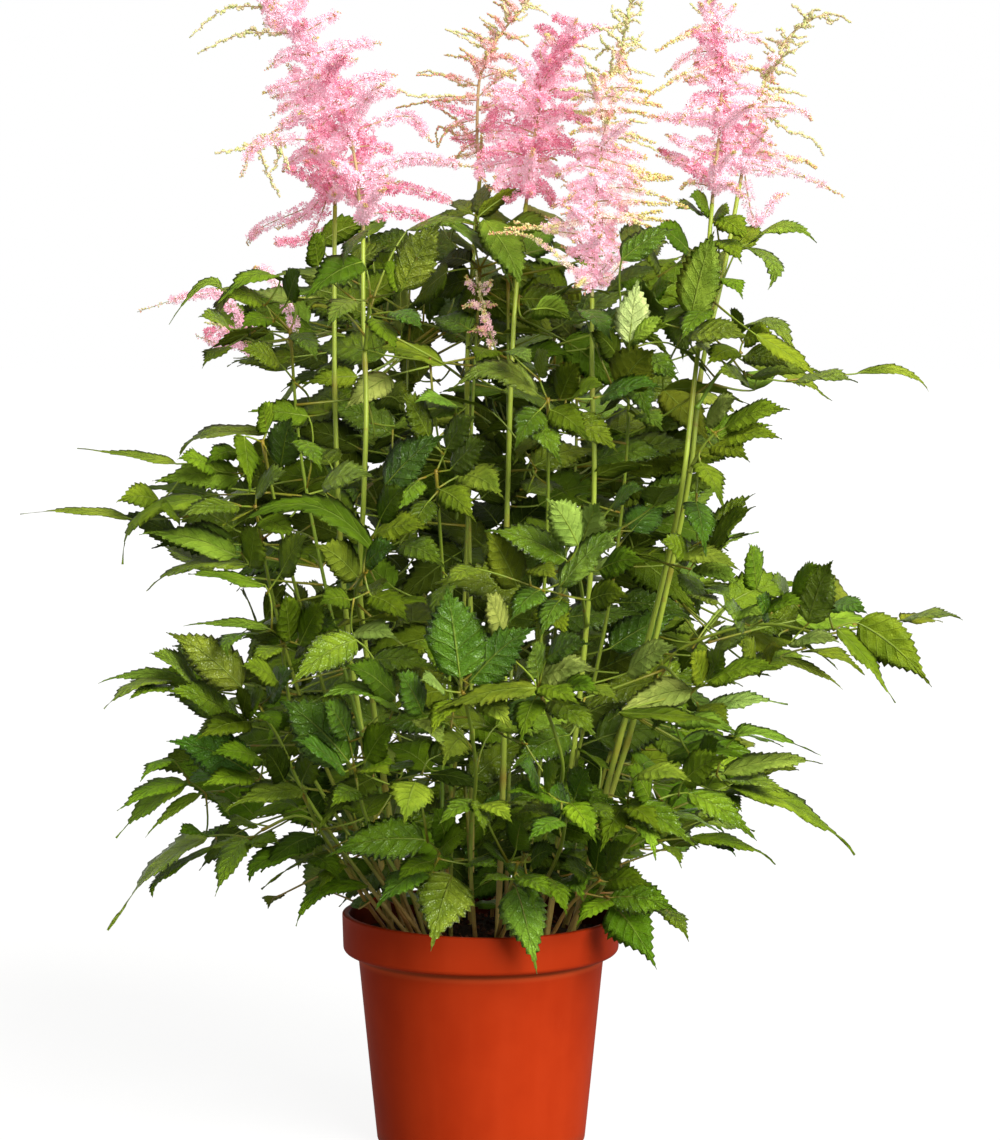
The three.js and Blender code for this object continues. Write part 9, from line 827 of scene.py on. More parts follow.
        ((91.9,-31.8,196.9), (132,-21.8,209.7), (140.2,-40.4,216.9), (148.5,-59.1,216.1), (0.32,0.3,0.9), 19.7, "d"),
        ((100.3,-41.3,211.7), (117.6,-14.5,217.3), (122.3,3.6,229.8), (126.9,21.6,235), (0.51,-0.48,0.71), 17.7, "d"),
        ((111.3,-56.7,229.7), (123.6,-42,235.3), (148.6,-38.6,230.2), (173.6,-35.2,214.2), (0.39,0.02,0.92), 23.2, "b"),
        ((75,-14.9,166.2), (81.3,-0.3,165.4), (64.9,18.1,169.8), (48.4,36.6,166.5), (-0.26,-0.26,0.93), 25.9, "d"),
        ((80.6,-20.4,176.3), (99.1,23.3,172.6), (77,29,181.1), (54.9,34.6,185.1), (0.04,-0.68,0.73), 22.3, "k"),
    ]),
    "leaf_18": ([(117.3,4.2,316.5), (119.3,-24.9,327.1), (121.6,-54.3,336.4), (125.7,-84.9,338.3), (131.2,-115.1,334.2), (136.8,-145.2,329.6)], 1.5, [], [
        ((135.6,-138.6,330.6), (138.1,-145.3,332.2), (110.6,-151.6,328), (83.1,-157.9,315.5), (-0.08,-0.65,0.76), 25.4, "l"),
        ((136.7,-144.4,329.7), (130.5,-141.5,325.2), (120,-160,320.3), (109.6,-178.4,309.1), (-0.02,-0.39,0.92), 20.4, "m"),
        ((136.7,-144.4,329.7), (145.3,-143.8,336.6), (140.1,-161.9,352.3), (134.9,-180.1,361.7), (0.87,-0.43,-0.26), 21.3, "o"),
        ((134.5,-132.7,331.5), (143.8,-136.1,320.6), (152.6,-154.2,319.9), (161.3,-172.4,313.5), (-0.21,-0.28,0.94), 18.4, "m"),
        ((134.5,-132.7,331.5), (149.2,-132.4,334.6), (154.2,-150.8,352.1), (159.3,-169.1,363), (-0.83,-0.46,-0.3), 20.5, "m"),
        ((137.6,-144,331.9), (148.7,-152.5,339), (170.6,-171.4,350.3), (192.5,-190.4,353.2), (-0.49,-0.26,0.83), 26.9, "m"),
        ((141.9,-135.4,322.8), (146.2,-129.3,315.1), (169.7,-139.3,324.9), (200.3,-149.3,325.5), (-0.28,-0.29,0.92), 25.3, "l"),
        ((143.3,-132.5,333.4), (180.4,-124.6,342.2), (174.9,-142.8,358.3), (169.4,-161,368), (0.9,-0.4,-0.19), 21.6, "o"),
        ((136.7,-144.4,329.7), (89.6,-177.4,321.3), (126.1,-180.7,320.4), (154.8,-184,317.6), (0.04,-0.19,0.98), 29.6, "d"),
        ((173,-126.2,340.4), (182.5,-113,340.9), (189.3,-131.2,354.6), (196.1,-149.3,362.1), (-0.92,-0.12,0.39), 20.8, "o"),
        ((124.2,-73.9,337.6), (56.3,-82.1,314.9), (29.6,-96.3,313.8), (2.9,-110.5,302.9), (0.17,-0.64,0.75), 29, "b"),
        ((69.9,-80.5,319.4), (59.7,-86.3,294.7), (39.7,-106.9,291.2), (19.6,-127.5,278.1), (0.36,-0.63,0.69), 28.1, "m"),
        ((117.3,4.2,316.5), (167.3,-6.1,287), (187.8,-7.1,283.5), (208.3,-8.1,277.8), (0.22,0.07,0.97), 21.1, "m"),
        ((119.8,-30.8,329), (129.8,-51.3,306.7), (153.4,-51.2,300.9), (177,-51.2,288.2), (0.36,0.1,0.93), 23.6, "d"),
        ((117.3,4.2,316.5), (140.1,-25.5,305.2), (137.9,-46.6,316.3), (135.6,-67.6,320.8), (0.69,0.18,0.7), 20.9, "d"),
        ((124.1,-72.7,337.5), (113.8,-53.5,314.5), (122.6,-32.6,306.8), (131.5,-11.8,290.9), (0.62,0.17,0.77), 22, "d"),
    ]),
    "leaf_19": ([(65.1,9.4,145.3), (75.7,15.7,213.8), (94.9,19.1,280.5), (129.4,2.4,336.6), (188.2,-23.7,362.1), (239,-68.2,357.8)], 1.9, [], [
        ((227.8,-58.4,358.7), (238.9,-68.6,363.9), (258.3,-71.7,344.7), (277.6,-74.8,316.8), (0.68,-0.41,0.61), 26.4, "m"),
        ((236.7,-66.6,362.9), (254.8,-49.2,365.9), (279.6,-52.5,350.1), (304.4,-55.8,325.3), (-0.16,-0.99,-0.04), 30.9, "m"),
        ((236.7,-66.6,362.9), (233.1,-72.8,379.8), (244.4,-91.1,382.7), (255.6,-109.4,379.6), (-0.39,-0.25,0.89), 20.2, "g"),
        ((233.8,-71.6,376.4), (217.8,-89.5,370.8), (224.2,-108.9,398.5), (230.6,-128.2,417.6), (-0.57,-0.7,-0.43), 29.2, "b"),
        ((227.8,-58.4,358.7), (214.7,-80.3,349.8), (233.7,-99.5,350.6), (253.1,-118.7,340.9), (0.08,-0.15,0.99), 23.7, "m"),
        ((221,-85.9,371.9), (207,-84,356.2), (222,-102.7,362.3), (236.9,-121.4,361.7), (-0.4,-0.19,0.9), 20.8, "l"),
        ((217.3,-75.9,351.6), (199.6,-86.6,346.5), (222,-89,339.4), (241.2,-91.3,327.6), (0.27,-0.61,0.74), 9.2, "n"),
        ((221,-85.9,371.9), (205.9,-95.7,388.1), (213.8,-114.2,404.8), (221.8,-132.7,414.7), (-0.94,-0.24,0.23), 20.8, "m"),
        ((208.9,-93.7,384.9), (188.3,-92.4,377.8), (200.7,-110.8,386.2), (213.1,-129.2,388.1), (-0.64,-0.23,0.73), 19.7, "m"),
        ((251.2,-52.7,365.3), (288.6,-10.9,364), (307.1,-30,370.7), (325.6,-49.1,370), (-0.27,-0.12,0.95), 23.1, "b"),
        ((208.9,-93.7,384.9), (182.7,-104.8,394.3), (178.8,-123.4,415.4), (174.8,-142,429.2), (0.79,-0.5,-0.35), 22.3, "m"),
        ((211.9,-91.8,381.6), (205.3,-86.3,387.2), (198,-104.2,398.1), (190.7,-122,403.2), (0.94,-0.31,0.17), 18, "d"),
        ((192.4,-92.7,379.2), (192.4,-90.7,373.6), (186.5,-108.5,385.6), (180.6,-126.4,391.8), (0.93,-0.36,-0.1), 18, "g"),
        ((192.4,-91.1,374.7), (175.5,-96.3,367.6), (166.8,-114.4,380.5), (158.1,-132.5,387.2), (0.92,-0.34,0.2), 20.2, "b"),
        ((178.9,-95.3,369), (168.7,-98.7,374.5), (177,-116.7,380.5), (185.4,-134.6,380.8), (-0.61,-0.15,0.78), 17.3, "b"),
        ((170.7,-98,373.4), (148.4,-105.2,394.4), (156.2,-123.1,395.3), (164.1,-141.1,390.6), (-0.12,-0.15,0.98), 17, "b"),
        ((152.9,-103.8,390.2), (141.8,-106.6,390.5), (148.7,-124.5,390.7), (155.5,-142.4,385.5), (0.06,-0.12,0.99), 16.7, "b"),
        ((208.1,-41.1,360.4), (201.1,-59.3,357.4), (220.1,-67.4,351.9), (239.2,-75.4,339), (0.47,0.12,0.87), 21.3, "m"),
        ((131.1,1.7,337.3), (118.7,-41.9,324.7), (93.5,-48.2,320.3), (68.3,-54.4,307.1), (-0.07,-0.7,0.71), 25.8, "m"),
        ((123.7,-24.5,329.7), (120.7,-27.6,345.8), (104.8,-13.9,343.4), (88.8,-0.2,333.9), (-0.32,0.04,0.95), 20.5, "g"),
        ((121.3,-27,342.6), (147.5,-27.9,340.7), (142.8,-7.1,336.8), (138.1,13.7,325.7), (0.41,0.39,0.82), 21.2, "d"),
        ((89.7,18.2,262.3), (105,57.8,256.6), (81.5,80.9,262.8), (57.9,104,262.2), (-0.55,-0.63,0.55), 29.2, "g"),
        ((104.3,14.5,295.8), (102.5,29.9,309.7), (133.4,33.5,320.5), (164.3,37.1,327.9), (-0.04,-0.87,0.49), 33.1, "m"),
        ((156.1,-9.5,348.2), (219.3,37.1,358.5), (253,36.2,360.1), (286.6,35.3,355.3), (0.03,-0.49,0.87), 30.6, "b"),
        ((229.8,-60.1,358.6), (287.8,-6.5,363.1), (303.9,6.3,363.6), (320.1,19.1,360.8), (0.26,-0.25,0.93), 17.4, "o"),
        ((145.4,-4.7,343.6), (169.2,20.3,370.7), (196.6,31.1,383.2), (224.1,42,385.9), (0.22,-0.86,0.45), 28.3, "m"),
        ((73.8,14.6,201.3), (79.1,41.3,201.2), (106.2,49.2,206.7), (133.2,57.2,204.3), (0.21,-0.82,0.53), 28.8, "d"),
        ((87.9,17.9,256.2), (158.5,60.2,235.5), (171.9,81.3,250.8), (185.3,102.4,258.6), (0.2,-0.56,0.8), 28.1, "b"),
        ((188.2,-23.7,362.1), (236,36.7,384.6), (250.4,47.7,377.9), (264.9,58.8,363.8), (0.72,-0.54,0.44), 21.6, "o"),
        ((104.3,14.5,295.8), (138.8,30.3,282.2), (159,35.4,277.9), (179.2,40.5,271.2), (0.33,-0.82,0.46), 19.8, "m"),
        ((89.7,18.2,262.3), (151.7,41.7,249.7), (171.4,55.2,248.8), (191,68.6,241.3), (0.27,-0.09,0.96), 21.9, "b"),
        ((87.9,17.9,256.2), (105.1,68.1,241.1), (116.5,86.1,232.7), (127.8,104.1,222), (0.71,-0.08,0.7), 23.4, "m"),
        ((104.3,14.5,295.8), (169.3,20.6,258.3), (184.3,13.2,249.7), (199.3,5.9,235.7), (-0.13,-0.9,0.41), 18.9, "d"),
        ((120,7,321.3), (161.5,-1.9,317.9), (180.1,-11.5,326.1), (198.6,-21.1,327.9), (-0.22,0.08,0.97), 22.1, "m"),
        ((69,11.7,170.2), (82.8,16.1,164.9), (98.7,32.8,168.8), (114.6,49.4,164.5), (0.55,-0.51,0.66), 19.4, "b"),
        ((70.9,12.8,182.7), (101.1,11.5,175.6), (104.1,-9.4,176.1), (107,-30.3,171.2), (0.1,-0.09,0.99), 17.9, "b"),
        ((104.3,14.5,295.8), (137,-14.1,280.3), (166,-17.7,277.9), (195,-21.4,268.4), (0.15,-0.35,0.93), 29.2, "m"),
        ((120,7,321.3), (150.7,52.8,320.4), (167.9,61.8,317), (185,70.8,309.4), (0.51,-0.61,0.6), 18.3, "m"),
        ((86.2,17.6,250.2), (122.2,14.1,248.4), (145.5,4.7,255.4), (168.7,-4.7,259.6), (-0.28,-0.11,0.95), 24.8, "m"),
    ]),
    "leaf_20": ([(11.4,-56.7,146.13), (25.9,-84.3,185), (40.5,-111.8,225), (51.3,-143.2,263.2), (52.8,-183.4,293.8), (38.6,-201.3,337.8)], 1.9, [], [
        ((39,-200.9,336.7), (37.3,-207.1,341.1), (50.5,-225.5,341.5), (63.8,-244,335.5), (-0.26,-0.32,0.91), 19.7, "m"),
        ((38.7,-202.1,337.6), (34.8,-205.5,333.2), (30.2,-223.9,325.4), (25.7,-242.3,311.4), (-0.19,-0.47,0.86), 19.7, "d"),
        ((39,-200.9,336.7), (37.4,-193.1,344.5), (56.1,-212.1,354.4), (74.7,-231,356.7), (-0.66,-0.45,0.6), 23.5, "l"),
        ((39,-200.9,336.7), (45.1,-194.3,331.8), (60.6,-213.4,325.3), (76,-232.4,311.3), (-0.04,-0.5,0.86), 24, "m"),
        ((38.4,-197.8,339.8), (37.4,-198.1,345.8), (35.3,-216.4,363.5), (33.2,-234.7,374.7), (0.78,-0.44,-0.45), 21.1, "b"),
        ((39,-200.9,336.7), (51.4,-200,339), (63.6,-218.3,344.3), (75.8,-236.6,343.4), (-0.57,-0.29,0.77), 19.9, "m"),
        ((38.2,-197.9,341), (22.8,-174.3,342.3), (27.5,-191.9,350.9), (32.2,-209.5,354.1), (-0.94,-0.14,0.31), 16.5, "m"),
        ((38.2,-197.9,341), (43,-203.3,359.2), (56.5,-221.8,370), (70,-240.3,374.1), (-0.81,-0.43,0.4), 20.8, "g"),
        ((48.9,-200.2,338.5), (64.2,-193.3,339.4), (76.1,-211.6,340.9), (88,-229.9,336.3), (-0.08,-0.14,0.99), 18.9, "b"),
        ((48.9,-200.2,338.5), (94,-197.8,349.6), (109.3,-216.7,364.7), (124.6,-235.6,372.3), (-0.81,-0.42,0.41), 23.1, "l"),
        ((25.9,-179,342), (29.2,-168.9,329.9), (28.7,-192.8,323.6), (28.3,-216.8,309), (-0.33,-0.37,0.87), 24.6, "g"),
        ((51.3,-144.3,264.1), (25.9,-129.7,302.6), (30.4,-150,310.1), (35,-170.2,310.7), (-0.7,-0.01,0.71), 19.9, "d"),
        ((31,-132.6,294.9), (10.7,-85.5,296.9), (-0.6,-68.1,305.6), (-11.9,-50.7,307.5), (-0.26,-0.43,0.86), 20.1, "m"),
        ((14.8,-94.9,296.5), (4.2,-102.2,302.6), (-25.2,-101.1,311.7), (-54.7,-100,311.3), (0.11,-0.49,0.86), 28, "m"),
    ]),
    "leaf_21": ([(71.4,-44.5,364), (69.1,-71.9,380.1), (66.8,-99.5,395.7), (64.3,-129.4,406.2), (61.7,-160.9,409.7), (59,-192.6,411.7)], 1.5, [], [
        ((59.1,-191.8,411.7), (55.2,-192.6,421.3), (29.1,-203,436.5), (3.1,-213.3,443.4), (0.5,-0.66,0.56), 27.1, "d"),
        ((59.1,-191.8,411.7), (51.3,-198.2,404.6), (72.7,-201.2,430.1), (94.1,-204.2,447.1), (-0.61,-0.59,0.53), 27.3, "b"),
        ((59.6,-185.6,411.3), (51.5,-187.7,395.2), (44.9,-206,388.7), (38.4,-224.3,376.1), (-0.01,-0.46,0.89), 19.5, "g"),
        ((59.6,-185.6,411.3), (76.9,-189.6,414.6), (90.8,-208.1,422.8), (104.7,-226.6,424.3), (-0.77,-0.46,0.44), 21.3, "d"),
        ((56,-192.4,419.4), (62.6,-199.4,431.4), (52.3,-218.3,452.2), (41.9,-237.2,465.3), (0.63,-0.68,-0.37), 23.6, "l"),
        ((53.1,-187.3,398.4), (70.6,-189.6,395.4), (82.7,-207.9,401.6), (94.8,-226.2,401.6), (-0.83,-0.51,0.24), 20, "d"),
        ((60.1,-179.5,410.9), (65.6,-179,429.7), (70.9,-197.6,449.3), (76.1,-216.2,461.9), (-0.16,-0.67,-0.72), 22, "l"),
        ((53.1,-187.3,398.4), (38.6,-194.5,402.3), (29.1,-212.9,397.7), (19.5,-231.2,387), (0.19,-0.46,0.87), 19.9, "g"),
        ((41.5,-193.1,401.5), (24.1,-179.8,402.8), (13.6,-198.9,427.5), (3.1,-218.1,443.7), (0.67,-0.68,-0.29), 28.2, "o"),
        ((64.5,-179.1,425.9), (84.9,-174.8,454.4), (94.4,-193,464.8), (103.9,-211.2,469.1), (-0.85,-0.26,0.47), 18.8, "g"),
        ((41.5,-193.1,401.5), (-1.3,-207.1,416.9), (-11.2,-225.3,416.7), (-21.1,-243.4,410.8), (0.19,-0.26,0.95), 18, "m"),
        ((73.4,-188.8,413.9), (73.1,-189.7,421), (79.8,-207.6,430.8), (86.6,-225.5,434.9), (-0.86,-0.13,0.49), 18.4, "l"),
        ((32.9,-195.9,404.6), (32.3,-195.9,415.8), (40.9,-213.8,417.1), (49.5,-231.8,412.8), (-0.37,-0.25,0.9), 17.2, "o"),
        ((63.2,-142.6,407.7), (27.7,-142.7,394.3), (-1.8,-148.5,404.3), (-31.3,-154.3,404.6), (0.25,-0.79,0.56), 28.7, "m"),
        ((34.8,-142.7,397), (39.1,-126.2,385.2), (47.9,-152.7,383), (56.8,-179.2,371.7), (-0.35,-0.34,0.87), 27, "m"),
    ]),
    "leaf_22": ([(-20.8,-8,145.18), (-20.5,-15.9,213.6), (-20.4,-24.7,282.2), (-22.3,-40.3,349.4), (-25.9,-64.8,413.9), (-29,-100.9,472.7)], 1.9, [], [
        ((-28.9,-100,471.2), (-19.7,-101.2,472.7), (-6.5,-119.9,487.2), (6.7,-138.5,494.6), (-0.81,-0.59,-0.03), 22.9, "d"),
        ((-28.9,-100,471.2), (-39.6,-97.1,465.9), (-49.6,-115.8,457.5), (-59.7,-134.5,442.3), (0.04,-0.55,0.84), 21.9, "m"),
        ((-28.3,-93,459.8), (-26.3,-104.4,459.8), (-14.3,-123,454.6), (-2.4,-141.5,442.8), (-0.39,-0.58,0.71), 21.3, "m"),
        ((-28.9,-100,471.2), (-22.4,-97.7,485.7), (-12.4,-116.3,502), (-2.4,-134.8,511.3), (-0.83,-0.54,-0.13), 21.3, "m"),
        ((-26.7,-102.1,459.8), (-32.9,-105.3,453.2), (-39.7,-123.8,444.8), (-46.5,-142.3,429.9), (0.03,-0.54,0.84), 20.7, "d"),
        ((-23.7,-98.2,482.8), (-32.9,-100.6,492.5), (-42.2,-119.5,513.6), (-51.6,-138.4,527), (0.87,-0.49,-0.07), 24.6, "d"),
        ((-35.3,-98.3,468), (-62.6,-101.4,462.2), (-41.9,-114.4,485), (-21.3,-127.4,499.2), (-0.6,-0.8,0.11), 27.6, "g"),
        ((-31.1,-100.1,490.6), (-13.4,-75.5,512.3), (-31.2,-94.3,515.6), (-49,-113.2,511.5), (0.16,-0.17,0.97), 23.4, "b"),
        ((-16.9,-80.4,508), (-16.5,-96.1,515.3), (-29.5,-114.4,521), (-42.6,-132.8,520.3), (0.44,-0.19,0.88), 20.5, "b"),
        ((-16.9,-80.4,508), (-9.4,-69.3,513.4), (-38,-72.4,508.4), (-66.6,-75.4,495), (-0.24,-0.41,0.88), 27.2, "b"),
        ((-27.7,-85.9,448.3), (-52.6,-107.4,423.7), (-36.9,-126.1,421.6), (-21.2,-144.9,412.5), (-0.3,-0.49,0.82), 21.6, "m"),
        ((-28.3,-93,459.8), (-12.5,-86.1,468.1), (1.8,-109.3,467.3), (16.1,-132.6,457.5), (-0.38,-0.42,0.82), 26.1, "b"),
        ((-27.1,-78.9,436.9), (-34.8,-67.7,441), (-55.3,-67.9,436.6), (-75.9,-68.2,425), (-0.34,-0.32,0.88), 20.8, "m"),
        ((-25.2,-60.1,401.5), (-20.4,-72.9,396.5), (-26.5,-96.5,390), (-32.5,-120.2,375), (-0.57,-0.21,0.79), 25.1, "m"),
        ((-33.3,-69.9,440.2), (-15.3,-53.4,461.5), (1.3,-37.7,468.6), (17.8,-22.1,468.4), (0.22,-0.43,0.88), 21.7, "b"),
        ((-20.4,-20.7,251), (-6,-17.5,253.6), (12.5,0,269.1), (31,17.5,274.9), (0.24,-0.68,0.69), 27.9, "d"),
    ]),
    "leaf_23": ([(25.7,6.9,145.3), (31.4,-5.8,222), (36.9,-21.2,298.6), (42,-47,372.4), (45.1,-70,447.2), (44.8,-98.7,520.1)], 1.9, [], [
        ((44.8,-98,518.3), (38.9,-93.9,521.2), (9.3,-96.9,539.1), (-20.3,-99.9,526.7), (0.13,-0.52,0.84), 27, "b"),
        ((44.8,-98,518.3), (52.8,-93.3,518.5), (59,-111.8,535.7), (65.1,-130.2,546.2), (-0.73,-0.55,-0.41), 21.5, "d"),
        ((44.8,-98,518.3), (46.1,-100.2,512.2), (58.8,-118.9,506.8), (71.6,-137.5,494.6), (-0.37,-0.59,0.72), 21.9, "d"),
        ((44.8,-98,518.3), (39.5,-100.7,512.2), (30.9,-119.2,504.1), (22.3,-137.8,489.4), (0.24,-0.59,0.77), 21.1, "d"),
        ((44.8,-98,518.3), (38.8,-101.3,534.6), (41.6,-119.2,546.6), (44.3,-137.1,552.9), (-0.88,-0.32,-0.36), 17.5, "b"),
        ((51.2,-94.2,518.5), (60.4,-107.2,520.4), (70.7,-125.4,528.8), (81.1,-143.5,531.1), (-0.76,-0.25,0.6), 18.6, "m"),
        ((56.7,-102,519.6), (56.6,-100.6,505.7), (73.8,-119.7,500.1), (91,-138.7,486.9), (-0.21,-0.58,0.79), 24.7, "m"),
        ((40.6,-100.2,513.4), (32.9,-102.5,505.8), (43.2,-121.3,496), (53.4,-140.1,479.1), (0,-0.58,0.82), 21.7, "m"),
        ((58.6,-104.6,520), (79.1,-94.8,519.9), (99.1,-113.9,529.2), (119,-133,530.7), (-0.53,-0.34,0.78), 26.5, "g"),
        ((75,-96.8,519.9), (91.9,-86.3,526.1), (103.3,-105.1,543.9), (114.7,-123.9,554.4), (-0.51,-0.69,-0.51), 30.2, "o"),
        ((88.5,-88.4,524.9), (68.7,-82.9,577.5), (77.5,-101.2,571.3), (86.2,-119.6,558.8), (0.19,-0.37,0.91), 21.1, "g"),
        ((40,-100.6,531.3), (19.1,-94,550.8), (26.6,-111.9,549.9), (34,-129.8,543.6), (-0.13,-0.25,0.96), 17, "b"),
        ((88.5,-88.4,524.9), (106.7,-82.2,508.7), (113.2,-100.1,507.1), (119.7,-118,500), (-0.17,-0.29,0.94), 16.9, "b"),
        ((43.9,-61.1,418.2), (31.7,-35.5,429.6), (46.5,-18.3,426.1), (61.3,-1.1,415), (0.62,-0.22,0.75), 22.4, "d"),
        ((45,-75.6,461.5), (35.8,-42.3,471.3), (58.8,-25.9,480.9), (81.7,-9.5,481.3), (0.23,-0.57,0.79), 26.9, "m"),
        ((37.6,-49,469.3), (31.9,-41.3,453.2), (41.3,-21.4,458.6), (50.7,-1.5,456.9), (0.32,-0.24,0.92), 20.8, "b"),
        ((37.6,-49,469.3), (8.9,-51.3,507.6), (-16.7,-48.3,517.2), (-42.3,-45.3,518.4), (0.21,0.08,0.97), 24.7, "o"),
    ]),
    "leaf_24": ([(-26.6,17.2,145.1), (-19.7,17.1,236.7), (-13.4,17,328.4), (-9.8,16.8,420.3), (-5.5,16.5,512.2), (-0.5,16,604)], 1.9, [], [
        ((-0.6,16,601.7), (-7.4,15.8,608.2), (-19.4,34,611), (-31.3,52.1,607.8), (-0.58,-0.38,0.72), 19.6, "k"),
        ((-0.6,16,601.7), (-7.4,16.5,595.8), (-21.5,35,592), (-35.6,53.5,581.4), (-0.81,-0.52,0.25), 22, "d"),
        ((-0.6,16,601.7), (-3.2,6.8,589.1), (-10.3,25.4,578.4), (-17.4,43.9,560.8), (-0.87,-0.46,-0.17), 22, "d"),
        ((-1.6,16.1,583.8), (6.3,16.8,589), (20.2,35.2,588.5), (34.1,53.7,581.4), (0.78,-0.51,0.36), 21.1, "d"),
        ((-0.6,16,601.7), (-3.2,13.4,640.9), (10.5,31.8,641.5), (24.3,50.2,635.5), (0.66,-0.4,0.64), 20.9, "m"),
        ((-2.7,13.9,633.1), (-0.5,8.3,642.3), (0.8,26.3,655.6), (2.1,44.4,663.1), (-0.67,-0.33,0.66), 18.8, "m"),
        ((-2.7,13.9,633.1), (-25.6,-2.4,636.8), (7.7,0.8,615.1), (20.7,4,591.9), (0.69,-0.3,0.66), 28, "m"),
        ((4.7,16.7,588), (31.8,17.3,576.6), (39.9,35.8,593.1), (48,54.4,602.9), (-0.23,-0.49,0.84), 20.8, "m"),
        ((-2.6,16.2,566), (-7.3,2.3,561.9), (-22,20.8,568.9), (-36.7,39.3,569.2), (-0.39,-0.47,0.8), 21.6, "g"),
        ((-3.5,16.3,548.1), (-0.6,18.6,554.6), (16.8,37.3,560.4), (34.1,56.1,559.1), (0.46,-0.51,0.73), 23.1, "d"),
        ((26.4,17.2,578.9), (68.2,16.3,580.8), (52.2,35,580.4), (36.2,53.6,573), (-0.67,-0.45,0.6), 21.4, "m"),
        ((-16.4,4.1,635.3), (-20.3,4.9,622.6), (-11.1,22.8,622.2), (-2,40.8,616.2), (0.63,-0.19,0.75), 17.6, "b"),
        ((-1.4,10.5,638.6), (-6,13.4,640.9), (-13,31.2,648.6), (-20.1,49.1,650.7), (-0.1,-0.3,0.95), 17.8, "b"),
        ((-6.3,16.6,494.5), (-15.1,4.7,495.8), (-38.5,-1.1,504.8), (-61.8,-6.9,505.9), (0.07,0.48,0.87), 23.1, "b"),
        ((3.1,16.5,586.9), (2.8,24.5,585.5), (7.9,50.2,593.1), (13.1,76,592.1), (0.17,-0.16,0.97), 24.9, "l"),
        ((-4.5,10.6,564.4), (15.3,6.2,559.3), (38.6,1,560.3), (61.9,-4.2,553.7), (0.15,0.14,0.98), 22.6, "o"),
        ((-4.5,16.4,530.2), (15,6.8,520.4), (38.2,4.1,515.1), (61.4,1.5,501.7), (0.33,-0.28,0.9), 23.7, "b"),
        ((-4.2,16.4,536.7), (-66.7,40.2,543.4), (-93.7,58.7,549.1), (-120.6,77.2,548.2), (-0.38,-0.64,0.67), 31.6, "m"),
        ((-10,16.8,414.2), (-13.2,26.6,408.1), (-38.2,28.4,391), (-63.3,30.2,369.1), (-0.27,-0.93,0.26), 31, "k"),
        ((-3.8,16.3,542.8), (-61.4,-19.1,531), (-76.5,-38.6,522.6), (-91.5,-58.1,511.6), (0.32,-0.61,0.73), 22.5, "l"),
        ((-0.8,16,597.9), (31.2,82.5,613.2), (43.1,104.3,628), (55,126.1,633.4), (0.63,-0.58,0.52), 26.9, "b"),
        ((-7.5,16.6,469.3), (-84,31.6,478.7), (-110.2,37.7,489.9), (-136.4,43.7,490.7), (-0.05,-0.81,0.58), 25.2, "k"),
        ((-12,16.9,365.2), (-60.2,12.4,383.8), (-84.8,26.6,402.9), (-109.4,40.8,416.9), (0.09,-0.68,0.72), 32.5, "m"),
        ((-0.5,16,604), (-27.8,83.6,634), (-16.8,101.6,641.7), (-5.9,119.5,646.4), (-0.03,-0.31,0.95), 19.8, "b"),
        ((-7.2,16.6,475.4), (-61.1,26,489), (-88.3,37.2,505.3), (-115.5,48.3,512.6), (-0.01,-0.73,0.68), 27.1, "b"),
        ((-0.5,16,604), (30.5,29.5,642.4), (48.7,43.5,640.4), (66.9,57.5,631), (0.4,-0.14,0.91), 24, "l"),
        ((-0.5,16,604), (-22.8,13.3,601.4), (-37,35.8,590.4), (-51.2,58.2,576), (-0.87,-0.38,0.31), 26.8, "d"),
        ((-18.4,17.1,255), (-35.1,17.5,256.3), (-54.3,43.4,267), (-73.6,69.2,266), (-0.26,-0.36,0.89), 30.3, "d"),
        ((-0.5,16,604), (51.8,79,617.5), (68.2,95.2,613.8), (84.6,111.5,600.7), (0.52,-0.09,0.85), 23.4, "o"),
        ((-5.8,16.5,506.1), (13.2,57.3,489.4), (22.9,70.3,476.7), (32.5,83.3,461.9), (0.2,0.63,0.74), 20.8, "k"),
        ((-4.8,16.4,524.4), (30.2,44.1,515.9), (50.5,51.9,511.4), (70.8,59.7,500.4), (0.43,-0.87,0.24), 22.7, "k"),
        ((-8.7,16.7,444.8), (-0.3,17,444.9), (20.2,25.1,460.7), (40.8,33.1,470.3), (0.35,-0.94,0.02), 25.8, "k"),
        ((-12.9,17,340.7), (3,28.4,344.9), (30.1,26.4,366.8), (57.3,24.3,377.5), (-0.32,-0.85,0.42), 28.6, "k"),
        ((-9.5,16.8,426.4), (-91.5,26.9,436.1), (-115.7,44.9,451.5), (-139.9,62.9,459.7), (0.34,-0.16,0.93), 33, "m"),
    ]),
    "leaf_25": ([(36.8,-3.4,145.41), (56.2,-7.8,226.3), (74.6,-13.8,307.8), (89.5,-26.2,389.3), (97.9,-41.4,471.2), (99.7,-67.5,550.6)], 1.9, [], [
        ((99.3,-61.8,533.2), (97.7,-67.5,552.6), (102.3,-86.8,579.7), (106.8,-106.1,598.3), (-0.83,-0.5,-0.26), 26.1, "l"),
        ((98.3,-65.2,544.8), (99.3,-61.8,555.1), (112.4,-80.3,565.2), (125.6,-98.9,568.7), (-0.77,-0.34,0.55), 20.5, "m"),
        ((99.7,-66.8,548.6), (106.6,-62.5,543.8), (119.1,-81,541.1), (131.6,-99.5,531.9), (-0.38,-0.51,0.78), 20.8, "m"),
        ((98.3,-65.2,544.8), (93,-69.7,544), (82.6,-88.1,557.8), (72.2,-106.6,565), (0.85,-0.52,-0.07), 21.3, "k"),
        ((99.3,-61.8,533.2), (101,-70.8,530.8), (106.3,-89.2,521.6), (111.6,-107.7,506), (0.01,-0.55,0.83), 20.6, "d"),
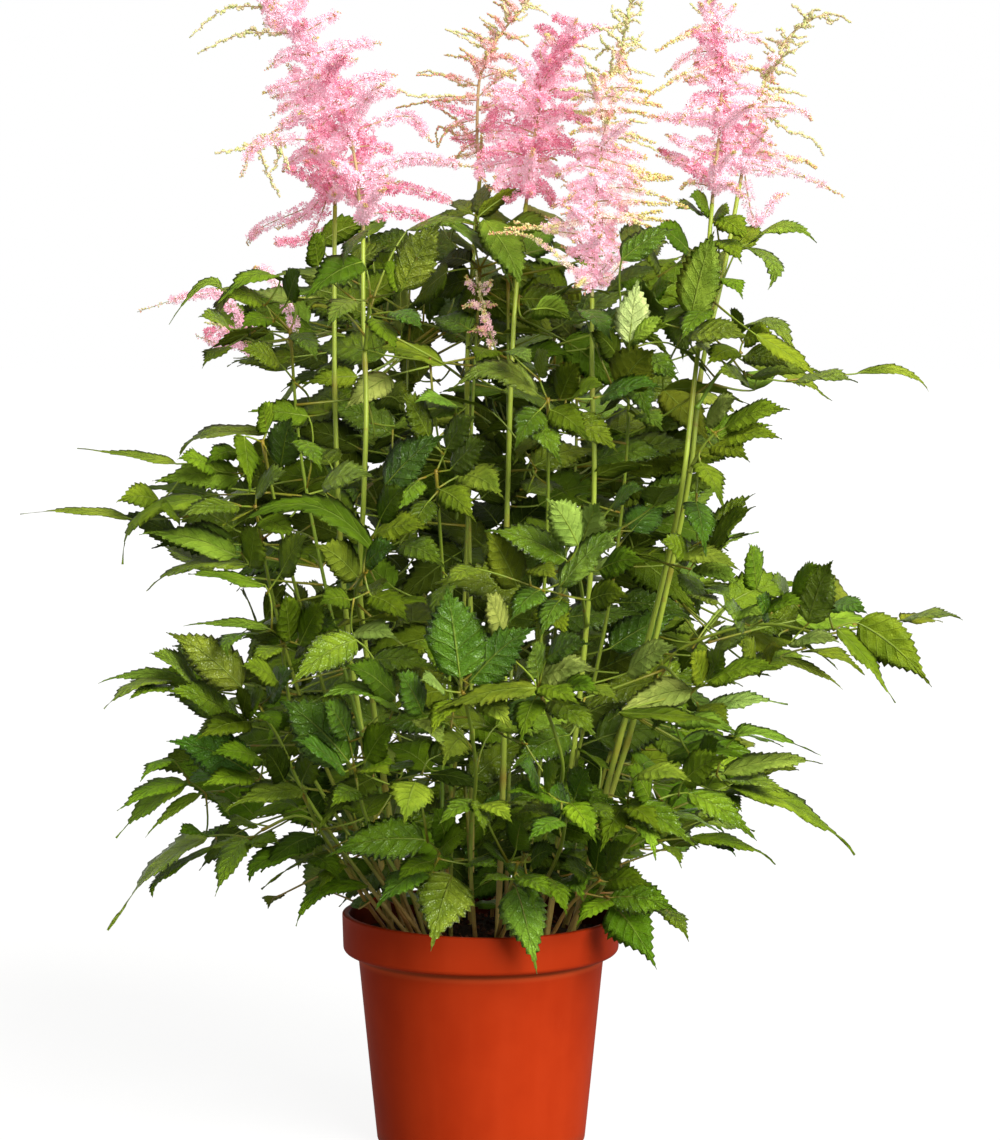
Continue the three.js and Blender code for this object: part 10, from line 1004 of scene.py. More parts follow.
        ((99.7,-66.8,548.6), (110.1,-54.8,576.9), (101.2,-73.1,590.3), (92.2,-91.4,597.4), (0.89,-0.45,-0.02), 20.6, "d"),
        ((105.9,-59.6,565.6), (114.2,-52.2,583.5), (121.1,-70.2,592.9), (127.9,-88.2,596.7), (-0.94,-0.3,0.16), 17.6, "m"),
        ((112.5,-53.7,579.9), (120.9,-34.3,603.3), (113.5,-52.4,614.4), (106.1,-70.4,619.6), (0.93,-0.27,0.24), 19.1, "d"),
        ((119.2,-38.2,598.6), (140.1,-40.2,616.1), (126.9,-58.7,627.8), (113.7,-77.2,632.8), (0.84,-0.46,0.3), 21.8, "d"),
        ((98.3,-46.5,486.8), (40.3,-25.3,495.7), (19.2,-7.7,497.5), (-1.9,9.9,490.5), (0.14,0.31,0.94), 26, "d"),
        ((94.6,-35.5,439.5), (65.2,-25.2,449.5), (80.5,-10,450.9), (95.9,5.1,445.4), (-0.04,0.17,0.98), 20.4, "d"),
        ((77,-29.3,445.5), (77.1,-47.9,465.3), (96,-57.7,473.4), (114.8,-67.6,474.6), (0.01,0.44,0.9), 20.4, "o"),
        ((51.9,-29.5,493.9), (47.2,-50.9,492.1), (34.4,-79.2,490.7), (21.6,-107.5,479.1), (-0.15,-0.16,0.98), 29.8, "b"),
        ((92.7,-32,420.8), (113.9,19.7,439.8), (140.6,31.3,451.7), (167.4,42.9,456.7), (0.18,-0.81,0.55), 27.4, "m"),
        ((99.7,-67.5,550.6), (92.4,-110.9,610.2), (110.7,-109.4,624.7), (129.1,-108,632.6), (-0.27,-0.8,0.54), 22.1, "m"),
        ((99.6,-65.5,544.5), (115.2,-30.7,563.9), (135.7,-23.5,576.7), (156.2,-16.4,585), (-0.36,-0.27,0.89), 21.9, "m"),
        ((67.5,-11.5,276.5), (80.8,15.8,277.8), (109.6,28.5,283.8), (138.4,41.2,280.9), (0.36,-0.85,0.38), 32.7, "d"),
        ((99.7,-67.5,550.6), (126.9,-38,554.2), (141.7,-32,545.6), (156.4,-25.9,530), (0.61,0.1,0.79), 20.3, "m"),
        ((90.8,-28.5,401.9), (142.8,-18.2,404.7), (161.8,0.5,413.8), (180.9,19.2,420.1), (-0.3,-0.08,0.95), 24.1, "b"),
        ((61.9,-9.6,251.4), (94.4,-7.7,241), (115.2,-15.6,235.7), (136,-23.6,227.4), (0.31,0,0.95), 20.8, "m"),
        ((57.6,-8.3,232.6), (76.3,-7.1,227.6), (105,-5,221.6), (133.7,-2.8,207.9), (0.31,-0.5,0.81), 27.8, "k"),
        ((92.7,-32,420.8), (95,9.6,422.3), (123.2,26.2,421.1), (151.4,42.8,410.6), (0.11,0.17,0.98), 31.8, "d"),
        ((93.4,-33.2,427.1), (102.3,-29.4,426.4), (114.7,-5.8,436.9), (127.1,17.8,440.1), (0.37,-0.43,0.82), 24.1, "g"),
        ((92.1,-30.9,414.5), (111.4,22.2,431.1), (130.8,40.4,445.7), (150.3,58.6,451.8), (0.38,-0.73,0.56), 24.2, "k"),
        ((93.4,-33.2,427.1), (117.8,-29.3,444.1), (123.3,-54,456.9), (128.8,-78.8,461), (-0.04,0.32,0.95), 26.5, "m"),
        ((90.8,-28.5,401.9), (103.5,-11.8,404.6), (121.6,11,411), (139.6,33.7,413.9), (-0.26,0.01,0.97), 24.7, "m"),
        ((41.3,-4.4,164.1), (12.6,-9.5,165), (6.9,16.1,164.3), (1.3,41.7,160.7), (-0.17,0.04,0.98), 28.1, "d"),
        ((99.7,-67.5,550.6), (97.2,-123.6,557), (99.9,-129.6,580.8), (102.7,-129.6,600.5), (0.1,-0.8,0.35), 22, "w"),
        ((99.7,-67.5,550.6), (99.6,-127.9,559.1), (109.6,-132.9,569.5), (119.5,-131.9,576), (0.2,-0.6,0.7), 13, "b"),
    ]),
    "leaf_26": ([(154.6,-7.1,553.1), (154.7,-13.6,560.5), (154.9,-20.2,567.8), (155,-27.7,574.2), (155.2,-36.3,579), (155.4,-45.1,583.3)], 1.5, [], [
        ((155.4,-43.2,582.4), (151.2,-48.8,576.7), (141.7,-67.1,570.4), (132.1,-85.4,557.8), (-0.14,-0.4,0.91), 20.5, "m"),
        ((155.2,-36.3,579), (163.9,-36.4,597.9), (169.2,-54.3,594.7), (174.5,-72.2,585.9), (0.11,-0.29,0.95), 16.9, "m"),
        ((152,-47.7,577.8), (141.2,-48.4,572), (148.9,-51.5,606.8), (156.6,-54.7,632.8), (-0.38,-0.93,0), 29.6, "b"),
        ((162.2,-36.4,594.1), (161.7,-26.1,623.4), (168,-44.1,619), (174.3,-62.2,608.9), (-0.01,-0.37,0.93), 18.4, "m"),
        ((161.8,-28.2,617.5), (176.8,-22.3,618.6), (195.8,-40.9,608.7), (191.9,-59.5,592.3), (0.47,-0.38,0.8), 20.7, "b"),
        ((173.8,-23.5,618.4), (183,-8.8,621.3), (204,-28.1,632.8), (225.3,-47.4,624.1), (-0.28,-0.24,0.93), 24.7, "b"),
        ((161.8,-28.2,617.5), (160.7,-18.4,637.5), (170.3,-36.7,633.5), (180,-55,623.5), (-0.3,-0.47,0.83), 19.7, "m"),
        ((160.9,-20.4,633.5), (158.7,-5,638.9), (163.1,-22.6,642.7), (167.5,-40.1,641.5), (-0.85,-0.17,0.5), 15.6, "m"),
        ((160.9,-20.4,633.5), (148.4,-20.5,642.2), (139.4,-38.3,646.6), (130.5,-56.2,645.4), (0.59,-0.23,0.77), 17.3, "m"),
        ((153.4,-20.5,638.7), (155.2,-19.8,641.5), (147.2,-37.8,650.3), (139.1,-55.7,653.4), (0.91,-0.33,0.24), 17.7, "m"),
        ((143.4,-48.3,573.2), (123.3,-31,522.5), (153.9,-30.8,522.9), (184.5,-30.6,513.3), (0.14,0.3,0.94), 29.1, "b"),
        ((139.4,-44.8,563.1), (112.3,-56.3,572.7), (113.3,-87,585.8), (114.4,-117.7,588.8), (0.84,0.16,0.52), 29.8, "b"),
        ((155,-27.7,574.2), (174.9,13.8,615.7), (184.3,31.1,629.1), (193.8,48.4,635), (-0.08,-0.45,0.89), 21.9, "m"),
        ((155.2,-36.3,579), (137,-14.6,576.3), (138.4,9,560.7), (139.9,32.6,541.4), (-0.06,0.6,0.8), 26.9, "g"),
        ((155.4,-45.1,583.3), (181,-100,561.8), (202.8,-102.4,549.2), (224.7,-104.8,534.1), (0.42,-0.5,0.76), 22.4, "m"),
        ((154.9,-20.2,567.8), (141.4,22.1,600), (158.2,42.9,610.2), (174.9,63.8,616.6), (0.37,-0.59,0.72), 26.1, "l"),
        ((154.7,-13.6,560.5), (183.1,-22.9,538.9), (211.8,-12.3,531.8), (240.5,-1.7,516), (0.45,-0.33,0.83), 29.2, "o"),
    ]),
    "leaf_27": ([(144.6,-58.7,511), (149.7,-57.8,519.4), (154.8,-57,527.8), (160.7,-56,535.7), (167.7,-54.8,542.4), (175.2,-53.6,548.8)], 1.5, [], [
        ((172.1,-54.1,546.1), (176.5,-53.7,546.1), (190.5,-72.3,546.7), (204.5,-90.9,540.8), (-0.47,-0.46,0.75), 21.1, "d"),
        ((173.6,-53.9,547.4), (171.1,-55.1,550.2), (160.1,-73.2,549.2), (149.1,-91.3,542.1), (0.32,-0.38,0.87), 19.4, "d"),
        ((173.6,-53.9,547.4), (177,-45.7,556.6), (186.4,-63.8,561.3), (195.8,-81.9,560.3), (-0.82,-0.38,0.44), 17.7, "m"),
        ((176.3,-47.3,554.8), (176.7,-28,560.8), (195.6,-47.2,568.7), (213.7,-66.4,543.2), (0.1,-0.33,0.94), 24.2, "b"),
        ((176.5,-39.6,557.2), (171.9,-41.2,563.1), (172.7,-58.8,572.6), (173.6,-76.5,576.7), (-0.83,-0.23,-0.5), 16.3, "m"),
        ((169.2,-54.6,543.7), (180.9,-60.6,531.7), (202.6,-80,539.2), (224.3,-99.3,538.5), (-0.36,-0.25,0.9), 26.4, "b"),
        ((176.2,-58.2,536.5), (178.1,-62.6,529.1), (166.7,-80.7,536.2), (155.3,-98.7,537.2), (0.67,-0.27,0.69), 18.8, "m"),
        ((165,-55.3,539.8), (155.2,-51.8,548.7), (148.3,-69.4,554), (141.3,-87.1,553.9), (0.84,-0.26,0.48), 16.5, "l"),
        ((157.4,-56.6,531.3), (139.1,-64.6,559.1), (158.8,-83.7,563.5), (178.6,-102.8,560.3), (-0.44,-0.43,0.78), 23.7, "b"),
        ((178.6,-59.4,534.1), (212.6,-38.6,528.1), (231.7,-57.7,533.3), (250.8,-76.8,531), (-0.28,-0.21,0.94), 23.3, "b"),
        ((205.8,-42.8,529.3), (255,-9.9,532.4), (285.4,-12.5,535.2), (305,-15.1,522.4), (0.1,-0.58,0.81), 10.2, "n"),
        ((156.3,-56.7,529.8), (99.7,-22.4,491.3), (85,-7.1,494.5), (70.2,8.2,490.9), (0.21,0.22,0.95), 20, "m"),
        ((122.3,-36.1,506.7), (110.9,-50,500.4), (109.9,-76.9,505.2), (109,-103.9,501.4), (0.37,0.01,0.93), 25.3, "o"),
        ((154.8,-57,527.8), (187.7,7,520.7), (193.9,34.2,532.3), (200.2,61.4,533.1), (-0.18,-0.18,0.97), 24.6, "b"),
    ]),
    "leaf_28": ([(139.1,-69,469.2), (142.1,-69.9,475.1), (145,-70.7,480.9), (148.4,-71.7,486.5), (152.5,-72.8,491.5), (156.9,-74.1,496.3)], 1.5, [], [
        ((155.9,-73.8,495.2), (159.5,-75,491), (178.7,-94.1,497.2), (197.9,-113.2,495.8), (-0.48,-0.39,0.78), 24.5, "m"),
        ((156.8,-74.1,496.2), (163,-71.3,498.8), (183.2,-90.6,510.8), (203.3,-109.9,514.7), (-0.64,-0.39,0.66), 25, "m"),
        ((155.9,-73.8,495.2), (150.2,-74.4,501.6), (160,-92.8,515), (169.7,-111.2,521.9), (-0.91,-0.36,0.22), 20, "l"),
        ((151.7,-72.6,490.5), (154.1,-77.9,487.2), (165.5,-96.2,486.8), (177,-114.6,480.2), (-0.41,-0.41,0.81), 18.9, "m"),
        ((146.5,-71.1,483.4), (145.3,-93.4,477.5), (152.2,-112,467.7), (159.1,-130.7,451.1), (0.31,-0.47,0.83), 21.5, "m"),
        ((145.8,-84.5,479.9), (143.2,-86.1,450.5), (145.6,-104.9,438.3), (147.9,-123.6,419.1), (0.4,-0.56,0.73), 23.1, "g"),
        ((143.7,-85.8,456.4), (147.4,-84.6,415.8), (164.1,-96.4,442.1), (180.8,-108.2,460), (-0.77,-0.57,0.28), 26, "m"),
        ((146.7,-84.8,423.9), (149.6,-94.2,415.3), (164.7,-112.8,438.5), (179.9,-131.4,453.2), (-0.86,-0.27,0.43), 27.6, "d"),
        ((146.7,-84.8,423.9), (132.6,-102.8,416), (150.9,-121.8,417.8), (169.2,-140.7,412.1), (-0.27,-0.35,0.89), 22.8, "b"),
        ((135.4,-99.2,417.6), (143.3,-101.4,409.3), (156.6,-120,407.7), (170,-138.6,399.5), (-0.18,-0.37,0.91), 20.2, "b"),
        ((148.4,-90.4,418.7), (138.3,-81.5,402.1), (141.4,-99.9,393.1), (144.5,-118.4,377.8), (0.42,-0.45,0.79), 20.1, "m"),
        ((140.1,-100.5,412.6), (138.8,-96.9,412.8), (128.1,-115.1,424.2), (117.4,-133.3,429.1), (0.88,-0.45,0.15), 20.4, "m"),
        ((140.3,-83.3,405.4), (98.1,-49.1,413.3), (115.7,-61.2,412), (133.3,-73.2,403.7), (0.29,0.04,0.96), 20.5, "o"),
    ]),
    "leaf_29": ([(-5.7,64.7,145.14), (-9.8,69.7,212.7), (-14,81.1,279.7), (-3.9,104.4,342.3), (20.4,153.9,379.6), (65.8,203.4,377.8)], 1.9, [], [
        ((64.7,202.2,377.8), (64.2,198.8,388.2), (68.9,218.6,368.3), (73.5,238.3,339.3), (0.46,0.65,0.61), 27.4, "m"),
        ((55.8,192.5,378.2), (70.7,186.6,405), (89.9,199.5,408.1), (109.1,212.3,404.8), (0.26,-0.38,0.89), 21.7, "g"),
        ((64.7,202.2,377.8), (46.6,213.1,389.4), (53.4,236,374.3), (60.3,258.9,350.6), (0.95,-0.31,-0.04), 29.5, "b"),
        ((64.7,189,394.3), (79.2,181.7,372.3), (95.3,202.5,373), (111.4,223.7,363.6), (0.13,0.1,0.99), 23.1, "m"),
        ((67.7,187.8,399.6), (81.7,176.9,392.8), (98.4,186.4,418.9), (115,195.8,436.8), (0.8,-0.42,-0.43), 27.4, "o"),
        ((76.3,183.2,376.7), (77.7,178.9,377.7), (97.1,193.8,383.9), (116.6,208.7,383.3), (0.18,-0.4,0.9), 21.3, "l"),
        ((67.7,187.8,399.6), (89,167.5,408.6), (108.2,173.1,425.2), (127.3,178.9,435.1), (0.13,-0.96,0.23), 20.7, "m"),
        ((84.7,171.6,406.8), (78.2,148.1,404.7), (98,158,413.1), (117.8,168,415), (0.14,-0.67,0.73), 19.7, "m"),
        ((79.5,152.8,405.1), (100.2,161.1,390.7), (116.4,147.5,404.3), (132.5,133.9,411.3), (0.56,0.81,0.2), 21.3, "k"),
        ((55.8,192.5,378.2), (19.3,248.8,382.9), (40.7,264.7,389.7), (62.2,280.6,389), (0.08,-0.29,0.95), 23.2, "m"),
        ((91.9,157.8,396.5), (96.4,166,412.4), (115.1,162.8,433.5), (133.9,159.5,447.3), (0.47,0.81,-0.35), 22.3, "d"),
        ((6.3,125.1,357.9), (27,103,366.2), (13.1,86.4,363.7), (-0.8,69.6,353.9), (-0.04,-0.32,0.95), 21.2, "d"),
        ((77.4,179.8,377.5), (80.1,167,368.7), (79,188,362), (78.2,206.1,351), (0.56,0.36,0.74), 8.6, "n"),
        ((79.5,152.8,405.1), (93.3,123.6,412.4), (110.6,134,412.6), (128,144.3,407.1), (0.1,0.08,0.99), 17.6, "d"),
        ((65.8,203.4,377.8), (123,202.3,334), (151.3,204.6,325.1), (179.7,206.9,309.9), (0.34,-0.65,0.68), 26.2, "d"),
    ]),
    "leaf_30": ([(28.4,31.2,145.27), (37.4,39.8,221.5), (46.1,46.2,298.3), (55,52.8,375), (65.4,59.9,451.5), (67.5,75.9,527.3)], 1.9, [[(67.4,75.5,525.4), (52.4,125.6,533.5), (37.4,175.6,524.8)]], [
        ((67,72.4,510.7), (68.2,77.3,549.1), (56.9,92,562.8), (45.6,106.6,570.4), (0.64,0.71,-0.3), 19.3, "d"),
        ((67,72.4,510.7), (74.6,76.1,508.4), (81.5,97.9,517.5), (88.4,119.7,520), (-0.89,0.17,0.42), 20.4, "d"),
        ((67.4,75.5,525.4), (93.4,75.4,547.1), (94.5,98.9,552.9), (95.6,122.6,552.1), (-0.78,-0.03,0.62), 20.5, "m"),
        ((68,76.3,541.4), (72.9,68,560.9), (80.2,93.1,564.5), (92.3,120.4,547.9), (-0.13,0.28,0.95), 24.7, "b"),
        ((41.2,163,527), (17.2,155.8,509.7), (35.2,167.7,510.2), (53.1,179.6,504.8), (0.43,-0.5,0.75), 19.5, "d"),
        ((38.3,172.7,525.3), (25.6,174.7,500), (41.7,201.2,508), (57.6,227.7,507.2), (0.31,-0.31,0.9), 28.1, "b"),
        ((28.1,174.3,505.1), (-10.6,144.5,528.6), (10.5,162.6,536.7), (31.6,179.9,510.4), (0.34,0.08,0.94), 25, "m"),
        ((55.7,114.4,531.7), (20.6,106.8,529.8), (31.9,130.9,534.1), (43.2,155.1,531), (0.56,-0.28,0.78), 23, "m"),
        ((-2.9,150.5,523.9), (-4.8,183.1,492.9), (14.8,200.1,497.9), (34.3,217.1,495.7), (0.19,-0.29,0.94), 22.3, "g"),
        ((65.8,63,466.4), (32.8,16,484.6), (41.7,-7.5,482.9), (50.8,-31.1,472.8), (0.75,0.12,0.65), 24.4, "d"),
        ((65.8,63,466.4), (28.5,62.4,461.5), (5.2,47,468.4), (-18.2,31.5,466.4), (-0.16,0.38,0.91), 26.4, "d"),
        ((39.4,25.4,481), (29.5,14.7,455.4), (44.6,-1.8,457.2), (59.9,-18.2,451.9), (0.04,-0.08,1), 21.1, "d"),
        ((67.4,75.5,525.4), (59.9,78.7,523), (46.7,91.7,518.1), (33.6,104.6,507.5), (-0.19,0.36,0.92), 17.3, "m"),
        ((77.8,75.5,534.1), (83.6,72.4,530.9), (82.2,91,530.9), (80.7,109.5,525.6), (-0.54,0.08,0.84), 16.9, "m"),
        ((82.4,73,531.5), (97.3,68.6,526.8), (91.8,84.6,538.7), (86.2,100.6,545.2), (-0.95,-0.29,-0.07), 17.4, "d"),
        ((88.2,75.4,542.8), (101.3,103.8,532.2), (105,124.1,540.4), (108.7,144.3,542.5), (-0.72,-0.04,0.69), 18.3, "b"),
        ((22,157.2,513.2), (19.2,146,510.8), (36.1,135,509.9), (52.9,123.9,503.1), (0.4,0.3,0.87), 18.5, "m"),
        ((94.3,69.5,527.7), (110,82.9,517.5), (107,101.5,514.7), (104.1,120.3,506.4), (-0.01,0.28,0.96), 17.8, "m"),
        ((4.9,156.4,519.2), (7.1,157.7,519.8), (25.4,167.2,525.2), (44.3,178.2,524.1), (0.42,-0.8,0.44), 19, "d"),
        ((93.4,86.8,538.6), (110.1,82.7,550.2), (121.4,89.4,554.2), (140.7,99.1,529.5), (0.08,0.73,0.68), 8.1, "n"),
        ((4.9,156.4,519.2), (5.7,153.2,522.5), (23.3,159.2,532.6), (41,165.3,536.9), (0.45,-0.74,-0.5), 17.2, "d"),
        ((19.8,148.2,511.3), (10.6,132.1,507.6), (27.3,125.7,512.6), (44,119.2,512.6), (0.25,0.84,0.48), 15.6, "d"),
        ((20.9,152.7,512.2), (25.5,154.4,491.9), (46,144.8,499.4), (66.3,135.3,500.5), (0.18,0.7,0.69), 19.8, "d"),
        ((-4.4,176.6,499.1), (-38,223,491.4), (-43.4,251.4,494.1), (-46,269.9,482), (0.54,0.25,0.81), 9.7, "n"),
        ((67.5,75.9,527.3), (127,44,519), (143.2,28.2,503.3), (159.4,12.5,483.7), (0.04,-0.73,0.68), 26.4, "o"),
        ((52.4,125.6,533.5), (51.9,166.4,603.3), (56.1,199.4,606.6), (60.4,232.3,597.3), (0.16,0.07,0.98), 31.6, "b"),
        ((43.2,44.1,272.7), (75.5,47.3,257.8), (89.7,33,247.1), (103.9,18.7,227.3), (0.05,-0.7,0.71), 24.3, "k"),
        ((64.5,59.3,445.1), (100.9,25.5,462), (130.1,34.3,481.1), (159.2,43.1,491.8), (-0.1,-0.76,0.64), 32.5, "d"),
        ((65.8,62.6,464.1), (144.1,86.8,472.7), (175.1,88.4,488.3), (206.2,90,494.5), (-0.08,-0.93,0.37), 31.6, "m"),
        ((49.8,49,330.3), (90.3,45.8,338.1), (115.2,50.3,353.4), (140.2,54.7,363.7), (-0.07,-0.89,0.45), 28.5, "g"),
        ((61.1,56.9,419.6), (134.9,92.4,430.3), (153.5,102.9,441.8), (172.1,113.3,446.2), (0.1,-0.71,0.7), 21.5, "b"),
        ((63.7,58.7,438.8), (114.4,51.5,426), (144.3,56.8,421.7), (174.1,62.1,407.8), (0.33,-0.62,0.71), 29.4, "d"),
        ((43.2,44.1,272.7), (55.8,58.3,278.1), (85.2,58.3,296.3), (114.7,58.2,306), (-0.14,0.95,0.29), 32.8, "d"),
        ((44.9,150.6,529.1), (73.5,177.6,604.4), (76.2,198.5,607.6), (79,219.4,605.7), (0.37,-0.08,0.93), 18.3, "o"),
        ((46.1,46.2,298.3), (75.5,94.4,312.9), (101.5,81.2,327.3), (127.6,68.1,338.9), (-0.56,-0.74,0.37), 31, "d"),
        ((66.3,66.6,483.1), (90.5,99,485.5), (118.4,116.7,497.4), (146.4,134.4,498.9), (0.11,-0.5,0.86), 31.7, "m"),
        ((54.3,119.3,532.5), (120.7,143.4,577.8), (145.2,162,595.2), (169.7,180.6,603.7), (0.35,-0.8,0.48), 32.1, "d"),
        ((67.5,75.9,527.3), (59.8,82.9,585.4), (33.4,87.9,600.2), (7.1,92.9,611.7), (0.18,-0.73,0.65), 28.2, "m"),
        ((41.1,163.1,527), (48.2,155.9,529.8), (78,155,538.9), (107.9,154.2,539.5), (-0.15,-0.56,0.81), 30, "m"),
        ((65.4,59.9,451.5), (117.2,65.2,459.2), (148.6,59.6,473.9), (180,53.9,476.9), (-0.27,-0.89,0.37), 30.2, "d"),
        ((61.9,57.5,426), (102.8,41,406.9), (126.6,28.9,389.8), (150.4,16.8,367.3), (0.07,-0.81,0.58), 34.2, "d"),
        ((55,52.8,375), (96.9,79.6,366.7), (124.9,73.1,365.6), (152.9,66.5,356.6), (-0.06,-0.75,0.65), 25.2, "d"),
        ((66.5,67.9,489.4), (109.3,55.5,510.1), (123.9,67.9,523), (138.6,80.4,531.4), (0.08,-0.7,0.71), 20.8, "m"),
        ((67.5,75.9,527.3), (87.9,60.2,586.7), (107.4,59.1,600), (126.9,57.9,606.2), (-0.39,-0.6,0.7), 18.9, "b"),
        ((65.8,62.6,464.1), (106.6,54.1,480.1), (133.7,49.1,498.5), (160.9,44.1,508.8), (0.24,-0.68,-0.69), 26.2, "b"),
        ((44.9,150.6,529.1), (72.3,171.3,500.1), (92.5,196.9,501.6), (112.7,222.6,499.1), (0.51,-0.39,0.77), 29.6, "m"),
        ((63.7,88,527.4), (136,116,517.1), (161.6,127.2,512.3), (187.3,138.3,497.7), (0.46,-0.35,0.81), 25.3, "b"),
        ((48.6,138.1,531.3), (56.2,190,551.4), (27.7,205.7,545.5), (-0.8,221.4,532.7), (-0.46,-0.36,0.81), 32.3, "m"),
        ((65.8,62.6,464.1), (82.6,79.3,468.1), (100.8,87.5,480.2), (119.1,95.7,488.1), (0.18,-0.89,0.41), 19.5, "d"),
        ((66.8,70.6,502), (53.2,102.1,510), (69.6,124.7,528.9), (86.1,147.4,542.7), (-0.04,-0.56,0.82), 31.9, "d"),
        ((67.5,75.9,527.3), (101.9,94.1,594.1), (123.3,111.9,605.9), (144.6,129.7,613), (-0.07,-0.4,0.91), 29.8, "m"),
        ((67.5,75.9,527.3), (99.2,32.6,579.4), (116.6,21.7,585), (134,10.9,585.5), (-0.47,-0.56,0.68), 17.7, "m"),
        ((65.4,59.9,451.5), (93.2,2.5,474.7), (121.1,3,483.6), (149,3.5,486), (-0.12,-0.73,0.67), 25.1, "d"),
        ((36.6,39.1,215.1), (50.4,71.7,209.3), (57.9,99.5,207.4), (65.4,127.3,194.3), (0.21,0.2,0.96), 28.4, "m"),
        ((67.3,74.6,521), (142,46.8,542.6), (171.9,50.6,558), (201.8,54.4,564), (-0.33,-0.09,0.94), 28.3, "o"),
        ((49.1,48.4,323.9), (111.4,49.9,319.1), (134.8,44.7,318.7), (158.3,39.5,313.9), (0.02,-0.38,0.93), 20.3, "d"),
        ((66.1,65.2,476.8), (129.4,13.6,477.5), (147,-0.2,479.6), (164.6,-13.9,475.3), (-0.2,-0.33,0.92), 23, "m"),
        ((62.8,58.1,432.4), (123.8,52.2,415.8), (147.3,56.1,409.8), (170.9,60.1,398.8), (0.37,-0.43,0.82), 22.2, "m"),
        ((65.6,61.2,457.8), (82,116.2,466.5), (85.3,141.4,484.4), (88.5,166.6,492.7), (-0.02,-0.46,0.89), 25.6, "b"),
        ((65.6,61.2,457.8), (136.2,20,454.2), (149,-0.3,457.7), (161.7,-20.7,455), (-0.53,-0.32,0.78), 21.3, "b"),
        ((66.6,69.2,495.7), (85.5,49.4,503.7), (102,33.6,519.1), (118.4,17.8,526.8), (-0.7,-0.23,0.68), 22.6, "k"),
        ((66.5,67.9,489.4), (133.4,45.6,484.9), (154.9,45.2,483.2), (176.5,44.9,479.6), (0.09,-0.57,0.81), 20.8, "b"),
        ((64.5,59.3,445.1), (98.7,84.1,456.4), (122.3,101.6,474.4), (146,119,488.2), (-0.06,-0.62,0.78), 30.9, "b"),
        ((33.6,36.2,189.7), (21.1,21.8,183.9), (1.2,17.7,176), (-18.6,13.6,163.6), (0.11,-0.98,0.19), 23.6, "k"),
    ]),
    "leaf_31": ([(11.1,30.1,145.12), (14.4,23.1,235.2), (17,17.4,325.6), (18.1,15,416.2), (18.7,11.6,506.8), (18.8,7.3,597.3)], 1.9, [[(18.7,9.9,542.2), (-40.8,78.9,564.4), (-100.4,148,557.4)]], [
        ((18.8,7.4,595), (21.7,21.9,597.4), (33.3,43.5,593.3), (44.9,65.1,582.2), (-0.81,0.53,0.25), 23.2, "m"),
        ((20.5,16.1,596.4), (27.7,-4.5,582.9), (48.7,-16.9,582.4), (69.8,-29.3,574.9), (-0.42,-0.83,0.36), 22.3, "d"),
        ((20,13.2,596), (18.2,18.4,583.9), (33.1,31.1,573.4), (47.8,43.8,556.1), (-0.73,0.66,-0.17), 21.6, "d"),
        ((26.3,-0.4,585.6), (31.7,2.4,581.6), (60,2.2,589.8), (88.4,1.9,588.7), (-0.12,-0.2,0.97), 26.9, "d"),
        ((26.3,-0.4,585.6), (30.4,-31,570.5), (50.9,-37.5,588), (71.5,-44,598.5), (-0.52,0.17,0.84), 22.1, "b"),
        ((-4.4,36.7,550.8), (-4.9,39.4,556.1), (10.2,55.6,562.7), (25.3,71.9,563), (-0.52,0.31,0.8), 20.3, "d"),
        ((20.5,16.1,596.4), (1.9,-4.1,637), (18.8,-32.7,615.4), (27.1,-43.1,592.4), (0.01,-0.75,0.66), 27.8, "b"),
        ((7.1,23.3,546.5), (6.8,-9.6,548.1), (2,-34.2,549.1), (-2.8,-58.9,542.2), (0.15,-0.15,0.98), 23.8, "d"),
        ((18.7,9.9,542.2), (25.8,9.2,542.9), (44.2,-7.4,548.5), (62.7,-24,547.3), (-0.5,-0.46,0.73), 22.4, "d"),
        ((29.6,-24.9,573.5), (36.4,-76.7,577.9), (49.4,-55.3,577.5), (62.3,-34,570), (-0.63,0.49,0.6), 21.7, "b"),
        ((-96.9,144,557.8), (-100.9,162.8,588), (-119.4,179.5,591.4), (-137.7,201.2,575.6), (-0.31,0,0.95), 23.5, "m"),
        ((-50.6,90.3,563.2), (-50.1,62.4,490.1), (-35.7,39.4,496.8), (-21.2,16.2,494.9), (-0.39,-0.15,0.91), 25.7, "d"),
        ((18.8,7.4,595), (14.5,11.1,597.6), (26.5,29.3,600.4), (38.3,47.4,597.2), (-0.58,0.39,0.72), 19.6, "o"),
        ((5.6,-0.1,628.9), (18.3,10.4,634.3), (35.5,-2.8,634.9), (52.6,-16.1,629.2), (-0.41,-0.65,0.64), 19.7, "b"),
        ((5.6,-0.1,628.9), (-2.3,-1.7,638.7), (15.4,3.9,652.4), (33.3,9.6,660.2), (-0.56,0.5,0.66), 19.4, "o"),
        ((-96.9,144,557.8), (-107.2,145,558.5), (-125.2,135.5,553), (-143.1,125.8,541.4), (-0.4,-0.07,0.92), 19, "m"),
        ((-98.5,151.5,569.9), (-101.1,168.1,560.4), (-120.9,174.6,560.4), (-140.8,181.1,554.5), (-0.28,-0.47,0.84), 19, "d"),
        ((-99.3,155.3,575.9), (-101.3,147.1,580.1), (-117.9,141.1,593.1), (-134.4,135.2,600.4), (-0.48,0.82,-0.3), 18.3, "b"),
        ((-103.1,144.6,558.2), (-111.6,154.7,532.7), (-134.4,161.2,542.1), (-157.4,167.6,544.7), (-0.14,-0.9,0.42), 21.2, "d"),
        ((-100.1,159,582), (-98.1,179.2,578.1), (-117.1,192.5,583.8), (-136.2,205.8,583.1), (-0.39,-0.68,0.62), 20.1, "m"),
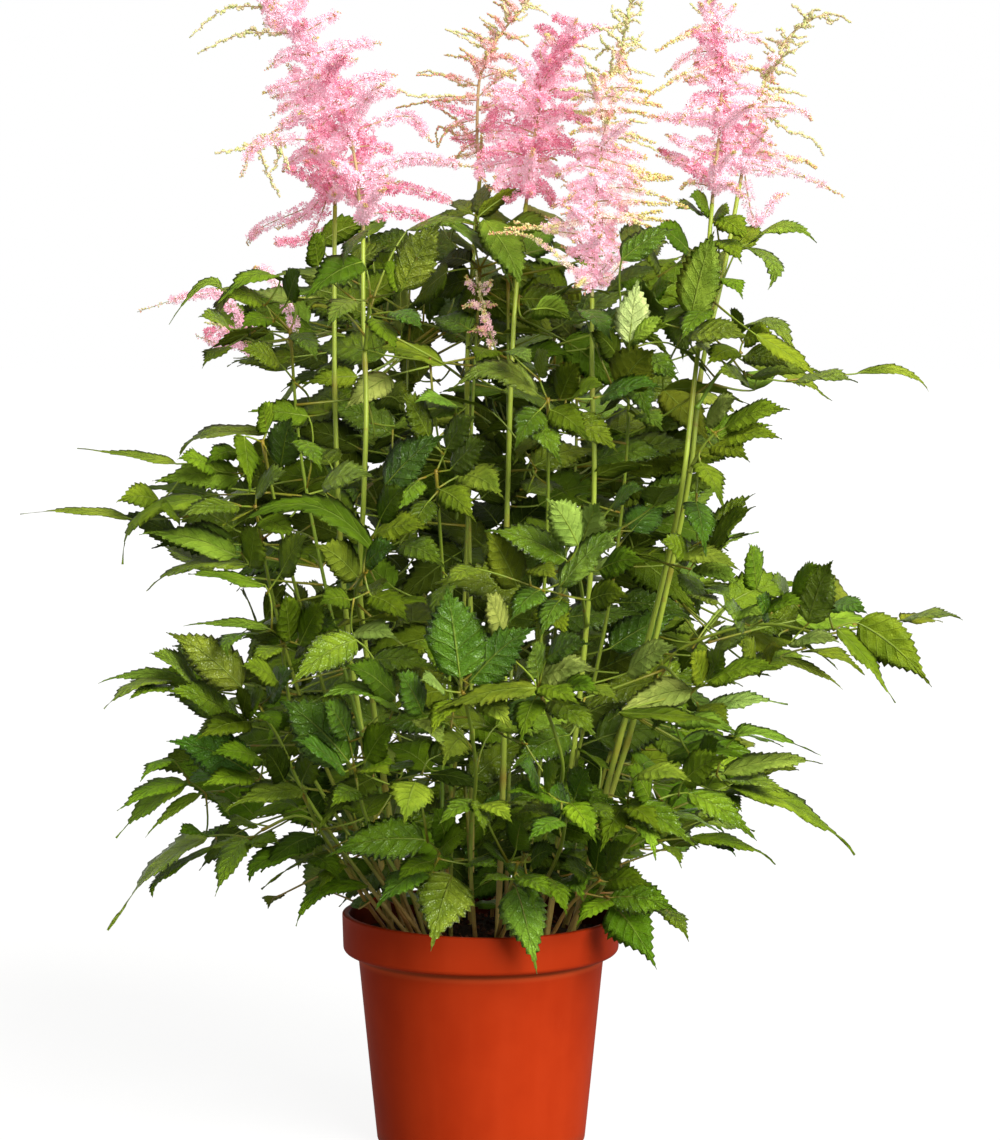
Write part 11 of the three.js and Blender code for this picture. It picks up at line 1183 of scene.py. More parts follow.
        ((-100.6,164.8,562.3), (-82.2,186.6,554.1), (-100.5,181.2,567.6), (-119,175.8,575), (0.25,-0.97,-0.07), 19.7, "d"),
        ((-93.2,173.5,559), (-126.7,196,552.9), (-145.3,200.1,560.4), (-163.8,204.3,562.4), (0.01,-0.72,0.69), 16.9, "d"),
        ((-85.9,182.2,555.7), (-98.5,211,546.6), (-119.1,211.4,543.5), (-139.9,211.9,534.4), (-0.28,0.04,0.96), 19.5, "d"),
        ((-96,205.2,548.4), (-97.6,213.9,586.2), (-101.2,226.2,590.1), (-105.9,246.7,566), (-0.69,0.25,0.68), 7.9, "n"),
        ((-28.9,65.1,560), (-88,56.7,517.4), (-113.7,58.5,504.4), (-139.3,60.4,481.2), (-0.41,-0.77,0.5), 30.2, "m"),
        ((10.8,19.1,545.2), (57.3,30.3,565.5), (81.9,28.9,581), (106.6,27.5,588.7), (-0.37,-0.58,0.73), 26.1, "b"),
        ((18.3,14.1,440.4), (39.9,22.3,440.3), (65.7,42,451.4), (91.4,61.7,452.5), (0.43,-0.73,0.53), 30.1, "d"),
        ((-100.4,148,557.4), (-172,173.8,557.8), (-187.9,198.8,570.3), (-203.9,223.7,572.5), (-0.24,-0.41,0.88), 30, "b"),
        ((6.8,23.7,546.6), (68.9,49.7,552.9), (94.4,52.5,568.8), (119.9,55.3,579.6), (-0.3,-0.64,0.71), 25.5, "g"),
        ((-88.5,134.2,558.8), (-116.9,170.9,507.6), (-136.1,193.4,499.1), (-155.2,215.9,483.1), (-0.09,0.41,0.91), 30.2, "d"),
        ((-60.7,101.9,562.1), (-9.8,147.3,592.2), (11.4,163.1,574.9), (32.7,179,551.5), (-0.13,0.84,0.52), 28.2, "b"),
        ((-24.9,60.5,558.5), (-85.2,36.9,528.8), (-104.3,28.5,528.4), (-123.5,20.2,525.7), (0.3,-0.78,0.55), 17.9, "m"),
        ((-17,51.3,555.5), (2.4,89.8,591.1), (2.9,110.7,604.4), (3.3,131.5,612.6), (0.44,-0.42,0.79), 23.2, "m"),
        ((-100.4,148,557.4), (-153.6,190.9,544.9), (-173.1,210.7,549.5), (-192.5,230.6,547.2), (-0.55,-0.57,0.6), 23.6, "m"),
        ((18.7,11,518.9), (14.8,35,517.8), (-7.1,40.1,521.4), (-28.9,45.2,518.9), (-0.08,-0.43,0.9), 19.7, "b"),
        ((18.8,7.3,597.3), (98.4,19.9,616.2), (114.9,43.6,623), (131.4,67.3,622.2), (0.67,-0.53,0.53), 29.5, "b"),
        ((-52.7,92.7,563), (-55.1,156,617.2), (-73,170.4,622.9), (-90.9,184.8,622.7), (-0.37,-0.59,0.72), 22.9, "m"),
        ((-88.5,134.2,558.8), (-133,126.3,535.7), (-155.9,132.3,539.1), (-178.8,138.4,539.5), (-0.04,-0.45,0.89), 21.1, "b"),
        ((-64.6,106.5,561.6), (-64.9,170,594.1), (-90,177.7,592.4), (-115.1,185.4,582.4), (-0.36,-0.71,0.6), 26.8, "m"),
        ((-40.8,78.9,564.4), (-82.2,74.3,571.3), (-111.2,86.3,580.9), (-140.2,98.3,581.3), (-0.29,-0.86,0.41), 28.6, "m"),
        ((-40.8,78.9,564.4), (-36.3,95,609.1), (-26.6,113.7,623.3), (-16.9,132.4,633.4), (0.4,-0.64,0.66), 22.7, "d"),
        ((18.8,8.4,573.2), (57.2,28.9,554.1), (79.8,27.1,538.1), (102.4,25.2,513.1), (0,-1,0.09), 26.9, "m"),
        ((-100.4,148,557.4), (-142.9,177,528.2), (-166.2,200.9,535.5), (-189.6,224.8,531.6), (-0.1,-0.17,0.98), 29.7, "b"),
        ((-68.6,111.1,561.1), (-81.9,155,625.8), (-82.3,179.6,634.7), (-82.7,204.1,635), (-0.11,-0.18,0.98), 24.6, "b"),
        ((18,15.2,410.2), (18,35.9,416.8), (40.5,50.6,437.8), (63,65.3,446.9), (-0.02,-0.7,0.71), 28.3, "k"),
        ((-100.4,148,557.4), (-165.7,165,575.1), (-187.7,181.6,585.7), (-209.7,198.1,586.4), (0.06,-0.25,0.97), 28.3, "l"),
        ((-68.6,111.1,561.1), (-69,165.8,602.5), (-84.7,188.2,616.3), (-100.3,210.7,618.9), (-0.3,-0.5,0.81), 28.5, "m"),
        ((-48.7,88.1,563.5), (-115,42.5,589.4), (-145.1,53.6,587.8), (-175.2,64.8,582.7), (-0.17,-0.16,0.97), 29.1, "b"),
        ((-28.9,65.1,560), (-18.1,106.1,586.9), (-25.4,131.8,595.2), (-32.7,157.4,597.5), (-0.22,-0.26,0.94), 23.9, "m"),
        ((-32.9,69.7,561.4), (-98.7,66.7,513.1), (-102.5,89,512.2), (-106.3,111.3,504.6), (0,0.19,0.98), 21.3, "d"),
        ((18.7,9.9,543), (73,20.9,548.5), (98.6,19.9,553.7), (124.2,18.9,552.1), (-0.07,-0.11,0.99), 22.3, "b"),
        ((-40.8,78.9,564.4), (-97.9,46.1,598.8), (-122.8,39.5,601), (-147.7,32.9,600.1), (0.08,-0.23,0.97), 22.2, "l"),
        ((18.7,9.9,543), (97.7,9.1,566.1), (105.7,-11.5,577.6), (113.6,-32,584.1), (-0.81,-0.47,-0.35), 22.8, "m"),
        ((18.4,13.2,464.5), (75.7,-5.7,471.1), (102.9,-14.9,480.2), (130.2,-24,477.7), (-0.29,-0.61,0.73), 28.4, "m"),
        ((11.8,28.7,163.1), (22.3,33.1,164), (26.4,57.3,172.3), (30.5,81.5,174.3), (-0.35,-0.14,0.93), 25.3, "d"),
    ]),
    "leaf_32": ([(-26.6,3.4,145.29), (-27,17,222), (-26.2,33,298.5), (-21.2,58.2,372.3), (-15.4,80.2,447.1), (-4.5,106.1,520.1)], 1.9, [[(-4.8,105.5,518.3), (-35.3,101.7,540), (-65.8,97.9,550.6)]], [
        ((-16.6,104,526.7), (-3.3,103.8,523.6), (26.9,96.9,542.2), (57,90,529.3), (0.04,0.54,0.84), 28, "b"),
        ((-4.8,105.5,518.3), (-4.7,103.2,513.7), (-11.1,126,508), (-17.6,148.8,495.3), (0.54,0.44,0.72), 23, "k"),
        ((-4.7,104.1,515.5), (4,108.6,511.8), (16.1,124.5,503.9), (28.3,140.4,489.5), (-0.1,0.62,0.77), 20.6, "d"),
        ((-6.9,100.4,504.1), (-7.1,78,516.8), (-2.9,96.9,533.9), (1.3,115.7,544.3), (0.91,0.09,-0.41), 21.3, "k"),
        ((-6.9,100.4,504.1), (-16,109.5,505.1), (-23.6,132.6,499.8), (-31.2,155.6,487.3), (0.43,0.44,0.79), 23.4, "k"),
        ((2.3,107.7,512.5), (4.6,109.3,501), (3.4,130.9,491.1), (2.4,152.4,474.1), (0.25,0.52,0.82), 21.9, "g"),
        ((-22.6,103.3,530.9), (-31.3,114.8,521.8), (-46.1,135.6,530.4), (-60.7,156.4,531.8), (0.59,0.23,0.78), 24.4, "g"),
        ((-58.1,98.9,547.9), (-56.2,86.3,557.9), (-57.3,106.6,585.6), (-58.4,126.9,604.6), (0.9,0.34,-0.26), 26.7, "l"),
        ((-29.6,112.5,523.6), (-43.4,101.8,523.3), (-50.1,123.9,542), (-56.7,146,553), (0.67,0.54,-0.51), 31.7, "o"),
        ((-58.1,98.9,547.9), (-57.7,94.6,543.8), (-40.3,103.2,556.5), (-22.7,112,563.2), (-0.41,0.91,-0.07), 19.6, "k"),
        ((-13.3,85.3,461.4), (-13.9,56.2,466.5), (-40.8,55.3,475.7), (-67.6,54.2,476.1), (0.12,0.6,0.79), 25.7, "d"),
        ((-56.6,88.8,555.9), (-114.2,89.1,621), (-94.5,97.8,632.1), (-74.8,106.4,636.8), (-0.48,0.82,0.3), 20.6, "d"),
        ((-6,103.8,524.2), (-1.9,111,538.7), (6.2,128,551.2), (14.4,144.9,557.7), (0.9,-0.24,-0.36), 18.1, "d"),
        ((-10.7,104.8,522.5), (-11.4,118.1,520.6), (-13.5,140.2,529.5), (-15.6,162.2,531.9), (0.79,-0.08,0.6), 19.7, "k"),
        ((-2.7,109.6,535.8), (22.5,96.8,547.1), (23.7,117.3,546.1), (25,137.9,539.5), (0.23,0.17,0.96), 18, "m"),
        ((-64,98.1,550), (-91.2,121.4,559.4), (-94.1,142.7,568.9), (-97.1,164.1,572.3), (0.84,-0.05,0.55), 19.4, "m"),
        ((-64,98.1,550), (-72.1,93.5,539), (-81,112.5,536.5), (-89.9,131.4,527.8), (0.45,0.44,0.78), 19.5, "d"),
        ((-70.5,94.4,541.2), (-60.9,97,530.2), (-55.7,114.4,521.5), (-50.4,131.9,506.7), (0.29,0.47,0.83), 19.5, "b"),
        ((-68.1,88.9,568.9), (-36.5,97.9,582.4), (-37,119.4,575.9), (-37.4,140.8,562.7), (-0.02,0.42,0.91), 22.3, "m"),
        ((-79.6,88.9,581.9), (-84.3,85.8,577.8), (-67.1,98.6,591.9), (-49.9,111.4,599.4), (-0.59,0.81,-0.02), 21.6, "m"),
        ((-79.6,88.9,581.9), (-85.9,93.3,584.7), (-89.4,110.9,593.4), (-92.8,128.5,597), (0.98,0.14,0.16), 16.4, "d"),
        ((-91.2,89,595), (-94,77.9,601.4), (-79.6,92.8,613.2), (-65.2,107.6,618.7), (-0.76,0.6,0.24), 20.3, "m"),
        ((-65.8,97.9,550.6), (-121.3,73,562.9), (-148.7,82.8,578.8), (-176.1,92.6,585), (-0.14,-0.88,0.45), 27.8, "b"),
        ((-19,66.7,401.1), (-100.9,78.3,415.6), (-122.8,88.6,423.2), (-144.8,98.8,428.6), (-0.28,-0.86,0.42), 23.5, "d"),
        ((-15,104.2,525.5), (-6.3,110.1,560.8), (-19.6,136,578.9), (-33,162,589.1), (-0.35,-0.58,0.73), 32.2, "b"),
        ((-41.4,100.9,542.1), (-48.5,127.2,559.3), (-68.7,151.9,572.6), (-88.8,176.6,573.9), (-0.63,-0.64,0.44), 30.9, "k"),
        ((-23.9,44.6,332.6), (-47.6,55.7,342.2), (-49.2,83.2,361.8), (-50.8,110.7,372.9), (-0.04,-0.49,0.87), 30, "b"),
        ((-24.7,40.8,321.2), (-83.5,24.6,323.6), (-110.3,39.5,316), (-137.1,54.5,300.3), (-0.56,-0.51,0.65), 31, "m"),
        ((-18.5,68.4,406.8), (-103,65.2,406.9), (-118.3,35.5,405), (-133.7,5.8,398.1), (0.21,-0.25,0.95), 31.3, "m"),
        ((-4.5,106.1,520.1), (-11.2,146,550.9), (-22.7,165.5,560.9), (-34.2,185,562.3), (-0.57,-0.52,0.63), 22.1, "m"),
        ((-22.4,52.4,355.3), (-72.4,85,355.5), (-102.7,92,364.5), (-133.1,99,370.6), (-0.05,-0.82,0.57), 29, "d"),
        ((-8.7,96.1,492), (-39.9,94.3,491.7), (-62.3,105.4,484.6), (-84.7,116.5,466.8), (-0.34,0.32,0.89), 28.1, "k"),
        ((-23.1,48.5,343.9), (-28.2,36.3,347.8), (-59,28.5,342), (-89.8,20.6,332.4), (-0.04,-0.61,0.8), 32.5, "m"),
        ((-17.2,73.4,424.1), (-92.4,82.8,437.1), (-111.4,104.9,454.8), (-130.3,127,469.9), (0.16,-0.5,0.85), 29, "m"),
        ((-65.8,97.9,550.6), (-89.1,67.3,536.6), (-106.8,56.5,531.1), (-124.6,45.6,522.4), (-0.04,-0.5,0.86), 19.9, "m"),
        ((-35.3,101.7,540), (20.3,145.4,564.9), (51,132.3,566.1), (81.7,119.3,560.5), (-0.22,-0.63,0.74), 34.4, "b"),
        ((-4.5,106.1,520.1), (-2.2,153.3,548.8), (-5.3,182.5,563.2), (-8.4,211.7,569.5), (-0.7,-0.3,0.65), 27, "k"),
        ((-65.8,97.9,550.6), (-116.7,48.7,559.8), (-133.7,37.2,565.9), (-150.8,25.7,567.2), (0.53,-0.58,0.62), 18.9, "m"),
        ((-19.9,63.3,389.6), (-93.3,53.2,357.2), (-116.3,42.2,338.5), (-139.3,31.1,313.5), (-0.43,-0.54,0.72), 34, "m"),
        ((-65.8,97.9,550.6), (-131.7,50.9,541.5), (-151.4,59.7,541.1), (-171.2,68.4,536), (-0.34,-0.52,0.79), 19.7, "d"),
        ((-53.6,99.4,546.4), (-106.2,79.8,487.8), (-127.9,80.5,478.5), (-149.5,81.3,461.9), (-0.33,-0.79,0.51), 22, "d"),
        ((-65.8,97.9,550.6), (-92.7,54.7,569), (-105.5,33.8,577.1), (-118.3,12.9,577.3), (0.26,0.03,0.96), 25.8, "o"),
        ((-26.9,14.7,209.2), (-39.2,44,199.1), (-19,44.2,183.1), (1.1,44.4,161.5), (0.37,-0.84,0.39), 29.5, "k"),
    ]),
    "leaf_33": ([(16.9,10.9,145.21), (18.7,19.7,212.7), (20,28.9,280.3), (21.6,45,346.6), (23,69.8,410.2), (22.2,104.6,468.9)], 1.9, [[(22.4,97,456), (-27.4,139.3,442.1), (-77.2,181.7,405.7)]], [
        ((22.2,103.7,467.4), (15.4,105.8,464), (3.8,123.7,477.5), (-7.8,141.5,484.4), (0.83,0.56,-0.03), 21.3, "k"),
        ((22.2,103.7,467.4), (19.5,89.9,493.6), (26.6,108.3,513.3), (33.9,126.6,525.8), (-0.91,0.41,-0.07), 23, "k"),
        ((22.4,97,456), (11.2,86.7,469), (-2.6,108.1,468.3), (-16.4,129.5,459.1), (0.37,0.43,0.82), 24.4, "g"),
        ((22.5,90.2,444.6), (57.6,106.2,462.6), (32.8,113.5,486.7), (8.2,120.8,501.7), (0.36,0.93,0.11), 29.1, "k"),
        ((20,92.7,488.4), (8.6,51.9,511.7), (24.5,71.6,514.9), (40.3,91.5,510.9), (-0.17,0.16,0.97), 22.9, "b"),
        ((-74.3,179.2,407.8), (-68.3,187.9,416.9), (-44.8,205.6,432.8), (-21.4,223.2,440), (-0.66,0.51,0.56), 28.4, "k"),
        ((-70.7,184.4,413.3), (-66.5,190.3,404.9), (-86.7,194.2,429.2), (-106.9,198.2,445.4), (0.64,0.55,0.53), 26, "b"),
        ((10.9,60.1,507), (7.5,58.9,513.5), (34.5,60.6,508.8), (61.5,62.2,496.2), (0.26,0.4,0.88), 25.6, "b"),
        ((-69.5,186.2,415.1), (-79.7,194.8,429.5), (-69.4,212.2,449), (-59,229.7,461.4), (-0.6,0.7,-0.37), 22.2, "l"),
        ((-64.6,171,414.9), (-41.4,179.9,394.2), (-33.4,198.3,416.9), (-25.4,216.7,431.8), (-0.73,0.62,-0.29), 26, "o"),
        ((23,69.9,410.3), (19.8,71.3,396.2), (17.7,96.8,389.3), (15.5,122.5,373.5), (0.47,0.39,0.79), 26.4, "d"),
        ((-35.6,146.3,436.1), (-47.5,127,379.9), (-58.7,153.7,377.6), (-70,180.3,365.9), (0.32,0.37,0.87), 27.9, "m"),
        ((36.5,96.6,451.8), (33.8,98.2,461.7), (41.3,118.7,453), (49,139.2,437.4), (-0.11,0.54,0.84), 22.5, "d"),
        ((12.7,105.2,453.3), (17.2,110.7,455.1), (7.6,130.6,449.9), (-1.8,150.5,438.1), (0.46,0.52,0.71), 21.3, "k"),
        ((17.7,84.5,493.1), (11.9,83.5,482), (0.3,100.1,497.6), (-11.3,116.6,506.5), (0.76,0.63,-0.13), 20.4, "k"),
        ((16.3,109.6,454.7), (23.3,106.7,448.9), (25.2,126.4,440.5), (27,146.1,425.5), (-0.17,0.52,0.84), 20.8, "k"),
        ((17.7,84.5,493.1), (12.9,93,515.4), (24.6,111.2,520.9), (36.3,129.6,520.2), (-0.45,0.17,0.88), 19.8, "d"),
        ((22.7,83.4,433.2), (27.4,70.4,440.1), (46.6,72.8,435.9), (66,75.2,425), (0.3,0.36,0.88), 19.7, "k"),
        ((36.5,96.6,451.8), (45.8,115.8,422.4), (26.1,131.7,420.2), (6.4,147.8,410.8), (0.2,0.54,0.82), 22.4, "d"),
        ((-74.3,179.2,407.8), (-87.5,177.4,415.3), (-95.4,193.4,424.5), (-103.5,209.3,428.3), (0.84,0.22,0.49), 17.2, "k"),
        ((-84.9,177.8,413.8), (-89.3,181.8,411.9), (-103.4,201.6,420.5), (-117.4,221.3,422.1), (0.78,0.44,0.44), 22.3, "k"),
        ((-67.3,189.1,406.6), (-69.6,185.1,391), (-62.7,203.9,384.2), (-55.8,222.8,371.2), (0.01,0.46,0.89), 20.2, "k"),
        ((-69.1,185.9,394.1), (-88.2,181.2,388.1), (-102.9,197.2,394.2), (-117.6,213.1,394.2), (0.73,0.63,0.24), 19.8, "k"),
        ((-67.8,188.3,403.5), (-56.2,188.4,401.9), (-50.4,207.8,397.4), (-44.6,227.1,386.9), (-0.27,0.42,0.87), 19.4, "k"),
        ((-64.6,171,414.9), (-73.2,167.4,423.5), (-79.9,185.6,443.1), (-86.5,203.7,455.7), (0.1,0.68,-0.72), 22, "k"),
        ((-50.7,176.3,402.5), (-46.9,187.3,414.2), (-59.1,202.3,415.5), (-71.4,217.3,411.3), (0.3,0.33,0.9), 16.7, "k"),
        ((-71.5,168.1,421.8), (-92.6,166.3,454), (-105.8,180.6,463.9), (-119,195,468), (0.75,0.47,0.47), 17.8, "k"),
        ((-47.7,185.1,411.9), (-14.6,200.4,416.3), (-1.6,218.4,416.1), (11.4,236.3,409.8), (-0.15,0.28,0.95), 19.3, "d"),
        ((22.2,104.6,468.9), (76.7,135.4,468.2), (101.4,124.1,452.2), (126.2,112.7,431.2), (0.12,-0.77,0.63), 32.4, "d"),
        ((22.9,76.1,420.9), (11.7,87.2,422.1), (2.4,116.6,431.3), (-6.9,145.9,436.6), (-0.46,-0.35,0.81), 28.3, "k"),
        ((21.7,47.3,352.4), (51.3,29,360.2), (82.8,25.7,365.1), (114.4,22.3,366.7), (-0.14,-0.56,0.81), 31, "g"),
        ((22.6,63,392.9), (1.1,58,409.1), (-22.3,74.1,428.2), (-45.7,90.3,442), (0.07,-0.66,0.75), 29.6, "d"),
        ((4.3,112.4,450.9), (-10.2,112.6,435.5), (-36.9,123.2,455.2), (-63.6,133.8,469.2), (0.06,-0.8,0.6), 33.8, "d"),
        ((22.6,88.8,442.2), (67.4,107.5,434.3), (93.6,119,432.4), (119.7,130.4,423), (0.38,-0.46,0.8), 24.8, "d"),
    ]),
    "leaf_34": ([(-20.7,42.6,145.76), (-23.8,72.6,209.9), (-27.6,97.7,276.8), (-37.4,116.7,345.1), (-48.5,134.4,413.6), (-58.3,148.3,483.2)], 1.9, [[(-54.2,142.5,454.4), (-73,148.9,450.6), (-91.7,155.3,440.2)]], [
        ((-58.1,148,481.5), (-48.9,137.3,484.3), (-53.5,176.2,484.5), (-57.2,194.8,471.7), (-0.28,0.17,0.94), 25.7, "m"),
        ((-58.1,148,481.5), (-68.2,159.5,483.1), (-86.6,162.6,470.4), (-105,165.6,450.7), (-0.62,-0.49,0.61), 22.3, "k"),
        ((-61.5,145,452.9), (-67.1,139.9,469.9), (-85.7,141.1,490.8), (-104.2,142.5,504.5), (-0.52,0.61,-0.6), 23.9, "g"),
        ((-61.5,145,452.9), (-60.7,162.4,453.3), (-60.3,189.6,457.1), (-59.9,216.7,453.3), (-0.78,0.01,0.62), 23.5, "d"),
        ((-76.1,150,448.9), (-88.3,169.4,450.3), (-101.1,194.3,452.3), (-113.7,219.1,446.4), (-0.39,-0.13,0.91), 24.2, "m"),
        ((-85.9,165.5,450), (-90.5,212.5,449.1), (-79.2,260,441), (-77.9,276.4,407.7), (-0.13,0.56,0.82), 33.4, "m"),
        ((-90.6,154.9,440.8), (-94.2,159.7,406), (-101.2,195.3,406.9), (-107.5,224.3,392.3), (-0.26,0.15,0.95), 29.1, "d"),
        ((-46.4,131,400.4), (-80.1,151.1,399.6), (-97.1,146.3,418.5), (-114.2,141.6,430.7), (-0.6,0.66,-0.45), 22.2, "o"),
        ((-46.4,131,400.4), (-40.6,110.2,412.2), (-30.8,81,414.3), (-21,51.8,406.5), (0.15,-0.05,0.99), 29.1, "k"),
        ((-41.8,114.4,409.8), (-62,82.1,384.3), (-87,77.5,385.2), (-112.1,72.7,377.9), (-0.17,0.29,0.94), 24.2, "d"),
        ((-41.8,114.4,409.8), (-42.1,117.4,406.4), (-17.5,98.3,413.7), (7,79.2,411.3), (0.34,0.53,0.78), 29.4, "d"),
        ((-54.4,143.7,482.6), (-55.1,145.4,488.8), (-71.7,146.6,501.8), (-88.4,147.7,509.4), (-0.32,-0.84,-0.43), 17.6, "k"),
        ((-58.1,148,481.5), (-47.8,165,473.6), (-66.4,176.2,474.3), (-84.9,187.4,469), (-0.33,-0.37,0.87), 19.6, "g"),
        ((-60.9,158.9,453.2), (-67.8,178.4,462.3), (-86.6,190.7,471.4), (-105.5,203.1,473.8), (-0.32,-0.76,0.57), 20, "k"),
        ((-66,140.9,466.5), (-91.2,120.1,481.5), (-109.1,113.2,476.1), (-126.9,106.3,464.8), (-0.34,-0.22,0.91), 18.9, "d"),
        ((-83.4,161.6,449.7), (-85.6,157.4,452.6), (-105.1,145.5,466.1), (-124.8,133.4,472.6), (-0.34,0.86,0.37), 22.6, "k"),
        ((-91.3,155.9,433.8), (-96.1,150,433.2), (-113.6,136.8,431.3), (-131.1,123.7,423.1), (-0.42,0.23,0.88), 20.3, "k"),
        ((-66.4,174.5,460.5), (-41.7,202.7,463.2), (-38.5,227.9,469.4), (-31.2,268.5,476.3), (-0.43,-0.11,0.9), 13.6, "n"),
        ((-54.2,142.5,454.4), (-27.8,135.1,459.4), (-3.6,142.4,468.7), (20.5,149.7,469.8), (-0.26,0.18,0.95), 24.2, "d"),
        ((-41.8,114.4,409.8), (-47,88.3,433.9), (-65.2,94.7,434.3), (-83.5,101,428.4), (0,0.4,0.92), 18.4, "m"),
        ((-46.6,197.1,462.7), (-43.3,216.3,440), (-57.5,235.3,445), (-71.7,254.3,443.5), (-0.68,-0.55,0.49), 20.5, "k"),
        ((-46,93.5,429.1), (-14.3,89.4,447.9), (8,84.6,446.8), (30.2,79.7,438.3), (0.27,0.39,0.88), 21.9, "k"),
        ((-89.6,203.1,449.3), (-84.9,205.1,431.2), (-102.8,212.7,439.6), (-120.9,220.4,442.2), (-0.2,-0.84,0.5), 18.3, "k"),
        ((-44,212.5,444.5), (-44.9,231.1,433.5), (-41.2,257.7,439.3), (-33.8,297.8,439.5), (-0.36,-0.03,0.93), 13.6, "n"),
        ((-26.6,90.9,258.6), (-64.3,85.5,273.9), (-90,91.2,290.6), (-115.7,96.9,304.8), (0.26,-0.68,0.69), 26, "b"),
        ((-91.7,155.3,440.2), (-158.3,183.2,422), (-178.3,200.5,434.6), (-198.4,217.9,444.7), (-0.67,-0.74,-0.04), 28.8, "k"),
        ((-58.3,148.3,483.2), (-112.3,184.8,526.2), (-129.4,175.5,522.5), (-146.4,166.3,514), (-0.18,-0.28,0.94), 20.3, "d"),
        ((-28.5,99.4,283), (-7.3,90.9,277.5), (11.5,78.2,271.6), (30.2,65.6,258.8), (-0.06,-0.65,0.76), 24.1, "m"),
        ((-36.5,115,338.9), (-83.7,102.3,360.8), (-94.7,127.7,374.9), (-105.8,153.1,385.3), (-0.37,-0.53,0.76), 29.7, "g"),
        ((-43.5,126.4,382.5), (-24,120.7,375.1), (-2.5,112,360.9), (19,103.4,340.7), (0.22,-0.73,0.64), 24.8, "k"),
        ((-40.4,121.5,363.8), (-56.6,80.7,352.6), (-70.9,67.7,338.3), (-85.2,54.7,320), (-0.12,-0.73,0.68), 24.1, "d"),
        ((-79.2,151,447.1), (-130.2,88.1,437.5), (-154.9,90.2,454.3), (-179.6,92.3,464.2), (0.17,-0.88,0.45), 29.3, "k"),
        ((-91.7,155.3,440.2), (-146.4,90.7,437.6), (-169.7,80.1,430.5), (-193,69.4,415.6), (0.05,-0.77,0.64), 27.3, "k"),
        ((-79.2,151,447.1), (-133.4,111.4,405), (-149.3,125.7,405), (-165.2,140,403), (-0.34,-0.33,0.88), 18.6, "k"),
        ((-91.7,155.3,440.2), (-119.5,80.6,412), (-145.8,69.3,400.4), (-172.2,58.1,379.6), (-0.35,-0.4,0.85), 28.9, "k"),
        ((-42.4,124.7,376.2), (-15.7,127.5,389), (-8.3,151.2,396.8), (-0.9,175,401.5), (0.37,-0.34,0.86), 26.6, "d"),
        ((-23.5,69.9,204.1), (-4.2,89.5,207.1), (22.9,101.5,224.7), (50,113.5,232.5), (0.54,-0.63,-0.56), 31.7, "g"),
    ]),
    "leaf_35": ([(7.4,59.3,145.76), (11.6,81.2,193.3), (13.8,109.8,238), (12.8,145.3,277.6), (17.5,184.6,313.1), (25.6,225.9,345.6)], 1.9, [[(17.5,184.7,313.2), (76.7,151.1,354), (135.9,117.5,371.1)]], [
        ((23.8,216.8,338.5), (20.2,223.6,352.1), (0.3,234.8,375.1), (-19.7,246.2,389.9), (0.53,0.84,0.06), 27.9, "g"),
        ((20.9,222.2,349.4), (23.8,209.6,356.8), (28.4,211.3,389), (32.9,213.1,413.2), (0.2,0.97,-0.09), 35.6, "g"),
        ((23.8,216.8,338.5), (51.8,218.1,335.8), (60.2,237.1,356), (68.7,255.9,368.8), (-0.85,0.51,-0.14), 24.9, "g"),
        ((132.5,119.5,370.1), (138,118.4,368.9), (135.8,136.1,389.3), (133.6,153.7,402.7), (-0.8,0.36,-0.48), 22.1, "k"),
        ((20.9,222.2,349.4), (-14.3,245.8,354.4), (18.3,250.2,351.7), (50.8,254.5,339.6), (0.17,0.31,0.94), 31.7, "o"),
        ((132.5,119.5,370.1), (118,109.8,365.5), (109.5,127.6,384.7), (101.1,145.6,396.9), (0.82,0.54,-0.18), 22.7, "k"),
        ((132.5,119.5,370.1), (145.4,123.6,400.5), (177.1,135.6,409), (201.1,149,413.3), (-0.32,0.23,0.92), 26.9, "b"),
        ((142.8,122.8,394.4), (130.3,121.3,410.1), (119.9,140.5,428.9), (109.4,159.7,440.3), (0.86,0.51,-0.05), 25, "o"),
        ((14.8,161.7,292.4), (19.2,138.1,311), (22.7,162.3,309.6), (26.4,186.3,300.3), (-0.44,0.26,0.86), 23.4, "d"),
        ((121,126,366.8), (75.6,81.4,353.5), (56.1,99.5,356.8), (36.6,117.5,351.5), (0.4,0.47,0.79), 25.1, "d"),
        ((18.3,142.8,307.3), (-2.7,121,305), (-32.5,122.8,312.3), (-62.1,124.6,310.1), (0.1,0.64,0.76), 28.1, "k"),
        ((84.7,90.3,356.2), (81.9,69.6,346.4), (67.1,39.8,349.2), (52.3,9.9,341.3), (0.18,-0.17,0.97), 31.4, "d"),
        ((25.4,224.9,344.8), (26.1,226.2,339.6), (36,243.4,334.3), (45.9,260.8,322.9), (0.18,0.34,0.92), 19.5, "d"),
        ((25.7,225.4,342.7), (17.7,226.8,341.7), (11.4,248.3,338.1), (5,269.7,328), (0.28,0.37,0.89), 20.1, "b"),
        ((25.4,224.9,344.8), (33.1,229.1,346.5), (41.9,246.7,355.1), (50.5,264.5,358), (-0.8,0.21,0.57), 17.7, "k"),
        ((23.2,212.1,355.3), (30.8,215.8,356.2), (45.1,233.2,372.5), (59.4,250.6,381.6), (-0.83,0.45,0.33), 23.3, "d"),
        ((46.2,217.8,336.3), (50.6,215.8,326.3), (39.3,234.6,323), (28,253.5,313.3), (-0.21,0.2,0.96), 19.8, "d"),
        ((6.8,231.6,351.4), (-1.6,219.2,375.5), (2.8,238.3,396.2), (7.1,257.5,409.6), (-0.92,0.36,-0.17), 22.4, "k"),
        ((136.9,118.6,369.1), (140.7,116.9,358.6), (149.3,134,356.3), (158,151,348.4), (-0.03,0.3,0.95), 17.9, "b"),
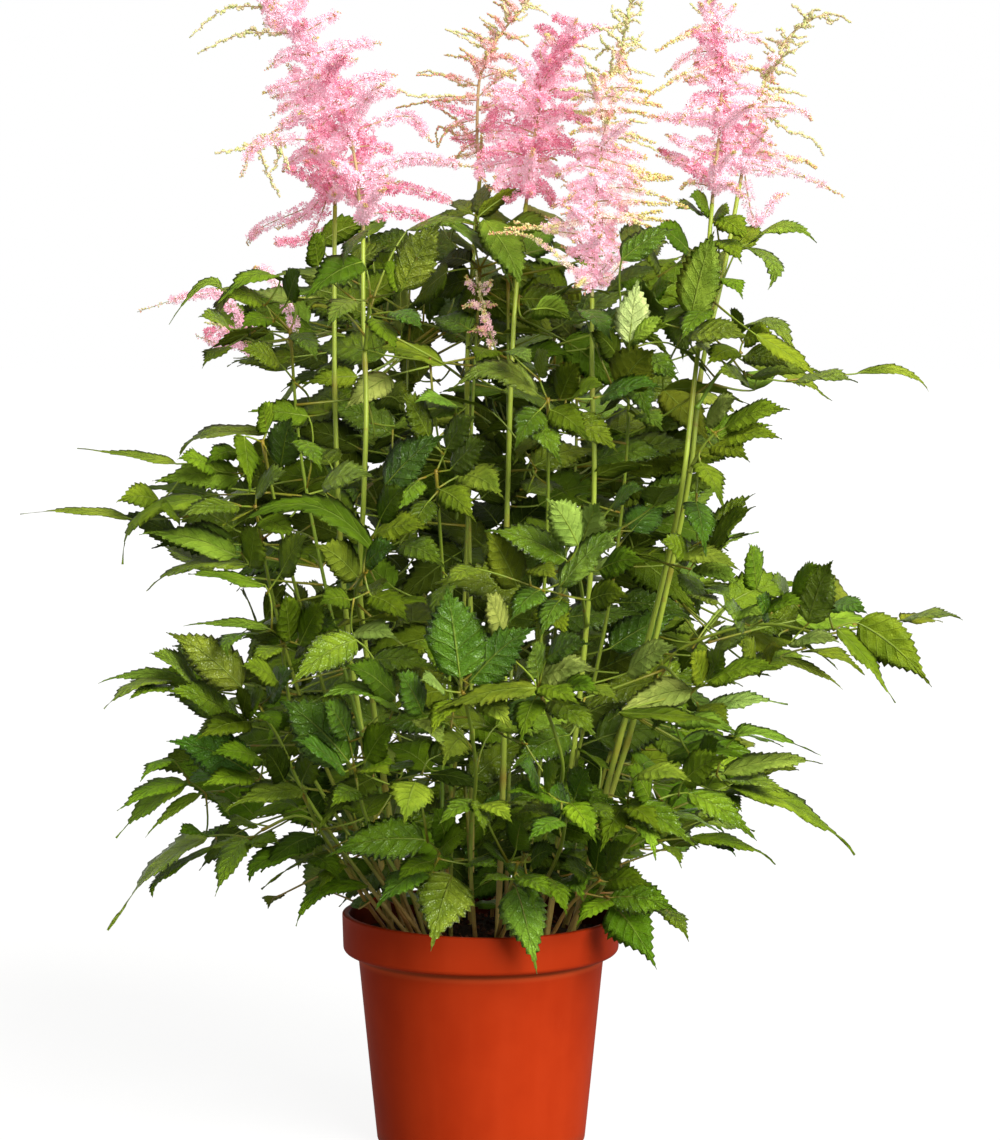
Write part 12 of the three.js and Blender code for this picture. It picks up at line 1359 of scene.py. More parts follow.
        ((136.9,118.6,369.1), (142,124.1,371), (164.3,124.5,375.8), (196.7,123.7,375.5), (-0.07,0.46,0.88), 11, "n"),
        ((138.9,120.8,369.9), (147.9,114.7,374.6), (164.2,135.6,373.2), (161.5,154.4,363.1), (0.23,0.2,0.95), 19.6, "b"),
        ((120.9,111.7,366.4), (115.7,108.8,372.8), (102.9,124.3,378), (89.9,139.9,377.6), (0.65,0.44,0.62), 18.4, "m"),
        ((123.8,113.7,367.3), (129.6,111.4,360.1), (125.8,131.1,368.2), (122,150.7,370.5), (0.88,0.04,0.48), 18.6, "m"),
        ((18.3,142.8,307.3), (36.9,144.8,318.8), (62.2,146,321.2), (87.5,147.1,315.6), (0.02,0.68,0.74), 23.9, "b"),
        ((114.4,129.7,364.9), (98.7,169,437.1), (69,168.3,455.5), (39.4,167.7,469.4), (0,-1,-0.04), 28.9, "k"),
        ((135.9,117.5,371.1), (194.3,71.7,349.4), (227.2,69.3,358.9), (260,66.9,357.7), (-0.12,-0.89,0.44), 28.8, "m"),
        ((135.9,117.5,371.1), (196.9,103.1,316.6), (217.9,121.7,324), (238.9,140.3,323.3), (0.11,-0.3,0.95), 26.5, "o"),
        ((103.6,135.8,361.8), (133.9,170.7,349.6), (147.7,185.3,341.7), (161.6,199.9,329.5), (0.68,-0.72,-0.11), 19, "b"),
        ((103.6,135.8,361.8), (137.1,188.8,382.8), (154,206.1,379.5), (171,223.4,373.2), (0.71,-0.59,0.38), 25.4, "g"),
        ((135.9,117.5,371.1), (163.8,54.1,334.6), (184.9,37.5,354.7), (205.9,21,363.2), (-0.7,-0.35,0.62), 26.6, "b"),
        ((135.9,117.5,371.1), (178.1,76.4,340.3), (206,95.3,342.6), (233.9,114.2,332.6), (0.48,-0.57,0.67), 29.1, "m"),
        ((12.4,91.9,210.1), (24.3,124,193.9), (30.2,145.8,185), (36,167.6,172.7), (0.02,0.43,0.9), 23.6, "m"),
        ((13,99.1,221.2), (26.7,146.9,189.3), (32.1,163.7,180.8), (37.6,180.5,168.9), (0.14,0.48,0.87), 18.9, "m"),
    ]),
    "leaf_36": ([(37.6,51.4,145.94), (59.7,60.5,184.7), (84.4,70.5,222.6), (104.2,86.9,261.1), (111.4,115.6,296.7), (118,150.5,326.5)], 1.9, [[(117.8,149.6,325.8), (81.2,174.6,317.9), (44.5,199.5,295.1)]], [
        ((116.6,142.8,320), (120.8,142.7,318.8), (135.8,164.7,319.6), (150.8,186.8,312.9), (-0.36,0.36,0.86), 24.2, "m"),
        ((117.8,149.6,325.8), (127.1,145.8,339.3), (151.5,155.4,364.9), (175.8,164.9,381.1), (-0.54,0.81,0.25), 30.2, "b"),
        ((123.4,147.3,333.9), (142.7,141.8,319.8), (161.2,165,336.8), (179.6,188.1,344.8), (-0.78,0.35,0.51), 30.3, "o"),
        ((46.6,198,296.4), (51.9,197.1,294.2), (75.2,203,321.5), (98.5,208.9,339.6), (-0.27,0.96,0.03), 40.1, "g"),
        ((125.2,146.6,336.6), (158,142.4,332.5), (173.9,161,350.8), (189.8,179.8,361.3), (-0.79,0.24,0.56), 24.5, "l"),
        ((46.6,198,296.4), (53.6,210.8,294.5), (60.8,233.3,311.4), (68.2,255.9,320.7), (-0.79,-0.1,0.61), 25.4, "g"),
        ((50.8,205.7,295.3), (37.8,208.1,299.3), (25.2,223.6,316.2), (12.6,239,326.3), (0.62,0.73,-0.26), 21.7, "k"),
        ((151.4,143.2,333.3), (174.6,139.6,338.8), (193.3,162.7,339.8), (210.3,185.6,326.5), (0.12,0.17,0.98), 25.7, "b"),
        ((46.6,198,296.4), (7.7,185.5,336.3), (25.5,202.7,352.2), (47.5,221.7,346.8), (-0.38,0.15,0.91), 23.6, "m"),
        ((60.9,188.4,305.3), (12.9,151.2,339.5), (19.6,176.3,357.6), (26.4,201.4,367.5), (-0.95,0.1,0.28), 26.6, "k"),
        ((23.3,190.5,320.3), (39.6,247.8,377.8), (58.6,265.3,369.9), (77.6,282.9,354), (-0.34,0.75,0.56), 24.5, "l"),
        ((22.5,158.6,332.7), (32.7,101.2,279.5), (46.7,75.1,277.9), (60.6,48.9,266.5), (0.19,-0.14,0.97), 28.5, "m"),
        ((110.7,154.5,324.3), (111.4,152.9,321.9), (100.8,170.1,320.4), (90,187.2,313.1), (-0.07,0.21,0.97), 18.6, "d"),
        ((110.7,154.5,324.3), (108.2,156.5,330.4), (94.6,170.1,345.2), (81.2,183.6,353.8), (0.72,0.69,0.02), 19.3, "k"),
        ((120,142.7,319), (123.8,151.7,319.5), (111,165.6,332.9), (98.1,179.5,340.2), (0.79,0.59,0.17), 18.6, "k"),
        ((138.8,142.9,322.6), (132.8,144.7,313.9), (125.4,160.9,328.1), (118,177,336.3), (0.71,0.59,-0.39), 19, "m"),
        ((96.5,164.2,321.2), (99.4,170.6,340.4), (107.7,191.4,352.1), (115.9,212.3,357.2), (-0.88,0.17,0.45), 20.7, "d"),
        ((38.8,195.5,304.4), (37,196.4,296.3), (20.8,212.9,305.1), (4.7,229.3,307.4), (0.7,0.52,0.49), 20.5, "k"),
        ((156,142.5,334.4), (159.8,135,331.4), (190.5,149.3,342.6), (224,164.5,338.1), (-0.32,0.51,0.8), 14.2, "n"),
        ((111.4,115.7,296.8), (78,117.4,310.6), (82.2,141.4,311.1), (86.4,165.5,303.7), (0.64,0,0.77), 23.1, "b"),
        ((41.7,173.5,319), (40.4,183.4,320.1), (45.9,202.6,337.5), (51.4,221.8,348.1), (-0.9,0.39,-0.18), 23, "k"),
        ((50.8,197.3,294.6), (45,182.9,280.7), (48.5,201.3,281), (52.1,219.9,276.1), (-0.43,0.19,0.88), 17.1, "g"),
        ((170,140.3,337.7), (183.1,135.1,332.3), (193.9,153,334), (204.7,171.1,329.7), (-0.12,0.14,0.98), 18.2, "l"),
        ((107.3,99.2,276.4), (124.7,152,224.3), (151.4,163.8,213.6), (178.1,175.5,189.6), (0.57,-0.73,0.38), 31, "d"),
        ((112.3,120.6,301), (125.4,128.2,294.1), (152.7,139,290.7), (180.1,149.8,280), (0.42,-0.72,0.55), 27.6, "b"),
        ((106.3,95.1,271.3), (112.9,165.7,247.8), (138.7,187.5,255.5), (164.6,209.3,254), (0.45,-0.62,0.65), 34.6, "m"),
        ((70.3,64.8,200.9), (137.8,105,185.7), (145.2,127.6,197.3), (152.6,150.2,201.4), (0.6,-0.43,0.68), 22.8, "m"),
        ((104.2,86.9,261.1), (178.1,95.2,260.8), (188.3,115.6,263.5), (198.5,136,259.3), (0.29,-0.11,0.95), 21.1, "o"),
        ((66.8,63.4,195.5), (95.5,74.7,186.1), (107.3,98,186.3), (119.2,121.3,182.5), (0.29,-0.07,0.96), 22.5, "m"),
        ((90.1,75.2,233.6), (155.4,111.9,206.5), (177.3,129.8,203.6), (199.3,147.7,194.1), (0.41,-0.19,0.89), 26, "m"),
        ((84.4,70.5,222.6), (132.9,67.1,214.2), (150.3,76.8,212.4), (167.6,86.4,205.2), (0.48,-0.53,0.7), 17.6, "m"),
        ((77.3,67.6,211.8), (103.7,129,164.6), (95.1,150.3,162.9), (86.4,171.6,151.6), (-0.55,0.03,0.84), 20.2, "m"),
        ((87.2,72.8,228.1), (136.9,60,219.4), (157.1,48.2,224.6), (177.3,36.5,223.8), (-0.07,0.08,0.99), 22.2, "g"),
        ((108.3,103.3,281.4), (98.1,114.5,275.3), (94.1,142.2,265.4), (90.1,169.8,249.5), (-0.29,0.37,0.88), 31.6, "m"),
        ((98.5,82.2,250.1), (107.3,85.8,250), (132.9,103.3,252.4), (158.5,120.7,251.1), (0.39,-0.59,0.71), 27, "m"),
        ((66.8,63.4,195.5), (123.4,46,198.8), (145.8,41.5,214.2), (168.2,37,221.2), (-0.32,0.46,0.83), 24.4, "d"),
        ((106.3,95.1,271.3), (122,50.2,277.6), (134,36.2,269), (146.1,22.2,256.1), (0.2,-0.48,0.85), 21.4, "m"),
        ((56.5,59.2,179.2), (44.4,66.7,182.6), (17,70.3,189.6), (-10.5,73.9,189.1), (-0.01,-0.71,0.71), 30.1, "d"),
        ((66.8,63.4,195.5), (66,31.9,198.9), (62.2,16.8,183.9), (58.4,1.7,161.6), (0.36,-0.76,0.54), 22.7, "d"),
    ]),
    "leaf_37": ([(-63.8,16.1,145.89), (-75.5,31.4,179.5), (-89.4,49.5,211.7), (-102.5,73.5,240.1), (-113.6,104.3,262.2), (-124.2,136.3,282.7)], 1.9, [[(-123.9,135.5,282.2), (-118.4,147.5,314.8), (-113,159.6,337.6)]], [
        ((-121.9,129.3,278.2), (-135.6,124.3,278.1), (-167.7,129.7,287.7), (-200,135.1,288.2), (0.2,0.32,0.93), 28.5, "l"),
        ((-132.9,125.3,278.1), (-140.8,130.4,272.7), (-158.6,149.8,275.4), (-176.5,169.2,270.6), (0.07,0.11,0.99), 22.7, "m"),
        ((-139.2,129.4,273.8), (-135.9,139.4,271.5), (-178.5,144.6,259.8), (-216.4,149.7,231.8), (-0.41,0.22,0.89), 37.5, "o"),
        ((-113.6,104.4,262.2), (-102.5,111.3,291.3), (-127.3,126.4,298.3), (-152.3,141.5,297.1), (0.29,0.32,0.9), 26.4, "d"),
        ((-121.8,140.2,294.9), (-150.9,141.1,299.7), (-167.1,143.7,303.9), (-205.4,145.8,292.2), (-0.12,0.19,0.97), 24.9, "b"),
        ((-113.3,158.9,336.3), (-109.1,156.3,343.3), (-81.6,152.4,339.1), (-54.1,148.4,326.8), (0.31,0.57,0.76), 25, "l"),
        ((-117.5,149.5,318.6), (-99,164.7,315.4), (-116.1,183.5,318.6), (-133.4,202.5,314.6), (0.31,0.3,0.9), 22.1, "m"),
        ((-113.3,158.9,336.3), (-126.8,165.1,349.4), (-141.1,189,360.3), (-155.3,213,363.1), (0.55,0.09,0.83), 25.9, "d"),
        ((-118.6,147.2,313.9), (-123,143.4,324), (-147.1,156.3,334.5), (-178.9,169.9,335.1), (0.31,0.26,0.92), 27.1, "l"),
        ((-102.8,74.4,240.7), (-68.6,62.8,279.6), (-69.6,36.1,285.3), (-70.8,9.5,282.5), (-0.51,0.07,0.86), 25.1, "d"),
        ((-109.9,156.8,341.9), (-61.6,184.6,327.1), (-94.5,197.7,326.2), (-120.3,208.7,323.5), (0.02,0.19,0.98), 28.7, "d"),
        ((-104.7,109.9,285.5), (-35.6,67.3,322.9), (-8.7,80.6,321.8), (18.2,93.9,311), (-0.15,0.64,0.75), 28.8, "d"),
        ((-121.8,140.2,294.9), (-123.6,146.3,292), (-130.7,164.9,306.9), (-137.9,183.5,315.4), (0.91,0.41,-0.09), 20.8, "d"),
        ((-121.9,129.3,278.2), (-120,130.5,279.8), (-107.7,145.8,274.6), (-95.4,160.9,263.3), (0.56,0,0.83), 19.1, "d"),
        ((-137.6,128.4,274.9), (-138.3,126,263.2), (-144.2,143.6,263), (-150.2,161.4,257.5), (-0.15,0.11,0.98), 16.3, "d"),
        ((-138.2,126.5,265.5), (-146,117.6,267.2), (-151,138.2,270.9), (-156.1,158.8,268.8), (0.22,0.02,0.98), 18.3, "d"),
        ((-110.8,157.3,340.5), (-108,153.8,336.7), (-94,169,331.9), (-80.1,184,321.1), (0.11,0.37,0.92), 19.8, "d"),
        ((-121.4,162.6,344.2), (-120.7,164.5,345.9), (-116.6,179.2,357.9), (-110.6,195.5,366.6), (-0.83,0.49,-0.26), 19.6, "k"),
        ((-115.4,154.2,327.4), (-117.8,156.2,324.9), (-118.9,174.8,324.2), (-120,193.3,318.3), (0.3,0.18,0.94), 17, "k"),
        ((-118.7,161.4,341.5), (-131.3,151.3,344.1), (-134.2,170.4,361.8), (-137.3,189.4,372.8), (0.88,0.36,-0.3), 20.8, "k"),
        ((-82.3,67.4,264), (-94.4,83.5,274.1), (-108.3,65.2,275.1), (-122,46.8,268.7), (-0.54,0.29,0.79), 21.8, "m"),
        ((-128.8,153.3,343.6), (-157.8,146,347.5), (-150.5,162.8,363), (-143.2,179.7,372.3), (-0.84,0.51,-0.19), 20.8, "k"),
        ((-152,147.5,346.7), (-163.2,131.3,348.1), (-170,149.9,362), (-176.8,168.3,369.6), (0.92,0.11,0.39), 21.1, "k"),
        ((-75.4,65.1,271.8), (-48.1,69.1,251.9), (-27.6,78.3,259.6), (-7.2,87.4,260.1), (-0.38,0.51,0.77), 21.4, "m"),
        ((-91.6,53.5,216.4), (-109.2,74.7,210.1), (-134.5,89.4,222.2), (-159.9,104.1,224.5), (-0.17,-0.65,0.74), 27.1, "m"),
        ((-117.1,150.5,320.5), (-154.5,147.1,370.2), (-155,166.2,381.4), (-155.5,185.2,390.7), (-0.08,-0.47,0.88), 22.1, "d"),
        ((-113,159.6,337.6), (-154.1,149.6,386.8), (-183.1,150.8,405.3), (-212.1,152.1,416.3), (0.17,-0.9,0.41), 31.1, "d"),
        ((-114.3,156.6,331.9), (-124.8,84.7,338.5), (-145.6,59.1,333), (-166.3,33.5,324.6), (0.27,-0.45,0.85), 32.7, "d"),
        ((-96,61.5,225.9), (-172.8,64.1,229.8), (-197.8,73.8,245.2), (-222.9,83.5,254.1), (-0.27,-0.94,0.2), 27.1, "d"),
        ((-98.1,65.5,230.6), (-169.3,50.3,208.1), (-184.6,56.3,197.2), (-199.9,62.4,179.3), (-0.6,-0.73,0.32), 22.3, "k"),
        ((-93.8,57.5,221.2), (-139.1,51.5,250.5), (-147.6,69.7,265.6), (-156.1,87.8,274.1), (-0.44,-0.62,0.65), 23.9, "m"),
        ((-113,159.6,337.6), (-146.1,132,346.1), (-159.1,121.7,335.3), (-172.1,111.5,316.2), (-0.42,-0.53,0.73), 18.8, "d"),
        ((-89.4,49.5,211.7), (-149.5,18.3,205.7), (-169.7,3.1,208.2), (-189.9,-12.1,205.7), (0.1,-0.14,0.98), 24.9, "b"),
        ((-91.6,53.5,216.4), (-130.2,90.1,184.2), (-131.9,112.1,180.5), (-133.7,134.1,168), (0.35,0.35,0.87), 22.9, "d"),
    ]),
    "leaf_38": ([(-22.8,61.2,146.07), (-35.6,75.9,171.9), (-54.2,86.9,197.1), (-76.2,97.7,219.4), (-102.2,103.9,239.1), (-127.2,109.6,260.3)], 1.9, [[(-92.1,101.5,231.5), (-89.5,120.8,234), (-87,140.1,230.3)]], [
        ((-116.8,107.2,251.5), (-130.3,140.2,277), (-136.5,168.6,294), (-142.9,196.9,302), (-0.96,-0.26,0.11), 30.9, "g"),
        ((-97.2,102.7,235.3), (-95.7,70.8,243), (-68.9,63.2,251.8), (-42.2,55.6,251.6), (-0.11,0.18,0.98), 26.5, "m"),
        ((-82,99.1,223.8), (-85.7,110.9,215.1), (-109.2,136.8,210.3), (-128.6,142.9,201), (-0.27,0.07,0.96), 24.9, "d"),
        ((-127.6,133.6,271.9), (-97.3,183.6,265.8), (-111.2,208.5,263.4), (-125.1,233.3,252.7), (-0.24,0.12,0.96), 25.2, "m"),
        ((-109.4,163.6,268.2), (-96.7,170,267.2), (-101.6,191.7,254.6), (-106.3,213.3,234.2), (-0.51,0.45,0.74), 24.9, "b"),
        ((-99.2,168.7,267.4), (-53.4,185,223.7), (-63.9,219.6,203.4), (-74.2,253.6,160.4), (-0.34,0.58,0.74), 40.4, "b"),
        ((-72.5,95.9,215.7), (-37.6,91.4,250.6), (-16,110,262), (5.6,128.7,264), (-0.4,0.13,0.91), 27.5, "d"),
        ((-59.7,89.6,202.7), (-51.1,89.2,207.2), (-69.8,113.8,201.2), (-88.6,138.4,184.7), (-0.03,0.4,0.92), 30.9, "d"),
        ((-62.6,181.7,232.4), (-41,185.7,206.4), (-57.3,213.8,191.7), (-72.4,220.2,180.5), (-0.21,0.46,0.86), 23, "d"),
        ((-59.7,89.6,202.7), (-66.4,82.5,183.4), (-73.7,116.8,183.6), (-83.6,136.9,162.1), (-0.28,0.27,0.92), 26.3, "m"),
        ((-44.6,92.3,243.6), (0.8,96.9,229.4), (29.6,99.1,244.9), (58.3,101.4,250.5), (-0.35,0.23,0.91), 28.8, "d"),
        ((-126.6,109.5,259.8), (-126.4,113.4,272.1), (-142.8,102.6,288.5), (-159.1,91.7,298.3), (-0.69,0.65,-0.32), 20.3, "d"),
        ((-126.4,112.6,269.6), (-121.7,117,277), (-139.6,117.8,292.2), (-157.4,118.6,301.3), (-0.2,-0.95,-0.23), 19.5, "d"),
        ((-121.5,143.6,270.7), (-144.1,156.3,267.1), (-163.4,168.5,270.7), (-182.7,180.7,268), (-0.21,-0.37,0.91), 19.7, "m"),
        ((-127.6,133.6,271.9), (-135,137.5,280.8), (-154.6,151.9,289.7), (-174.2,166.5,291.4), (-0.24,-0.6,0.76), 22.6, "m"),
        ((-87.1,139,230.5), (-90,140.2,231.6), (-108,150.4,236.7), (-126.1,160.7,236.1), (-0.14,-0.44,0.89), 18, "d"),
        ((-62.6,181.7,232.4), (-68.6,148.3,219.1), (-83.3,131.9,224.5), (-97.9,115.5,223.8), (-0.23,0.33,0.92), 19.1, "m"),
        ((-67.4,155,221.8), (-68.3,155.5,225.5), (-86.4,164.4,214.2), (-104.5,173.2,195.7), (-0.49,0.34,0.8), 21.6, "m"),
        ((-90,172,258.7), (-101.2,168.7,254), (-119,163.4,252.5), (-137,158.1,245.6), (-0.1,-0.38,0.92), 16.5, "m"),
        ((-92.2,171.3,257.8), (-95,181.3,258.1), (-94.4,199.7,248.1), (-94,218,231.7), (-0.71,0.42,0.56), 9, "n"),
        ((-85,108.5,216.8), (-74.6,108.9,213.2), (-91.4,95.2,211.1), (-108.1,81.4,202.8), (-0.3,0,0.95), 20.1, "m"),
        ((-103.4,173.6,267), (-101.5,194.1,279.4), (-119.4,200.4,278.4), (-137.5,206.6,271.9), (-0.16,0.12,0.98), 16.7, "m"),
        ((-72.5,95.9,215.7), (-79.4,91.2,209.6), (-99.6,95.2,205.9), (-119.8,99.1,196.2), (-0.28,0.19,0.94), 19.5, "b"),
        ((-54,183.3,222), (-53.7,176.9,222.9), (-72.7,185.4,229.6), (-91.6,193.8,230.5), (-0.03,-0.47,0.88), 18.3, "k"),
        ((-26.4,94.1,237.9), (-29,71,226.1), (-12.7,55.3,239.5), (3.6,39.6,245.1), (-0.43,0.09,0.9), 23.1, "o"),
        ((-97,102.7,235.2), (-167.1,118,191.5), (-188.6,111.5,196.8), (-210.1,105,197.1), (0.23,-0.38,0.9), 19.8, "m"),
        ((-127.2,109.6,260.3), (-196.2,127.6,247.6), (-218.5,127.4,247.3), (-240.7,127.3,240), (-0.05,-0.95,0.31), 21.5, "k"),
        ((-97,102.7,235.2), (-162.4,116,206.9), (-182,137.5,220.3), (-201.7,158.9,224.4), (-0.35,-0.61,0.71), 31.1, "d"),
        ((-122.2,108.5,256.1), (-172.6,59.1,242), (-191.1,37.8,248.5), (-209.6,16.5,245.3), (0.25,-0.14,0.96), 24.1, "g"),
        ((-87,140.1,230.3), (-122.4,170.9,207.7), (-141,195.2,226.4), (-159.7,219.6,233.6), (-0.42,-0.66,0.62), 31.1, "k"),
        ((-87,140.1,230.3), (-158,166.8,221.5), (-178.7,168.9,233.3), (-199.4,171,236.5), (0.29,0.74,0.61), 22.4, "k"),
        ((-127.2,109.6,260.3), (-185.2,85,288.5), (-204.9,89,298.6), (-224.7,93,300.5), (-0.06,-0.91,0.4), 20.4, "d"),
        ((-127.2,109.6,260.3), (-185.5,73.4,300.7), (-209.1,75.4,314.3), (-232.8,77.5,321.1), (0.12,-0.88,0.46), 25.7, "d"),
    ]),
    "leaf_39": ([(-15.2,54.8,146.11), (-31.2,80.6,184.8), (-47.2,106.4,224.7), (-59.9,136.2,262.9), (-64.2,175.4,293.4), (-51.5,194.2,337.8)], 1.9, [[(-61.7,152.6,275.6), (-64.7,158.8,269.6), (-67.6,164.9,260.2)]], [
        ((-54.3,190.1,328), (-46.1,195.7,341), (-45.9,215.2,359.8), (-45.7,234.7,371.6), (-0.82,0.36,-0.45), 22.4, "b"),
        ((-49.4,193.5,335.8), (-51.3,185.9,340.3), (-73.4,200.7,350.2), (-95.5,215.5,352.5), (0.55,0.57,0.6), 23.5, "l"),
        ((-54.3,190.1,328), (-61.6,188.2,336), (-79.9,206,329.3), (-98,223.8,314.8), (-0.01,0.5,0.86), 24.9, "d"),
        ((-47.7,194.6,338.4), (-55,204.4,359.9), (-70.6,222.6,371.2), (-86.2,240.8,375.5), (0.78,0.49,0.4), 21.7, "m"),
        ((-60.9,145,269.7), (-70.4,149.1,263.9), (-73.4,169.2,282.3), (-76.4,189.3,293.5), (0.76,0.46,-0.47), 22.7, "d"),
        ((-58.7,189,332.8), (-104.8,189.1,345.7), (-119.3,210.1,361.6), (-133.8,231.2,369.6), (0.84,0.35,0.41), 24.3, "l"),
        ((-60,137.3,263.8), (-74.9,151.8,252.1), (-67.9,169.8,265.9), (-60.9,187.8,273.5), (-0.94,0.35,0.01), 20.7, "g"),
        ((-67.4,164.5,260.7), (-58.8,180.9,268.9), (-48.8,204.7,279), (-38.7,228.4,281.7), (-0.63,0.06,0.77), 23.9, "k"),
        ((-57.8,131.3,256.6), (-72.6,139.8,243.9), (-56.3,161.7,253.4), (-39.9,183.4,255), (-0.51,0.17,0.85), 24, "g"),
        ((-62.2,174.3,265.6), (-47.9,178.4,283), (-38.2,195.4,296.9), (-28.6,212.4,304.5), (-0.9,0.38,0.21), 21, "g"),
        ((-50.4,113.9,234.3), (-59.9,103.6,241.6), (-83.8,96.3,246.8), (-107.6,88.9,243.9), (-0.17,0.67,0.72), 23.5, "g"),
        ((-55.3,125.5,249.1), (-48,124.2,254.9), (-49.5,153.2,261.9), (-51.2,182.2,259.8), (0.17,-0.07,0.98), 27.4, "d"),
        ((-50.6,198.5,347), (-52.1,198.2,344.2), (-69.9,214.3,344.6), (-87.8,230.4,338.2), (0.19,0.37,0.91), 20.9, "m"),
        ((-49.4,193.5,335.8), (-44.8,201.8,329.4), (-40.7,221.9,321), (-36.8,241.9,305.9), (0.17,0.47,0.86), 21.2, "d"),
        ((-67.9,189,335.4), (-69.8,190.6,336), (-83.3,201.7,340.3), (-100,216.1,339.4), (0.47,0.43,0.77), 20, "d"),
        ((-77.1,189,338), (-76.8,185.6,339), (-88.1,206.2,340.6), (-99.4,226.9,335.7), (0.09,0.13,0.99), 20.4, "d"),
        ((-50.9,187.4,339.4), (-38.2,168.9,340.8), (-42.1,187,349.5), (-46.1,205.1,352.8), (0.94,0.1,0.31), 16.8, "k"),
        ((-65.7,167.8,262.3), (-71.2,171.3,260.3), (-80,188.2,253.8), (-88.7,205.1,241.6), (0.02,0.49,0.87), 18.2, "m"),
        ((-68.9,146,256.8), (-71.8,144.1,257.8), (-79.3,163.1,259.4), (-86.8,182.1,255.2), (0.31,0.19,0.93), 17.6, "m"),
        ((-70.1,170.6,260.7), (-68.2,182.1,249), (-54.3,199.4,248.4), (-40.5,216.8,241.5), (-0.11,0.29,0.95), 20.4, "m"),
        ((-50.8,177.6,279.5), (-53,193.9,282), (-60,212,295.5), (-67.1,230,302.6), (0.93,0.37,-0.01), 19, "k"),
        ((-60,137.3,263.8), (-32.2,131.5,298.8), (-39.1,151.6,306.4), (-46.1,171.6,307.1), (0.69,0.1,0.71), 20.3, "g"),
        ((-37.8,132.7,291.8), (-19.7,83.4,297.1), (-10.2,63.9,306.2), (-0.7,44.4,308.2), (0.31,0.4,0.86), 21, "o"),
        ((-45.2,103.2,219.7), (-79.4,154.6,191.9), (-100,153.7,195.6), (-120.6,152.8,194.2), (0.07,-0.89,0.45), 19, "m"),
        ((-45.2,103.2,219.7), (-36.9,148.5,193.5), (-33.6,166.3,182.1), (-30.3,184.1,167.6), (0.17,0.56,0.81), 21, "k"),
    ]),
    "leaf_40": ([(-55.3,32.7,145.69), (-68.6,39.1,180.7), (-84.8,49.6,214.1), (-99.2,73.6,239.9), (-107.8,107,257), (-114.7,144.5,262.7)], 1.9, [[(-94,64.9,230.6), (-83.7,79.6,226.5), (-73.5,94.2,216.2)]], [
        ((-114.5,143.6,262.6), (-120,147.3,265.7), (-109.8,163.6,282.8), (-99.6,180.1,293.2), (-0.82,0.56,-0.06), 21.4, "d"),
        ((-114.5,143.6,262.6), (-108.7,161.9,266.6), (-133.1,173.8,258.4), (-157.5,185.7,241.9), (-0.05,0.66,0.75), 25.7, "g"),
        ((-109.9,158.2,265.8), (-153.7,177.7,280.1), (-170.3,194.5,295.8), (-186.7,211.3,304), (0.74,0.67,0.07), 22.8, "g"),
        ((-144.9,173.8,277.2), (-174.2,169.6,275.5), (-195.6,186.4,266), (-216.9,203.2,248), (-0.07,0.57,0.82), 26.3, "m"),
        ((-76.1,90.5,218.8), (-97.1,102.6,215.4), (-105.3,121.5,233.3), (-113.4,140.4,244.2), (0.93,0.36,0.05), 21.6, "d"),
        ((-136.2,169.9,274.4), (-108.2,186,286.8), (-124.1,203.2,290.8), (-140,220.3,288.3), (0.36,0.3,0.88), 20.2, "m"),
        ((-106.1,100.6,253.7), (-152.4,102.6,230.3), (-177.1,113.2,229.5), (-200.7,123.5,217), (-0.15,0.27,0.95), 23.5, "m"),
        ((-88.4,55.6,220.6), (-47.4,48.3,210.9), (-50.9,74.3,213.2), (-54.6,100.2,207), (0.34,0.12,0.93), 24.7, "m"),
        ((-88.4,55.6,220.6), (-98,66,184.2), (-122.6,79.8,187.5), (-147.2,93.6,182.9), (0.4,0.74,0.54), 24.4, "m"),
        ((-96.1,63.9,191.5), (-104.7,65.3,181.2), (-116.2,80.3,166.9), (-127.7,95.3,145.3), (0.38,0.81,0.44), 28.9, "m"),
        ((-92,67.8,229.8), (-78,59.4,237.3), (-96.2,38.5,229.6), (-114.5,17.4,212), (-0.77,0.36,0.52), 28.8, "m"),
        ((-63.8,51.2,214.8), (-83,6.3,195.5), (-88.4,-20.7,192.6), (-93.8,-47.6,180.6), (0.12,-0.29,0.95), 26.8, "d"),
        ((-113.3,147.3,263.4), (-108.9,146.9,254.1), (-116,163.1,246), (-123.2,179.3,231.9), (-0.36,0.41,0.83), 18, "m"),
        ((-113.2,136.3,261.4), (-97.7,141.6,264.9), (-103.3,161,262.6), (-108.7,180.5,254.4), (0.13,0.29,0.95), 18, "b"),
        ((-100.8,140.5,264.2), (-96.8,133.9,266.6), (-86.2,149.5,259.1), (-75.5,164.9,245.5), (0.15,0.48,0.86), 19.4, "d"),
        ((-92.9,100.2,216.1), (-107.5,95,203.9), (-116.4,117.1,209.9), (-125.4,139.3,209.2), (0.71,0.21,0.68), 20.7, "g"),
        ((-55.6,49.8,212.8), (-50.8,61.3,203.9), (-43.1,82.3,214.8), (-35.5,103.2,219.1), (-0.86,0.13,0.5), 21.3, "d"),
        ((-133.9,101.8,239.7), (-135.8,106.8,234.4), (-138,124.4,233.1), (-140.3,142,226.7), (-0.36,0.15,0.92), 15.7, "d"),
        ((-103,65,183.3), (-104.8,80.3,186.1), (-90.9,97.5,184.4), (-77,114.6,176.5), (0.03,0.25,0.97), 19.5, "m"),
        ((-84.5,95.3,217.4), (-78.7,102.5,220.9), (-76.9,119.5,236.8), (-75.2,136.6,246.7), (0.85,0.26,-0.45), 19.4, "d"),
        ((-55.6,49.8,212.8), (-25.8,54.8,254.8), (-8.5,66.7,252.7), (9,78.7,243.8), (0.03,0.39,0.92), 20.5, "m"),
        ((-143.1,102.2,235), (-162.3,84.1,226.5), (-165.5,103.3,228.5), (-168.8,122.5,225), (0.07,0.05,1), 16.8, "k"),
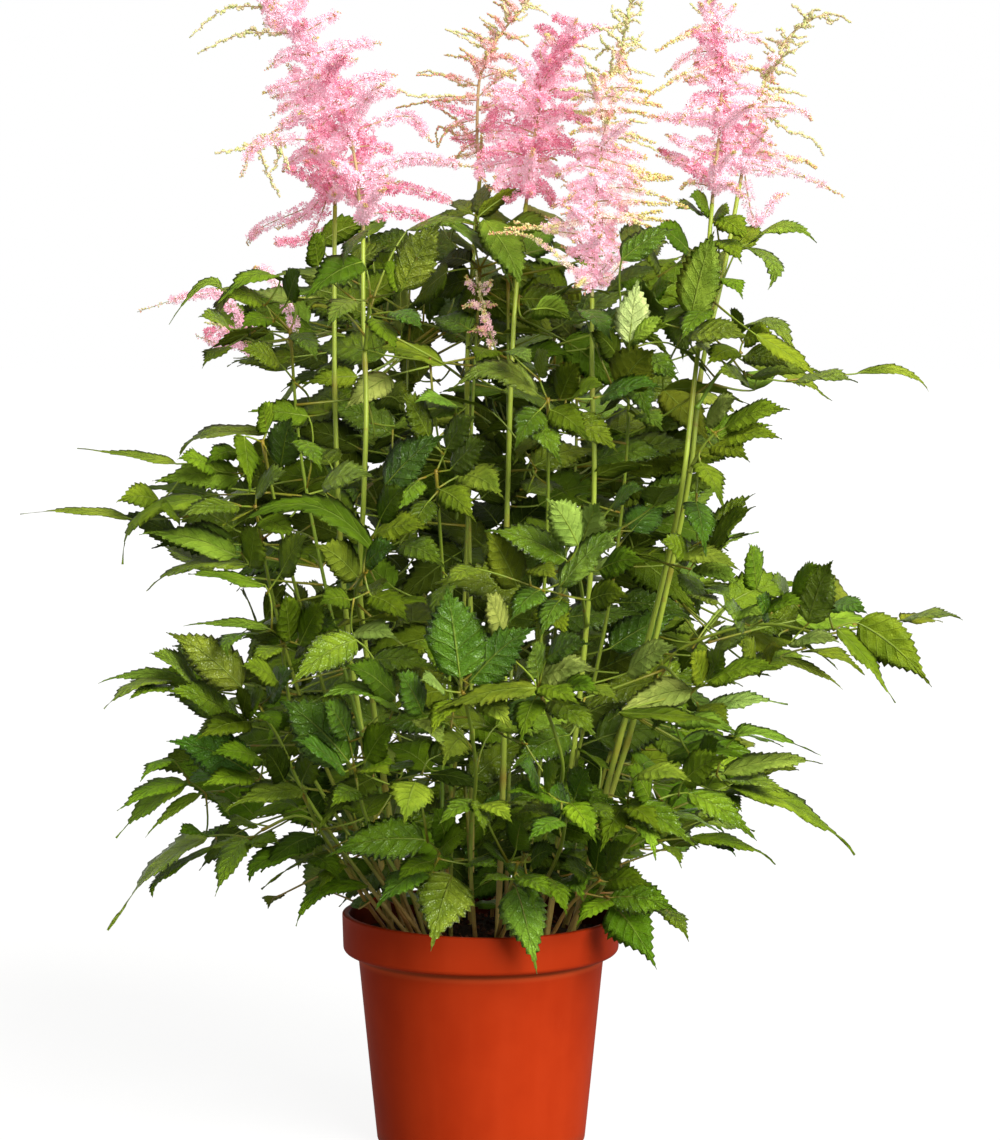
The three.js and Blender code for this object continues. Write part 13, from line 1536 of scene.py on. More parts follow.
        ((-79.2,15.3,199.4), (-141.5,16.6,167.5), (-146.3,35,163.3), (-151,53.6,153.6), (-0.17,0.31,0.94), 17.4, "m"),
        ((-89.6,57.6,222.7), (-111.5,30.5,238.4), (-142.9,33.2,229.2), (-174.2,35.9,214.2), (-0.37,-0.3,0.88), 29.3, "m"),
        ((-82.1,47.9,208.5), (-86.7,62.4,201.1), (-104.5,81.4,198.2), (-122.3,100.3,186.2), (-0.39,0,0.92), 23.1, "g"),
        ((-96.8,69.6,235.6), (-90.2,26,253.3), (-106.6,5.8,242.1), (-123,-14.4,220.8), (0.35,-0.74,0.57), 31.9, "k"),
    ]),
    "leaf_41": ([(26.6,44.4,145.6), (29.5,54.2,173.7), (33.4,69.1,199.5), (36.1,93.4,217.4), (30.1,116.5,236.3), (22,139.1,255)], 1.9, [[(22.2,138.5,254.5), (-3.5,136,257.3), (-29.2,133.5,251.7)]], [
        ((17.2,138,255), (15.7,147.4,263.5), (16.6,166.3,283), (17.7,185.3,295.6), (-0.82,0.39,-0.41), 22.4, "d"),
        ((12.2,137.5,255.6), (15.4,136.3,258.8), (6.8,154.2,270.3), (-1.7,172.1,275.8), (0.91,0.32,0.26), 18.6, "m"),
        ((28.5,120.9,240), (29.4,115.6,245.6), (40.8,139.1,240.2), (52.1,162.6,226.9), (-0.12,0.41,0.9), 23.8, "m"),
        ((16,145.5,261.8), (29.4,157.3,274.1), (60.6,166,274.9), (91.7,174.8,266.6), (-0.18,0.85,0.49), 29.4, "b"),
        ((26.9,125.3,243.6), (15,124.6,235.5), (20.4,142.4,218.5), (25.9,160.1,193.6), (-0.2,0.77,0.6), 38.1, "b"),
        ((17.4,124.7,237.1), (16.4,94.3,253.5), (40.5,101.9,265.7), (64.5,109.6,269.4), (-0.41,0.68,0.61), 24.9, "k"),
        ((-22.7,134.1,253.1), (-27.4,148.3,262.1), (-32.7,165.9,278.8), (-38,183.6,289.1), (0.51,0.61,-0.6), 20.6, "d"),
        ((-27.7,133.6,252), (-30.1,116.9,227.6), (-36.4,121,204.1), (-42.5,125.1,172.9), (0.17,0.98,0.11), 29.2, "b"),
        ((16.8,106.5,246.9), (0.6,66.4,242.4), (-19.5,46.2,248.4), (-39.7,25.9,245.2), (-0.18,0.25,0.95), 26.9, "d"),
        ((26.7,154.9,271.6), (40.3,213.8,316.8), (38.3,231.6,309.9), (36.4,249.3,297.2), (-0.35,0.42,0.84), 27.6, "m"),
        ((3.8,74.4,243.3), (-20.9,40.1,252.9), (-48.1,42.7,250), (-75.2,45.2,238), (-0.27,-0.01,0.96), 26.6, "m"),
        ((34.9,190.2,298.7), (-5.6,189.2,298.7), (7.8,208.5,297.7), (21.2,227.9,289.9), (-0.13,0.31,0.94), 20.6, "m"),
        ((23.8,134.1,250.9), (24.7,138.8,249.7), (36.5,158.1,249.9), (48.2,177.4,243.7), (-0.28,0.31,0.91), 20.5, "m"),
        ((2.2,136.6,256.7), (-0.4,134.2,248), (-11.5,151.3,253.3), (-22.6,168.6,252.8), (0.33,0.09,0.94), 17.7, "b"),
        ((-23.6,136.9,254.9), (-21.7,135.8,256.5), (-10.6,151.5,267.4), (0.5,167.2,272.6), (-0.76,0.22,0.61), 18.8, "m"),
        ((-28.7,126.9,242.2), (-26.2,125.4,241.8), (-14.8,144.1,247.1), (-3.4,162.7,246.3), (-0.25,0.04,0.97), 18.9, "d"),
        ((-27.2,126,242), (-30.8,123.1,243.9), (-44.2,140.3,243.1), (-57.5,157.5,236.3), (0.11,0.3,0.95), 19.1, "m"),
        ((-29.6,120.2,232.5), (-58.7,118.6,236.3), (-61.2,138.8,229.8), (-63.9,158.9,216.9), (-0.31,0.38,0.87), 19.4, "d"),
        ((37.6,202,307.8), (60.5,188,337.2), (56,208.2,335.6), (51.7,228.3,328.2), (-0.47,0.1,0.88), 18.1, "d"),
        ((46.8,196.4,319.6), (70.7,222.4,319.6), (58.6,240.6,324.8), (46.4,258.6,323.8), (0.22,0.03,0.97), 18.8, "m"),
        ((2.5,189.4,298.7), (-7,189.1,297.5), (-16.2,207.1,297.5), (-25.5,225.2,291.8), (0.14,0.23,0.96), 17.7, "d"),
        ((-5.1,189.2,297.7), (-11.6,190.5,297.7), (-9.3,207.9,294), (-6.9,225.5,285.1), (-0.55,0.35,0.76), 16.9, "d"),
        ((34.5,78.8,206.7), (32,69.1,204.4), (59.5,55.6,200.8), (87,42.2,192.9), (0.04,-0.31,0.95), 29.2, "b"),
        ((34.5,78.8,206.7), (12.3,71.5,217.5), (-8.3,81.7,203), (-28.8,91.9,183.5), (-0.5,-0.86,0.09), 28.1, "m"),
        ((31.3,111.9,232.5), (15.6,118.5,221.8), (-16.8,115.5,228), (-49.3,112.5,226.1), (0.11,-0.74,0.66), 33.7, "m"),
        ((34.9,98,221.2), (49.4,101.7,233.5), (65.1,121.9,247.4), (80.8,142.1,258.7), (0.15,-0.6,0.78), 24.6, "d"),
        ((36.1,93.4,217.4), (92.3,151.6,217.9), (106.6,173,236.9), (120.9,194.4,246.5), (0.63,-0.68,0.38), 27.6, "d"),
        ((31.3,111.9,232.5), (82.7,149.3,190.9), (103.2,152,192.8), (123.7,154.6,187.3), (0.15,-0.71,0.68), 17.5, "d"),
        ((22,139.1,255), (57.3,133.9,273.6), (78.4,122.6,284.9), (99.6,111.3,292.1), (0.11,0.75,0.66), 25.2, "b"),
        ((15.8,137.9,255.2), (-22.8,164.6,203.4), (-34.9,180.4,190.4), (-47.1,196.2,171), (-0.8,0,0.6), 22.6, "d"),
        ((26.9,125.5,243.8), (26.1,142.9,229.3), (31.7,168.2,215), (37.2,193.4,192.3), (0.02,0.59,0.81), 27.2, "k"),
        ((34.9,98,221.2), (78,142.2,185), (96,153.3,181.6), (114,164.3,174.4), (0.48,-0.41,0.78), 22, "m"),
        ((32.5,107.3,228.7), (73.2,124.1,229.4), (94,137.3,229.1), (114.7,150.5,221.5), (0.51,-0.63,0.58), 23.3, "m"),
        ((33.7,102.6,225), (75.6,129.1,192.1), (93.1,134.4,185.3), (110.7,139.8,172.7), (0.53,-0.36,0.76), 18.1, "k"),
        ((35,83.7,210.2), (16.9,86.4,189.6), (-5.7,77.1,184), (-28.4,67.9,173.7), (0.08,-0.75,0.66), 25.5, "g"),
    ]),
}
WORLD, SKY, GROUND, KEY, EXPO = 1.0, 0.36, 0.24, 4.9, 0.0

MM = 0.001
RNG = np.random.default_rng(4711)


def lin(r, g, b):
    c = np.array([r, g, b], float) / 255
    return np.where(c <= 0.04045, c / 12.92, ((c + 0.055) / 1.055) ** 2.4)


def unit(a):
    return a / np.maximum(np.linalg.norm(a, axis=-1, keepdims=True), 1e-9)


# ---------------------------------------------------------------- mesh gathering
class Bag:
    """Collects vertices, faces, uv, colours and material numbers for one piece."""

    def __init__(self):
        self.v, self.f, self.uv, self.col, self.aux, self.m, self.n = [], [], [], [], [], [], 0

    def add(self, v, quads, col, uv=None, aux=None, mat=0):
        v = np.asarray(v, float).reshape(-1, 3)
        k = len(v)
        self.v.append(v)
        self.f.append((np.asarray(quads, np.int64) + self.n, mat))
        col = np.asarray(col, float)
        self.col.append(np.broadcast_to(col, (k, 3)) if col.ndim == 1 else col)
        self.uv.append(np.zeros((k, 2)) if uv is None else uv)
        aux = 0.0 if aux is None else aux
        self.aux.append(np.broadcast_to(np.asarray(aux, float), (k,)))
        self.n += k

    def mesh(self, name, mats, smooth=True):
        v = np.concatenate(self.v) * MM
        loops, sizes, midx = [], [], []
        for f, m in self.f:
            loops.append(f.reshape(-1))
            sizes.append(np.full(len(f), f.shape[1]))
            midx.append(np.full(len(f), m))
        loops, sizes, midx = np.concatenate(loops), np.concatenate(sizes), np.concatenate(midx)
        me = bpy.data.meshes.new(name)
        me.vertices.add(len(v))
        me.vertices.foreach_set("co", v.astype(np.float32).ravel())
        me.loops.add(len(loops))
        me.loops.foreach_set("vertex_index", loops.astype(np.int32))
        me.polygons.add(len(sizes))
        me.polygons.foreach_set("loop_start", np.concatenate([[0], np.cumsum(sizes)[:-1]]).astype(np.int32))
        me.polygons.foreach_set("loop_total", sizes.astype(np.int32))
        me.polygons.foreach_set("material_index", midx.astype(np.int32))
        me.polygons.foreach_set("use_smooth", np.full(len(sizes), smooth))
        me.update(calc_edges=True)
        uv = np.concatenate(self.uv)
        layer = me.uv_layers.new(name="Blade")
        layer.data.foreach_set("uv", uv[loops].astype(np.float32).ravel())
        col = np.concatenate(self.col)
        a = me.attributes.new("Tint", "FLOAT_COLOR", "POINT")
        a.data.foreach_set("color", np.concatenate([col, np.ones((len(col), 1))], 1).astype(np.float32).ravel())
        b = me.attributes.new("Under", "FLOAT", "POINT")
        b.data.foreach_set("value", np.concatenate(self.aux).astype(np.float32))
        for m in mats:
            me.materials.append(m)
        me.validate()
        ob = bpy.data.objects.new(name, me)
        bpy.context.scene.collection.objects.link(ob)
        return ob


def tube(bag, pts, radii, sides, col, mat=0, cap=True, squash=1.0):
    pts = np.asarray(pts, float)
    n = len(pts)
    radii = np.broadcast_to(np.asarray(radii, float), (n,))
    d = unit(np.gradient(pts, axis=0))
    up = np.array([0, 0, 1.0]) if abs(d[0][2]) < 0.9 else np.array([0, 1.0, 0])
    S, T = [], []
    for k in range(n):
        up = up - d[k] * up.dot(d[k])
        up = up / max(np.linalg.norm(up), 1e-9)
        S.append(up)
        T.append(np.cross(d[k], up))
    S, T = np.array(S), np.array(T)
    a = np.arange(sides) * 2 * math.pi / sides
    ring = pts[:, None] + radii[:, None, None] * (np.cos(a)[None, :, None] * S[:, None] + np.sin(a)[None, :, None] * T[:, None])
    v = ring.reshape(-1, 3)
    q = []
    for k in range(n - 1):
        i = np.arange(sides)
        j = (i + 1) % sides
        q.append(np.stack([k * sides + i, k * sides + j, (k + 1) * sides + j, (k + 1) * sides + i], 1))
    q = np.concatenate(q)
    length = np.concatenate([[0], np.cumsum(np.linalg.norm(np.diff(pts, axis=0), axis=1))])
    uv = np.stack([np.tile(a / (2 * math.pi), n), np.repeat(length * 0.01, sides)], 1)
    c = np.asarray(col, float)
    if c.ndim == 2:
        c = np.repeat(c, sides, axis=0)
    bag.add(v, q, c, uv, 0.0, mat)
    if cap:
        base = bag.n - len(v)
        bag.f.append((np.array([[base + i for i in range(sides)][::-1]]), mat))
        bag.f.append((np.array([[base + (n - 1) * sides + i for i in range(sides)]]), mat))


def spline(pts, n):
    """Catmull-Rom through the points, n samples."""
    p = np.asarray(pts, float)
    if len(p) == 2:
        t = np.linspace(0, 1, n)[:, None]
        return p[0] + (p[1] - p[0]) * t
    p = np.vstack([2 * p[0] - p[1], p, 2 * p[-1] - p[-2]])
    out = []
    for s in np.linspace(0, len(p) - 3 - 1e-9, n):
        k = int(s)
        t = s - k
        a, b, c, d = p[k], p[k + 1], p[k + 2], p[k + 3]
        out.append(0.5 * ((2 * b) + (c - a) * t + (2 * a - 5 * b + 4 * c - d) * t * t + (3 * b - a - 3 * c + d) * t ** 3))
    return np.array(out)


# ---------------------------------------------------------------- materials
def new_mat(name):
    m = bpy.data.materials.new(name)
    m.use_nodes = True
    nt = m.node_tree
    b = nt.nodes["Principled BSDF"]
    return m, nt, b


def N(nt, kind, **kw):
    n = nt.nodes.new(kind)
    for k, v in kw.items():
        if k.startswith("_"):
            setattr(n, k[1:], v)
        else:
            n.inputs[k.replace("~", " ")].default_value = v
    return n


def math_node(nt, op, a, b=None, c=None, clamp=False):
    n = nt.nodes.new("ShaderNodeMath")
    n.operation = op
    n.use_clamp = clamp
    for i, x in enumerate((a, b, c)):
        if x is None:
            continue
        if isinstance(x, (int, float)):
            n.inputs[i].default_value = x
        else:
            nt.links.new(x, n.inputs[i])
    return n.outputs[0]


def smooth(nt, x, lo, hi):
    n = nt.nodes.new("ShaderNodeMapRange")
    n.interpolation_type = "SMOOTHSTEP"
    nt.links.new(x, n.inputs["Value"])
    n.inputs["From Min"].default_value = lo
    n.inputs["From Max"].default_value = hi
    return n.outputs["Result"]


def mix_rgb(nt, fac, a, b, mode="MIX"):
    n = nt.nodes.new("ShaderNodeMix")
    n.data_type = "RGBA"
    n.blend_type = mode
    for sock, x in ((n.inputs[0], fac), (n.inputs[6], a), (n.inputs[7], b)):
        if isinstance(x, (int, float)):
            sock.default_value = x
        elif isinstance(x, (tuple, list, np.ndarray)):
            sock.default_value = (*[float(q) for q in x[:3]], 1)
        else:
            nt.links.new(x, sock)
    return n.outputs[2]


def noise(nt, coord, scale, detail=3, rough=0.55):
    n = N(nt, "ShaderNodeTexNoise", Scale=scale, Detail=detail, Roughness=rough)
    nt.links.new(coord, n.inputs["Vector"])
    return n.outputs["Fac"]


def bump(nt, bsdf, height, strength, distance, prev=None):
    n = N(nt, "ShaderNodeBump", Strength=strength, Distance=distance)
    nt.links.new(height, n.inputs["Height"])
    if prev is not None:
        nt.links.new(prev, n.inputs["Normal"])
    nt.links.new(n.outputs[0], bsdf.inputs["Normal"])
    return n.outputs[0]


def leaf_material(name, spec, rough, relief):
    m, nt, b = new_mat(name)
    tint = N(nt, "ShaderNodeAttribute", _attribute_name="Tint").outputs["Color"]
    under = N(nt, "ShaderNodeAttribute", _attribute_name="Under").outputs["Fac"]
    uv = N(nt, "ShaderNodeUVMap", _uv_map="Blade").outputs[0]
    sep = nt.nodes.new("ShaderNodeSeparateXYZ")
    nt.links.new(uv, sep.inputs[0])
    u, t = sep.outputs[0], sep.outputs[1]
    s = math_node(nt, "ABSOLUTE", math_node(nt, "MULTIPLY_ADD", u, 2.0, -1.0))
    obj = nt.nodes.new("ShaderNodeTexCoord").outputs["Object"]
    # side veins leave the midrib and run out and forward to the teeth
    wob = math_node(nt, "MULTIPLY", noise(nt, obj, 70.0, 2, 0.5), 0.055)
    v = math_node(nt, "MULTIPLY", math_node(nt, "SUBTRACT", math_node(nt, "ADD", t, wob), math_node(nt, "MULTIPLY", math_node(nt, "POWER", s, 0.85), 0.2)), 7.5)
    fr = math_node(nt, "ABSOLUTE", math_node(nt, "SUBTRACT", math_node(nt, "FRACT", math_node(nt, "ADD", v, 20.5)), 0.5))
    side = math_node(nt, "SUBTRACT", 1.0, smooth(nt, fr, 0.005, 0.07))
    fade = math_node(nt, "SUBTRACT", 1.0, smooth(nt, s, 0.72, 1.0))
    side = math_node(nt, "MULTIPLY", side, fade)
    rib = math_node(nt, "SUBTRACT", 1.0, smooth(nt, s, 0.015, 0.06))
    veins = math_node(nt, "MAXIMUM", side, rib, clamp=True)
    vor = N(nt, "ShaderNodeTexVoronoi", _feature="DISTANCE_TO_EDGE", Scale=620.0)
    nt.links.new(obj, vor.inputs["Vector"])
    net = math_node(nt, "SUBTRACT", 1.0, smooth(nt, vor.outputs["Distance"], 0.0, 0.16))
    big = noise(nt, obj, 38.0, 3, 0.6)
    fine = noise(nt, obj, 420.0, 3, 0.6)
    c = mix_rgb(nt, smooth(nt, big, 0.3, 0.72), mix_rgb(nt, 1.0, tint, (0.66, 0.72, 0.56), "MULTIPLY"), mix_rgb(nt, 1.0, tint, (1.34, 1.27, 1.2), "MULTIPLY"))
    c = mix_rgb(nt, math_node(nt, "MULTIPLY", fine, 0.28), c, mix_rgb(nt, 1.0, c, (0.62, 0.7, 0.5), "MULTIPLY"))
    c = mix_rgb(nt, math_node(nt, "MULTIPLY", net, 0.16), c, mix_rgb(nt, 1.0, c, (1.45, 1.35, 1.2), "MULTIPLY"))
    pale = mix_rgb(nt, 0.6, c, lin(176, 200, 88))
    c = mix_rgb(nt, math_node(nt, "MULTIPLY", math_node(nt, "MAXIMUM", math_node(nt, "MULTIPLY", side, 0.62), rib), 0.5), c, pale)
    rim = smooth(nt, s, 0.9, 1.0)
    c = mix_rgb(nt, math_node(nt, "MULTIPLY", rim, 0.3), c, mix_rgb(nt, 0.5, c, lin(150, 150, 70)))
    # the underside is paler and dull, with raised veins
    low = mix_rgb(nt, 0.6, c, lin(122, 142, 34))
    low = mix_rgb(nt, math_node(nt, "MULTIPLY", veins, 0.5), low, lin(166, 182, 72))
    c = mix_rgb(nt, under, c, low)
    nt.links.new(c, b.inputs["Base Color"])
    ro = math_node(nt, "MULTIPLY_ADD", big, 0.2, rough)
    ro = math_node(nt, "MULTIPLY_ADD", under, 0.2, ro)
    nt.links.new(ro, b.inputs["Roughness"])
    b.inputs["Specular IOR Level"].default_value = spec
    # quilted surface between the side veins, sunk veins
    quilt = math_node(nt, "MULTIPLY", math_node(nt, "POWER", fr, 0.6), fade)
    mid = noise(nt, obj, 150.0, 2, 0.5)
    h = math_node(nt, "ADD", math_node(nt, "MULTIPLY", quilt, 0.5), math_node(nt, "MULTIPLY", rib, -0.5))
    h = math_node(nt, "ADD", h, math_node(nt, "MULTIPLY", side, -0.18))
    h = math_node(nt, "ADD", h, math_node(nt, "MULTIPLY", mid, 1.1))
    h = math_node(nt, "ADD", h, math_node(nt, "MULTIPLY", net, -0.16))
    h = math_node(nt, "ADD", h, math_node(nt, "MULTIPLY", fine, 0.15))
    bump(nt, b, h, 1.0, relief)
    return m


def stalk_material(name, low, high, z0, z1, rough=0.42):
    m, nt, b = new_mat(name)
    tint = N(nt, "ShaderNodeAttribute", _attribute_name="Tint").outputs["Color"]
    obj = nt.nodes.new("ShaderNodeTexCoord").outputs["Object"]
    sep = nt.nodes.new("ShaderNodeSeparateXYZ")
    nt.links.new(obj, sep.inputs[0])
    g = smooth(nt, sep.outputs[2], z0, z1)
    base = mix_rgb(nt, g, low, high)
    base = mix_rgb(nt, 1.0, base, tint, "MULTIPLY")
    mp = N(nt, "ShaderNodeMapping", Scale=(1, 1, 0.12))
    nt.links.new(obj, mp.inputs["Vector"])
    streak = noise(nt, mp.outputs[0], 900.0, 3, 0.6)
    blot = noise(nt, obj, 55.0, 4, 0.65)
    base = mix_rgb(nt, math_node(nt, "MULTIPLY", streak, 0.35), base, mix_rgb(nt, 1.0, base, (0.62, 0.66, 0.4), "MULTIPLY"))
    base = mix_rgb(nt, math_node(nt, "MULTIPLY", smooth(nt, blot, 0.58, 0.72), 0.55), base, lin(150, 88, 45))
    nt.links.new(base, b.inputs["Base Color"])
    nt.links.new(math_node(nt, "MULTIPLY_ADD", blot, 0.2, rough - 0.1), b.inputs["Roughness"])
    b.inputs["Specular IOR Level"].default_value = 0.4
    bump(nt, b, streak, 0.35, 0.0004)
    return m


def floret_glow_material():
    m, nt, b = new_mat("floret")
    tint = N(nt, "ShaderNodeAttribute", _attribute_name="Tint").outputs["Color"]
    obj = nt.nodes.new("ShaderNodeTexCoord").outputs["Object"]
    n1 = noise(nt, obj, 1400.0, 2, 0.5)
    n2 = noise(nt, obj, 90.0, 3, 0.6)
    c = mix_rgb(nt, math_node(nt, "MULTIPLY", n1, 0.5), tint, mix_rgb(nt, 1.0, tint, (1.0, 0.84, 0.89), "MULTIPLY"))
    c = mix_rgb(nt, math_node(nt, "MULTIPLY", smooth(nt, n2, 0.45, 0.7), 0.35), c, mix_rgb(nt, 1.0, c, (1.1, 1.12, 1.1), "MULTIPLY"))
    nt.links.new(c, b.inputs["Base Color"])
    nt.links.new(math_node(nt, "MULTIPLY_ADD", n1, 0.2, 0.5), b.inputs["Roughness"])
    b.inputs["Specular IOR Level"].default_value = 0.3
    # painted glow: the petal colour is also emitted, lifting the florets' shaded side as if light shone through the
    # petals
    nt.links.new(c, b.inputs["Emission Color"])
    b.inputs["Emission Strength"].default_value = 0.2
    bump(nt, b, n1, 0.25, 0.0002)
    return m


def pot_material():
    m, nt, b = new_mat("pot_plastic")
    obj = nt.nodes.new("ShaderNodeTexCoord").outputs["Object"]
    sep = nt.nodes.new("ShaderNodeSeparateXYZ")
    nt.links.new(obj, sep.inputs[0])
    cloud = noise(nt, obj, 14.0, 4, 0.6)
    grain = noise(nt, obj, 900.0, 3, 0.5)
    dust = noise(nt, obj, 45.0, 6, 0.72)
    mp = N(nt, "ShaderNodeMapping", Scale=(1, 1, 0.05))
    nt.links.new(obj, mp.inputs["Vector"])
    flow = noise(nt, mp.outputs[0], 60.0, 3, 0.5)
    c = mix_rgb(nt, smooth(nt, cloud, 0.3, 0.7), lin(160, 44, 13), lin(170, 50, 16))
    c = mix_rgb(nt, math_node(nt, "MULTIPLY", smooth(nt, flow, 0.4, 0.7), 0.2), c, lin(184, 60, 24))
    c = mix_rgb(nt, math_node(nt, "MULTIPLY", smooth(nt, dust, 0.62, 0.8), 0.12), c, lin(206, 110, 74))
    low = smooth(nt, sep.outputs[2], 0.0, 0.012)
    c = mix_rgb(nt, math_node(nt, "MULTIPLY", math_node(nt, "SUBTRACT", 1.0, low), 0.35), c, lin(120, 66, 44))
    # painted shade: the inner wall above the soil is darkened to dark brown, mottled like a peat stain
    rad = math_node(nt, "SQRT", math_node(nt, "ADD", math_node(nt, "POWER", sep.outputs[0], 2.0), math_node(nt, "POWER", sep.outputs[1], 2.0)))
    inner = math_node(nt, "MULTIPLY", math_node(nt, "SUBTRACT", 1.0, smooth(nt, rad, 0.0908, 0.0922)), smooth(nt, sep.outputs[2], 0.128, 0.13))
    inner = math_node(nt, "MULTIPLY", inner, math_node(nt, "MULTIPLY_ADD", dust, 0.5, 0.62), clamp=True)
    c = mix_rgb(nt, inner, c, lin(58, 26, 15))
    # painted light: a paler band on the wall just under the rim overhang, lifting the shadow the rim throws there
    rim_shadow_fill_paint = math_node(nt, "MULTIPLY", smooth(nt, sep.outputs[2], 0.1245, 0.1285), math_node(nt, "SUBTRACT", 1.0, smooth(nt, sep.outputs[2], 0.1325, 0.1345)))
    rim_shadow_fill_paint = math_node(nt, "MULTIPLY", rim_shadow_fill_paint, math_node(nt, "SUBTRACT", 1.0, smooth(nt, rad, 0.091, 0.0935)))
    c = mix_rgb(nt, math_node(nt, "MULTIPLY", rim_shadow_fill_paint, 0.38), c, lin(224, 96, 50))
    nt.links.new(c, b.inputs["Base Color"])
    ro = math_node(nt, "MULTIPLY_ADD", dust, 0.26, 0.26)
    nt.links.new(ro, b.inputs["Roughness"])
    b.inputs["IOR"].default_value = 1.13
    b.inputs["Specular IOR Level"].default_value = 0.4
    h = math_node(nt, "ADD", math_node(nt, "MULTIPLY", grain, 0.25), math_node(nt, "MULTIPLY", cloud, 2.0))
    bump(nt, b, h, 0.22, 0.0008)
    return m


def soil_material(name, a, c2):
    m, nt, b = new_mat(name)
    tint = N(nt, "ShaderNodeAttribute", _attribute_name="Tint").outputs["Color"]
    obj = nt.nodes.new("ShaderNodeTexCoord").outputs["Object"]
    n1 = noise(nt, obj, 260.0, 6, 0.7)
    n2 = noise(nt, obj, 60.0, 4, 0.6)
    c = mix_rgb(nt, smooth(nt, n1, 0.35, 0.7), a, c2)
    c = mix_rgb(nt, math_node(nt, "MULTIPLY", smooth(nt, n2, 0.5, 0.75), 0.4), c, lin(88, 52, 34))
    c = mix_rgb(nt, 1.0, c, tint, "MULTIPLY")
    nt.links.new(c, b.inputs["Base Color"])
    nt.links.new(math_node(nt, "MULTIPLY_ADD", n1, 0.3, 0.65), b.inputs["Roughness"])
    b.inputs["Specular IOR Level"].default_value = 0.25
    bump(nt, b, n1, 1.0, 0.0015)
    return m


LEAF = leaf_material("leaf_blade", 0.13, 0.4, 0.0018)
SHINY = leaf_material("leaf_blade_glossy", 0.42, 0.2, 0.0028)
STALK = stalk_material("leaf_stalk", lin(172, 142, 80), lin(136, 158, 50), 0.155, 0.225)
STEM = stalk_material("flower_stem", lin(202, 174, 96), lin(170, 190, 66), 0.16, 0.28)
TWIG = stalk_material("plume_twig", lin(150, 165, 80), lin(206, 180, 134), 0.5, 0.72)
FLORET_GLOW = floret_glow_material()
POT = pot_material()
SOIL = soil_material("soil_mass", lin(30, 20, 14), lin(60, 40, 28))
CRUMB = soil_material("soil_crumbs", lin(52, 34, 24), lin(104, 68, 46))

# ---------------------------------------------------------------- leaflets
# leaflet tones from darkest k to lightest l: the darker letters go to leaflets deep in the crown where neighbours shade
# them, the lighter ones to exposed leaflets, so these steps are painted shade and light as well as leaf colour
PAL = {
    "k": lin(62, 80, 10), "d": lin(88, 112, 15), "m": lin(110, 136, 26), "b": lin(124, 150, 46), "l": lin(142, 162, 76),
    "o": lin(118, 134, 32), "g": lin(82, 118, 26), "n": lin(122, 145, 46), "w": lin(186, 202, 130),
}
TEETH = 14
COLS = np.array([-1, -0.52, 0, 0.52, 1.0])


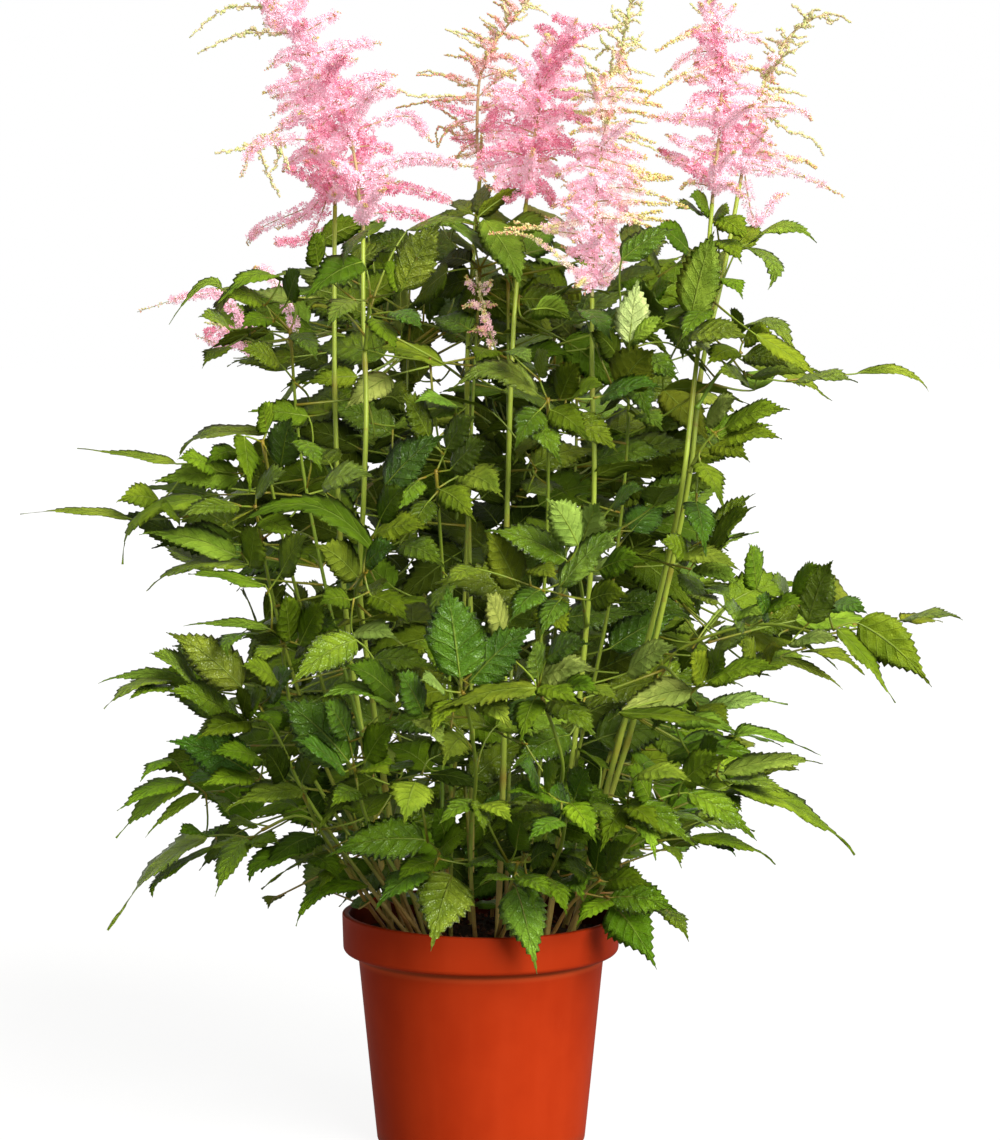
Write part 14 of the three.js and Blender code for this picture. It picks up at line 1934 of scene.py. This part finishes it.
def leaflet(bag, q, rng):
    foot, base, mid, tip, nrm, width, cls = q[:7]
    foot, base, mid, tip, nrm = (np.array(a, float) for a in (foot, base, mid, tip, nrm))
    ctrl = 2 * mid - 0.5 * (base + tip)
    rows = 2 * int(np.clip(np.linalg.norm(tip - base) / 4.4, 9, TEETH)) + 2
    t = np.linspace(0, 1, rows)
    C = ((1 - t) ** 2)[:, None] * base + (2 * t * (1 - t))[:, None] * ctrl + (t * t)[:, None] * tip
    D = unit(np.gradient(C, axis=0))
    L = np.linalg.norm(np.diff(C, axis=0), axis=1).sum()
    S = unit(np.cross(nrm[None], D))
    U = np.cross(D, S)
    half = 0.5 * width
    slim = cls == "n"
    a, b = (0.56, 1.4) if not slim else (0.7, 1.4)
    pk = a / (a + b)
    f = (t ** a * np.maximum(1 - t, 0) ** b) / (pk ** a * (1 - pk) ** b)
    f = f * (1 - 0.4 * np.exp(-((t - 0.86) / 0.13) ** 2)) * (1 + 0.06 * np.exp(-((t - 0.45) / 0.16) ** 2))
    f = np.maximum(f, 0.012)
    h = half * f
    # a slightly lop-sided base, as most side leaflets have
    lop = 1 + 0.13 * (rng.random() - 0.5) * 2 * np.cos(math.pi * t)
    uu = np.broadcast_to(COLS, (rows, len(COLS))).copy()
    x = uu * h[:, None]
    x[:, :2] *= lop[:, None]
    # doubly toothed margin
    j = np.arange(rows)
    tooth = np.where(j % 2 == 1, np.where((j // 2) % 3 == 1, 1.2, 0.55), -0.5) * (0.6 + 0.8 * rng.random(rows))
    env = np.clip(np.minimum(t / 0.1, (1 - t) / 0.12), 0, 1)
    amp = (0.1 * half * f ** 0.4 * (0.75 + 0.5 * rng.random(rows))) * env * tooth
    x[:, 0] -= amp
    x[:, -1] += amp
    fwd = np.where(j % 2 == 1, 0.85, 0.1) * L / (rows - 1) * env
    z = np.zeros_like(x)
    au = np.abs(uu)
    fold = 0.16 + 0.12 * rng.random()
    curl = 0.1 + 0.2 * rng.random()
    z += half * f[:, None] * (fold * au - curl * au ** 2.2)
    ph = rng.random(2) * 6.28
    wave = 0.07 * half * (au ** 1.6) * np.where(uu < 0, np.sin(2 * math.pi * 2.4 * t + ph[0])[:, None], np.sin(2 * math.pi * 2.1 * t + ph[1])[:, None])
    z += wave
    puck = 0.011 * half * np.sin(2 * math.pi * 7.5 * (t[:, None] - 0.2 * au ** 0.85)) * np.clip(au * 2.2, 0, 1) * env[:, None]
    z += puck
    twist = (rng.random() - 0.5) * 0.5 * (t - 0.2)
    cs, sn = np.cos(twist)[:, None], np.sin(twist)[:, None]
    x2, z2 = x * cs - z * sn, x * sn + z * cs
    P = C[:, None] + x2[..., None] * S[:, None] + z2[..., None] * U[:, None]
    edge = np.zeros((rows, len(COLS)))
    edge[:, 0] = edge[:, -1] = 1
    P = P + (edge * fwd[:, None])[..., None] * D[:, None]
    P[..., 2] -= 0.035 * L * (t ** 2.5)[:, None]
    nc = len(COLS)
    uv = np.stack([np.broadcast_to((COLS * 0.5 + 0.5), (rows, nc)), np.broadcast_to(t[:, None], (rows, nc))], -1)
    tint = PAL[cls] * (0.84 + 0.32 * rng.random()) * np.array([1 + 0.3 * (rng.random() - 0.5), 1 + 0.08 * (rng.random() - 0.5), 1 + 0.3 * (rng.random() - 0.5)])
    # yellower, lighter green low down near the pot; painted light: leaflets on the outside of the crown and high up are
    # made lighter, as if more lit
    near_pot = np.clip((330 - mid[2]) / 110, 0, 1)
    outer_painted_light = np.clip((math.hypot(mid[0], mid[1]) - 140) / 120, 0, 1)
    high = np.clip((mid[2] - 500) / 60, 0, 1)
    tint = tint * (1 + near_pot * np.array([0.18, 0.3, -0.08])) * (1 + 0.25 * outer_painted_light) * (1 + 0.1 * high)
    r = np.arange(rows - 1)[:, None]
    c = np.arange(nc - 1)[None]
    i0 = r * nc + c
    top = np.stack([i0, i0 + 1, i0 + nc + 1, i0 + nc], -1).reshape(-1, 4)
    # underside: same margin, inner columns a little lower
    thick = 0.22
    Q = P - U[:, None] * thick
    inner = list(range(1, nc - 1))
    v = np.concatenate([P.reshape(-1, 3), Q[:, inner].reshape(-1, 3)])
    uvs = np.concatenate([uv.reshape(-1, 2), uv[:, inner].reshape(-1, 2)])
    ni = len(inner)
    off = rows * nc

    def low(rr, cc):
        return np.where(cc == 0, rr * nc, np.where(cc == nc - 1, rr * nc + nc - 1, off + rr * ni + cc - 1))

    bottom = np.stack([low(r, c), low(r + 1, c), low(r + 1, c + 1), low(r, c + 1)], -1).reshape(-1, 4)
    aux = np.concatenate([np.zeros(rows * nc), np.ones(rows * ni)])
    shiny = cls == "g" or (cls in "mb" and rng.random() < 0.5) or (cls == "d" and rng.random() < 0.25)
    bag.add(v, np.concatenate([top, bottom]), tint, uvs, aux, 2 if shiny else 0)
    # stalklet, running on under the blade as the midrib
    gap = np.linalg.norm(base - foot)
    d0 = unit(mid - base)
    bend = base - d0 * min(gap * 0.35, 14)
    n1 = 3 if gap < 10 else 6
    tt = np.linspace(0, 1, n1)[:, None]
    knee = 0.45 * 0.5 * (foot + base) + 0.55 * bend
    line = (1 - tt) ** 2 * foot + 2 * tt * (1 - tt) * knee + tt * tt * base if gap > 10 else foot + (base - foot) * tt
    ri = [int(rows * q) for q in (0.1, 0.27, 0.47, 0.67)]
    rib = C[ri] - U[ri] * 0.3
    rib[:, 2] -= 0.035 * L * t[ri] ** 2.5
    pts = np.vstack([line, rib])
    rad = np.concatenate([np.linspace(0.95 if gap > 60 else 0.75, 0.62, n1), [0.55, 0.45, 0.36, 0.24]])
    blush = np.ones((len(pts), 3))
    blush[0] = (1.22, 0.66, 0.6)
    blush[1] = (1.1, 0.85, 0.8)
    tube(bag, pts, rad, 5, blush * (0.85 + 0.3 * rng.random()), 1)
    return L


def build_leaf(name, node, d, seed):
    rng = np.random.default_rng(seed)
    bag = Bag()
    route = np.array(d[0], float)
    if route[0][2] < 150:
        route = np.vstack([route[0] + [0, 0, -4.5], route])
    P = spline(route, 28)
    n = len(P)
    k = np.linspace(0, 1, n)
    rad = d[1] * (1 - k) ** 0.8 * 0.84 + 0.95 * k
    rad = rad + 0.9 * np.exp(-((k - 0.0) / 0.05) ** 2)
    hue = np.array([(1.0, 1.0, 1.0), (1.12, 0.8, 0.72), (0.82, 1.04, 0.7), (1.02, 0.92, 0.8), (0.78, 0.7, 0.66)][seed * 7 % 5])
    red = np.array([1.25, 0.62, 0.55]) - 1
    rad = rad + 0.35 * np.exp(-((k - 1) / 0.03) ** 2)
    tube(bag, P, rad, 7, (1 + (hue - 1) * np.clip(1.3 - 1.5 * k, 0, 1)[:, None]) * (1 + red * np.exp(-((k - 1) / 0.045) ** 2)[:, None]), 1)
    for q in d[2]:
        tube(bag, spline(q, 9), np.linspace(1.05, 0.8, 9), 6, 1 + red * np.exp(-(np.linspace(0, 1, 9) / 0.14) ** 2)[:, None], 1)
    for q in d[3]:
        leaflet(bag, q, rng)
    ob = bag.mesh(name, [LEAF, STALK, SHINY])
    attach(ob, "root")
    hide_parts(node)
    return ob


# ---------------------------------------------------------------- florets
def petal_flower(rng, open_=1.0):
    """One open floret: five narrow petals and a few stamens; unit size is the petal length."""
    V, F = [], []
    for k in range(5):
        a = 2 * math.pi * (k + 0.12 * rng.random()) / 5
        e = 0.35 + 0.5 * rng.random()
        d = np.array([math.cos(a) * math.cos(e), math.sin(a) * math.cos(e), math.sin(e) * open_])
        s = unit(np.cross(d, [0, 0, 1.0]))
        b = len(V)
        w = 0.23
        tipdrop = np.array([0, 0, -0.12 * rng.random()])
        V += [d * 0.04, d * 0.9 + s * w, d * 1.06 - s * w + tipdrop]
        F += [[b, b + 1, b + 2]]
    nt_ = len(V)
    for k in range(2):
        a = 2 * math.pi * (k + 0.5 + 0.2 * rng.random()) / 2
        d = unit(np.array([math.cos(a) * 0.4, math.sin(a) * 0.4, 1.0]))
        s = unit(np.cross(d, [0.3, 0.2, 1.0]))
        b = len(V)
        V += [d * 0.05 - s * 0.03, d * 0.05 + s * 0.03, d * (0.95 + 0.2 * rng.random())]
        F += [[b, b + 1, b + 2]]
    return np.array(V), np.array(F), nt_


OCT_V = np.array([[0, 0, -1], [1, 0, 0], [0, 1, 0], [-1, 0, 0], [0, -1, 0], [0, 0, 1.15]], float)
OCT_F = np.array([[0, 2, 1], [0, 3, 2], [0, 4, 3], [0, 1, 4], [5, 1, 2], [5, 2, 3], [5, 3, 4], [5, 4, 1]])

KIND = {
    # petal colours, bud colours
    "p": ([lin(242, 204, 217), lin(250, 219, 230), lin(240, 187, 205)], [lin(234, 172, 174), lin(230, 196, 156)]),
    "l": ([lin(250, 214, 228), lin(246, 200, 216), lin(252, 230, 236)], [lin(240, 222, 176), lin(236, 186, 176)]),
    "d": ([lin(232, 152, 176), lin(244, 198, 214), lin(220, 128, 158)], [lin(216, 120, 138), lin(212, 148, 128)]),
    "c": ([lin(246, 210, 214), lin(248, 234, 212), lin(244, 196, 206)], [lin(236, 228, 170), lin(222, 216, 142)]),
    "b": ([lin(232, 184, 186), lin(224, 174, 160)], [lin(204, 170, 120), lin(194, 188, 116), lin(216, 142, 134), lin(188, 188, 112)]),
    "g": ([lin(230, 206, 150)], [lin(206, 210, 142), lin(222, 216, 164), lin(190, 200, 126), lin(226, 206, 176)]),
}
# how thick a spray of each plume is
FAT = {"plume_6": 0.64, "plume_4": 0.6, "plume_7": 0.82, "plume_5": 1.1, "plume_3": 0.95, "plume_1": 1.09, "plume_2": 1.0}


def frames_for(dirs, rng):
    """Rotation matrices whose third column is each direction."""
    d = unit(dirs)
    r = unit(rng.normal(size=d.shape))
    a = unit(np.cross(d, r))
    b = np.cross(d, a)
    return np.stack([a, b, d], -1)


def scatter(bag, rng, V, F, pos, dirs, size, cols, mat, stam=None, stamcol=None):
    M = frames_for(dirs, rng) * size[:, None, None]
    P = np.einsum("nij,vj->nvi", M, V) + pos[:, None]
    n, k = P.shape[:2]
    C = np.repeat(cols[:, None], k, axis=1)
    if stam is not None:
        C[:, stam:] = stamcol
    faces = (F[None] + (np.arange(n) * k)[:, None, None]).reshape(-1, F.shape[1])
    bag.add(P.reshape(-1, 3), faces, C.reshape(-1, 3), None, 0.0, mat)


FLOWERS = [petal_flower(np.random.default_rng(100 + i), 0.75 + 0.1 * i) for i in range(5)]


def along(P, s):
    n = len(P) - 1
    k = np.clip((s * n).astype(int), 0, n - 1)
    f = s * n - k
    return P[k] + (P[k + 1] - P[k]) * f[:, None], unit(P[k + 1] - P[k])


def flower_strip(bag, rng, pts, kind, r, dense=1.0, fat=1.0, start=0.06):
    """Florets and buds round one branch."""
    P = spline(pts, 14)
    L = np.linalg.norm(np.diff(P, axis=0), axis=1).sum()
    petals, buds = KIND[kind]
    petals, buds = np.array(petals), np.array(buds)
    strip = {"p": 4.9, "l": 4.6, "d": 4.9, "c": 4.2, "b": 3.6, "g": 3.7}[kind] * (0.55 + 0.45 * r / 4.2) * fat
    openend = {"p": 0.84, "l": 0.8, "d": 0.95, "c": 0.62, "b": 0.5, "g": 0.0}[kind]
    nf = int(L * dense * (0.2 + 0.8 * fat) * {"p": 2.7, "l": 2.4, "d": 2.8, "c": 1.5, "b": 1.05, "g": 0.0}[kind])
    if nf > 0:
        s = start + (openend - start) * rng.random(nf) ** 0.9
        c, d = along(P, s)
        out = rng.normal(size=(nf, 3))
        out = unit(out - d * (out * d).sum(1, keepdims=True))
        rad = strip * (1 - 0.55 * s) * (0.25 + 0.75 * rng.random(nf) ** 0.7)
        pos = c + out * rad[:, None] + d * (rad * 0.35)[:, None]
        dirs = out + 0.5 * d + 0.35 * rng.normal(size=(nf, 3)) + [0, 0, 0.15]
        size = (2.75 - 0.75 * s) * (0.75 + 0.5 * rng.random(nf)) * (0.85 if kind in "cb" else 1.0)
        col = petals[rng.integers(len(petals), size=nf)] * (0.86 + 0.26 * rng.random((nf, 1)))
        for i, (V, F, ns) in enumerate(FLOWERS):
            w = np.arange(nf) % len(FLOWERS) == i
            if w.any():
                scatter(bag, rng, V, F, pos[w], dirs[w], size[w], np.clip(col[w], 0, 1), 1, ns, np.array(lin(255, 226, 230)))
    nb = int(L * {"p": 0.7, "l": 0.8, "d": 0.5, "c": 1.9, "b": 2.2, "g": 2.5}[kind]) + 3
    s = (openend - 0.18 if openend > 0.3 else 0.08) + (1.0 - (openend - 0.18 if openend > 0.3 else 0.08)) * rng.random(nb)
    s = np.clip(s, 0, 0.999)
    c, d = along(P, s)
    out = rng.normal(size=(nb, 3))
    out = unit(out - d * (out * d).sum(1, keepdims=True))
    rad = (0.55 * strip * (1 - 0.7 * s) + 0.5) * (0.5 + 0.5 * rng.random(nb))
    pos = c + out * rad[:, None] + d * (rad * 0.5)[:, None]
    size = ((1.3 if kind in "gbc" else 1.15) - 0.5 * s) * (0.8 + 0.4 * rng.random(nb))
    if kind in "gb":
        # buds sit in little clusters, left and right in turn
        k = np.floor(s * L / 4.2)
        s = np.clip((k + 0.5 + 0.32 * rng.normal(size=nb).clip(-1.3, 1.3)) * 4.2 / L, 0, 0.999)
        c, d = along(P, s)
        turn = k * 2.4
        ref = unit(np.cross(d, [0.0, 1.0, 0.0]) + 1e-6)
        alt = np.cos(turn)[:, None] * ref + np.sin(turn)[:, None] * np.cross(d, ref)
        out = unit(alt + 0.45 * rng.normal(size=(nb, 3)))
        rad = strip * (1 - 0.78 * s) * (0.25 + 0.75 * rng.random(nb))
        pos = c + out * rad[:, None] + d * (rad * 0.4)[:, None]
    if kind in ("p", "l", "d", "c"):
        green = np.array([lin(196, 190, 96), lin(222, 200, 120), lin(214, 150, 120)])
        pick = rng.random(nb) < (s - 0.55) * (1.6 if kind != "d" else 0.6)
        col = np.where(pick[:, None], green[rng.integers(3, size=nb)], buds[rng.integers(len(buds), size=nb)])
    else:
        col = buds[rng.integers(len(buds), size=nb)]
    col = col * (0.82 + 0.3 * rng.random((nb, 1)))
    scatter(bag, rng, OCT_V * [0.85, 0.85, 1.0], OCT_F, pos, out + 0.6 * d, size, np.clip(col, 0, 1), 1)
    # the twig itself
    tube(bag, P, np.linspace(0.42 + 0.05 * r, 0.2, len(P)), 5, np.array([1.0, 1.0, 1.0]), 0)


def build_plume(name, node, d, seed):
    rng = np.random.default_rng(seed)
    bag = Bag()
    fat = FAT.get(node, 1.0)
    axis, (r0, r1), brs = d
    A = spline(axis, 40)
    tube(bag, A, np.linspace(r0 * 0.95, r1 * 0.7, len(A)), 7, np.ones(3), 0)
    main = max(set(b[1] for b in brs), key=lambda k: sum(1 for b in brs if b[1] == k))
    if node == "plume_5":
        main = "l"
    for i, (r, kind, pts) in enumerate(brs):
        f = fat
        if node == "plume_5" and pts[0][2] > 688:
            # still in bud above, so a looser, greener spray
            kind = {"p": "c", "l": "c", "c": "g" if i % 2 else "c"}.get(kind, kind)
            r, f = min(r, 3.0), 0.78
        elif node == "plume_5":
            kind = "p" if kind == "l" and i % 3 else kind
            f = 0.84 if pts[0][2] > 635 else 0.72
        elif node == "side_plume_1":
            kind = "c" if i % 3 else "b"
        flower_strip(bag, rng, pts, kind, r, 1.0, f)
    side = name.startswith("side") or "side" in name
    # the axis carries florets too, and ends in buds
    n = len(A)
    lo = int(n * (0.3 if not side else 0.5))
    topk = "g" if main in ("g", "c", "b") else main
    if node == "plume_5":
        flower_strip(bag, rng, A[int(n * 0.06):int(n * 0.46)], "p", 2.6, dense=1.2, fat=0.75)
        flower_strip(bag, rng, A[int(n * 0.42):int(n * 0.78)], "c", 3.0, dense=1.1, fat=0.8)
    elif node == "plume_6":
        flower_strip(bag, rng, A[lo:int(n * 0.8)], "d", 4.6, dense=1.4, fat=0.8)
    else:
        flower_strip(bag, rng, A[lo:int(n * 0.8)], main, 6.0 if main in "pld" else 3.6, dense=2.0 if main in "pld" else 1.1, fat=fat)
    flower_strip(bag, rng, A[int(n * 0.72):], "g" if main != "d" else "p", 2.4)
    ob = bag.mesh(name, [TWIG, FLORET_GLOW])
    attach(ob, "root")
    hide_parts(node)
    return ob


# ---------------------------------------------------------------- flower stems
def build_stem(name, node, d, seed):
    rng = np.random.default_rng(seed)
    bag = Bag()
    pts = np.array(d[0], float)
    pts = np.vstack([pts[0] + [0, 0, -4.5], pts])
    P = spline(pts, 60)
    k = np.linspace(0, 1, len(P))
    rad = d[1] * (1 - k) + d[2] * k
    z = P[:, 2]
    nodes_z = [z[0] + 110 + 30 * rng.random(), z[0] + 250 + 40 * rng.random(), z[0] + 370 + 30 * rng.random()]
    col = np.ones((len(P), 3))
    for zz in nodes_z:
        g = np.exp(-((z - zz) / 5.0) ** 2)
        rad = rad * (1 + 0.22 * g)
        col = col * (1 - g[:, None] * 0.45 * np.array([0.2, 0.9, 0.8]))
    tube(bag, P, rad, 10, col, 0)
    ob = bag.mesh(name, [STEM])
    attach(ob, "root")
    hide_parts(node)
    return ob


# ---------------------------------------------------------------- pot and soil
def lathe(profile, seg, closed=False):
    p = np.array(profile, float)
    a = np.arange(seg) * 2 * math.pi / seg
    v = np.stack([p[:, 0][:, None] * np.cos(a), p[:, 0][:, None] * np.sin(a), np.broadcast_to(p[:, 1][:, None], (len(p), seg))], -1)
    i = np.arange(seg)
    j = (i + 1) % seg
    q = [np.stack([k * seg + i, k * seg + j, (k + 1) * seg + j, (k + 1) * seg + i], 1) for k in range(len(p) - 1)]
    return v.reshape(-1, 3), np.concatenate(q)


def arc(cx, cz, r, a0, a1, n):
    return [(cx + r * math.cos(math.radians(a)), cz + r * math.sin(math.radians(a))) for a in np.linspace(a0, a1, n)]


def build_pot():
    R_RIM, H = 95.9, 157.0
    prof = [(0.05, 0.9), (44, 0.9), (45, 0.4), (46, 0.0), (69.2, 0.0)] + arc(69.2, 3.1, 3.1, -90, -8, 6)
    prof += [(72.3 + (84.75 - 72.3) * t, 3.0 + (124.4 - 3.0) * t) for t in np.linspace(0.06, 1, 9)]
    prof += arc(89.8, 124.5, 5.0, 180, 98, 7)[1:] + [(91.2, 129.55)]
    prof += arc(91.2, 133.7, 4.15, -78, -4, 7)
    prof += [(95.5, 140), (95.75, 149)]
    prof += arc(94.5, 155.55, 1.4, 0, 90, 5) + arc(92.4, 155.55, 1.4, 90, 175, 5)
    prof += [(90.9, 150), (90.3, 137.5), (89.5, 134.6), (86.5, 131.5), (83.3, 128.2), (82.9, 124), (76.6, 60), (70.9, 8), (69.9, 4.6), (67.5, 3.05), (0.05, 3.0)]
    v, q = lathe(prof, 144)
    # hand-made rims are never quite round
    a = np.arctan2(v[:, 1], v[:, 0])
    w = np.clip((v[:, 2] - 120) / 37, 0, 1)
    v[:, 2] += np.clip((v[:, 2] - 40) / 80, 0, 1) * 3.2
    v[:, 2] += w * (0.9 * np.cos(a - 2.9) + 0.35 * np.cos(3 * a + 1.0)) - w * 0.55
    s = 1 + w * 0.0022 * np.cos(2 * a + 0.7)
    v[:, 0] *= s
    v[:, 1] *= s
    bag = Bag()
    bag.add(v, q, np.ones(3))
    n = len(prof)
    bag.f.append((np.array([list(range(144))[::-1]]), 0))
    bag.f.append((np.array([[(n - 1) * 144 + i for i in range(144)]]), 0))
    ob = bag.mesh("nursery_pot", [POT])
    # drain holes
    cut = Bag()
    for i in range(6):
        b = (i + 0.5) / 6 * 2 * math.pi
        cv, cq = lathe([(4.5, -4), (4.5, 8)], 24)
        cv = cv + [56 * math.cos(b), 56 * math.sin(b), 0]
        base = cut.n
        cut.add(cv, cq, np.ones(3))
        cut.f.append((np.array([[base + k for k in range(24)][::-1]]), 0))
        cut.f.append((np.array([[base + 24 + k for k in range(24)]]), 0))
    co = cut.mesh("pot_drill", [POT])
    mod = ob.modifiers.new("holes", "BOOLEAN")
    mod.operation = "DIFFERENCE"
    mod.solver = "EXACT"
    mod.object = co
    bpy.context.view_layer.update()
    dg = bpy.context.evaluated_depsgraph_get()
    me = bpy.data.meshes.new_from_object(ob.evaluated_get(dg))
    ob.modifiers.clear()
    ob.data = me
    bpy.data.objects.remove(co)
    for p in me.polygons:
        p.use_smooth = True
    me.set_sharp_from_angle(angle=math.radians(38))
    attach(ob, "root")
    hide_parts("pot")


def build_soil():
    rng = np.random.default_rng(77)
    bag = Bag()
    seg = 96
    rr = np.concatenate([[0.05], np.linspace(2, 89.6, 38)])
    a = np.arange(seg) * 2 * math.pi / seg
    X, Y = rr[:, None] * np.cos(a), rr[:, None] * np.sin(a)
    Z = 144.2 - 2.6 * np.clip((rr - 72) / 17, 0, 1)[:, None] ** 1.5 + 0 * X
    for k in range(26):
        f = 0.03 + 0.35 * (k / 26) ** 1.6
        th = rng.random() * 6.28
        Z = Z + (0.55 / (1 + 5 * (k / 26))) * np.sin(f * (X * math.cos(th) + Y * math.sin(th)) * 2.2 + rng.random() * 6.28)
    Z = Z + 0.35 * rng.normal(size=Z.shape)
    Z = np.clip(Z, 139, 146.2)
    top = np.stack([X, Y, Z], -1).reshape(-1, 3)
    under = [(89.4, 137), (83.4, 129.4), (82.2, 126), (70.3, 8), (69, 4.4), (66.5, 3.6), (0.05, 3.6)]
    uv_, uq = lathe(under, seg)
    n = len(rr)
    i = np.arange(seg)
    j = (i + 1) % seg
    q = [np.stack([k * seg + i, (k + 1) * seg + i, (k + 1) * seg + j, k * seg + j], 1) for k in range(n - 1)]
    v = np.concatenate([top, uv_])
    q2 = [np.stack([k * seg + i, (k + 1) * seg + i, (k + 1) * seg + j, k * seg + j], 1) for k in range(n - 1, n - 1 + len(under))]
    bag.add(v, np.concatenate(q + q2), np.ones(3))
    # crumbs and bits of bark
    ico = bpy.data.meshes.new("t")
    import bmesh
    bm = bmesh.new()
    bmesh.ops.create_icosphere(bm, subdivisions=1, radius=1.0)
    V = np.array([x.co[:] for x in bm.verts])
    F = np.array([[x.index for x in f.verts] for f in bm.faces])
    bm.free()
    bpy.data.meshes.remove(ico)
    m = 900
    r = 88 * np.sqrt(rng.random(m))
    th = rng.random(m) * 6.283
    size = 0.5 + 2.0 * rng.random(m) ** 3
    pos = np.stack([r * np.cos(th), r * np.sin(th), 144.0 - 2.6 * np.clip((r - 72) / 17, 0, 1) ** 1.5 + 0.4 * size + rng.random(m) * 0.8], 1)
    pos[:, 2] = np.minimum(pos[:, 2], 147.0)
    red = rng.random(m) < 0.28
    cols = np.where(red[:, None], np.array([1.55, 0.95, 0.8]), np.array([0.8, 0.8, 0.8])) * (0.55 + 0.8 * rng.random((m, 1)))
    for g in range(6):
        w = np.arange(m) % 6 == g
        Vg = V * (1 + 0.35 * rng.normal(size=(len(V), 1)).clip(-1.2, 1.2)) * [1.0, 0.8 + 0.4 * rng.random(), 0.6 + 0.3 * rng.random()]
        scatter(bag, rng, Vg, F, pos[w], rng.normal(size=(w.sum(), 3)) + [0, 0, 1.2], size[w], cols[w], 1)
    ob = bag.mesh("potting_soil", [SOIL, CRUMB])
    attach(ob, "root")
    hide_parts("soil")


build_pot()
build_soil()
for i, (node, d) in enumerate(STEMS.items()):
    build_stem("grown_" + node, node, d, 900 + i)
for i, (node, d) in enumerate(PLUMES.items()):
    build_plume("grown_" + node, node, d, 700 + i)
for i, (node, d) in enumerate(LEAVES.items()):
    build_leaf("grown_" + node, node, d, 300 + i)

# ---------------------------------------------------------------- floor, light, camera
def flat_floor():
    me = bpy.data.meshes.new("studio_floor")
    s = 14.0
    me.from_pydata([(-s, -s, 0), (s, -s, 0), (s, s, 0), (-s, s, 0)], [], [(0, 1, 2, 3)])
    ob = bpy.data.objects.new("studio_floor", me)
    bpy.context.scene.collection.objects.link(ob)
    m, nt, b = new_mat("studio_floor")
    obj = nt.nodes.new("ShaderNodeTexCoord").outputs["Object"]
    c = mix_rgb(nt, noise(nt, obj, 3.0, 2, 0.5), (0.12, 0.12, 0.12), (0.13, 0.13, 0.13))
    nt.links.new(c, b.inputs["Base Color"])
    b.inputs["Roughness"].default_value = 0.9
    b.inputs["Specular IOR Level"].default_value = 0.1
    b.inputs["Emission Color"].default_value = (1, 1, 1, 1)
    b.inputs["Emission Strength"].default_value = 0.9
    me.materials.append(m)
    ob.location.z = min(0.0, CAD_BOX[0][2]) - 0.0002 if isinstance(CAD_BOX[0], (list, tuple)) or hasattr(CAD_BOX[0], "__len__") else -0.0002
    ob.visible_diffuse = False
    ob.visible_glossy = False


def area(name, loc, target, size, power, color=(1, 1, 1)):
    l = bpy.data.lights.new(name, "AREA")
    l.shape = "RECTANGLE"
    l.size, l.size_y = size
    l.energy = power
    l.color = color
    o = bpy.data.objects.new(name, l)
    o.location = loc
    o.rotation_euler = (Vector(target) - Vector(loc)).to_track_quat("-Z", "Y").to_euler()
    bpy.context.scene.collection.objects.link(o)
    return o


flat_floor()
world = bpy.data.worlds.new("studio") if not bpy.context.scene.world else bpy.context.scene.world
bpy.context.scene.world = world
world.use_nodes = True
wt = world.node_tree
wt.nodes.clear()
wo = wt.nodes.new("ShaderNodeOutputWorld")
bg = wt.nodes.new("ShaderNodeBackground")
way = wt.nodes.new("ShaderNodeTexCoord").outputs["Generated"]
wsep = wt.nodes.new("ShaderNodeSeparateXYZ")
wt.links.new(way, wsep.inputs[0])
# a white band round the horizon, greyer overhead and below, where it stands in for the floor's own bounce
above = smooth(wt, wsep.outputs[2], 0.065, 0.13)
below = math_node(wt, "SUBTRACT", 1.0, smooth(wt, wsep.outputs[2], -0.11, -0.05))
tone = mix_rgb(wt, above, (WORLD, WORLD, WORLD), (SKY, SKY * 0.99, SKY * 0.9))
tone = mix_rgb(wt, below, tone, (GROUND, GROUND * 0.985, GROUND * 0.96))
wt.links.new(tone, bg.inputs["Color"])
wt.links.new(bg.outputs[0], wo.inputs["Surface"])
sun = bpy.data.lights.new("key", "SUN")
sun.energy = KEY
sun.angle = math.radians(40)
sun.color = (1.0, 0.985, 0.955)
so = bpy.data.objects.new("key", sun)
so.rotation_euler = Vector((-0.62, 0.87, -0.66)).to_track_quat("-Z", "Y").to_euler()
bpy.context.scene.collection.objects.link(so)

cam = bpy.data.cameras.new("camera")
cam.sensor_fit = "VERTICAL"
cam.sensor_height = 36.0
cam.lens = 120.0
cam.clip_end = 100
co = bpy.data.objects.new("camera", cam)
co.location = (0.0132, -2.6, 0.634)
co.rotation_euler = (math.radians(90 - 5.2), 0, 0)
bpy.context.scene.collection.objects.link(co)
bpy.context.scene.camera = co
bpy.context.scene.view_settings.view_transform = "Standard"
bpy.context.scene.view_settings.look = "None"
bpy.context.scene.view_settings.exposure = EXPO
bpy.context.scene.view_settings.gamma = 1.0

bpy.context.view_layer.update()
